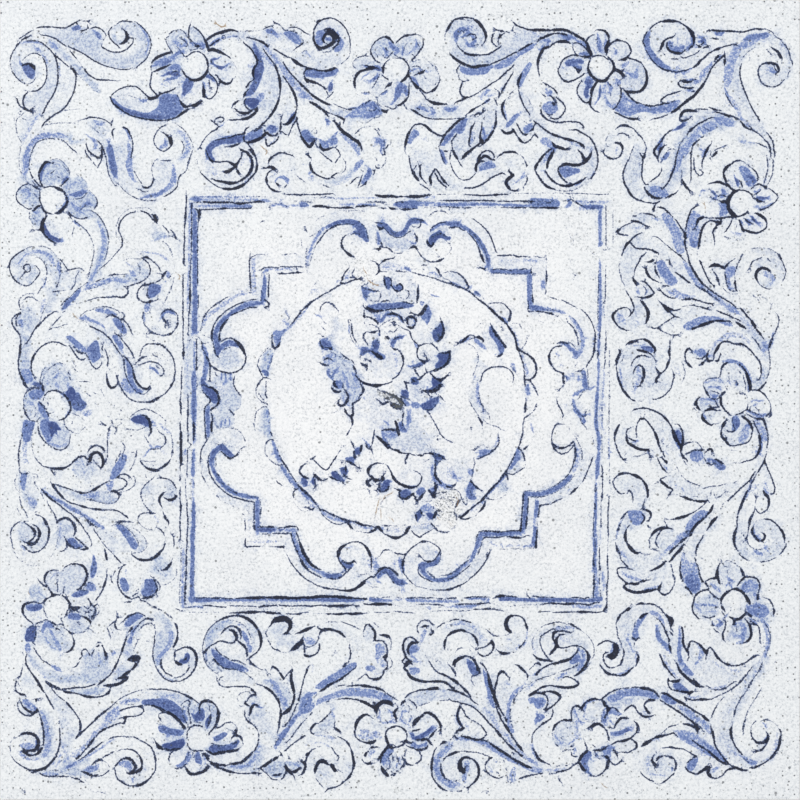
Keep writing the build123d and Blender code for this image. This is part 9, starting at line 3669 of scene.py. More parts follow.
def frame_right_lower():
    """The right side of the line frame, to its bottom corner."""
    brush("597.5,460 597.5,470 596.5,478,3.6", 4, 0.68)
    brush("596,480 596,492 595.5,500", 3, 0.5)
    brush("595.5,502,3.4 595.5,515,3.4 595,528,3.6 595,540 595,552 594.5,564 595,572,3.6", 4, 0.68)
    brush("596,574,4 596.5,585 596.5,597", 4.4, 0.48)
    pen("595.5,484,2 595.5,491,2.4|595,503 595,510", 2.2, 0.75)
    pen("594,514,1.4 593.5,524 593.5,534 595,542,2 595.5,548,2", 1.8, 0.7)
    pen("594,552 593.5,561,2.2 594,570", 1.8, 0.82)
    pen("594,572,1.6 594,582 594,589,2 593,593 593.5,598,1.8", 2.2, 0.8)
    pen("599.5,546 599.5,556 599.5,564,2 600,572,2.2", 1.6, 0.72)
    pen("599.5,575 600,588 601,598", 1.7, 0.65)
    pen("602,466.5 602.5,472,2.6 602,478,2", 1.8, 0.85)
    pen("602.5,481 602.5,488|602.5,490 602,499", 2.1, 0.8)
    faint("601,502 601,512 601,519", 1.8, 0.6)
    pen("601,521 601,527", 2.6, 0.8)
    brush("600.5,528 600.5,545", 2.6, 0.3)
    brush("603,572 603.5,582,3.4 604,592", 3, 0.4)
    pen("609.5,478 610,484", 1.4, 0.5)
    pen("609,498,1.6 608.5,506,2 608,515 608,526 608.5,536", 1.8, 0.85)
    faint("608,540 607.5,552", 1.6, 0.45)
    pen("607.5,559 607.5,567|608,570 608,578,2 607,586,2 607,597|607,603,2.2 606.5,608,2.2", 1.8, 0.85)
    faint("609.5,456 609.5,474", 1.6, 0.45)


def frame_top_left():
    """The top left corner of the line frame."""
    faint("192,197 210,196.5 232,197 252,196.5 268,197", 1.5, 0.45)
    brush("193,199 200,199.5,3.6", 4, 0.72)
    brush("202,200 220,200.5 238,200 250,199.5", 2.6, 0.36)
    pen("194,202.5 200.5,202.5,2.2", 1.8, 0.9)
    pen("203,202,2 212,202.5 221,202.5 230,202.5,3.2 239,203.5,3 247,203 255,202,2.4 262,201.5,2.4 "
        "265,202.5,1.8", 2.6, 0.98)
    brush("254,200 262,200.5,3.4 269,201", 3, 0.5)
    brush("200,206 212,206 224,206,3 236,206,3.4 246,206,3.6 252,206.5,3.6", 2.8, 0.6)
    pen("200,209.5,1.8 208,209.5 216,209 227,208.5,2.4", 2.2, 0.92)
    pen("230,208.5,1.6 238,208.5 246,208.5 253.5,208,2.2", 2, 0.85)
    pen("270.5,204 269.5,208", 1.8, 0.7)
    brush("272,206 276,204.5 282,204 287,207,2.4", 2.6, 0.55)
    faint("272,204 279,203.5 284,205 288,208", 1.4, 0.6)
    pen("274,201 275,202", 1.6, 0.5)
    brush("194,196.8 215,196.4 240,196.8 256,197.2,1.4", 1.6, 0.55)
    brush("194,199.2 225,199.2 250,200", 4, 0.26)
    pen("197,210.5,1.6 199.2,213 199.2,218,2.6 198.4,223", 2.4, 0.85)
    brush("262,200.5,2.6 269,201.2,3|270,206 275,204 281,205 287,208|291,205.5,2.6 299,205.6,2.6", 2.4, 0.5)


def frame_left():
    """The left side of the line frame."""
    pen("186,194,1.8 186.5,200 186,208,2 185.5,216,2 185,222 184.5,228|184.5,231,1.4 184.5,240,1.8 184,250 "
        "184,258 183.5,266,2", 2.2, 0.88)
    pen("183,275,1.6 183,288 183,300 183,312", 2, 0.85)
    pen("183,316 183.5,325", 2.6, 0.88)
    pen("183,329,1.6 183,340 183.5,350,2.2 183,360", 2, 0.85)
    faint("182,366 182,370", 1.5, 0.6)
    pen("181.5,373 181.5,388|181,390.5 180.5,398", 1.8, 0.75)
    pen("180,401 181,407,2.6 180.5,414,2.2", 2, 0.88)
    pen("180,422,1.8 180.5,430,2 181,438 181,447 181,456,2.4 181,464,2.4", 2.8, 0.95)
    brush("191.5,203 191.5,212", 4, 0.7)
    brush("195,212,5 195,224,5 195,236,5 195,248 195,260 195,272 195,284,5 195,296 195,308 194.5,320,5.4 "
        "194.5,333,5.4", 5.2, 0.74)
    brush("189.5,215 189.5,235 189,255 188.5,275,2.6 188,295,2.6 188,310", 2.4, 0.42)
    pen("191.5,203 191.5,212,2.2 192,222 191.5,232,2.6 191.5,242,2 191.5,252,1.8", 2.4, 0.78)
    pen("191,254 191,260|190.5,262 190.5,270", 1.8, 0.7)
    pen("190,272 190,282,2.4 190,292,2.4 190,302,2.2 189.5,312|197,209.5,1.8 200,212,2.2 199.5,217 "
        "198,222,1.8", 2, 0.85)
    pen("198,224 197.5,232|197.5,234 197.5,244|197.5,246 197.5,258|197.5,260 197.5,272|197.5,275"
        " 197.5,285", 1.9, 0.75)
    pen("198.5,295 198.5,302,2.2 198,309", 2, 0.8)
    pen("188.5,312 188.5,322|188.5,324 188,335", 1.8, 0.7)
    faint("199,312 199,330", 1.2, 0.4)
    pen("191,318 191,330", 1.4, 0.4)
    brush("195,330 195.5,334", 5, 0.4)
    faint("190,340 193,337 197,336 200,339", 1.3, 0.55)
    tint("185,338 194,338 194,394 184,394", 0.45)
    brush("187.5,345 187,362 187,380 186.5,392", 3, 0.2)
    pen("196.5,340 196.5,352|196.5,354 196.5,364|196.5,366 196.5,371", 2.2, 0.82)
    brush("194.5,342 194.5,356 194.5,370", 3, 0.45)
    brush("194,373,4.4 194,386 194,400 194,412 194,421,4.4", 4.6, 0.74)
    pen("196.5,376 197,384 196.5,390", 1.5, 0.5)
    pen("188,395 188,405|188,407 188,418|187.5,420 187.5,430|188,432 188,441", 2, 0.78)
    faint("184,402 184,440", 1, 0.35)
    brush("194,422,3.6 194,434 194,443", 3.8, 0.7)
    pen("193.5,422 194,431,2.6 193.5,441,2.8", 2, 0.8)
    faint("188,442 191,444 190,447 187,449", 1.6, 0.65)
    pen("187.5,450 187.5,462", 2, 0.8)
    brush("185,450 185,455", 3, 0.5)
    brush("193.5,451 193.5,462", 4, 0.66)
    pen("192,453 192,462", 1.5, 0.6)
    faint("198,396 197.5,420 197,440 197,455", 1, 0.3)


def cartouche_left_step():
    """The step at the cartouche's upper left shoulder."""
    pen("250,256 249.5,262,2.6 249.5,267|249.5,269,1.8 250,278,2.2 250.5,286,2.4 250.5,292,2.2", 2, 0.88)
    brush("253.5,259 253.5,270 254,282 254,294", 4.4, 0.36)
    brush("252.5,259 253,266", 3, 0.25)
    pen("252,257 254,256", 2, 0.8)
    faint("257,254.5 262,254.5 268,255.5", 1.4, 0.6)
    faint("283,255 288,254|289,254 296,253.5", 1.7, 0.62)
    faint("298,254.5 301,257", 1.2)
    tint("252,256 300,256 302,266 266,267 262,272 260,298 251,296", 0.22)
    pen("262,269 265,267.5", 2.2, 0.8)
    pen("266,267.5,1.6 273,267 276,268 283,266.5 290,267 297,266.5 304,267,1.6", 1.8, 0.78)
    pen("278,273.5 284,273.5,2.2|287,273.5,2.2 294,273,2.4 302,272.5", 2, 0.92)
    brush("264,272 268,269.5", 4, 0.6)
    brush("272,269 279,270,3 285,268.5 293,269.5,3", 2.6, 0.42)
    pen("296.5,268 297.5,272,2.4", 1.8, 0.75)
    faint("283,269 288,271|291,271 294,268", 1.3)
    brush("264.5,276 264.5,285,4.4 263.5,294,4.6 263,302,4.8", 3.4, 0.74)
    pen("262,273 261.5,277", 1.8, 0.6)
    pen("266.5,274 269,274,1.6 269,280,1.8 268.5,288 268.5,297,2.2", 2, 0.82)
    pen("261.5,290 261.5,295|261,298 261,302", 2, 0.7)
    pen("265,300 269,303,2.2 268.5,307,2.6", 1.8, 0.85)
    pen("264,307 265.5,308", 2, 0.7)


def flank_left_volute():
    """The middle left scroll of the cartouche."""
    brush("246,294,3 238,295,3.4 230,300,4 221,306,4.4 213,312 206,318 203,325,4.2", 4.6, 0.36)
    brush("246,293.5 238,293.5", 2.6, 0.4)
    brush("222,303 217,307", 3, 0.3)
    pen("229,296,1.4 224,299 219,302.5,2.2 213,306.5 208,311,2 204.5,316,2.2 202,321", 1.8, 0.7)
    pen("201,327 200.5,330", 2, 0.6)
    pen("203,320 202,328", 1.8, 0.45)
    pen("256,299.5,1.4 249,300 242,302.5 235,305.5 228,309.5 222,314.5 217,319.5 213.5,326,2 212,333,2.2 "
        "212.5,341,2 214,349,2 217,356,2.2 219,357.5", 1.8, 0.88)
    brush("262,303,4.4 252,303.5,4.4 244,306,4.4 236,310,4.6 229,315,4.8 222,321 217.5,328 215.5,336 "
        "217,344,5.4 218,351", 5, 0.74)
    pen("257,307.5,1.6 250,307.5 243,310 235,313.5 231,315,2.4", 2, 0.85)
    pen("229,318,1.6 225,322.5 221.5,327.5,2.4 220,333,1.8|219.5,334 219.5,341,3", 2.2, 0.92)
    faint("226,316 219,323 215,332 214,340", 1.2, 0.3)
    faint("203,335 208,337 211,339|201,341 205,344 208,343", 1.4)
    pen("222,341,1.6 226,338.5 230,338,2.2 235,339.5", 2, 0.85)
    fill("217,357 219.5,354 222,350 226,347 231,346 236,347 239.5,347.5 237,343.5 232,340.5 226,341 221,344"
        " 217,345 215,350", 0.85)
    pen("234,340,2.4 239,344,3.4 242,348,3.4 244.5,353,3 246,358,2.4 244.5,364 241,369 236,372 230,373,1.8 "
        "223,372,1.8 216,370,1.8", 2, 0.92)
    pen("222,352 226,348.5,2 231,347.5,1.8", 1.6, 0.65)
    brush("236,346 240,347,2.6", 3, 0.5)
    tint("219,357 224,351 232,348.5 240,350 243,357 241,365 234,370 222,370 213,364 211,356 214,352", 0.55)
    faint("221,360 223,361", 1.3, 0.4)


def flank_left_column():
    """The column that hangs under it."""
    brush("203,346,4 205.5,353 206.5,362 205,372 204,381", 5, 0.66)
    pen("201.5,342,1.6 202.5,348 205,354,2.2 208,360,2.4 211,365,2.4 216,369.5", 2, 0.85)
    pen("208.5,361,1.8 210,367,2.4 210,374 210,380", 2.2, 0.9)
    faint("203,359 204,370 203,378", 1.4)
    fill("201,377 205,382 209,386 214,389 218,395 218,401 214,404 211,401 207,396 203,391 201,386", 0.88)
    pen("204,385 208,386.5", 2.6, 0.8)
    pen("208,387 213,388.5,2.8 217,392.5,3.2 219,398,3 218,404,2.4 215,407,2.2 211,409.5,2.6", 1.8, 0.95)
    pen("201,384,1.4 202.5,390,1.8 206,395 210,399,2.6 210,402 206.5,405.5 204.5,409,2.4 204.5,416 "
        "205,425,2 205.5,434,2 206.5,441", 2.2, 0.85)
    pen("212,400 215,403", 1.8, 0.5)
    brush("209,406,4.6 207,413 208,421 208,429 208,436,4", 5, 0.68)
    pen("211,413 212.5,418,2.8 211.5,424,2.6 211.5,430,2.4 213,432", 2, 0.9)
    pen("211.5,432,1.6 209,436.5,1.8 206.5,441 203.5,446 201,451 200.5,460,1.8", 2, 0.82)
    tint("214,374 233,376 234,388 241,398 240,408 234,412 233,426 214,428 211,415 219,404 219,394"
        " 212,386", 0.5)
    pen("215,372 216,375", 2.6, 0.7)
    brush("221.5,374 221.5,380|225.5,373 226,380|230,373 230.5,381", 2.4, 0.72)
    pen("230,377 230.5,381", 1.8, 0.5)
    pen("234.5,376 233.5,382,1.8 234.5,387,2.2 237,391,2 240,395,1.6", 1.4, 0.8)
    faint("240,392 241.5,398 241,404 238,409 234,412", 1.1, 0.45)
    pen("232,412.5 234,414.5", 2.6, 0.8)
    faint("234,416 234,422", 1.3)
    brush("213,384 222,390 231,398", 3, 0.16)
    brush("220,404 228,400", 2.6, 0.2)
    brush("221,421 221,427|225.5,419 225,426|229.5,419 229.5,425", 2.4, 0.66)
    pen("220,428 227,427.5", 1.8, 0.45)
    pen("213,421 217,422 217,427", 1.6, 0.4)


def flank_left_lower_curl():
    """The curl at the foot of the column."""
    faint("228,427.5 236,429 241,433", 1.4)
    faint("242,434 244.5,439", 1.6, 0.6)
    pen("245,440 245,442.5", 2.4, 0.8)
    fill("210,461 211,455 213.5,450 217,446 222,443.5 226,447 230,451 234,455.5 230,457 225,454 221,450.5 "
        "218,452 215,457 213,461", 0.84)
    pen("217,444 221,445,2 225,442.5,2.4", 1.8, 0.7)
    brush("226,450 232,455,3.4", 4, 0.45)
    pen("219,453,1.4 222,452,2.1 226,456 230,458.5,2.4 235,456.5 239,452.5,2.6", 2, 0.85)
    pen("216,457 213,460", 1.5, 0.4)
    pen("240,450 243,446.5,2", 1.8, 0.65)
    pen("244,448 246,446", 1.8, 0.5)
    faint("228,446 236,447 241,444", 1, 0.35)
    tint("208,440 222,430 236,430 243,438 242,446 234,452 222,442 212,450", 0.3)


def ring_left():
    """The left of the medallion's ring, with its scallops."""
    pen("309,303,2 305.5,307 301,312 297,317 292.5,323,2.4 290,326,2", 2.2, 0.85)
    brush("306,309,3 299,317 293,324 288,329", 3.4, 0.38)
    pen("301,308 299,314", 1.4, 0.4)
    brush("285,310 288,317", 2.4, 0.4)
    pen("286,309,1.4 286,314 288,317", 1.5, 0.6)
    brush("285,322 288,325", 3, 0.5)
    faint("291,315 288,320 285,324", 1.2, 0.45)
    fill("273,332 276,330 280,331 284,329 287,329 284,334 281,338 280,343 278,347 275,346 274,340", 0.6)
    brush("276,338 276,345", 4, 0.35)
    pen("272,335 272,341,1.8 273,346,2.2 275,350,2", 1.4, 0.8)
    pen("279.5,343.5 277,348,2.8", 2.4, 0.9)
    faint("287,328 282,334 280,341", 1.4)
    faint("257,366 259,359 263,353 268,349 271,349", 1.5, 0.6)
    pen("267,348 270,349.5", 2, 0.6)
    tint("260,366 262,356 268,350 273,352 271,364 268,376 262,374", 0.6)
    brush("272.5,353,3 270,362 268,370", 3.4, 0.5)
    pen("272.5,356,1.4 271,362 268.5,369", 2, 0.7)
    brush("265,356 266,364", 3, 0.25)
    fill("262,370 266,370 269,373 268,376 264,375", 0.78)
    pen("267,372.5 268,375.5,2.4", 2, 0.75)
    pen("258,366,1.6 259.5,370 262,375", 2.2, 0.88)
    pen("263,377 269,378.5", 1.7, 0.7)
    pen("262.5,379 259.5,382,2.4 257,387,2.6", 1.8, 0.9)
    faint("256,388 256,393|256.5,395 257.5,398", 1.8, 0.62)
    pen("259,394 263,399|260,400 264,404|265,403 270,405", 1.8, 0.7)
    faint("266,381 266,390", 1.9, 0.55)
    pen("265.5,394 266.5,397", 3, 0.9)
    faint("269,399 265,404", 1.4, 0.4)
    tint("259,388 265,386 267,398 262,398", 0.5)
    pen("260,409 264,406.5 268,408", 1.6, 0.7)
    faint("258,410,1.7 256,413,1.7 255,419,1.7|254,422 254,427|255,430 256.5,432", 1.9, 0.65)
    faint("260,436 264,439", 1, 0.3)
    tint("264,408 269,410 271,430 272,438 266,436 265,420", 0.75)
    brush("267,411 267.5,418", 4, 0.55)
    pen("269,411.5 269,416", 2, 0.6)
    brush("268,419 268.5,427 270,434,3", 3.4, 0.28)
    pen("270,421 270,425", 1.4, 0.4)
    pen("270.5,432 273,437,2.6", 1.8, 0.88)
    pen("265,446,1.4 267,441.5 271,439.5 274,440,1.6", 1.8, 0.78)
    brush("272.5,441 275,448,3.6 277.5,455,4 281,461,4.4", 3.4, 0.6)
    faint("276,446 279,453 282,460", 1.4)
    pen("306,231 306.5,232.5", 2.2, 0.7)
    faint("301.5,241 302,248", 1.5, 0.55)
    faint("308,247 306,255 306.5,261 305,267", 1.6, 0.6)
    pen("305,265 307,271|261,222 265,220.5", 1.8, 0.6)


def left_border_lower_leaf():
    """The leaf on the left border, beside the frame."""
    pen("152,217 153,222", 1.8, 0.5)
    pen("154.5,214.5 156.5,218,3 156.5,223,2.4", 2, 0.85)
    pen("163,226 167,230,2 170,235,1.6", 1.4, 0.82)
    pen("171,230 174,233.5,2.2 177,239,1.6", 1.4, 0.78)
    pen("169,236 173,236.5,2 178,240", 1.6, 0.72)
    pen("158,224.5 159,227", 1.4, 0.4)
    tint("152,232 160,231 166,236 162,238 156,241 153,240", 0.7)
    brush("153,241 160,238 168,236.5", 2.6, 0.35)
    faint("160,239.5,1.6 166,243.5 170,249,2.2 172.5,256", 2)
    faint("173,259 174.5,266 174,272", 2, 0.25)
    brush("151,253 158,254 164,257 168,261", 2.6, 0.36)
    pen("150.5,259.5,1.6 155,263 158.5,266.5 160.5,271,1.8", 2.2, 0.75)
    pen("166.5,271 163.5,275,2.4 161.5,279,2.2 158,281.5 153,283,1.8 149,283,1.8", 2, 0.85)
    pen("160,274 164,274.5", 1.8, 0.7)
    fill("166,271 169,272 171,276 169,279 166,276", 0.55)
    pen("168.5,278 171,275.5", 1.9, 0.75)
    fill("149,285 156,284 161,286 161,290 158,294 154,297 149,297", 0.76)
    brush("161,286 166,281", 2.4, 0.3)
    pen("149,301 154,301,2.2 159.5,298.5", 1.8, 0.8)
    pen("174,278,1.4 172.5,284 170,291,2.4 167,297,2.2 164,303,2.2 161,309", 2, 0.52)


def left_border_spiral():
    """The spiral on the left border, beside the frame."""
    pen("161,315,2 163.5,311.5 168,309.5,2.8 173,310.5,2.8 177,314.5,2.8 178,320,2.8 177,326 174,331 "
        "170,334 164,335.5,2.4 157,334.5,2.2 149,332.5,1.8", 2.6, 0.72)
    fill("161,316 164,311 169,309.5 174,312 176,316 171,313.5 166,313.5 164,317 166,321.5 163.5,322", 0.72)
    pen("162.5,317 165.5,322,2.8", 2.2, 0.8)
    faint("152,326 158,331", 1.4)
    tint("164,322 175,316 176,326 168,333 156,332 152,326", 0.35)
    pen("150,344,1.8 156,344 162,346 167.5,350,2.2 171.5,355,2.4 174,361,2.2 175,368 174.5,376 "
        "173.5,382,2.2 170,387,2.6|169,389,1.8 165,393.5,2.2 160,397 155,400,2.2 150,402", 2, 0.88)
    faint("152,340 160,343 166,346", 1.4)
    faint("152,352 160,353 166,358 169,364 170,372 168,380", 1.3, 0.4)
    pen("152,354 157,357 161,358.5,1.6", 1.8, 0.65)
    brush("158,360 162,363", 3, 0.3)
    pen("150,362,1.6 155,362,1.8 160,365,1.9 163,369 164,373 161.5,376 159,376,1.8", 2, 0.82)
    fill("149,366 153,367 157,370 159.5,375 157,374 153,370 149,369", 0.72)
    pen("156,366 160,369", 1.8, 0.7)
    faint("164,369 167,369 165,364", 1.2, 0.4)
    faint("150,410 156,413 162,417 167,422", 1.6, 0.55)
    brush("150,420 155,425", 3, 0.42)
    brush("160,424 166,430 171,434,3", 3.6, 0.28)
    pen("158,430,1.6 160,433,2.1 163,434 165.5,438,2.4 165.5,443,2.4 162,447 156,449 150,449", 2, 0.8)
    faint("156,441 160,438", 1.4)
    pen("171,434,1.6 172,440 173,447 172,454 171,459,2.2", 2, 0.62)
    brush("160,449 166,455", 3, 0.2)


def left_border_lower_curls():
    """The curls of the left border, beside the frame's lower half."""
    pen("170,460 166.5,464,2 161,468,2.2 155,470,2.8 150,469,2.4", 1.6, 0.88)
    faint("171,462 166,467 161,470", 1, 0.35)
    pen("162,478,1.6 168,479,1.8 172.5,482 175,486,3 176,488", 2.4, 0.9)
    pen("163.5,493 160.5,496,2.6 159,500,2.2 160,504,2 161.5,506,1.6|163.5,497,1.4 167.5,499.5,2.2 "
        "172,500,2.6 175.5,497 176.5,494.5,2", 3, 0.92)
    brush("172,502 175,501", 3, 0.4)
    faint("166,487 170,485|168,491 172,489|170,494 174,491", 1.4, 0.45)
    tint("163,480 172,482 176,490 172,498 164,496 162,488", 0.5)
    pen("163,512 165,517,2.2 168,521,2.8 169.5,524.5,2", 1.6, 0.85)
    pen("149,512 156,513.5", 1.8, 0.6)
    brush("155,516 158,522", 4, 0.26)
    faint("165,526 168,531", 1.6)
    pen("157,527.5,1.6 161,530 164.5,534.5", 2, 0.85)
    pen("173.5,538 174.5,546.5", 2.2, 0.78)
    pen("165,544,2.4 163,549 159,553,3.2 155,556.5 149,559,2.2", 3, 0.88)
    pen("171.5,562 169,566,3 165.5,569.5,2.8 161,570.5,2", 2.2, 0.82)
    faint("155,566 159,572", 1.6, 0.55)
    tint("152,560 160,556 168,562 172,572 164,582 158,576", 0.6)
    brush("158,566 166,575,3", 2.6, 0.16)
    pen("176.5,569.5 176.5,575,2 173,580,2 168,583.5,1.8 162,585.5", 1.6, 0.52)
    pen("154,577,1.8 157,581 160,585 160,590,2", 2.2, 0.72)
    fill("149,580 154,580 157,585 157,590 153,593 149,593", 0.78)
    pen("157,591 153,595,2.2 149,597,2", 1.8, 0.78)
    faint("152,607 160,610", 2, 0.6)
    faint("172,552 175,554|166,539 164,543", 1.4, 0.4)


def frame_left_lower():
    """The left side of the line frame, to its bottom corner."""
    pen("180.5,464 180,472|180,475 180,481", 2, 0.78)
    pen("180,488 180,498|180,500 181,506,2.4 180.5,510", 2, 0.82)
    pen("180.5,512 180.5,515|180,517 180,521", 2, 0.8)
    pen("180,529 180.5,533|180.5,536 180,541,2.4", 2, 0.82)
    faint("181,549 181,562 180.5,575 179.5,590 180,604", 1.9, 0.52)
    faint("182,470 182,486", 1, 0.3)
    pen("187,463 187,469|187,471 187,476", 1.8, 0.75)
    pen("185.5,480 185.5,490|186,493 186,500", 1.6, 0.6)
    pen("187,501,1.6 187,511,2 188,520 187.5,530,2.4 187,540 187,549,2.4", 2.2, 0.85)
    pen("186.5,550,2 186.5,562 186,574 185.5,585 185,596 185,604,1.8", 2.2, 0.82)
    brush("183.5,549 183.5,562 183,576 182.5,592,3.2 182.5,607,3.4", 3, 0.42)
    brush("193,463 193,475", 4, 0.68)
    brush("193,477 193,488 193,500", 3, 0.42)
    pen("191,476,1.2 191,488 191.5,499|194.5,482,1.3 194.5,488,1.3", 1.4, 0.5)
    brush("193.5,502,3.6 193.5,514,4 193.5,524 192.5,536 192.5,548 192.5,560 192,572 192,584"
        " 192,596,4.6", 4.4, 0.72)
    pen("195.5,503 195,507|195.5,511 195,516|196,521 195.5,526|195,533 195,540|195.5,543 195,549|194.5,554 "
        "194.5,562|194,566 194,575|194,579 194,590", 1.4, 0.5)
    brush("190,597 192,602", 4, 0.5)
    brush("184,603 184,608", 3, 0.4)


def frame_bottom_left():
    """The bottom of the line frame, from its left corner."""
    fill("190,597 205,597.5 220,598 240,598.5 262,598.5 282,598.5 302,598 302,601.5 280,601.5 250,601.5 "
        "225,601.5 208,602 190,602", 0.68)
    brush("194,600 202,600 210,600.5,3.4", 4, 0.8)
    pen("194,598,2 204,598 216,598 226,598.5,2.2 233,599,1.8", 2.4, 0.8)
    pen("236,598.5,1.8 244,598,2.4 252,598 262,597.5,3 272,597.5 282,597.5,3.2 292,598,3"
        " 302,598,2.6", 2.8, 0.97)
    faint("212,602.5 232,603 252,602.5 272,603 290,602.5", 1.4, 0.35)
    brush("188,607.5 195,606.5 203,607.5,2.4", 2.6, 0.6)
    pen("186,608,1.6 194,607 203,608", 2, 0.6)
    pen("202,605.5,1.4 209,605.5 216,606.5,2 226,607", 1.8, 0.82)
    pen("228,605.5,1.4 236,606 246,606 257,606.5,1.6", 1.8, 0.75)
    pen("258.5,607 265,606,2.8 272,605.5 281,605.5 290,606,2.2 302,605.5", 2, 0.9)
    faint("240,608.5 262,609 284,608.5 300,609", 1.2, 0.35)


def cartouche_bottom_left_arc():
    """The arc at the cartouche's lower left shoulder."""
    faint("200,460 200.5,466", 1.2)
    pen("201,473 203,477,2 205.5,482,1.8", 1.6, 0.82)
    faint("206,483 210,489", 1, 0.4)
    faint("214,495 217,497", 1.3)
    pen("217,495 219,498,1.8", 1.2, 0.7)
    faint("220,500 226,503 233,506 240,508.5", 1.2)
    tint("206,444 201,456 202,472 210,486 222,500 240,508 252,510 252,503 236,499 220,488 210,474"
        " 208,458", 0.3)
    brush("214,450,4 212,457 212,464 214,471 218,478 223.5,485 230,490,4.6 237,494,4.2 245,496,4 "
        "253,497.5,3.6 259,498,3", 4.8, 0.74)
    pen("209.5,454,1.8 208,460,2.6 208.5,467 210,474,2 213,479.5 216.5,485,2.4 219,486.5,2", 2.2, 0.8)
    pen("216,457,1.6 215.5,462|216,464 216,467", 1.9, 0.65)
    pen("217,473 219.5,477,2", 1.8, 0.75)
    pen("221,482,1.4 226,487.5,1.8 231,490.5 238,494", 2, 0.65)
    pen("220,488,1.4 226,493,1.6 233,497,2 240,499 247,501 253,502,1.8", 2.2, 0.88)
    faint("246,495 252,496.5 259,497.5 261,500", 1.5)
    brush("214,473 220,481", 2.4, 0.2)


def cartouche_bottom_left_step():
    """The stepped corner below it."""
    brush("257.5,501,4.6 257.5,511 257.5,521 257.5,530,5", 4.8, 0.7)
    pen("254.5,503,1.6 254,511 254,520 254,527,2.4 256,531,2", 2.2, 0.82)
    pen("260,499 261,505,2", 1.6, 0.72)
    pen("261.5,509 260,514,2", 1.8, 0.75)
    faint("260,516 260.5,526", 1.5)
    brush("257,531 258,529", 3, 0.5)
    brush("258,530 267,530,4.6 276,530,4.2", 4.4, 0.85)
    brush("279,530 288,530,3.8 296,530,4", 3.6, 0.52)
    pen("258,527,2.2 266,527 275,527", 2.6, 0.92)
    pen("277,528.5 282,527.5,2 290,526.5,2.2 297,527,2.4 298.5,531,1.8", 1.6, 0.88)
    faint("262,534 271,534", 1.6, 0.6)
    pen("273,533.5 280,533.5,2 287,533.5,2.2 290,532", 1.8, 0.85)
    pen("280,531 284,530", 1.8, 0.5)
    brush("293,534 295,542 298,549 303,557 309,565,4.8", 4.6, 0.62)
    pen("291,533,1.8 293,541 296,549 299,556,2 303,563 310,572,2", 2.2, 0.85)
    pen("296,531,1.8 298.5,538,2.2 301,546,2.6 305,554 310,562", 3, 0.9)
    faint("242,510 247,510 249,515 247,520", 1.4, 0.42)
    pen("243,514.5 244,515.5", 2, 0.7)
    pen("244.5,521 245.5,526,2 245,531.5,1.8", 1.4, 0.8)
    pen("245.5,538.5 245,543,2.2 246,547,2.4 251,546.5,2 257,546.5", 1.8, 0.9)
    pen("259,546.5 261,546.5", 1.8, 0.7)
    faint("264,546.5 274,547", 1.2, 0.4)
    pen("276.5,546.5 283,547,2.4 285,545", 2, 0.92)
    brush("252,542 260,541.5,3.4|262,542 270,541.5,3.4|273,542 278,542", 3, 0.28)
    faint("252,539.5 262,540|267,540 276,540", 1.2, 0.25)
    brush("249,513 249,526 249,538", 3, 0.14)
    faint("284,550 287,555", 1.1, 0.4)
    pen("287,555,1.2 290,561,1.6 294,567 299,573 305,578.5 311,582,1.6", 1.8, 0.82)
    tint("286,536 291,540 296,556 308,572 312,580 300,572 290,558 284,546", 0.35)


def ring_left_lower():
    """The lower left of the medallion's ring, with its scallops."""
    brush("274.5,450,3.6 277,457 281,462", 4, 0.5)
    pen("279.5,456,1.4 284,463,1.8 289,471 294,479 299,486,2.2 304,491.5,2.4 309,496,2.2", 2, 0.85)
    pen("281,460 286,468", 2, 0.6)
    brush("282,467 287,475,4.2 292,481,4.2 298,487.5 304,494 309,499", 4, 0.6)
    pen("281,467,1.2 286,476 291,483", 1.6, 0.45)
    faint("265,453.5 267,456", 2, 0.55)
    pen("268,458 273,462.5,1.6 279,465.5,1.8 282,464,2", 1.4, 0.68)
    faint("276,468 275,475 277,481", 1.5, 0.35)
    pen("277.5,482.5 282,485.5,2", 1.8, 0.78)
    pen("298,488.5 295,490,2.2 293,494,2 294,498,1.6", 1.8, 0.85)
    pen("292.5,487.5 294,489", 2.4, 0.65)
    faint("293,500 296,505 301,510 309,512", 1.1, 0.4)
    pen("303,507 309,509", 1.6, 0.55)
    pen("301.5,467.5 299.5,471,2.2 300.5,474.5,2", 1.8, 0.85)
    brush("304,480 303,486", 3, 0.4)


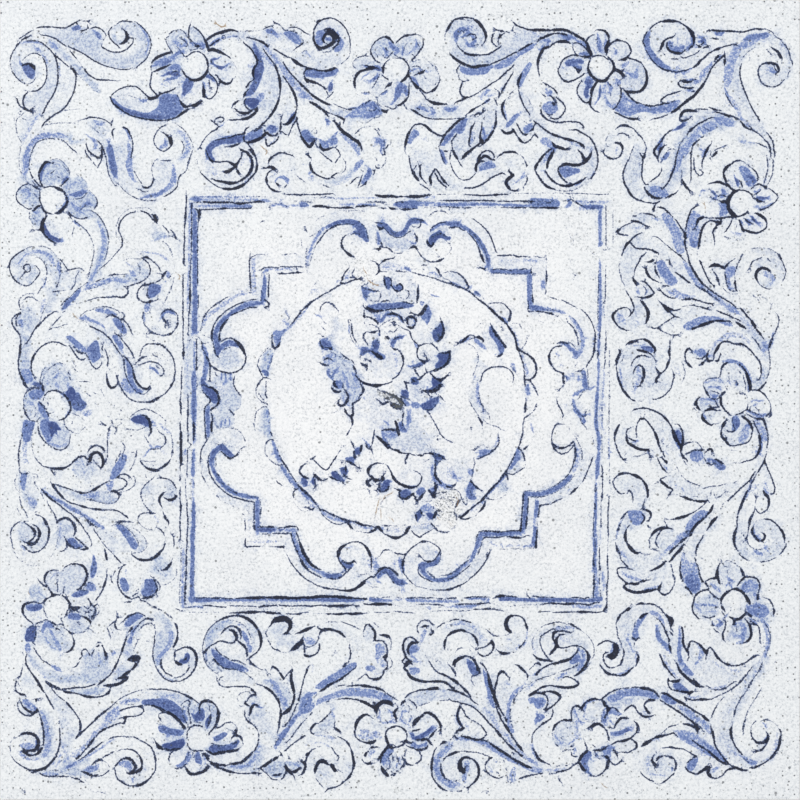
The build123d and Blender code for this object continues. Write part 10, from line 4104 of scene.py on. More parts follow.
def left_border_long_stem():
    """The stem down the left edge, from the upper flower to the middle one."""
    pen("19,299,1.8 19,305 20.5,309.5", 2, 0.75)
    faint("22.5,303 23.5,308", 1.8)
    pen("26,305 28,305.5|26,309 30,311", 2, 0.5)
    pen("20.5,312.5,1.6 15,315.5,1.8 12,319.5 12.5,325 15.5,329.5 18.5,333,2.2 20.5,338,2.4 20.5,346,2.8 "
        "20,353,2.6 18.5,360,2.4 18.5,367 20,374,2.2 22.5,379,2.8 25,385,2.6 28.5,388.5", 2, 0.85)
    pen("21,313,2.4 17.5,316 16,321,2.2 17,327", 2, 0.8)
    fill("18,322 21,319 24,322 23,327 20,327", 0.55)
    tint("20,313 27,306 38,308 38,322 30,334 24,340 21,338 17,328 17,318", 0.55)
    tint("21,340 30,336 30,356 31,366 34,378 40,382 30,384 22,378 19,366 21,352", 0.6)
    faint("22,311 25,314 25,318", 1.4, 0.4)
    brush("44,300 43,306,4.4 41,313,3", 5, 0.3)
    pen("46.5,304,1.2 44,309,1.4 42,315,1.6 39,322 37.5,326", 2, 0.5)
    pen("54.5,311.5,1.6 49,315 44.5,319,2 41,323,2 37.5,326.5|34.5,329.5,2 32,334 29.5,339|28,341,2 "
        "25,345,2.4", 2.2, 0.85)
    fill("62.5,309 65,304 69,300 71,300 70,304 66,308.5", 0.78)
    pen("60.5,306 65,301,2 68,298", 1.6, 0.7)
    faint("60,314 66,310.5", 1.6, 0.6)
    pen("60.5,316.5,1.6 57,320,2.2|55,322.5,1.8 51.5,326|49,330 51.5,328.5", 2, 0.78)
    faint("53,328 59,327 63,325 68,324", 1.5, 0.6)
    faint("45,336 50,338|33,345 37,343|47,341 52,336", 1.4, 0.4)
    pen("66,346 61,343.5,2.2 55,342 49,342.5 43,345.5 37.5,350.5,2 33.5,356.5,2.2 31.5,363,2 31.5,370,2.4 "
        "34.5,377.5,2.4", 1.8, 0.85)
    fill("21,371 25,368.5 29,369 32,374 34,379 30,383 26,383 22,378", 0.5)
    brush("24,360 24,367", 4, 0.2)
    fill("66,336.5 71,335.5 76,339.5 82,344.5 87,350 84,352.5 78,349 73,344.5 68,340", 0.62)
    tint("53,333 62,335 68,340 74,347 66,343 56,338", 0.5)
    fill("86.5,350 91,344 95,340.5 98.5,342 99.5,350 101,357 96,361 91.5,361.5 88,355", 0.72)
    brush("94,348 95,357", 3, 0.2)
    pen("71.5,348.5 75,354,2.2 79,359,2 83,360 86,358", 1.8, 0.85)
    pen("69,345.5 72,349,1.9|73,345,1.4 76.5,350,1.8 80.5,353,2.2 86,353,2", 1.6, 0.75)
    pen("86.5,354 89,360,2 92.5,366,1.8 96.5,369 100.5,366 102.5,361.5,2.2", 1.6, 0.82)
    brush("92,362 96,361.5,3", 2.6, 0.6)


def left_border_curled_leaf():
    """The long leaf that curls over towards the middle flower of the left side."""
    pen("102.5,345 102,349 103.5,352|101.5,357.5,2.4 103.5,356.5,2.4", 2, 0.7)
    pen("104.5,348.5 107,354.5,2 108,361,2.2 107,367,1.8", 1.4, 0.82)
    faint("107,368.5 110,370", 1.4, 0.4)
    pen("106.5,374,1.8 107,380,2.6 109,385.5 112,388,3 116,386 118,381.5,2.4 117,377,2.4", 2.8, 0.9)
    pen("118,381,1.6 121,388,1.8 125.5,395 131.5,400 138,402,1.8 146,402 152,401.5,2.8 158,398,2.8", 2, 0.85)
    faint("110,350 113,356 112,362|113,366 115,369", 1.6, 0.35)
    faint("80,317 83,313.5 88,310.5", 1.8, 0.6)
    faint("91,310 97,307.5 104,306.5 112,308 119,311.5", 1.8, 0.65)
    faint("120,311 124,314 123.5,318 120,319", 1.7, 0.6)
    fill("95.5,310.5 99,308 106,308.5 113,311.5 117.5,315 111,315 104,313 98,312", 0.6)
    pen("106,317.5,2.2 109,315 114,316 119.5,318.5,2.4", 3, 0.75)
    fill("112,319 117.5,318.5 122,322 126,328 127,333 123,334 119,330 115,325", 0.7)
    pen("120,318.5,1.6 125,321.5 129,326.5 131.5,333", 2, 0.82)
    pen("118,317.5,1.8 121.5,322.5 123,328.5 121,334.5,2.2", 2, 0.7)
    faint("119,334 123,336 128,333", 2)
    brush("80,318.5 84,317.5,4 90,320,3.4 96,322,3.4 101,325 106,328.5,2.4", 3, 0.5)
    faint("78,321 84,321 90,325", 1.4)
    pen("90,326.5 96,329,2.2 102,332 107,336 111.5,341,2.4 115.5,347,2.6 119.5,353,2.2", 2, 0.9)
    pen("120.5,354 123.5,361,2 124.5,369 126.5,377,2 130.5,384.5,2 136,391.5", 1.8, 0.78)
    pen("115,333,1.6 120,337,1.8 125,343.5 130.5,350.5 134.5,358,2", 2.2, 0.86)
    fill("112,336.5 116,335 120,339.5 123.5,346.5 121.5,350 117,345", 0.68)
    brush("121,350 125,356", 3, 0.36)
    pen("124,356,2 129,361.5 133,369,2.6 134,376,2.2 137,382.5 141.5,387.5 147,389 151,386.5,2.8", 2.4, 0.88)
    fill("125,358 129.5,363 132.5,371 133,379 137,386.5 143,391.5 138,394 132,389 128,380 127,369", 0.68)
    fill("121,382 125.5,377.5 129.5,384 133.5,392 130,393.5 125,391.5 121.5,387", 0.42)
    pen("136,391.5,1.8 142,394,2 147,392.5 151,388", 2.2, 0.7)
    faint("127,357.5 133,358.5", 1.4, 0.45)
    tint("92,328 108,332 120,346 130,362 134,380 146,392 132,396 122,386 120,362 108,342", 0.5)
    pen("148.5,343.5,1.6 144,346 141.5,350.5 140,356,1.8", 2, 0.8)
    pen("136,363,1.8 139.5,359.5,2.4 143,357.5,3 147,356|133,364,1.4 139,365,1.8 145,363 151,361.5", 2, 0.75)
    faint("138,349 137.5,354|150,366 150,376 150.5,385", 1.2, 0.35)


def left_middle_flower():
    """The flower half way down the left side."""
    tint("40,378 44,367 50,364 60,362 68,368 72,378 70,388 62,392 52,390 44,392", 0.55)
    pen("40,381,1.6 41.5,374 44.5,368 48,366,1.8", 2, 0.62)
    faint("41,385 44,377 47,371 50,368", 1.6)
    brush("46,378 49,386,4", 3, 0.3)
    pen("52,366.5 55,364.5,2.4", 1.6, 0.7)
    pen("57,363 61,363,1.6 64.5,365", 1.4, 0.62)
    brush("55,378,3 59,373,3.4|57,384 58,388|67,383,3.6 68,386", 4, 0.42)
    faint("53,374 57,371|52,382 55,378|60,378 59,372", 1.4, 0.45)
    pen("68,372.5 69,373.5|70,378 71,379|84.5,381.5 85.5,381.5", 2.6, 0.9)
    fill("57,391 62,393 66,392 70,386.5 75,390 75,396 71.5,401 67,398 62,395")
    brush("70,390 71,396", 5)
    fill("71,399 75,394 79,393 82,399 87,404 84,409 79,411 73,408.5", 0.8)
    pen("77,402,1.8 80,406 84,404|79,395 81,400|74,405 78,408", 2, 0.65)
    fill("82,413 86,410.5 91,409.5 92,413 88,416.5 84,416", 0.38)
    pen("43,401,1.8 44.5,396 48.5,391.5 54.5,390.5 61,392.5,2.4 66,396.5,2.6 69.5,402,2.6 70.5,408,2.8 "
        "68.5,414,2.6 64,418.5,2.2 58,420.5", 2, 0.9)
    pen("71,409 72,411", 3, 0.7)
    brush("69,412 66,417", 4, 0.55)
    pen("46.5,411 49,417,2", 1.8, 0.8)
    pen("49.5,413.5 51.5,413|47,409 48,409.5|48.5,404 49,405", 2.4, 0.85)
    faint("72,413.5 79,416 84,420.5 85.5,426 82,430.5", 1.8, 0.42)
    faint("80,431 75,429.5 72,425 73,419", 1.5, 0.36)
    pen("64,420 65,426,2.4 69,430.5,2", 1.8, 0.7)
    faint("71,431 76,433.5 82,433", 2.4)
    pen("38,424,1.8 38.5,431,2 41.5,437.5 46.5,443.5,2 53,448 60,450,2.6 66,448 70,442,1.8", 2.2, 0.8)
    pen("70,438 70.5,433", 1.8, 0.6)
    fill("41,421 47,417 50,424 50,432 52,439 48,442 43,435 40,428", 0.64)
    fill("48,422 54,421.5 58,425 61.5,430.5 57,430.5 58.5,437 54.5,433 52,439 49.5,431")
    brush("50,424 53,429")
    brush("46,440 54,445,3.4 62,446.5 67,443", 3, 0.4)
    tint("42,420 60,422 70,430 69,442 60,449 48,444 40,434", 0.5)
    pen("23.5,402 24,409,2 27,416,2.2 31.5,420.5,1.8 36,421,1.8 40,417.5", 1.6, 0.8)
    fill("38,402 42,403 46,410 49,417 45,419 41,414 38,409", 0.62)
    pen("39,402 43,406,2.4 46,411,2", 2.2, 0.75)
    pen("34,406 36,409|30,412 33,410|35,416 37,413", 1.8, 0.55)
    brush("27,403 34,404", 4, 0.36)
    tint("24,400 36,400 44,412 46,418 36,420 28,416", 0.5)
    pen("24.5,395,1.6 28,390.5 34,388,2.2 40,388.5", 2, 0.78)
    fill("29,393 35,389.5 41,391 42.5,397 38,400 31,399", 0.64)
    tint("22,401 25,394 32,391 36,400 28,404", 0.6)
    fill("30,384 36,382 41,384 44,390 43,396 40,389 35,386", 0.8)
    pen("40,382.5 42.5,386.5,3 43.5,391.5,2.6", 2.4, 0.88)
    pen("30,389 34,386,2 38,384.5,2.2", 1.8, 0.6)


def left_border_middle_stems():
    """The stems that leave the middle flower."""
    fill("24,420 30,421 35,421 33.5,429 31.5,436 30,441.5 24,441.5 22,432", 0.66)
    pen("25,427,1.6 28,424|22.5,433,1.8 20.5,441 19,449,2.4 18.5,457,2.2 19,463", 2, 0.82)
    faint("33,424 32.5,432 31.5,440 32,448,1.8 34,455,1.8 36.5,461", 1.6, 0.6)
    brush("25,442,4.6 24.5,452 25,462", 5, 0.3)
    pen("111.5,424,2 109,429.5 107.5,437 107.5,447 107.5,456,2.6 106,462", 2.4, 0.66)
    brush("110,430 108,440", 2, 0.4)
    pen("112,421.5,1.6 114,426 117,430,2.2 115,433", 1.9, 0.72)
    faint("113,427 118,428|118,419 124,420|119,425 122,423", 1.6, 0.6)
    faint("131,416 137,411.5 144.5,409 152,411 158,414.5", 1.8, 0.65)
    fill("130.5,419.5 134,416.5 141,415 147.5,418 150.5,424 147,427 142,424.5 137,423.5 133,422")
    brush("136,419 142,420,4.6 147,423")
    pen("141,414.5 147,417.5,2.8 150,423,3 151,430,2.4 149,437,2.6", 2, 0.88)
    brush("151,420 156,426,4", 3, 0.32)
    pen("128,429.5 134,430|131,436 131.5,437", 2, 0.55)
    faint("139,430 146,426.5|145,437 148,442 150,444", 1.6, 0.6)
    brush("145.5,455 148,451,2.8 153,448,2.6 160,446", 2.4, 0.62)
    pen("122,442,1.6 125,447,2.2 123.5,452 122,458", 2, 0.72)
    brush("123,455 124,460", 4.6, 0.66)
    pen("88,452,1.8 90,448,2.4 94,446 99,446 103,449 105,453,1.8", 2, 0.82)
    pen("90,461,2.4 91,456 94,453,3 98,452.5,3 101.5,455.5 103,461,2.6", 2.8, 0.95)
    pen("75,461 79,456.5,2.4 84,456.5 88,460,1.8", 2, 0.85)
    faint("130,452 136,453.5 136,459", 1.8, 0.45)
    faint("74,364 77,367|73,367 75,370|93,392 97,395|101,390 103,394|96,404 97,406|86,393 92,397", 1.5, 0.6)
    faint("104,404 110,402|112,405 116,406|117,409 122,410|106,416 110,417|119,414 121,416", 1.3, 0.42)
    pen("106,425.5 107,426", 2.2, 0.85)


def left_edge_worn_stem():
    """The rubbed end of the stem on the left edge."""
    pen("18.5,458 19,464,2.2 19.5,470", 2, 0.7)
    faint("17.5,473 15.5,479 15,485 17.5,490.5 21.5,494", 1.6)
    fill("21,473.5 27,473 26.5,480 25.5,487 24,491.5 21,487 20,480", 0.6)
    pen("20.5,472.5 23,474 28,473.5", 1.9, 0.7)
    faint("24,493.5 28.5,496 25,500", 1.6)
    fill("28,496 34,499 37.5,504 34,508 29,504", 0.42)
    faint("20,499 21,505|22.5,508 26.5,513.5", 2, 0.7)
    faint("17,503 17.5,509 21,515.5", 1.4, 0.45)
    faint("34,513 38,510.5|33,508 37,507", 1.6)
    faint("33,474 37,474.5 38,480|34,478,1.8 35,484,2.2|36.5,486 39.5,491|41,493 43.5,498.5", 1.7, 0.55)
    faint("34,456 39,463", 1.6)
    tint("20,472 28,474 30,492 38,502 34,510 26,504 22,494 18,484", 0.45)


def left_border_crescent():
    """The wide leaf under the middle flower of the left side."""
    pen("43,466,1.8 50,468,2.2 58,468.8,3 65,467.5,2.4 70,465 74.5,460.5 79.5,456.8,2.4 84,456.5"
        " 87,459,2.2", 2, 0.9)
    pen("51,470 53,472.5", 2, 0.8)
    pen("89,460,2.2 91.5,455.5,2.8 95.5,452.5 99.5,453.5 102.5,458 103.5,463,3.4 101.5,468,2.8", 3.2, 0.96)
    pen("107,456 106,459.5 104,462,1.8", 2, 0.7)
    pen("90.5,446 94,445 99,445.5|103,448,1.8 106,452", 1.6, 0.5)
    brush("74,462,4 80,460,4 84,466,4|74,468 72,472|83,470 85,475", 3, 0.24)
    faint("92.5,460 96,463 97.5,467", 1.7, 0.6)
    faint("70,477 74,475 77,477 73.5,478.5", 1.4, 0.45)
    tint("72,462 84,458 90,462 96,458 101,466 98,476 84,480 74,474", 0.5)
    fill("110,479 112.5,469 118,460 123,454 127,456 126,463 121.5,471 116,478", 0.62)
    pen("121,451,1.8 118.5,457,2|117,459 114.5,463", 1.9, 0.75)
    brush("113,468 112,476", 2.4, 0.4)
    faint("136.5,451 135.5,458|134.5,461 133,466|131.5,468 129.5,471", 1.9, 0.62)
    faint("138.5,457 143,460.5 151,462", 1.7, 0.55)
    pen("140,461 144,466,2.2 149,469,2.4 155,470.5,3 160,469.5,2.6", 1.8, 0.85)


def left_border_folded_curl():
    """The small folded curl at the crescent's end, and the long lines under it."""
    pen("116,478 120,475,2.2 124.5,474,2.6 128,475.5,2.6 130,477.5", 1.8, 0.88)
    faint("118,478 124,479 127,482.5 125.5,486 121.5,489,1.8 117,490.5,2.2", 2, 0.82)
    pen("134.5,477 135.5,482,1.8 132.5,487,1.6 126,491 119,492.5,1.6", 1.4, 0.7)
    pen("108,493 113.5,491,2.4 117.5,493,2.6 121,495.5,2", 1.8, 0.8)
    pen("114.5,491 119,495.5,2.6 118,499.5,2.4", 1.8, 0.85)
    fill("107,483 113.5,481 113,487 109.5,492 107,489", 0.5)
    pen("52,484 60,486 68,488.5,2 75,491,2.4 82,493,2.4 90,491.8,2.6 97,488,2.6 103,484,2.2"
        " 109.5,481,2", 1.8, 0.9)
    faint("73,482 79,486.5 86,488 93,485", 1.2, 0.35)
    fill("74,491.5 82,494 90,493 99,492 99,496 91,498.5 83,496.5", 0.45)
    faint("85,499 92,500 98,501.5 105,503.5 112,503 119,500", 1.9, 0.62)
    pen("50.5,482,1.8 55,488.5,2.8 60,494.5,2.6 65,499.5,2.2 71,503 78,505 86,507.5,2.2 95,509,2.4 "
        "103,510,2.6 112,510 118,511 124,515 129.5,518.5,1.8", 2, 0.88)
    faint("53,484 60,485|96,500 99,503|76,494 82,498", 1.5, 0.4)
    tint("60,487 84,494 104,490 118,498 112,504 96,502 82,500 66,494", 0.55)


def left_border_rising_stems():
    """The stems that rise from the lower flower to the crescent."""
    brush("42,490,3.4 50,496 60,501.5,3.8 70,507.5,4 80,513,4.4 88,518,4 96,523.5 105,529,3", 3.6, 0.56)
    brush("42,490 48,495", 3, 0.4)
    pen("40.5,488,1.6 45,493 50,498,2.4 58,504,2.4 66,510.5,2.4 72,514.5 78,521 83.5,527.5,2", 2.2, 0.85)
    pen("84,529 88,535,1.8|89,536 91,541|91.5,542 92,546", 1.9, 0.75)
    pen("80,513,1.4 86,518.5 92,524,2.4 97,527.5", 2, 0.72)
    pen("88,523,1.4 91,526|94,530,1.8 98,535.5,2|99,537,1.8 101,540", 1.9, 0.85)
    faint("101,540 106,547 112,552.5", 1.5, 0.65)
    pen("113,554 117,558.5,2 121,563,2.4", 1.4, 0.85)
    pen("104.5,549 106,555.5,2.2 107,561,2.8", 1.6, 0.88)
    faint("102,530 107,533.5|109,535 113,537|115,538 119,538.5", 1.3, 0.45)
    faint("113,527 118,530 122,533", 1.1, 0.3)
    tint("84,516 100,526 118,540 118,556 106,548 96,534 86,524", 0.35)
    pen("115,522 121,521.5,2.4 127,521.5,2.2 133,522.5,1.6", 1.4, 0.75)
    pen("113,525 119,524,2 124,526,2 129.5,530 134.5,536 138,542 138.5,547,1.6", 1.8, 0.6)
    fill("116,525.5 122,525 128,530 133.5,537.5 138,545 136,549.5 131.5,548 127,540.5 121,532.5", 0.72)
    faint("133,528 139,531.5 144,537 147,543.5 145.5,549 141,552 132,553", 1.7)
    pen("146.5,540.5 147,544", 2.2, 0.7)
    pen("131.5,554,1.6 136,558,2 142,560,2.6 149,560,2.8 155,557.5 160,553.5", 3.2, 0.9)
    tint("128,528 140,534 146,544 142,552 136,552 140,544 134,534", 0.45)
    pen("138,519,1.8 139.5,515,2.2 143.5,513 150,513 156,513.5,2", 2.6, 0.8)
    faint("138,521 141.5,526 147,529 153,530", 1.6, 0.55)
    faint("157,527.5 160,529", 2, 0.6)
    faint("153,478.5 149,481|147,483 143,488", 1.8, 0.68)
    faint("141.5,490 141,496 143,502", 2, 0.65)
    pen("145,505.5,2 148,509,2.4|149,510 151,511", 2.2, 0.75)
    tint("142,490 150,482 154,490 152,506 146,504", 0.5)
    pen("146,477.5 147,478.5|147.5,531.5 148,532", 1.8, 0.8)


def left_edge_spiral():
    """The spiral beside the lower flower of the left side."""
    pen("21,521 15.5,524,2 12,528.5,2.2 10.5,532,2.4", 1.4, 0.75)
    pen("10.5,535 11,539|12,543 13,548|13.5,550 15,554", 1.8, 0.62)
    pen("17.5,558 18.5,558", 2.2, 0.8)
    faint("20,560 24,562|27,565 37,566", 1.3, 0.45)
    faint("23,521 29,521", 1.6, 0.55)
    pen("25,523,1.6 30,526.5,2 34.5,531,2.6 34.5,536 31.5,540.5 27,543,2.4 23.5,541.5", 2.2, 0.88)
    pen("32,524,1.6 37,527 39.5,532,3.4 38.5,538.5,3.6 34.5,543.5,3.4 29,544.5 24,542,2", 2.8, 0.85)
    pen("36,515,2.6 40.5,515.5,2|42,517,2.2 45,520.5 47,526.5", 3, 0.8)
    pen("49,528,1.8 49,535 46.5,543.5 41,550,2.2 34,552.5 28,550.5,2 24,546.5,1.6", 2.4, 0.86)
    pen("22,545 28,549,2.2", 1.4, 0.7)
    brush("21,546 25,550", 3, 0.4)
    tint("14,528 24,522 34,532 30,540 22,544 14,538", 0.5)
    faint("24,538 28,536|22,539 24,542", 1.4)
    tint("24,524 38,526 46,520 48,536 44,548 34,552 26,548 36,544 40,534 36,528", 0.4)


def left_border_hooked_leaf():
    """The hooked leaf above the lower flower of the left side."""
    faint("47.5,503 50,507|51,509 53.5,513.5", 1.7, 0.7)
    pen("55,515 56.5,520 57,524,2", 2.2, 0.8)
    pen("56.5,524,1.8 60,519.5 65,518,3 70,520,3 74,524.5 75.5,530.5 74,536,2.4", 2.8, 0.78)
    brush("61,523,3 60,531 62,538", 3.4, 0.32)
    faint("58,527 58.5,532|58,537 57.5,541", 1.8)
    pen("64.5,537 67,542,2.6 71,546,2.4 75,548.5,2.2 81,547.5,2", 1.8, 0.8)
    fill("67,540 73,538 78,542 83.5,547 76,548.5 70.5,545.5", 0.78)
    pen("76,538 80.5,541.5,2.4 85,545.5,2", 1.6, 0.88)
    pen("85,546,2.3 88,548.5 84,549.5 80,550,2", 2.4, 0.85)
    pen("66,543 67.5,547,2.6 64,550", 2, 0.7)
    pen("61,551.5 64.5,550.5,2", 1.8, 0.8)
    faint("57,544 55,550|53,554 50,558", 1.5, 0.4)
    tint("58,524 62,520 72,524 73,534 66,538 62,546 56,548", 0.5)


def left_border_lower_leaf_shades():
    """The dark blades between the stems and the lower flower."""
    fill("93,554 96,560 97,568 95.5,575 91.5,578.5 90,571 92,562", 0.72)
    pen("94,560,1.2 93,567,2 90.5,573|95,570 93,575", 1.6, 0.6)
    pen("84.5,583 86,579,2.6 89.5,577,2.2", 1.8, 0.8)
    fill("84,585 89.5,582 94,583.5 96,590 92.5,591.5 87,589", 0.62)
    fill("71,595.5 77,591.5 86,589.5 89,592.5 81,596.5 75,597.5", 0.78)
    pen("76,590 80,589.5 86,591|88,583 93,584", 2, 0.7)
    faint("107,570 106.5,575", 1.8, 0.55)
    pen("106.5,578 105,583,2.2 103,588.5,2.4|102,591 99,596.5,2.2 97,598.5", 2, 0.85)
    faint("97,576 100,577|99,583 99,584", 1.4)
    pen("121,566,1.4 117,569|115.5,571,1.6 112.5,575.5,2|111,578,2.2 111.5,582|112.5,583,1.9"
        " 113.5,585,1.9", 1.8, 0.72)
    pen("123.5,565.5,1.6 119.5,571,1.8 118,578 118,585 121,591.5 126,596.5 132,599,2", 2.4, 0.86)
    fill("120,578.5 125,578 128,583.5 129,590 124,591.5 120.5,586", 0.68)
    brush("126,570 127,575", 3.6, 0.3)
    pen("132.5,599 137.5,597,2.4 140,598.5,1.8|133,596 136.5,593.5|136,591 138.5,589.5", 2, 0.75)
    fill("145,579.5 150,579 155,584 156,590 151.5,595 146,597 141,593 144,587.5", 0.66)
    brush("142,584 142,594,3.4", 3, 0.3)
    pen("152,577 155.5,583,2 157,590,2.4 153,596,2.8 147,598,2.8 142,597", 1.8, 0.86)
    pen("124.5,602 132,602,1.9|140,600,1.8 146,602,2.2", 1.6, 0.75)
    faint("156,566.5 158.5,572|138,590 137,597", 1.6, 0.55)


def left_lower_flower_top():
    """The upper petals of the lower flower on the left side."""
    tint("45,582 46,574 52,570 60,572 66,567 78,564 86,572 84,584 76,592 64,594 52,592", 0.45)
    pen("44.5,582 45,576 48.5,571.5 55,570,2|44.5,580,1.8 46,584 48.5,587.5,2.4 43,584.5,2"
        " 38.5,580.5,1.8", 2.2, 0.82)
    faint("40,583 45,588", 1.5)
    pen("65,567,1.8 68,565.5,2.1|71,564 77,564", 2.4, 0.8)
    pen("79,564.5,1.8 83,566,2.8 86,570.5,3.2 87,576,3 86,581,2.6 83.5,584.5 81.5,587", 2.2, 0.95)
    faint("58,576 60,572|57,573 56,577|62,571 65,570", 1.5)
    brush("52,577 56,573|64,583 68,580,2.4", 3, 0.24)
    pen("57.5,585,1.8 57.5,593|64,587,1.6 63,593", 2, 0.68)
    pen("50.5,591 52.5,594,3.4 54.5,596", 2.4, 0.85)
    pen("44,603 47,599,2.4 52.5,596 59,594.8 64.5,597,2.6 69,602,2.8 70,609,2.6", 2.2, 0.9)
    pen("60,595 65,594,1.8 68,598,2", 1.6, 0.6)
    tint("29,588 37,584 43,590 45,597 38,601 31,598", 0.75)
    brush("38,588 40,594", 3, 0.26)
    faint("29,586 34,583|28,594 31,599", 1.3, 0.35)
    pen("46,598 44,602", 2.4, 0.7)


def left_border_folded_leaves():
    """The two leaves that reach from the left border towards the frame."""
    faint("20,300 22.5,296 26.5,294|30,293.5 34.5,294.5", 1.9, 0.6)
    faint("24,299.5 28,297 34,298 38,301.5", 2, 0.7)
    faint("51,300 54.5,296|86,276 90,270", 1.6, 0.4)
    pen("96,281.5 99,280|101,279.5,1.8 106,277|108,276,1.8 114,274.5,2 119,274.5,1.6|121,274.5"
        " 127,274", 1.9, 0.75)
    brush("87,288 93,286 100,283.5 107,281 114,279,4.6 122,281,4.6 128,281,4", 5, 0.42)
    faint("89,289 97,286.5 104,284 112,283", 1.5)
    pen("128,286.5,1.8 134,284.5 141,282 147,278,2.2 150,273,2.2 150,267 147.5,262.5 143,259", 2, 0.82)
    pen("141.5,258 146,257,2.8 150,259", 2, 0.88)
    faint("124,260 131,258|133,258.5 139,259", 1.7, 0.55)
    pen("137,263,1.2 139.5,267 140,272.5 137.5,277,1.4", 1.8, 0.6)
    fill("129.5,270 133.5,271 136.5,275.5 132,276.5 129.5,274", 0.5)
    brush("127.5,263 130,266,2.4", 3, 0.4)
    pen("133,279 137,278.5|134,281 139,279", 1.6, 0.4)
    brush("143,252 151,253", 3, 0.34)
    tint("100,282 112,276 126,275 140,262 149,268 148,276 138,282 126,284 110,284 98,287", 0.55)
    pen("124,286.5 128,289.5,2.2 127.5,294,2.4 122.5,297.5,2.8 115,296.5,2.6 108,297.5,2.2"
        " 100,297", 1.8, 0.86)
    pen("99,297.5 95,298|93,299,1.8 88.5,300.5,2", 1.9, 0.75)
    faint("79,303 87,301|75,305 78,303", 1.5, 0.4)
    pen("150,284.5,1.8 144.5,284.5 139.5,288.5 137,294 139,299.5,2.6 144.5,302.5,2.6 151,302,2.2", 2.4, 0.86)
    pen("148,289.5,1.6 147,295 150.5,300", 2.2, 0.78)
    faint("143,290 145,287 149,286", 1.4)
    fill("145,304 150,303.5 150.5,308 147,312 144,311", 0.5)
    pen("150,303 150.5,307 150,312", 2, 0.62)
    faint("143,312,2 143,319 145.5,326 150.5,331.5 158,335,2.4", 2.2, 0.68)
    brush("144,313 144,321,2.8", 2.6, 0.5)
    faint("148,327 153,331 157,332", 1.2, 0.3)
    tint("60,290 66,282 76,272 84,268 76,284 70,290", 0.35)


def left_lower_flower():
    """The lower petals of the lower flower on the left side."""
    pen("25,603.5 22.5,608,3 23.5,614 27.5,619.5,2.4 33,623.5,2.2", 2.6, 0.92)
    pen("36,624 40,622|43,621,2 46.5,619,2.4", 2.1, 0.75)
    pen("25,604 30,602.5 36,602,2.2 41,603.5,2 44.5,600,2.4", 2.6, 0.85)
    fill("26,606 33,604 41,604 42.5,608 37,611 28,610.5", 0.74)
    brush("33,608 39,607", 4, 0.85)
    pen("31.5,616 35.5,614,2", 1.8, 0.6)
    brush("38,617 43,618", 3, 0.25)
    pen("44,605,1.6 44,610.5 47,616.5", 1.8, 0.75)
    pen("69.5,602 69,607,2.4 66.5,612,2|67,612,1.6 65,617,2.3", 2.6, 0.85)
    pen("71,603 71,609,2 67.5,616", 1.8, 0.6)
    blot("71,607 76,606 81,606.5 80,609 75,611.5 71,610.5", 0.8)
    fill("68,614.5 74,613 81,615 80,619.5 73,620 68,618", 0.74)
    pen("69,612 75,612.5|77,611.5 82,613|84,611 90,613", 1.8, 0.6)
    faint("84,606 88,608.5 92,604|86,613 91,610 94,613|89,616 91,618", 2, 0.7)
    pen("89.5,601,2.2 93,606 97,604.5,2|95,607 95.5,612,2.4 92,617,2", 2.6, 0.82)
    pen("99,607 98.5,613,1.8 93.5,618,2", 1.4, 0.65)
    pen("80.5,616 85.5,617.5,2.8 89.5,620.5,3 92,624,2", 1.8, 0.95)
    pen("77.5,622.5 78.5,623|89,628.5 90,629", 2.4, 0.75)
    faint("61.5,620 64,626|66,629 70,632.5|72,633.5 78,633|81,632.5 86,631.5", 2, 0.62)
    tint("68,614 80,606 96,608 96,616 84,620 90,630 76,634 66,626", 0.5)
    pen("47,620,1.6 52,622.5,2.6 56,625|58,624.5 62.5,624", 2.2, 0.8)
    fill("41,628 46,621 52,622 53.5,629 47,627 42.5,633", 0.62)
    pen("53,626 56,629|57,628,2.4 60,630,2|63,625 64,629", 2.3, 0.65)
    brush("50,630 53.5,636,3.6 57,643,4 61.5,651,3.4", 3, 0.48)
    brush("43,632 46,640 51,646,3.4 57,649,3.4", 3, 0.3)
    pen("70,632.5 71.5,634,2.4", 3, 0.8)
    pen("73,638 74,641,3 73.5,646,2.4 70.5,650.5,2.2 65,653,1.8", 2.8, 0.92)
    faint("61,632 63,636|42,650 48,647", 1.2, 0.4)
    tint("40,636 46,624 58,624 70,636 72,646 64,652 52,650 44,642", 0.5)
    fill("27,629 31,626 36.5,627 35.5,634 35,641 29,641.5 25,640.5 25.5,634", 0.95)
    pen("35.5,628,2 35.5,635,2.8 34,641,2.4|29,628 33,626 40,626.5,1.8|39.5,631 40.5,632", 2.2, 0.7)
    fill("25,644 29.5,644 31,650 28,653.5 25,650", 0.5)
    pen("33,643 35.5,645.5|34,648,1.8 36.5,652,2.4 37.5,654.5,2|39,656 41,658.5", 2.1, 0.75)
    pen("22.5,653 23,654", 2, 0.6)


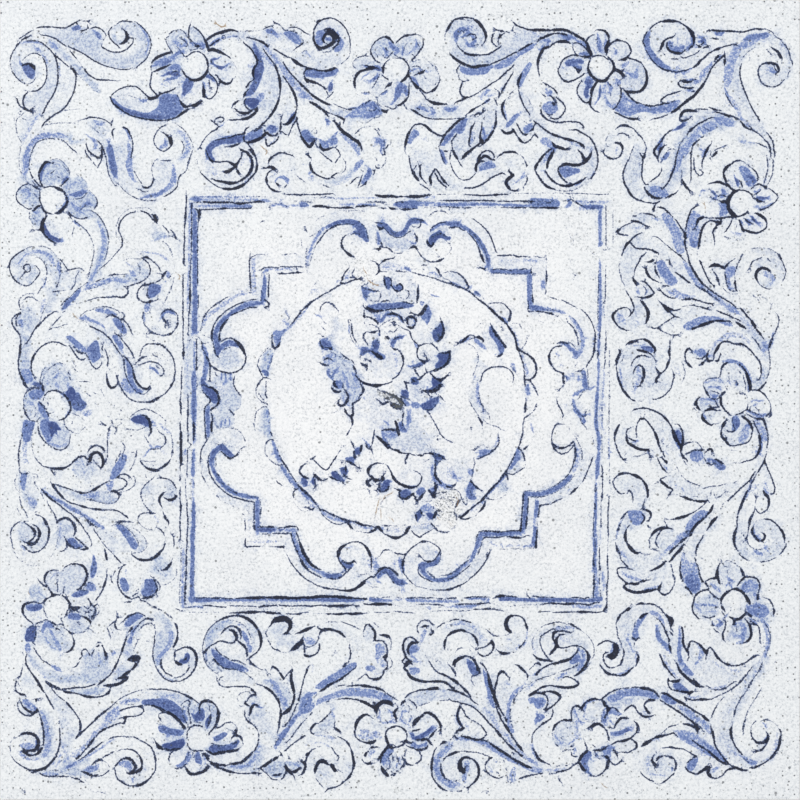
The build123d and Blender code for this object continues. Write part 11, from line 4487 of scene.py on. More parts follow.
def bottom_left_wide_leaf():
    """The wide leaf under the lower flower of the left side."""
    tint("27,653 36,660 50,668 66,674 84,670 98,660 108,664 112,672 98,682 76,686 56,684 42,674 32,664", 0.6)
    brush("30,660 38,671,3.4 48,680", 3, 0.22)
    pen("27,654 25.5,659,2 27,665.5,2.2 31,672 36,679,2.6 40,685.5,2.6 43.5,691.5", 2.4, 0.92)
    pen("45,693 48,698.5,2.4 51,704,2.4 54,709", 2, 0.9)
    pen("42,660 46.5,662.5,2.6 50.5,665.5,2", 1.8, 0.85)
    brush("52,666 56,668,4 61,671", 3, 0.52)
    faint("61,672 66,672.5|68,672 73,671|66,670 72,668", 1.7, 0.42)
    brush("52,675 62,679,3.4 74,677", 3, 0.18)
    pen("45.5,681 49.5,684.5,3 55,687.5,3.2 60,689", 2.4, 0.82)
    pen("61,690,1.6 66,692 74,693 82,695 90,697,2.6 98,697,2.4 104,695.5,2.4 109,692,2.6"
        " 111,687,2.6", 2.2, 0.9)
    pen("62,689,1.8 70,688.5,2.2 78,687.5 84,687.5,2.4 90,686,2.4 97,683.5", 2, 0.92)
    tint("70,690 84,689 96,688 104,689 102,693 90,695 78,693", 0.85)
    brush("84,692 92,693,3.4 98,691|102,689 106,690", 3, 0.28)
    pen("99,684 103.5,680.5,2.2 109.5,675.5,2.2 114,669 118,661 121.5,652 124.5,643,2.2"
        " 127,636,2.2", 2.4, 0.92)
    pen("51,688,1.4 56.5,694.5,2|58,696,1.8 63,700|65,701,1.8 70,706.5 75.5,713.5,2 79.5,720 80.5,727 "
        "79,733.5,2 75,739,1.8", 2.2, 0.82)
    tint("46,686 56,694 70,708 78,722 76,736 68,748 60,750 60,724 54,708", 0.35)
    pen("76,666 79.5,661.5,3", 2.2, 0.9)
    faint("79.5,659 82,657", 2, 0.8)
    pen("82.5,656,2 81.5,652.5 84,649,2.6 87,649.5", 2.4, 0.85)
    pen("88,652,2 91,656,2.4|92,654,2 95,649|97,647 99,645", 2.1, 0.82)
    pen("97.5,642.5 101,642.5|102,645 103.5,647.5", 2.2, 0.85)
    pen("104,649.5 105.5,654,2.8 107,658,2.6", 2, 0.92)
    faint("107,659 111,650|95,646 100,645", 1.2, 0.35)
    pen("107.5,629 109,632.5,2.4 110,636,2.6 112,639.5,2.2", 1.8, 0.82)
    pen("111,624.5 114,622|115.5,621 117,618", 2.1, 0.8)
    pen("115,624 116,628,3.2 119,631,1.8", 3, 0.88)
    faint("107,628 110,625|112,631 114,635|119,625 121,622", 1.7, 0.55)
    fill("111,651 114.5,650 116,653 113,656 111,655", 0.52)
    faint("112,647 116,648|109,643 111,645", 1.5, 0.35)
    brush("91,655 93.5,660|98.5,655 100,662 101,667", 3, 0.34)
    brush("83,656 86,657", 3, 0.4)
    tint("80,664 86,652 96,650 104,652 110,660 106,680 94,684 82,676", 0.55)


def bottom_left_arched_stem():
    """The arched stem at the lower end of the left side."""
    fill("124,625 127.5,618.5 133,614.5 139.5,614 143.5,616.5 139,619.5 135,622 130.5,626 126,627", 0.64)
    pen("123.5,621 128,616.5,2.4 133.5,614,2.4 139,612.8,2.8 143,614.5,2.2 146.5,617", 1.8, 0.85)
    pen("128,632.5 132.5,627.5,2.8", 2, 0.9)
    pen("131,634 136,628,1.8 141,622,2.2 147,618.5,2.4 151.5,619.5,3.4", 1.4, 0.82)
    pen("139.5,629.5 143,625.5 149,623.5,1.6|151.5,623.5,2 153,624,3.2", 1.8, 0.7)
    brush("136,626,3 132.5,633 130.5,639,4.4 129,645", 4, 0.58)
    brush("126,651 127.5,655", 4, 0.42)
    faint("137.5,641 136,645|135,646 133,651", 2, 0.62)
    faint("126.5,636 125,641 131,631", 1.5, 0.4)
    tint("124,626 138,618 146,620 138,634 132,650 126,662 122,656 126,640", 0.5)
    pen("154.5,626 155,629|155.5,631 155.5,635", 1.9, 0.62)
    pen("154.5,637,1.6 154.5,643 153,650 153,658 155,664,2", 2.2, 0.8)
    blot("127,660 130.5,656 136,654.5 140.5,656.5 140,661 135,662.5 130,661.5", 0.9)
    brush("130,657 138,658", 3, 0.9)
    pen("139,661,1.8 136,665,2.8 132,669.5,2.8 126.5,673.5,2.8 122,676.5,2.4|117,679,1.8 121.5,677.5 "
        "127.5,676.5|128,678.5 123.5,681.5,3.2 117,684.5,3.2 110,685.5 104,685.5,2", 3, 0.92)
    pen("122,679.5 126,679.5", 3, 0.8)
    brush("121,662 126,664|113,672 120,670", 3, 0.25)
    tint("112,680 118,668 126,664 134,664 126,674 116,682", 0.6)
    pen("146.5,641 147.5,642|150,665.5 150.5,666|97,634 98,634", 1.6, 0.5)


def bottom_left_blue_arch():
    """The arch of blue over the first flower of the bottom side."""
    pen("114,704,2 107,710 99,716 91,724 83,731.5 76.5,738,1.8", 2.2, 0.88)
    faint("118,700 125,696 133,692.5 140,690,1.6", 1.8, 0.75)
    faint("141,694 148,690|145,690 150,689.5", 1.3, 0.4)
    pen("149,689,1.6 156,689.5 163,689,2 169,690,1.8 176,691.5 183,694,2 190,697.5,2.4 195,700.5 "
        "199.5,704,1.8", 2.2, 0.86)
    fill("72,757 80,748 90,738 98,728 104,719 110,711 118,706 121,712 115,720 107,727 97,737 88,747"
        " 80,757", 0.34)
    brush("92,736 95,732|105,720 110,714,4.4 116,710", 4, 0.45)
    brush("110,713 119,712", 3, 0.5)
    pen("120,710.5 126,708.5 133,707,2.2 139,706.5,2.4 143,708.5,2.6 143.5,712,2.4 139,715.5,2.2 "
        "132,716.5,2.2 124,717,2.4 119,718.5", 2, 0.86)
    pen("124,717,2.4 125.5,720 123.5,723.5 120,723,2.2", 2.8, 0.88)
    pen("120,723,1.8 113,725.5,2.2 106,728.5 100,732 94,738.5 88,746.5 82,753.5,2.8 75,760,3.2", 2.4, 0.92)
    brush("122,702.5,3 130,700.5 140,700", 3.4, 0.5)
    faint("122,703 130,700|128,705 136,704", 1.5, 0.45)
    fill("142,700.5 150,699 160,698.5 170,700 178,705 184,711.5 187,718 184,723 176,717 167,711.5 157,707 "
        "149,705 143,705", 0.8)
    pen("139,706,1.6 147,705,2.2 154,706 161,709 167,712.5", 2.6, 0.85)
    pen("167,712 172,714.5,4.2 177,718.5,4 181,723,2.8 186,729,2.4", 3, 0.96)
    brush("160,698 170,696,3.4 180,698", 3, 0.34)
    pen("182,704,1.6 186.5,700.5 190,702.5 188,710 190,717.5,2.2 191,725", 2, 0.78)
    pen("184,706,1.4 182.5,711,1.8 183.5,717 187,723.5,2.2 188.5,728", 2, 0.72)
    brush("185,707 185,716", 3, 0.3)
    tint("146,692 164,691 184,696 196,704 188,712 180,704 166,698 150,698", 0.55)


def bottom_first_flower():
    """The first flower of the bottom side."""
    tint("192,722 190,706 200,702 212,703 218,712 216,724 208,730 200,724", 0.55)
    pen("199.5,713,1.8 199.5,706,2.4 203,701.5,2.6 209,701 214.5,704 218,710 218,717,3.4 216.5,724,3.4 "
        "213,729,3 209.5,732.5,2.6 209,735,2", 2.8, 0.92)
    fill("191,713 195,714.5 198.5,710 202,707.5 204.5,712 204.5,719 200,721.5 195,721 193,718", 0.92)
    pen("194.5,714 195,721 197,721|201,709 203,717", 2, 0.5)
    pen("209.5,708.5,1.8 210.5,714 210,720,2.6 207,727", 2.2, 0.78)
    fill("206,720 210,714.5 211,721 207,729 205,726", 0.95)
    brush("213,710 214,718", 2.6, 0.3)
    pen("194,722 201,723,2.2", 2, 0.7)
    pen("188.5,730 191,727,2.4 196,725.5,2.2 202.5,726.5,1.8", 2, 0.88)
    pen("187.5,731 187,735,2.3|187,736.5,2.3 187.5,738.5,2.3|187.5,743 188.5,747,2.2 192,750,2.2 198,751|"
        "200,750.5,2.1 204,750.5,2.1", 2, 0.82)
    faint("209,736 209.5,744", 1.2, 0.4)
    fill("158,727 162,725 168,727.5 176,729 184,731 181,736 173,735.5 164,733.5 159,731", 0.74)
    pen("164,730 172,730.5|167,733 176,734", 1.8, 0.5)
    pen("158.5,717.5,2.8 162,720.5,2.8|159,714 163,712.5 166,713", 2, 0.85)
    faint("159,724 165,725|173,718,1.6 178,722,1.8 183.5,730,1.6", 1.7)
    fill("163,744 170,742.5 177,740 184,739 184.5,745 180,749.5 171,750.5 164,748.5")
    brush("168,746 180,744")
    pen("156,742.5 158.5,746.5,3.2 162.5,749,3", 2, 0.92)
    pen("163,749 171,750,3 180,748.5 184,745,2", 2.6, 0.78)
    pen("156,743 161,748|173.5,751,2 170,754.5,2.4 168.5,760|217,728,1.6 221,726.5 225,723,2|228,722.5,1.8 "
        "232,722,2.4", 2.2, 0.82)
    faint("233,723 236,726 237.5,730", 1.4)
    fill("213,738.5 218.5,734.5 225,732 227.5,734.5 222,739 216,741.5", 0.76)
    pen("214,739 219,737", 2, 0.5)
    pen("231.5,738 234,735.5,3 236.5,731,3.2 233,731", 2.4, 0.92)
    pen("234,735.5 239,736,2.6 243.5,740.5,2.2", 2, 0.88)
    faint("238,740 234,744|243,744 241,748|226,728 232,731", 1.8)
    fill("211,745 219,745.5 227,744.5 234,742 240,740.5 237,746 231,750 222,752 213,753.5 209,750", 0.86)
    pen("212,743.5,1.8 219,745.5 226,746|230,745 237,742", 2.2, 0.75)
    pen("207.5,751 213,754,3.6 220,752.5,3.6 228,751.5,3 238,750", 2.4, 0.92)
    pen("217,748 222,749|225,749 230,747", 2, 0.5)


def bottom_left_spiral():
    """The spiral between the arched stem and the big bulb."""
    pen("153,606 156,607|159,608.5,1.8 163,611,2|166,613.5 170,616.5|172,618 173,620", 1.9, 0.75)
    faint("160,611 166,617|168,617 172,623", 1.1, 0.3)
    pen("175.5,623.5,2 177.5,629.5 177.5,637 175.5,643 172.5,648.5,2", 2.8, 0.85)
    fill("169,630 173.5,633 173,642 169,649.5 163,655 160,662 157,665 156.5,658 162,651 168,643", 0.42)
    brush("168,632 171,637", 4, 0.2)
    brush("157,661 160,655", 4, 0.3)
    tint("156,612 168,618 175,630 174,642 164,656 156,666 154,650 157,632", 0.55)
    pen("155,665,1.4 158.5,671.5,2 163.5,677.5 170,681,2.4 177,681.5", 2.2, 0.85)
    pen("181,681,1.8 188,677,2 194,670,2.2 196.5,662 196,654.5,3 192,649,3 186.5,647 181,648.5,2.4 "
        "176,651,1.8|175,652,2 174.5,657.5,2.4|174.5,660,2.4 177.5,663.5,3.2 182,664.5", 2.8, 0.9)
    fill("178.5,661 184,658 185,654 188,652.5 190,657 188,662 183.5,664")
    pen("184,660 187,658,3.4", 3, 0.8)
    pen("161.5,659,1.8 161,665,2.6 164,670.5,2.4 167,674.5,2|168,674 172.5,676", 2.2, 0.88)
    pen("174.5,678,1.6 181,676.5 186.5,672 190,665.5,1.8", 2, 0.75)
    brush("157,669 163,676 172,680", 2.6, 0.42)
    tint("164,676 176,680 188,674 194,662 192,652 194,666 186,676 174,681", 0.7)
    pen("171,668 172,669|198,674 199,674", 1.5, 0.4)


def frame_foot_line():
    """The lowest line of the frame, at its left end."""
    pen("178,609.5 180.5,611,1.8", 1.6, 0.7)
    faint("188,612 205,612.5|210,612 228,612.5", 1.2, 0.45)
    pen("232,613,1.8 240,612.5,2.2 248,612.5 256,612,3 263,612 271,613,2.4 281,613.5,2", 2.6, 0.95)
    pen("286,614 294,614,2 302,614,1.8", 1.6, 0.82)
    faint("264,610.5 285,611 302,611.5", 1, 0.3)


def bottom_left_bulb():
    """The big bulb of the bottom side's left part."""
    pen("216,622.5,1.4 210.5,627 206.5,633,2 204,640 202.5,648 203.5,655,1.6", 1.8, 0.72)
    pen("215.5,622.5,1.6 222,619,2 229.5,616.5 237.5,615.5,2.6 245,617.5,3.2 252.5,622.5,3.4 258,630,3.4 "
        "261,638,2.8 260.5,646,2.4 257,652 252,656 247,659.5,1.8", 2.2, 0.92)
    pen("228,620,1.2 236,621,1.6 242.5,624 247.5,629.5 250.5,636.5 252,645,1.6", 1.8, 0.55)
    pen("221,634,1.4 225,629,1.8 231,626 237,627.5 240.5,632.5 241,640,1.8", 2.2, 0.8)
    pen("229,630,1.8 233.5,631.5,2.6 236.5,636.5,3 236,640.5,2.8 232.5,643 227,642.5,2.2 221.5,641 "
        "218,641.5,2.2", 2.4, 0.9)
    pen("216,643,1.8 212,645,2.2 207.5,648.5 204,653.5", 2, 0.78)
    pen("238,641,1.4 242.5,644.5 246.5,649.5,2.8 247,655,2.4 247.5,658.5", 2.2, 0.88)
    fill("242,630 248,636 250.5,644 252.5,650 249.5,653 247,646 244,640 241,634", 0.52)
    brush("238,624 243,627,2.6", 2.4, 0.4)
    tint("205,640 210,628 222,621 232,621 224,628 216,638 208,648", 0.9)
    brush("213,630 208,640|222,622 230,620", 3, 0.2)
    tint("224,636 232,632 235,640 228,642 250,620 258,636 254,650 248,652 250,640 240,626 228,626", 0.45)
    pen("215.5,648 219.5,653,2.2 225,656.5,2.4 231,660,2.2 238,661,1.8 244,664", 1.6, 0.8)
    fill("211.5,648 218,653 226,659 235,663 243,666 249,671 241,671.5 232,668.5 224,667.5 217,661.5 "
        "212.5,655", 0.78)
    pen("213.5,658.5,2 218,664 225,668.5 232,669,2.2 237,670,1.8", 2.4, 0.82)
    pen("239,671,1.4 245,673|248,675 254,680.5", 1.7, 0.72)
    faint("203,655 205,661 208,667|209,667 213,671|214,672 217.5,673.5", 2.2, 0.62)
    faint("206,651 207,656|207,660 211,665|211,658 213,664|218,668 222,672", 1.7)
    brush("206,652 206,660,3.4", 3, 0.4)
    tint("204,652 212,650 220,664 240,672 256,682 240,684 222,674 208,668", 0.5)
    faint("249,662 251,668|250,671 252,672", 1.6)
    pen("249.5,659,1.8 252,664 257,667|259,668.5,2.1 264,671,2.1", 2.2, 0.82)
    faint("266,673 268,676|265,669 272,677", 1.7, 0.55)
    pen("219,680 221,677 224,676.5|216.5,679.5,1.6 219.5,684.5 222,686.5,1.8", 2, 0.75)
    pen("224.5,687,2.4 231,687,1.8|233,686.5 240,686.5|243,686.5 247.5,686.5", 1.9, 0.82)
    faint("222,680 226,682 229,681", 1.4, 0.4)


def bottom_left_hooked_stem():
    """The hooked stem to the right of the first flower of the bottom side."""
    pen("250.5,688,1.6 253,691 255.5,694.5 250.5,696,2 247.5,700,2 244.5,703,2.4 249.5,706", 2.2, 0.86)
    faint("239,695 242,692.5|244,692 248,691.5|237,699 240,703|238.5,705 243,707|249,692 252,695", 1.8, 0.6)
    pen("258,706 254,705 251,709,3.4 249.5,716,3", 2.6, 0.95)
    brush("253,704 262,708", 3, 0.62)
    pen("256,705.5 260,707.5", 2.2, 0.7)
    pen("244.5,711,1.8 245,717 248,721.5 253,724.5 257,729", 2, 0.78)
    faint("258.5,732 259,739", 2, 0.7)
    pen("258.5,739,1.8 257.5,745 254.5,750.5,2.4|253,752 248,757,2.6 244,760,2.8", 2.2, 0.9)
    brush("260,742 258,751,3.4 255,760,4", 3, 0.3)
    faint("247,712 248.5,718 252,722", 1.2, 0.35)
    tint("246,706 254,696 262,702 270,716 276,734 270,752 258,762 262,744 258,730 248,720", 0.4)
    pen("221,713.5 222,714|256,697 257,698", 1.7, 0.5)


def bottom_left_black_curl():
    """The near black curl beside the big bulb."""
    blot("274.5,619.5 280,616 287,616.5 291,620.5 292.5,627 289.5,631 287,634 284,633.5 288,628.5 "
        "287.5,623.5 283,622 276,622.5", 1)
    pen("271,625,1.8 273,621.5,2.4 277,618.5,3.4 283,617 289,620.5 291,626,3.2", 4.4)
    pen("284,634 288,634 292.5,634,2", 2.4, 0.85)
    pen("296,633.5 302,631.5,3 309,628.5,3.2", 2, 0.95)
    faint("269,627 266.5,631|266,634 267.5,637|267,639 270,643|270.5,645 271.5,647", 1.9, 0.62)
    pen("273,648.5 280,651,2.2", 2.4, 0.85)
    faint("281,652 287,652.5 291,651", 1.6)
    pen("291.5,650,2.6 295.5,647.5 299.5,643.5 302.5,639.5,2.4", 4, 0.95)
    pen("302.5,639.5,1.8 304,645 305,652,1.8|303.5,655 310,656", 2, 0.8)
    tint("268,630 276,624 288,626 284,634 294,636 298,642 288,650 274,646", 0.4)


def bottom_left_split_leaf():
    """The split leaf between the black curl and the tall leaf."""
    pen("271,669.5,1.6 272.5,666,2 275,667.5 279,671.5 282.5,677 284,679.5,2.4 287.5,674,2.4"
        " 292,670,2.2", 2.6, 0.9)
    pen("292.5,669.5,2 291,677,2.6 292,684 294,691.5 294,699 291.5,706,3.2 287.5,711,3.8 283,714", 3, 0.94)
    faint("258,684.5 263,686,2", 1.8, 0.8)
    pen("264,686.5,2.2 270,690.5 275,695.5,3.2 278.5,701,3 280,707.5|280.5,709,2.7 280.5,714,2.7", 2.4, 0.92)
    fill("270,680 275,681 280,688 283,696 287.5,700 287.5,706 284,710 281,703 277,694 272,687", 0.46)
    brush("265,680 271,680", 2.4, 0.4)
    pen("284,683 289,683|288,688 290,694", 1.8, 0.5)
    tint("262,680 276,680 284,684 290,690 292,700 284,712 278,698 270,688", 0.55)
    faint("279.5,720 279,727|278,730 277,735|276,738 275.5,744", 2.2, 0.75)


def bottom_left_tall_stem():
    """The tall stem left of the middle of the bottom side."""
    pen("307.5,668,2.2 305.5,675|304,678,2.2 302.5,685,2.8|301.5,688 300,695,2.6 298,702,2.6|296.5,705,1.8 "
        "294,711|292,715,1.6 289,721|287,723,2.3 284,727,2.3", 2, 0.88)
    fill("311,692 304,696 300,704 298,711 296,718 303,714 311,711", 0.6)
    brush("296,716,4 291,724 285,732,5 280,739,5 275.5,747", 4.4, 0.68)
    pen("289,722 285,728|281,735 277,741|301,706 306,700", 1.5, 0.45)
    pen("302,723.5,1.6 297,729.5,2|295,732 291,738,1.8|289,740 287,742", 1.9, 0.8)
    faint("309,716 303,722", 1.4)
    pen("305.5,735 300,738.5|298,740,2.1 292,744.5,2.2|290,746,2.1 285,751,2.2", 2, 0.86)
    pen("281,753,2.6 282,755,2.8|272.5,760 278,757", 3, 0.9)
    tint("304,690 298,716 288,732 276,750 284,750 296,734 306,720 312,700", 0.4)


def left_edge_lower_curls():
    """The small curls along the tile's left edge, near its lower end."""
    faint("23,664 22.5,667|22,670.5 21.5,672", 2.2, 0.75)
    faint("20.5,675.5 19,678|18,677 16,679", 1.9, 0.7)
    pen("16.5,681,1.8 15,685 15.5,689.5", 2.2, 0.86)
    pen("16.5,691.5 20,694,2.2 25,695", 2.4, 0.92)
    faint("18,682 19.5,686|20,688 21.5,690.5", 1.7, 0.6)
    tint("21,679 26,676.5 32,677 34,680 28,681.5 23,682", 0.9)
    pen("35,699 36.5,699.5", 2.2, 0.9)
    pen("19.5,700,1.4 17.5,704,2 18.5,709.5 22,713.5 27,716,2.4", 2.2, 0.86)
    pen("20.5,701.5,1.6 22.5,706,2.2 27,710,2.6 32,712.5 36.5,711.5 38,708.5,2.4", 3, 0.92)
    pen("27,716 31,715.5,2.8 34.5,712.5,2.4", 2, 0.86)
    fill("21.5,700 27,699 32.5,703.5 37,707.5 35.5,711 29.5,710 25,706", 0.52)
    brush("26,703 31,706,2.6", 2.4, 0.6)


def left_edge_falling_stem():
    """The blue stem that falls to the spiral in the lower left corner."""
    fill("40.5,711 45,715 48,723 50,732 51,742 50,750 46.5,757 41,757.5 44,749 45.5,738 44.5,728"
        " 42,719", 0.44)
    brush("47,727 48.5,736,3.4", 3, 0.6)
    tint("44,708 50,718 53,734 52,750 46,760 38,758 44,744 44,726 39,712", 0.5)
    pen("38.5,712,1.8 41,719,2 43,728,2.4 43.8,737,2.4 43,745,2.6 40,751 35.5,754.8 30,755.5,3.2 26,753,3.4"
        " 22.5,751", 3, 0.94)
    pen("19,736,1.8 23,733.5,2.2 28,733 33.5,734.5,2.8 37.5,738.5,3.4 38.5,744,3.8 36.5,749,3.4 31.5,750.5 "
        "26,750.5 22,747.5", 2.4, 0.92)
    fill("19,745 25,742.5 31.5,743.5 34.5,746.5 31,750 26,750 22,748", 0.46)
    brush("36,741 36.5,747,2.6", 2.4, 0.9)
    fill("18,750 23,753 29,757 37,757.5 41,757 36,760.5 27,760 20,756.5", 0.36)
    faint("15,738 16,738.5|11.5,740 10.5,743|10,745 10,750|10.5,752 11.5,757", 1.5, 0.55)


def bottom_left_corner_stem():
    """The wide stem that starts the bottom side in the lower left corner."""
    faint("59,718 59.5,730", 1.6)
    pen("15,761.5,1.4 19.5,764.5 24,767.5 29,769.5,2.4 35,770.5,2.8 41,769.5,2.8 47,766.5,2.8 52.5,761,2.6 "
        "57,753.5,2.4 59.5,745,2.2 60,736 59.5,729,1.4", 1.8, 0.9)
    pen("28.5,770.5 32,773,2.2 36.5,772.5", 1.8, 0.82)
    pen("40,773.5,1.8 45,776,2.4 51,776.5 57,776,2.4 61.5,776.5,2|64.5,776.5 69,777|71.5,777.5,1.6 78,779 "
        "81.5,781.5 85,783,1.8", 2.2, 0.88)
    faint("76,778 80,780|83,778 88,783", 1.3, 0.4)
    tint("60,722 64,740 66,752 58,768 44,772 30,771 44,775 66,775 90,776 92,770 80,768 90,758 80,760 68,756"
        " 70,740", 0.55)
    faint("63,716 67,719|61,724 64,728|64,725 69,726.5", 1.9, 0.3)
    brush("62,740 64,752,2.6|66,745 66,755", 2.4, 0.3)
    brush("43,773,2.6 52,774.5 60,774,2.6|51,765 55,763|56,767,2.4 60,760,2.4|59,757,2.8"
        " 62,754,2.8", 3, 0.42)
    faint("56,757 60,756|60,762 63,759|47,771 56,770 62,773", 1.5, 0.45)
    faint("64,773 72,775 80,776|70,772 78,774", 1.3, 0.38)
    brush("71,755 78,750|64,762 70,757", 3, 0.3)
    brush("66,768 73,765,3.6 80,761 86,757,3 92,753.5,2.8 99,749.5,2.8 107,743.5,2.6 113,740,2.2", 3.2, 0.45)
    brush("67,767 73,764,3", 2.6, 0.72)
    pen("79,760.5 84,757,2 88.5,753,2.4", 1.6, 0.86)
    pen("91,751 94,748.5,2.6|95,748,2 99,745,2.2|100,744,1.8 104,740.5,1.6", 3, 0.9)
    pen("109.5,738.5,1.8 116,736.8 122,736.3,2.2 128,737,1.8|131,737 133,737|134.5,737,2.2 138,739,2.2|"
        "138.5,739.5 141,741|142,741.5,2.2 145,742.5", 2, 0.82)


def bottom_left_small_leaf():
    """The small leaf at the foot of the wide stem."""
    pen("91,765,1.4 95,762 99.5,759.5,2.6 102.5,760.5", 2, 0.84)
    faint("103,760.5 107.5,763.5 109.5,768.5 108,773", 1.4, 0.48)
    fill("83,770 89,765.5 95.5,765.5 99.5,763.5 98,769 93,772 86,772.5", 0.5)
    brush("89,768 94,768", 3, 0.72)
    pen("82,771.5,2.4 87,773.5 93,775.5 99,775.5,2.8", 3, 0.92)
    pen("102.5,775.5 105,773.5|106,773 108,771", 2, 0.78)
    pen("91,776 91,779.5", 1.6, 0.55)
    faint("84,768 78,770 72,768", 1.4, 0.35)
    pen("103,757.5,1.8 108,754.5,2.2|109.5,754 114,751.5", 2, 0.85)
    faint("119,750.5 123,748.5|112,769 116,766", 1.9, 0.6)


def bottom_left_corner_spiral():
    """The spiral of the bottom side's left end."""
    pen("127.5,749,1.6 133,750,2 138,754,2.2 141.5,760 142,766,2.6 139.5,770.5,3.4 135,773,3.4 130,774,3 "
        "127,773", 2.4, 0.92)
    pen("116,765 119.5,761 124.5,758,2.6 130,759,3.4 133.5,763,3.4 135.5,767.5,2.8 133,771,2.6"
        " 129,772.5", 2.4, 0.9)
    pen("120,759.5 126,756.5", 2, 0.4)
    fill("119,762.5 125,760.5 130,762.5 132.5,767.5 130,770.5 124,767 119.5,766", 0.52)
    pen("115,768.5,1.8 115.5,774 117.5,778.5,2.2 120.5,781.5", 2, 0.82)
    pen("151,747 154,753,2.2 155.5,760,2.2 155.8,767 155.3,771,1.8", 2, 0.85)
    pen("125.5,784.5,2.2 131,786 138,785.5 144,783,2.6 148.5,779.5 151.5,776.5,2.2", 2.4, 0.92)
    brush("144,769 145,770|132,778 133,781", 2.6, 0.5)
    faint("127,776 133,777 139,775|148,763 150,770|146,766 149,769", 1.3, 0.35)
    tint("134,752 140,756 146,762 148,772 140,780 130,782 122,778 132,776 142,770 142,760", 0.35)
    pen("156,744 158.5,746.5,3.4", 3, 0.95)


def bottom_first_flower_foot():
    """The lower petals of the bottom side's first flower."""
    faint("168.5,760 170,763 174,767", 1.4, 0.45)
    fill("175,765 180,763.5 184.5,759 187,752.5 190.5,752 191.5,757.5 188,763 183.5,766 178,767.5", 0.6)
    pen("188,752,2 189.5,757|186,757,2.2 185,762", 2.4, 0.6)
    pen("175,768.5,2.4 180,768.5 184.5,765.5 187,761.5,2", 2.6, 0.82)
    fill("196,754 198.5,751.5 200.5,756 202,763 198.5,764 195,761", 0.76)
    faint("193,753 191,760 187,766|195,753 194,760", 1.5, 0.45)
    pen("202,756.5,2.2 204,754 207,756 208.5,760.5,2.6", 2.8, 0.88)
    fill("203,756 206,757 207.5,762 205,763.5", 0.42)
    pen("185.5,767,2.4 188,771.5 192.5,774.5 199,773,3 205,771 209,766", 3.2, 0.94)
    pen("201,772 205.5,768.5,2.2 209,764", 2, 0.8)
    faint("203,765 200,769 200,772", 1.4)
    tint("188,762 196,766 204,764 208,760 206,768 198,772 190,770", 0.4)
    pen("209.5,761.5,2 215,764,2.8 221,765,3 228.5,765|210.5,763.5,2 216.5,767 223.5,769.5,3"
        " 231,772", 2.6, 0.92)
    faint("216,765.5 230,768", 1.5, 0.4)
    pen("236,773 241,773.5|243,773.5 250,773.5|251,773,2.6 256,773,2.2|257,773 261,773.5", 2.1, 0.86)
    faint("254,769 259,768.5|256,775 262,776", 1.8)
    pen("231,764 236,763.5,3.4 241,762.5 244.5,760,2.4", 3.2, 0.86)
    brush("231,766,3 240,766.5 249,764 255,757,3.6", 4, 0.46)
    brush("252,758 257,748|248,765 254,766,3", 4, 0.26)
    tint("226,766 240,762 252,754 260,742 264,756 258,770 244,772 230,770", 0.55)


def bottom_left_shell():
    """The small shell left of the bottom side's middle."""
    pen("261.5,767 266,764.5,2.8 272,760.5,3.4 278,757,3", 2.6, 0.95)
    pen("262,770,1.4 266,773,2 269,776,2|271,778.5,2.4 275,780,2.6 279,779.5|281,779.5 285,777", 2.2, 0.85)
    pen("273,775 278,775,2.8 282,773,2.2", 2.4, 0.8)
    pen("284.5,763 285,768,2.8|285.5,766,3.6 287,769,3.2", 2, 0.9)
    pen("283,777,1.8 286,773 288,770.5,2.6 292,772.5,3.4 297,770.5,3.2 301.5,766.5", 2.4, 0.92)
    pen("289,773,2 292,775|292.5,775 295,778", 2.1, 0.8)
    pen("303,762 305.5,765.5 304,771,2.8 300.5,776,2", 3, 0.9)
    pen("303,763 306,761,3", 3.6, 0.95)
    pen("306,755 308,752.5|289,758 290,759", 2.4, 0.8)
    tint("284,763 292,761.5 301,763 303,767 294,768.5 287,766", 1)
    brush("286,762 293,763|296,765 301,767", 3, 0.32)
    tint("263,768 272,762 282,760 288,770 282,777 272,777", 0.7)
    faint("264,767 270,770 276,769|268,772 274,770", 1.3, 0.4)
    faint("279,782 283,783|284,787 289,785|294,786 298,784", 1.6, 0.3)


def bottom_left_edge_marks():
    """The dark marks along the lower edge's left end."""
    faint("22,789 24,788|25,790 26.5,792|22,793 24,794|23,791 25,792", 2, 0.6)
    faint("69,797.5 70.5,798|73,799 77,799|78,797 80,795|91,790 93,792|100,792 104,793", 1.9)


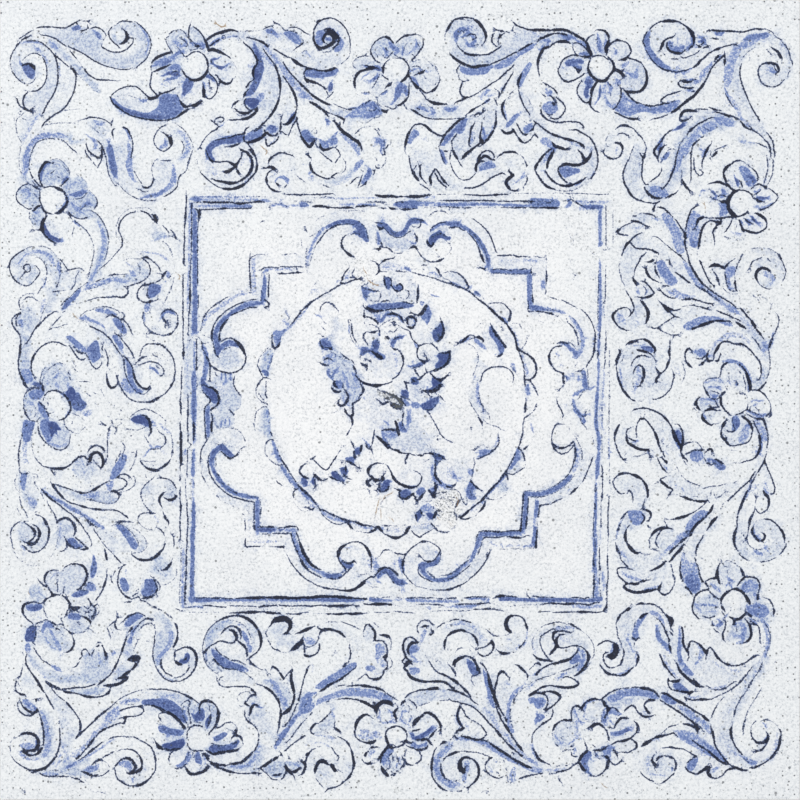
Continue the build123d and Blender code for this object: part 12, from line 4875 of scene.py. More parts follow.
def lion_beard_shades():
    """The darker touches on the lion's raised arm and on the hair down its left side."""
    brush("318,315 321,316", 2.6, 0.45)
    fill("319,341 324,338.5 330,343 333.5,349 327,350.5 321,348.5", 0.72)
    pen("320,343,1.8 321.5,346.5,2.4 324.5,348.5,2|327,347.5 331.5,349", 2.6, 0.85)
    brush("323,342 328,346,2.6", 2.4, 0.9)
    faint("320,334 323,337|323,336 326,339|329,352 335,354 336.5,360", 1.6, 0.6)
    fill("322,358 329,353 336,357 333,363 325,363.5", 0.36)
    pen("320,362.5,1.8 324,365,2.6 330,366,2.2|324,360.5,1.6 327.5,358.5 333,360", 2, 0.82)
    brush("329,369 328,373.5 331,378|338,368 335,371.5 333,376", 2.8, 0.72)
    faint("331,371 334,375|340,362 345,366|342,358 347,361", 1.6)
    fill("333.5,381 340,380.5 343.5,385 339.5,389 334.5,387.5", 0.66)
    pen("334,381 334.5,385,3 338,388.5,2.4|343,383,1.6 343,388,1.8", 2.6, 0.86)
    pen("331,387.5 334,391,2.6 338.5,392,2.6 342,390.5", 1.8, 0.9)
    pen("338.5,400,1.8 338.5,404 341.5,406 345,404,2.2 347.5,399,2.2 348,394.5,2 346,391,1.6", 2.4, 0.86)
    brush("343,372 346,380,3.6 349,389,3.4|354,379,2.6 358.5,388|349,393 354,399", 3, 0.42)
    brush("356,374 358,380,2.6|343,395 344,401|347,403 350,408", 2.4, 0.5)
    pen("360.5,384,1.8 363,388,2.4 362,393.5,2.4 358.5,397.5,1.8|360,399 356,402 352.5,403.5", 2.1, 0.84)
    pen("352,404,2 353,409.5,2.8 353,414.5,2.6 351.5,417 348,415 344.5,408.5,2.4", 2.2, 0.92)
    pen("352,418 352.5,424,2.6", 2.4, 0.86)
    tint("330,350 344,354 356,368 364,386 356,402 346,404 338,392 330,376 324,362", 0.55)
    tint("352,404 366,388 384,390 400,408 402,420 388,424 374,430 360,424 354,414", 0.3)


def lion_face_shades():
    """The darker touches on the lion's face and mane."""
    fill("362,347 369,348 376,350 382,354 385,359 379,360 374,355 367,353 362,356", 0.82)
    blot("374,352 380,353.5 384,358.5 379.5,360 376.5,356.5", 0.8)
    fill("372,341 377,341.5 378.5,347 374.5,349.5 372,346", 0.95)
    pen("374,338 373,343,2.2 374.5,348,2|378,337,1.4 379,343,1.6", 1.8, 0.6)
    brush("391.5,345 392.5,341,3 397,338,3.4 403,337,2.8", 2.4, 0.92)
    pen("385,336 389.5,339.5", 2.6, 0.86)
    brush("392,352 396,358 397,366 394,373", 2.6, 0.28)
    pen("405,318 404,322.5 406,326,2", 2.4, 0.5)
    fill("433,331 440,324 442.5,320.5 444,329 441.5,337 436,341.5 432.5,337.5", 0.92)
    pen("441,320.5,2 443.5,328 442.5,336 439,341,2.4 434.5,343,1.8", 2.8, 0.86)
    fill("437,355 443,352.5 449.5,351.5 449.5,359 445.5,365.5 437.5,369 435,364.5 439,361")
    pen("449.5,351,2.6 449.5,358.5 446,364.5 439,369,2.8 431,371.5,2.2", 3.2, 0.86)
    pen("438,353.5 443.5,353,2.4 449,351,2.2", 1.8, 0.7)
    fill("433,377 438,379 442,380 440.5,385.5 435.5,387.5 431.5,383")
    pen("433,376,2 437,379.5 442,379.5 446,376.5,2.2|424,391,2.6 430,391.5,3.6 436,389.5,3.6"
        " 441,384.5,3", 2.8, 0.9)
    fill("420.5,405.5 427,401 434,398.5 439,396.5 437,404 432,409.5 425,410.5", 0.9)
    pen("428,394.5 432,397.5|435,398 441,396.5|424,409.5,1.8 431,409.5,2.2 436.5,404,2.2", 2, 0.72)
    brush("424,405 431,404,3.4", 3)
    fill("411,378 416,377 418.5,382 414,385 411,382.5")
    pen("412,380 416.5,382.5,2.8", 2.6, 0.85)
    fill("401,394 404.5,389.5 408,392 408,397 404,398")
    brush("404.5,400 407.5,405|412,405,5 418,404,4.4", 3, 0.66)
    brush("411,366.5 417,365.5,3.8 424,362.5,3.2", 3, 0.86)
    pen("411,368,1.4 418,367 426,362.5", 2, 0.75)
    pen("425,362 428,358|414,369,1.8 416,373,2.2 420,377.5,1.8", 2, 0.7)


def lion_body_shades():
    """The darker touches down the lion's chest, front leg and belly."""
    brush("408.5,412 409,418,4.4 408,424", 3.4, 0.62)
    pen("403.5,413 402.5,419,1.8 402.5,426,2", 2.6, 0.75)
    pen("394.5,420.5,2.2 397.5,427 399,436.5|382,430.5,1.8 390,429,2.6 397.5,430,2.6", 2.8, 0.9)
    brush("399,422 401.5,427,3.2 406.5,431,3", 2.4, 0.9)
    fill("383,431 396,430.5 398,436 389,438 384.5,436", 0.46)
    brush("381.5,430,2.4 383,436,3 386,441,2.6|386,422 388.5,424.5", 2.8, 0.72)
    pen("383,442 387.5,444.5,3.2 389.5,448.5,2.6", 2.4, 0.85)
    brush("387,444 389,447", 3, 0.8)
    pen("374,432,1.6 373.5,438|366,443,1.8 369,449.5|371,447.5,2.3 372,451,2.3", 2.6, 0.85)
    fill("355,449 359,447 361,451 359,455 356,453", 0.95)
    pen("362,445,2 360,451,2.6|354,451,2.2 355,459,2.8|352,443 355,448", 2.4, 0.85)
    brush("367,442 369,446,2.6", 2.4, 0.6)
    tint("366,432 380,436 390,446 402,452 430,454 434,444 424,428 410,410 404,430 396,440 384,438", 0.42)
    brush("410,440 420,446,4|424,430 430,442,4", 3, 0.12)
    fill("345,458 351,457.5 354.5,462 349,463", 0.82)
    pen("344.5,461,1.8 350.5,462.5,2.4 354,465,2|355,465 358,468", 2.2, 0.82)
    fill("331,472.5 336.5,471.5 341.5,477 345,481 338,481.5 333,477.5|340,468 346,467.5 348.5,472 "
        "344.5,475.5 341,472")
    pen("345.5,466 346,472|344,474.5,2 349.5,479,2.4|330,477,2 336,479.5,2.4 342,481,2.4|342,481"
        " 344,484.5", 2.2, 0.9)
    fill("301,478 305,477.5 308,483 305.5,487 302,484", 0.92)
    fill("311,481 314,477.5 316,484 312.5,484.5")
    pen("300,473.5 304,477,2.4 308.5,478,2.4|314,474 315.5,485,2", 1.8, 0.86)
    pen("315,475.5 319,480,2.4 324,480.5,2.4 328,478.5", 1.8, 0.85)


def lion_hind_shades():
    """The darker touches on the lion's hind feet and on the knee."""
    fill("433,453 440,454.5 445.5,457.5 439,460.5 434.5,459")
    pen("430,452.5 437,454,2.8 444,457.5,2.4|438,461,1.6 445,458.5", 1.8, 0.8)
    brush("435.5,459 437,465,3.4", 3, 0.95)
    brush("432,466 432.5,474,4 435.5,482,4 438.5,489", 3, 0.56)
    pen("435.5,465 435.5,473.5,2.8 438.5,480,2.8 441.5,484", 2.2, 0.88)
    brush("439.5,481,3 445,485,4 451,486.5,3.4|453,476 456,477", 3.8, 0.6)
    pen("446,487 452,487.5,2.4 456,484,2", 1.8, 0.78)
    fill("428,489 434,487 436.5,486 435.5,491 433,495.5", 0.62)
    pen("428.5,489.5,2 433,495.5 435.5,490,3 436.5,484", 2.8, 0.92)
    fill("400,490.5 407,489.5 411.5,493 406,498 401,497.5", 0.86)
    pen("399,491 400,497,2.8 405,499,3 410,496,2.6 413.5,493,2.2|398,489,1.8 402,491", 2, 0.9)
    fill("416,491 424,487 424.5,491.5 420.5,496 417.5,494.5", 0.78)
    pen("413.5,494 416.5,502,2.4|417.5,500 421,496,2.2 426,490.5,2", 1.8, 0.85)
    pen("367,479.5 367.5,484,3.8 371,486|372,476,2.4 374,480,3.2 380,480|382.5,475.5 383,481", 3, 0.92)
    fill("382.5,483 389,479.5 389.5,486.5 384.5,491 378,491.5 382.5,487.5", 0.95)
    pen("377,489.5 382,486,2.8|379.5,492,2 386,490.5,3 389.5,486.5", 2.4, 0.85)
    pen("378,484.5 381,483|368,489.5 370,490", 2.2, 0.7)
    fill("415,517 419,510 421.5,515.5 417.5,521|426,513.5 431,512.5 434.5,518 430,519.5")
    pen("415.5,514.5 417,520.5,2.8|420,509,2 422,514.5|434.5,518 437,512,2.6", 2.4, 0.86)
    fill("419,509 426,504 433,506 434,511 427,511.5 421,514", 0.46)
    tint("404,456 420,458 432,470 434,484 424,492 414,478 406,466", 0.25)


def worn_places():
    """The rubbed grey places and the rusty stains."""
    chafe("376,389 384,391 392,392 401,399 404,408 396,408 388,401 380,396", 0.55)
    pen("383,391,2 388,393.5,2.4|390,394,2.2 396,397,3 401,402,3.4 402,408,2.4|377,399,2 382,404|"
        "391,402,2.4 396,406,3.6 400,409|385,399 389,398", 2.6, 0.85)
    chafe("436,492 446,488 458,490 462,506 458,522 448,530 440,518 434,506", 0.42)
    pen("437,493,2 442,493 448,492,2.4|438,510,2.2 442,512|455,508,3 459,500,3.4|454,513 457,516|440,499 "
        "443,497", 2.6, 0.6)
    chafe("350,262 358,258 370,264 376,276 370,286 358,282 352,272", 0.3)
    chafe("555,205 570,208 584,222 596,246 600,276 590,288 580,262 568,236 556,220", 0.24)
    chafe("250,200 262,201 266,208 256,214 249,208", 0.3)
    chafe("114,404 126,402 136,414 134,436 122,444 114,430", 0.24)
    chafe("440,536 470,530 500,536 532,540 536,548 500,552 470,544", 0.2)
    chafe("60,792 74,789 84,796 76,799 64,799", 0.3)
    rust("379,500 377,508 375.5,515|381,509 381,519|382,501 386,496 392,493|390,518 394,520", 1.5)
    rust("437,517 440,520 442,518|455,496 458,500 457,506|449,522 453,526", 1.9, 0.6)
    rust("369,280 373,284 377,285|364,270 367,274|372,288 375,290", 1.8, 0.75)
    rust("217,24 222,27 225,26|219,29 221,30", 2, 0.8)
    rust("176,273 180,276 179,279", 1.9, 0.75)
    rust("263,148 267,151 266,154", 1.9)
    rust("75,316 78,319 81,320|604,786 609,789|704,204 706,208|28,592 30,595", 1.8, 0.6)


def paint_pattern():
    """Paints every part of the pattern, in order."""
    corner_scroll_top_left()
    stem_top_left()
    flower_left_upper()
    left_border_upper_scroll()
    top_left_blue_leaf()
    top_left_flower()
    top_left_crescent()
    top_left_small_curls()
    top_middle_spiral()
    top_middle_stem()
    top_middle_flower()
    top_right_of_middle_stem()
    top_right_spiral()
    top_right_hook()
    top_right_arch()
    top_third_flower()
    top_right_big_spiral()
    top_right_stem()
    top_right_corner()
    right_corner_scroll()
    right_fan_leaf()
    right_first_flower()
    right_flower_stem()
    right_bell_leaf()
    right_ring_scroll()
    top_ring_scrolls()
    top_left_inner_tail()
    top_middle_lower_leaves()
    top_right_of_middle_fan()
    top_right_scrolls()
    top_right_of_middle_rings()
    right_small_scroll()
    right_leaf_with_bulb()
    right_middle_bulb()
    right_upper_spiral()
    right_claw_leaf()
    right_broad_band()
    right_clasp()
    right_middle_flower()
    right_middle_stem()
    right_lower_twin_leaves()
    right_lower_bud()
    right_lower_leaves()
    right_long_outline()
    right_lower_scroll()
    right_lower_blue_stems()
    right_lower_pointed_leaf()
    right_last_flower()
    right_last_stem()
    right_last_leaf()
    bottom_right_bud()
    bottom_right_corner_scroll()
    bottom_right_blue_wing()
    right_inner_hook()
    right_c_band()
    right_split_leaf()
    bottom_right_ring_leaf()
    bottom_right_pointed_leaf()
    bottom_right_stems()
    bottom_middle_blue_band()
    bottom_middle_ring()
    bottom_inner_bulb()
    bottom_arch_band()
    bottom_s_leaf()
    bottom_right_flower()
    bottom_specks()
    bottom_right_arch_scroll()
    bottom_right_arch_band()
    bottom_right_flower_right_half()
    bottom_left_of_middle_ring()
    bottom_twin_blue_blades()
    bottom_left_tall_leaf()
    bottom_right_tall_leaf()
    bottom_middle_right_band()
    bottom_middle_flower()
    bottom_left_ring_and_leaf()
    bottom_third_ring_scroll()
    bottom_flower_stain()
    crown()
    lion_face()
    lion_mouth()
    lion_mane_left()
    lion_plume_left()
    lion_mane_right()
    lion_chest()
    lion_chest_cracks()
    lion_raised_claws()
    crest_left_volute()
    crest_middle()
    crest_right_volute()
    ring_top()
    frame_top_middle()
    lion_standing_leg()
    lion_back_claws()
    ring_bottom()
    lion_ground_scroll()
    foot_volute_left()
    foot_middle()
    foot_volute_right()
    frame_bottom_middle()
    lion_tail_tufts()
    lion_tail()
    lion_haunch()
    ring_right_upper()
    flank_right_volute()
    flank_right_column()
    frame_right()
    frame_top_right()
    worn_corner_right()
    cartouche_top_right_arc()
    cartouche_top_right_step()
    ring_top_right()
    lion_hind_leg()
    worn_foot()
    ring_right_lower()
    cartouche_bottom_right_arc()
    cartouche_bottom_right_step()
    cartouche_bottom_right_leg()
    frame_bottom_right()
    frame_right_lower()
    frame_top_left()
    frame_left()
    cartouche_left_step()
    flank_left_volute()
    flank_left_column()
    flank_left_lower_curl()
    ring_left()
    left_border_lower_leaf()
    left_border_spiral()
    left_border_lower_curls()
    frame_left_lower()
    frame_bottom_left()
    cartouche_bottom_left_arc()
    cartouche_bottom_left_step()
    ring_left_lower()
    left_border_long_stem()
    left_border_curled_leaf()
    left_middle_flower()
    left_border_middle_stems()
    left_edge_worn_stem()
    left_border_crescent()
    left_border_folded_curl()
    left_border_rising_stems()
    left_edge_spiral()
    left_border_hooked_leaf()
    left_border_lower_leaf_shades()
    left_lower_flower_top()
    left_border_folded_leaves()
    left_lower_flower()
    bottom_left_wide_leaf()
    bottom_left_arched_stem()
    bottom_left_blue_arch()
    bottom_first_flower()
    bottom_left_spiral()
    frame_foot_line()
    bottom_left_bulb()
    bottom_left_hooked_stem()
    bottom_left_black_curl()
    bottom_left_split_leaf()
    bottom_left_tall_stem()
    left_edge_lower_curls()
    left_edge_falling_stem()
    bottom_left_corner_stem()
    bottom_left_small_leaf()
    bottom_left_corner_spiral()
    bottom_first_flower_foot()
    bottom_left_shell()
    bottom_left_edge_marks()
    lion_beard_shades()
    lion_face_shades()
    lion_body_shades()
    lion_hind_shades()
    worn_places()


# The tile's mesh: the CAD tile with its flat face cut finely enough to carry the painting

UNITS_PER_METRE = GRID / (tile_high.x - tile_low.x)
TOUCH = 1e-6  # within which two places or heights are one, in metres
BACKGROUND_PITCH = 7.0  # between vertices where nothing is painted, in units
BACKGROUND_STAGGER = 0.25  # of the pitch, in every second row
RIM_INSET = 3.2  # of the first vertices inside the face's edge, in units
RIM_EDGE = 0.01  # the length over which an edge of the rim is cut, in metres
RIM_CUTS = 79  # in such an edge
LEAST_GAPS = {  # between vertices, by rank, in units
    PEN_RANK: 0.85,
    STAIN_RANK: 0.72,
    BRUSH_RANK: 0.95,
    FILL_RANK: 0.95,
    WASH_RANK: 3.0,
    WASH_RANK + 1: 3.0,
    WEAR_RANK: 2.5,
    GROUND_RANK: 5.0,
}
CUT_INSIDE = 1  # the cutter's own name for a mesh of what lies inside the rim
CUT_TOUCH = 1e-4  # within which the cutter takes two places for one, in units
PEN_BLEED = 0.7  # of the outline's strength that bleeds
BLEED_SHARE = 1.1
BLEED_MOST = 0.5
BLEED_REACH = 3.0  # of the bleed, in units
BAKE_SHARE = 0.94  # of the baked square that the face takes along each side
BAKE_EDGE = 0.004
FACING_UP = 0.999
FACING_DOWN = -0.35
GLAZE_DEPTH = 0.0013  # of the glaze below the flat face, over the arris, in metres
SHARP_ANGLE = math.radians(35)  # from which an edge is shaded sharp, where all faces are smooth
LAST_CELL = 1e-3  # keeps a place off the sheet's last cell


def thinned(places):
    """The wanted places, best rank first, less those too near one already taken."""
    taken = {}
    kept = []
    low, high = RIM_INSET, GRID - RIM_INSET
    for rank, x, y in sorted(places, key=lambda place: place[0]):
        if not (low < x < high and low < y < high):
            continue
        gap = LEAST_GAPS[rank]
        reach = int(math.ceil(gap))
        cx, cy = int(x), int(y)
        near = (
            spot
            for i in range(cx - reach, cx + reach + 1)
            for j in range(cy - reach, cy + reach + 1)
            for spot in taken.get((i, j), ())
        )
        if all((x - a) ** 2 + (y - b) ** 2 >= gap * gap for a, b in near):
            taken.setdefault((cx, cy), []).append((x, y))
            kept.append((x, y))
    return kept


def background_places():
    """A staggered grid of places, so that no bare stretch of the face has long thin triangles."""
    rows = int(GRID / BACKGROUND_PITCH)
    pitch = GRID / rows
    return [
        (GROUND_RANK, (i + 0.5 + BACKGROUND_STAGGER * (j % 2)) * pitch, (j + 0.5) * pitch)
        for j in range(rows)
        for i in range(rows)
    ]


def spread(cells, reach):
    """The cells, each the mean of those within the reach along each axis, three times over."""
    width = 2 * reach + 1
    for axis in (0, 1) * 3:
        margins = [(reach + 1, reach) if a == axis else (0, 0) for a in (0, 1)]
        total = np.cumsum(np.pad(cells, margins, mode="edge"), axis=axis, dtype=np.float64)
        after = np.take(total, range(width, total.shape[axis]), axis)
        before = np.take(total, range(total.shape[axis] - width), axis)
        cells = (after - before) / width
    return cells.astype(np.float32)


def bleed():
    """Thin colour that the glaze took from the strokes, most where they lie close together."""
    strokes = np.maximum(PEN_BLEED * sheet["pen"], sheet["blue"])
    halo = np.clip(BLEED_SHARE * spread(strokes, int(BLEED_REACH * CELLS_PER_UNIT)), 0, BLEED_MOST)
    np.maximum(sheet["wash"], halo, out=sheet["wash"])


def open_body():
    """The CAD tile without its flat face, and the loop of vertices that the face hung on."""
    body = bmesh.new()
    body.from_mesh(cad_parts["tile"].data)
    bmesh.ops.remove_doubles(body, verts=body.verts, dist=TOUCH)
    level = tile_high.z - TOUCH
    flat = [face for face in body.faces if all(vert.co.z > level for vert in face.verts)]
    bmesh.ops.delete(body, geom=flat, context="FACES")
    long_edges = [edge for edge in body.edges if edge.is_boundary and edge.calc_length() > RIM_EDGE]
    bmesh.ops.subdivide_edges(body, edges=long_edges, cuts=RIM_CUTS)
    bmesh.ops.triangulate(body, faces=[face for face in body.faces if len(face.verts) > 3])
    edge = next(edge for edge in body.edges if edge.is_boundary)
    loop = [edge.verts[0]]
    vert = edge.verts[1]
    while vert != loop[0]:
        loop.append(vert)
        edge = next(other for other in vert.link_edges if other.is_boundary and other != edge)
        vert = edge.other_vert(vert)
    return body, loop


def to_units(x, y):
    """A place on the face, in the drawing's units."""
    return (x - tile_low.x) * UNITS_PER_METRE, (tile_high.y - y) * UNITS_PER_METRE


def from_units(x, y):
    """The place on the face that the drawing's units name."""
    return tile_low.x + x / UNITS_PER_METRE, tile_high.y - y / UNITS_PER_METRE, tile_high.z


def close_face(body, loop, wanted):
    """Cuts the face through the wanted places and sews it to the loop."""
    rim = [to_units(vert.co.x, vert.co.y) for vert in loop]
    outline = [list(range(len(rim)))]
    coords, _, faces, sources, _, _ = geometry.delaunay_2d_cdt(
        rim + wanted, [], outline, CUT_INSIDE, CUT_TOUCH, True
    )
    made = []
    for place, origin in zip(coords, sources):
        at_rim = [k for k in origin if k < len(loop)]
        if at_rim:
            made.append(loop[at_rim[0]])
            continue
        made.append(body.verts.new(from_units(*place)))
    for face in faces:
        new = body.faces.new([made[k] for k in face])
        new.normal_update()
        if new.normal.z < 0:
            new.normal_flip()


def bake_place(place, normal):
    """A corner's place in the baked square: the face fills most of it, and the sides and back lie beyond."""
    x = (place.x - tile_low.x) / (tile_high.x - tile_low.x)
    y = (place.y - tile_low.y) / (tile_high.y - tile_low.y)
    z = (place.z - tile_low.z) / (tile_high.z - tile_low.z)
    beyond = BAKE_EDGE + BAKE_SHARE + 2 * BAKE_EDGE
    strip = (1 - beyond - 3 * BAKE_EDGE) / 2
    if normal.z > FACING_UP:
        return BAKE_EDGE + x * BAKE_SHARE, BAKE_EDGE + y * BAKE_SHARE
    if normal.z < FACING_DOWN:
        return beyond + x * (1 - beyond - BAKE_EDGE), beyond + y * (1 - beyond - BAKE_EDGE)
    if abs(normal.x) > abs(normal.y):
        start = beyond + (strip + BAKE_EDGE) * (normal.x > 0)
        return start + z * strip, BAKE_EDGE + y * BAKE_SHARE
    start = beyond + (strip + BAKE_EDGE) * (normal.y > 0)
    return BAKE_EDGE + x * BAKE_SHARE, start + z * strip


def sampled(layer, xs, ys):
    """The sheet's value at places between its cells."""
    cells = sheet[layer]
    last = cells.shape[0] - 1
    u = np.clip(xs * CELLS_PER_UNIT - 0.5, 0, last - LAST_CELL)
    v = np.clip(ys * CELLS_PER_UNIT - 0.5, 0, last - LAST_CELL)
    i, j = u.astype(int), v.astype(int)
    fu, fv = u - i, v - j
    near = cells[j, i] * (1 - fu) + cells[j, i + 1] * fu
    far = cells[j + 1, i] * (1 - fu) + cells[j + 1, i + 1] * fu
    return near * (1 - fv) + far * fv


def carry_paint(mesh):
    """Gives every vertex of the face its share of each layer."""
    spots = np.empty(len(mesh.vertices) * 3, np.float32)
    mesh.vertices.foreach_get("co", spots)
    spots = spots.reshape(-1, 3)
    xs = (spots[:, 0] - tile_low.x) * UNITS_PER_METRE
    ys = (tile_high.y - spots[:, 1]) * UNITS_PER_METRE
    on_face = spots[:, 2] > tile_high.z - TOUCH
    layers = {layer: np.where(on_face, sampled(layer, xs, ys), 0) for layer in LAYERS}
    ink = mesh.attributes.new("ink", "FLOAT_COLOR", "POINT")
    colours = np.stack([layers[layer] for layer in ("pen", "blue", "wash", "rust")], axis=1)
    ink.data.foreach_set("color", colours.astype(np.float32).ravel())
    wear = mesh.attributes.new("wear", "FLOAT", "POINT")
    wear.data.foreach_set("value", layers["wear"].astype(np.float32))


def make_tile():
    """The painted tile, one closed mesh."""
    body, loop = open_body()
    close_face(body, loop, thinned(guides + background_places()))
    marks = body.loops.layers.uv.new("OFBake")
    for face in body.faces:
        face.material_index = 0 if face.calc_center_median().z > tile_high.z - GLAZE_DEPTH else 1
        for corner in face.loops:
            corner[marks].uv = bake_place(corner.vert.co, face.normal)
    mesh = bpy.data.meshes.new("painted_tile")
    body.to_mesh(mesh)
    body.free()
    mesh.set_sharp_from_angle(angle=SHARP_ANGLE)
    carry_paint(mesh)
    mesh.materials.append(glaze_material())
    mesh.materials.append(body_material())
    piece = bpy.data.objects.new("painted_tile", mesh)
    bpy.context.scene.collection.objects.link(piece)
    return piece


# Materials


def srgb(red, green, blue):
    """A colour from its 0 to 255 values as a photograph shows them."""
    shares = [c / 255 for c in (red, green, blue)]
    return (*[s / 12.92 if s <= 0.04045 else ((s + 0.055) / 1.055) ** 2.4 for s in shares], 1.0)


# The paler glaze of the face's middle; toward the edges the face turns to the slightly darker MARGIN_GLAZE
MIDDLE_GLAZE = srgb(243, 244, 245)
MARGIN_GLAZE = srgb(235, 238, 240)
BROAD_CLOUD = srgb(226, 229, 233)
SMALL_CLOUD = srgb(222, 226, 231)
DULL_GRAIN = srgb(164, 171, 180)
BRIGHT_GRAIN = srgb(254, 254, 254)
THIN_WASH = srgb(203, 213, 226)
FULL_WASH = srgb(132, 151, 192)
THIN_COBALT = srgb(116, 139, 194)
FULL_COBALT = srgb(40, 62, 124)
THIN_LINE = srgb(82, 104, 154)
FULL_LINE = srgb(8, 16, 40)
WORN_GREY = srgb(96, 100, 100)
RUST_BROWN = srgb(150, 118, 72)
SPECK_GREY = srgb(70, 74, 82)
BODY_DULL = srgb(214, 207, 196)
BODY_PALE = srgb(226, 221, 212)
BODY_GRIT = srgb(186, 178, 166)
BODY_SPECK = srgb(128, 112, 96)
FLOOR_DULL = srgb(226, 226, 224)
FLOOR_PALE = srgb(232, 232, 230)
COAT_ROUGHNESS = 0.3
SPECK_FADE = 0.35  # half the width over which a speck's edge fades, in units


class Shader:
    """A material's nodes, with a short call for each kind that the tile needs."""

    def __init__(self, name):
        """A new material, and the place on the object in units."""
        self.material = bpy.data.materials.new(name)
        self.material.use_nodes = True
        self.tree = self.material.node_tree
        self.tree.nodes.clear()
        place = self.node("ShaderNodeTexCoord").outputs["Object"]
        self.place = self.node(
            "ShaderNodeVectorMath", {0: place, 1: (UNITS_PER_METRE,) * 3}, operation="MULTIPLY"
        ).outputs[0]

    def node(self, kind, values=None, **settings):
        """A node with its settings, each input given a value or joined to a socket."""
        made = self.tree.nodes.new(kind)
        for name, value in settings.items():
            setattr(made, name, value)
        for key, value in (values or {}).items():
            if isinstance(value, bpy.types.NodeSocket):
                self.tree.links.new(value, made.inputs[key])
            else:
                made.inputs[key].default_value = value
        return made

    def reckon(self, operation, first, second):
        """One step of arithmetic."""
        return self.node("ShaderNodeMath", {0: first, 1: second}, operation=operation).outputs[0]

    def moved(self, shift):
        """The place, moved along both sides of the face."""
        values = {0: self.place, 1: (shift, shift, 0)}
        return self.node("ShaderNodeVectorMath", values, operation="ADD").outputs[0]

    def noise(self, size, detail, roughness, shift):
        """Cloudy noise about 0.5, its blots about size units across."""
        values = {"Vector": self.moved(shift), "Scale": 1 / size, "Detail": detail, "Roughness": roughness}
        return self.node("ShaderNodeTexNoise", values).outputs["Fac"]

    def ease(self, value, low, high, start=0.0, end=1.0):
        """From start to end, smoothly, as the value goes from low to high."""
        values = {"Value": value, "From Min": low, "From Max": high, "To Min": start, "To Max": end}
        return self.node("ShaderNodeMapRange", values, interpolation_type="SMOOTHSTEP").outputs[0]

    def mix(self, share, first, second):
        """The second colour over the first, by its share."""
        values = {0: share, 6: first, 7: second}
        return self.node("ShaderNodeMix", values, data_type="RGBA").outputs[2]

    def added(self, *terms):
        """The sum of the terms."""
        total = terms[0]
        for term in terms[1:]:
            total = self.reckon("ADD", total, term)
        return total

    def times(self, first, second):
        """The product of two values."""
        return self.reckon("MULTIPLY", first, second)

    def swing(self, noise, reach):
        """Noise as a swing about nought of up to about half its reach."""
        return self.times(self.reckon("SUBTRACT", noise, 0.5), reach)

    def finish(self, colour, roughness, height, depth, coat=0.0, sheen=0.5):
        """The shader itself, with fine relief from the height, as deep in metres as the depth."""
        bump = self.node("ShaderNodeBump", {"Height": height, "Distance": depth, "Strength": 1.0})
        values = {
            "Base Color": colour,
            "Roughness": roughness,
            "Normal": bump.outputs[0],
            "Coat Weight": coat,
            "Coat Roughness": COAT_ROUGHNESS,
            "Specular IOR Level": sheen,
        }
        skin = self.node("ShaderNodeBsdfPrincipled", values)
        self.node("ShaderNodeOutputMaterial", {"Surface": skin.outputs[0]})
        return self.material


def specks(paint, spacing, radius, share, shift, dimensions="2D"):
    """Scattered dots: about one per cell of the spacing, times the share, each of about the radius."""
    values = {"Vector": paint.moved(shift), "Scale": 1 / spacing, "Randomness": 1.0}
    cells = paint.node("ShaderNodeTexVoronoi", values, voronoi_dimensions=dimensions)
    chosen = paint.node("ShaderNodeSeparateColor", {0: cells.outputs["Color"]}).outputs
    gate = paint.reckon("LESS_THAN", chosen[0], share)
    size = paint.times(chosen[1], radius / spacing)
    uneven = paint.swing(paint.noise(size=1.1, detail=2.0, roughness=0.6, shift=shift), 0.05)
    ragged = paint.added(cells.outputs["Distance"], uneven)
    near = paint.ease(paint.reckon("SUBTRACT", size, ragged), -SPECK_FADE / spacing, SPECK_FADE / spacing)
    return paint.times(near, gate)


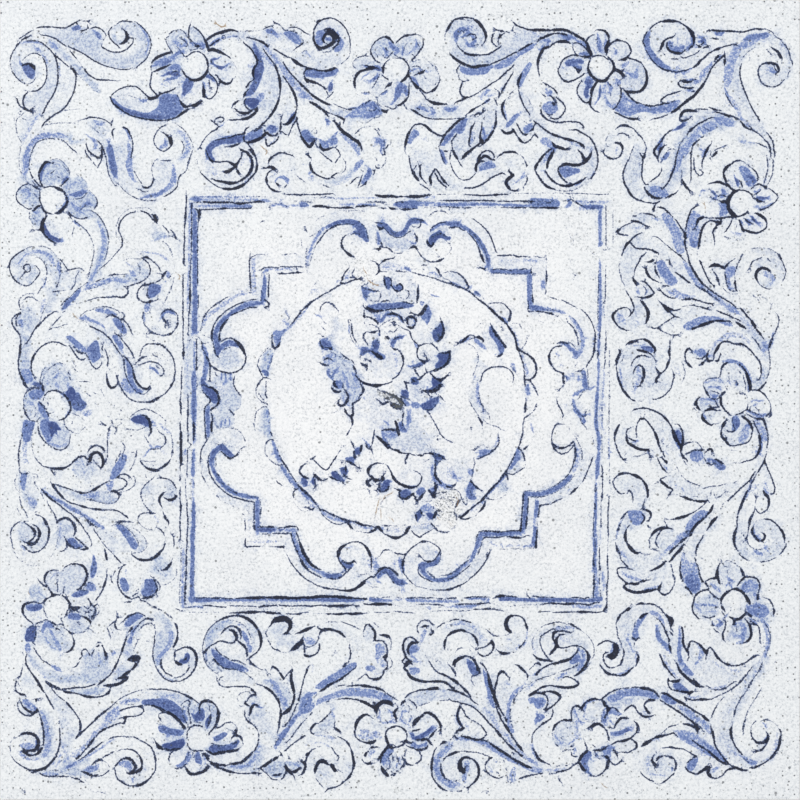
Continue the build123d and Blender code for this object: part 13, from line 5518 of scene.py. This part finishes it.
class Glaze:
    """The painted face's shader, and the noises that its layers share, from fine to broad."""

    def __init__(self):
        """The noises, the painting's shares and the distance from the tile's middle."""
        paint = Shader("painted_glaze")
        self.paint = paint
        self.fine = paint.noise(size=1.7, detail=2.0, roughness=0.6, shift=11)
        self.grain = paint.noise(size=2.6, detail=4.0, roughness=0.8, shift=90)
        self.ragged = paint.noise(size=3.4, detail=3.0, roughness=0.6, shift=37)
        self.patchy = paint.noise(size=9.0, detail=3.0, roughness=0.55, shift=71)
        self.clouds = paint.noise(size=14.0, detail=3.0, roughness=0.6, shift=29)
        self.broad = paint.noise(size=60.0, detail=3.0, roughness=0.5, shift=5)
        ink = paint.node("ShaderNodeAttribute", attribute_name="ink")
        shares = paint.node("ShaderNodeSeparateColor", {0: ink.outputs["Color"]}).outputs
        self.pen, self.blue, self.wash = shares
        self.rust = ink.outputs["Alpha"]
        self.wear = paint.node("ShaderNodeAttribute", attribute_name="wear").outputs["Fac"]
        flat = paint.node("ShaderNodeVectorMath", {0: paint.place}, operation="ABSOLUTE").outputs[0]
        across, along, _ = paint.node("ShaderNodeSeparateXYZ", {0: flat}).outputs
        self.from_middle = paint.reckon("MAXIMUM", across, along)

    def ground(self):
        """The bare glaze: paler in the middle and a little darker toward the edges, clouded, and grainy where
        it is dull.
        """
        paint = self.paint
        # Paler in the middle, a little darker toward the edges
        colour = paint.mix(paint.ease(self.from_middle, 120, 230), MIDDLE_GLAZE, MARGIN_GLAZE)
        colour = paint.mix(paint.ease(self.broad, 0.4, 0.75, end=0.5), colour, BROAD_CLOUD)
        colour = paint.mix(paint.ease(self.patchy, 0.5, 0.8, end=0.35), colour, SMALL_CLOUD)
        clouded = paint.ease(self.clouds, 0.3, 0.65, start=0.35)
        dull = paint.times(paint.ease(self.grain, 0.48, 0.68, end=0.85), clouded)
        colour = paint.mix(dull, colour, DULL_GRAIN)
        return paint.mix(paint.ease(self.grain, 0.5, 0.3, end=0.6), colour, BRIGHT_GRAIN)

    def washed(self, colour):
        """Thin mottled colour."""
        paint = self.paint
        field = paint.added(paint.swing(self.fine, 0.6), paint.swing(self.patchy, 0.7), self.wash)
        cover = paint.times(paint.ease(field, 0.05, 0.75, end=0.95), paint.ease(self.wash, 0.0, 0.12))
        return paint.mix(cover, colour, paint.mix(paint.ease(self.grain, 0.42, 0.6), THIN_WASH, FULL_WASH))

    def shaded(self, colour):
        """Cobalt, darker where it lies thick."""
        paint = self.paint
        swings = (paint.swing(self.ragged, 0.8), paint.swing(self.fine, 1.1), paint.swing(self.grain, 0.7))
        field = paint.added(self.blue, *swings)
        cover = paint.times(paint.ease(field, 0.05, 0.6, end=0.96), paint.ease(self.blue, 0.04, 0.2))
        return paint.mix(cover, colour, paint.mix(paint.ease(field, 0.4, 1.05), THIN_COBALT, FULL_COBALT))

    def outlined(self, colour):
        """The outline, and how much of it shows."""
        paint = self.paint
        field = paint.added(self.pen, paint.swing(self.fine, 1.3), paint.swing(self.ragged, 0.7))
        cover = paint.times(paint.ease(field, 0.24, 0.6, end=0.98), paint.ease(self.pen, 0.03, 0.22))
        return paint.mix(cover, colour, paint.mix(paint.ease(field, 0.3, 0.9), THIN_LINE, FULL_LINE)), cover

    def worn(self, colour):
        """Grey scuffs and brown stains."""
        paint = self.paint
        field = paint.added(self.wear, paint.swing(self.fine, 1.3), paint.swing(self.grain, 1.1))
        scuff = paint.times(paint.ease(field, 0.3, 0.85, end=0.9), paint.ease(self.wear, 0.04, 0.2))
        colour = paint.mix(scuff, colour, WORN_GREY)
        brown = paint.ease(paint.added(self.rust, paint.swing(self.fine, 0.8)), 0.25, 0.7, end=0.85)
        return paint.mix(paint.times(brown, paint.ease(self.rust, 0.04, 0.2)), colour, RUST_BROWN)

    def specked(self, colour):
        """A few large specks all over, and many small ones toward the edges."""
        paint = self.paint
        few = paint.times(specks(paint, spacing=13, radius=1.4, share=0.2, shift=3), 0.7)
        small = specks(paint, spacing=6, radius=1.0, share=0.4, shift=57)
        many = paint.times(small, paint.ease(self.from_middle, 200, 400, start=0.3, end=0.85))
        return paint.mix(paint.reckon("MAXIMUM", few, many), colour, SPECK_GREY)


def glaze_material():
    """The face: pale glaze with grain, stains and specks, and the cobalt painting worn into it."""
    glaze = Glaze()
    paint = glaze.paint
    colour, line = glaze.outlined(glaze.shaded(glaze.washed(glaze.ground())))
    colour = glaze.specked(glaze.worn(colour))
    gloss = paint.added(0.42, paint.swing(glaze.patchy, 0.12), paint.times(line, 0.1))
    pits = paint.added(paint.swing(glaze.grain, 0.5), paint.swing(glaze.ragged, 0.7))
    return paint.finish(colour, gloss, pits, depth=0.00002, coat=0.05, sheen=0.25)


def body_material():
    """The sides and back: bare fired body with a few darker grains, which go into its depth."""
    paint = Shader("fired_body")
    broad = paint.noise(size=45.0, detail=3.0, roughness=0.5, shift=5)
    grit = paint.noise(size=1.4, detail=3.0, roughness=0.7, shift=23)
    colour = paint.mix(broad, BODY_DULL, BODY_PALE)
    colour = paint.mix(paint.ease(grit, 0.5, 0.8, end=0.6), colour, BODY_GRIT)
    dots = specks(paint, spacing=7, radius=1.5, share=0.5, shift=12, dimensions="3D")
    colour = paint.mix(paint.times(dots, 0.55), colour, BODY_SPECK)
    return paint.finish(colour, paint.ease(grit, 0.2, 0.8, start=0.75, end=0.92), grit, depth=0.00015)


# The stage, the light and the camera

FLOOR_REACH = 6.0
LENS = 100.0
SENSOR = 36.0
WORLD_STRENGTH = 0.87
LAMP_WATTS = 36.0
LAMP_SIZE = 3.0
LAMP_PLACE = (-1.5, 1.8, 3.0)


def make_floor():
    """A wide pale floor, with a faint unevenness, that the tile lies on."""
    mesh = bpy.data.meshes.new("floor")
    corners = [(x * FLOOR_REACH, y * FLOOR_REACH, 0.0) for x, y in ((-1, -1), (1, -1), (1, 1), (-1, 1))]
    mesh.from_pydata(corners, [], [(0, 1, 2, 3)])
    floor = bpy.data.objects.new("floor", mesh)
    bpy.context.scene.collection.objects.link(floor)
    paint = Shader("pale_floor")
    clouds = paint.noise(size=400.0, detail=3.0, roughness=0.5, shift=0)
    grain = paint.noise(size=6.0, detail=2.0, roughness=0.5, shift=9)
    mesh.materials.append(paint.finish(paint.mix(clouds, FLOOR_DULL, FLOOR_PALE), 0.8, grain, depth=0.0001))


def light_scene():
    """Even light from all round, with a soft lamp high on the left."""
    world = bpy.data.worlds.new("even_light")
    world.use_nodes = True
    world.node_tree.nodes["Background"].inputs["Color"].default_value = (1, 1, 1, 1)
    world.node_tree.nodes["Background"].inputs["Strength"].default_value = WORLD_STRENGTH
    bpy.context.scene.world = world
    lamp = bpy.data.lights.new("soft_lamp", "AREA")
    lamp.shape = "DISK"
    lamp.size = LAMP_SIZE
    lamp.energy = LAMP_WATTS
    holder = bpy.data.objects.new("soft_lamp", lamp)
    holder.location = LAMP_PLACE
    aim = -holder.location
    holder.rotation_euler = aim.to_track_quat("-Z", "Y").to_euler()
    bpy.context.scene.collection.objects.link(holder)


def make_camera():
    """Straight above, with the face just filling the picture."""
    lens = bpy.data.cameras.new("camera")
    lens.lens = LENS
    lens.sensor_width = SENSOR
    camera = bpy.data.objects.new("camera", lens)
    width = tile_high.x - tile_low.x
    middle = (tile_low + tile_high) / 2
    camera.location = (middle.x, middle.y, tile_high.z + width * LENS / SENSOR)
    bpy.context.scene.collection.objects.link(camera)
    bpy.context.scene.camera = camera


paint_pattern()
bleed()
tile = make_tile()
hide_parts("tile")
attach(tile, "root")
make_floor()
light_scene()
make_camera()
bpy.context.scene.view_settings.view_transform = "Standard"
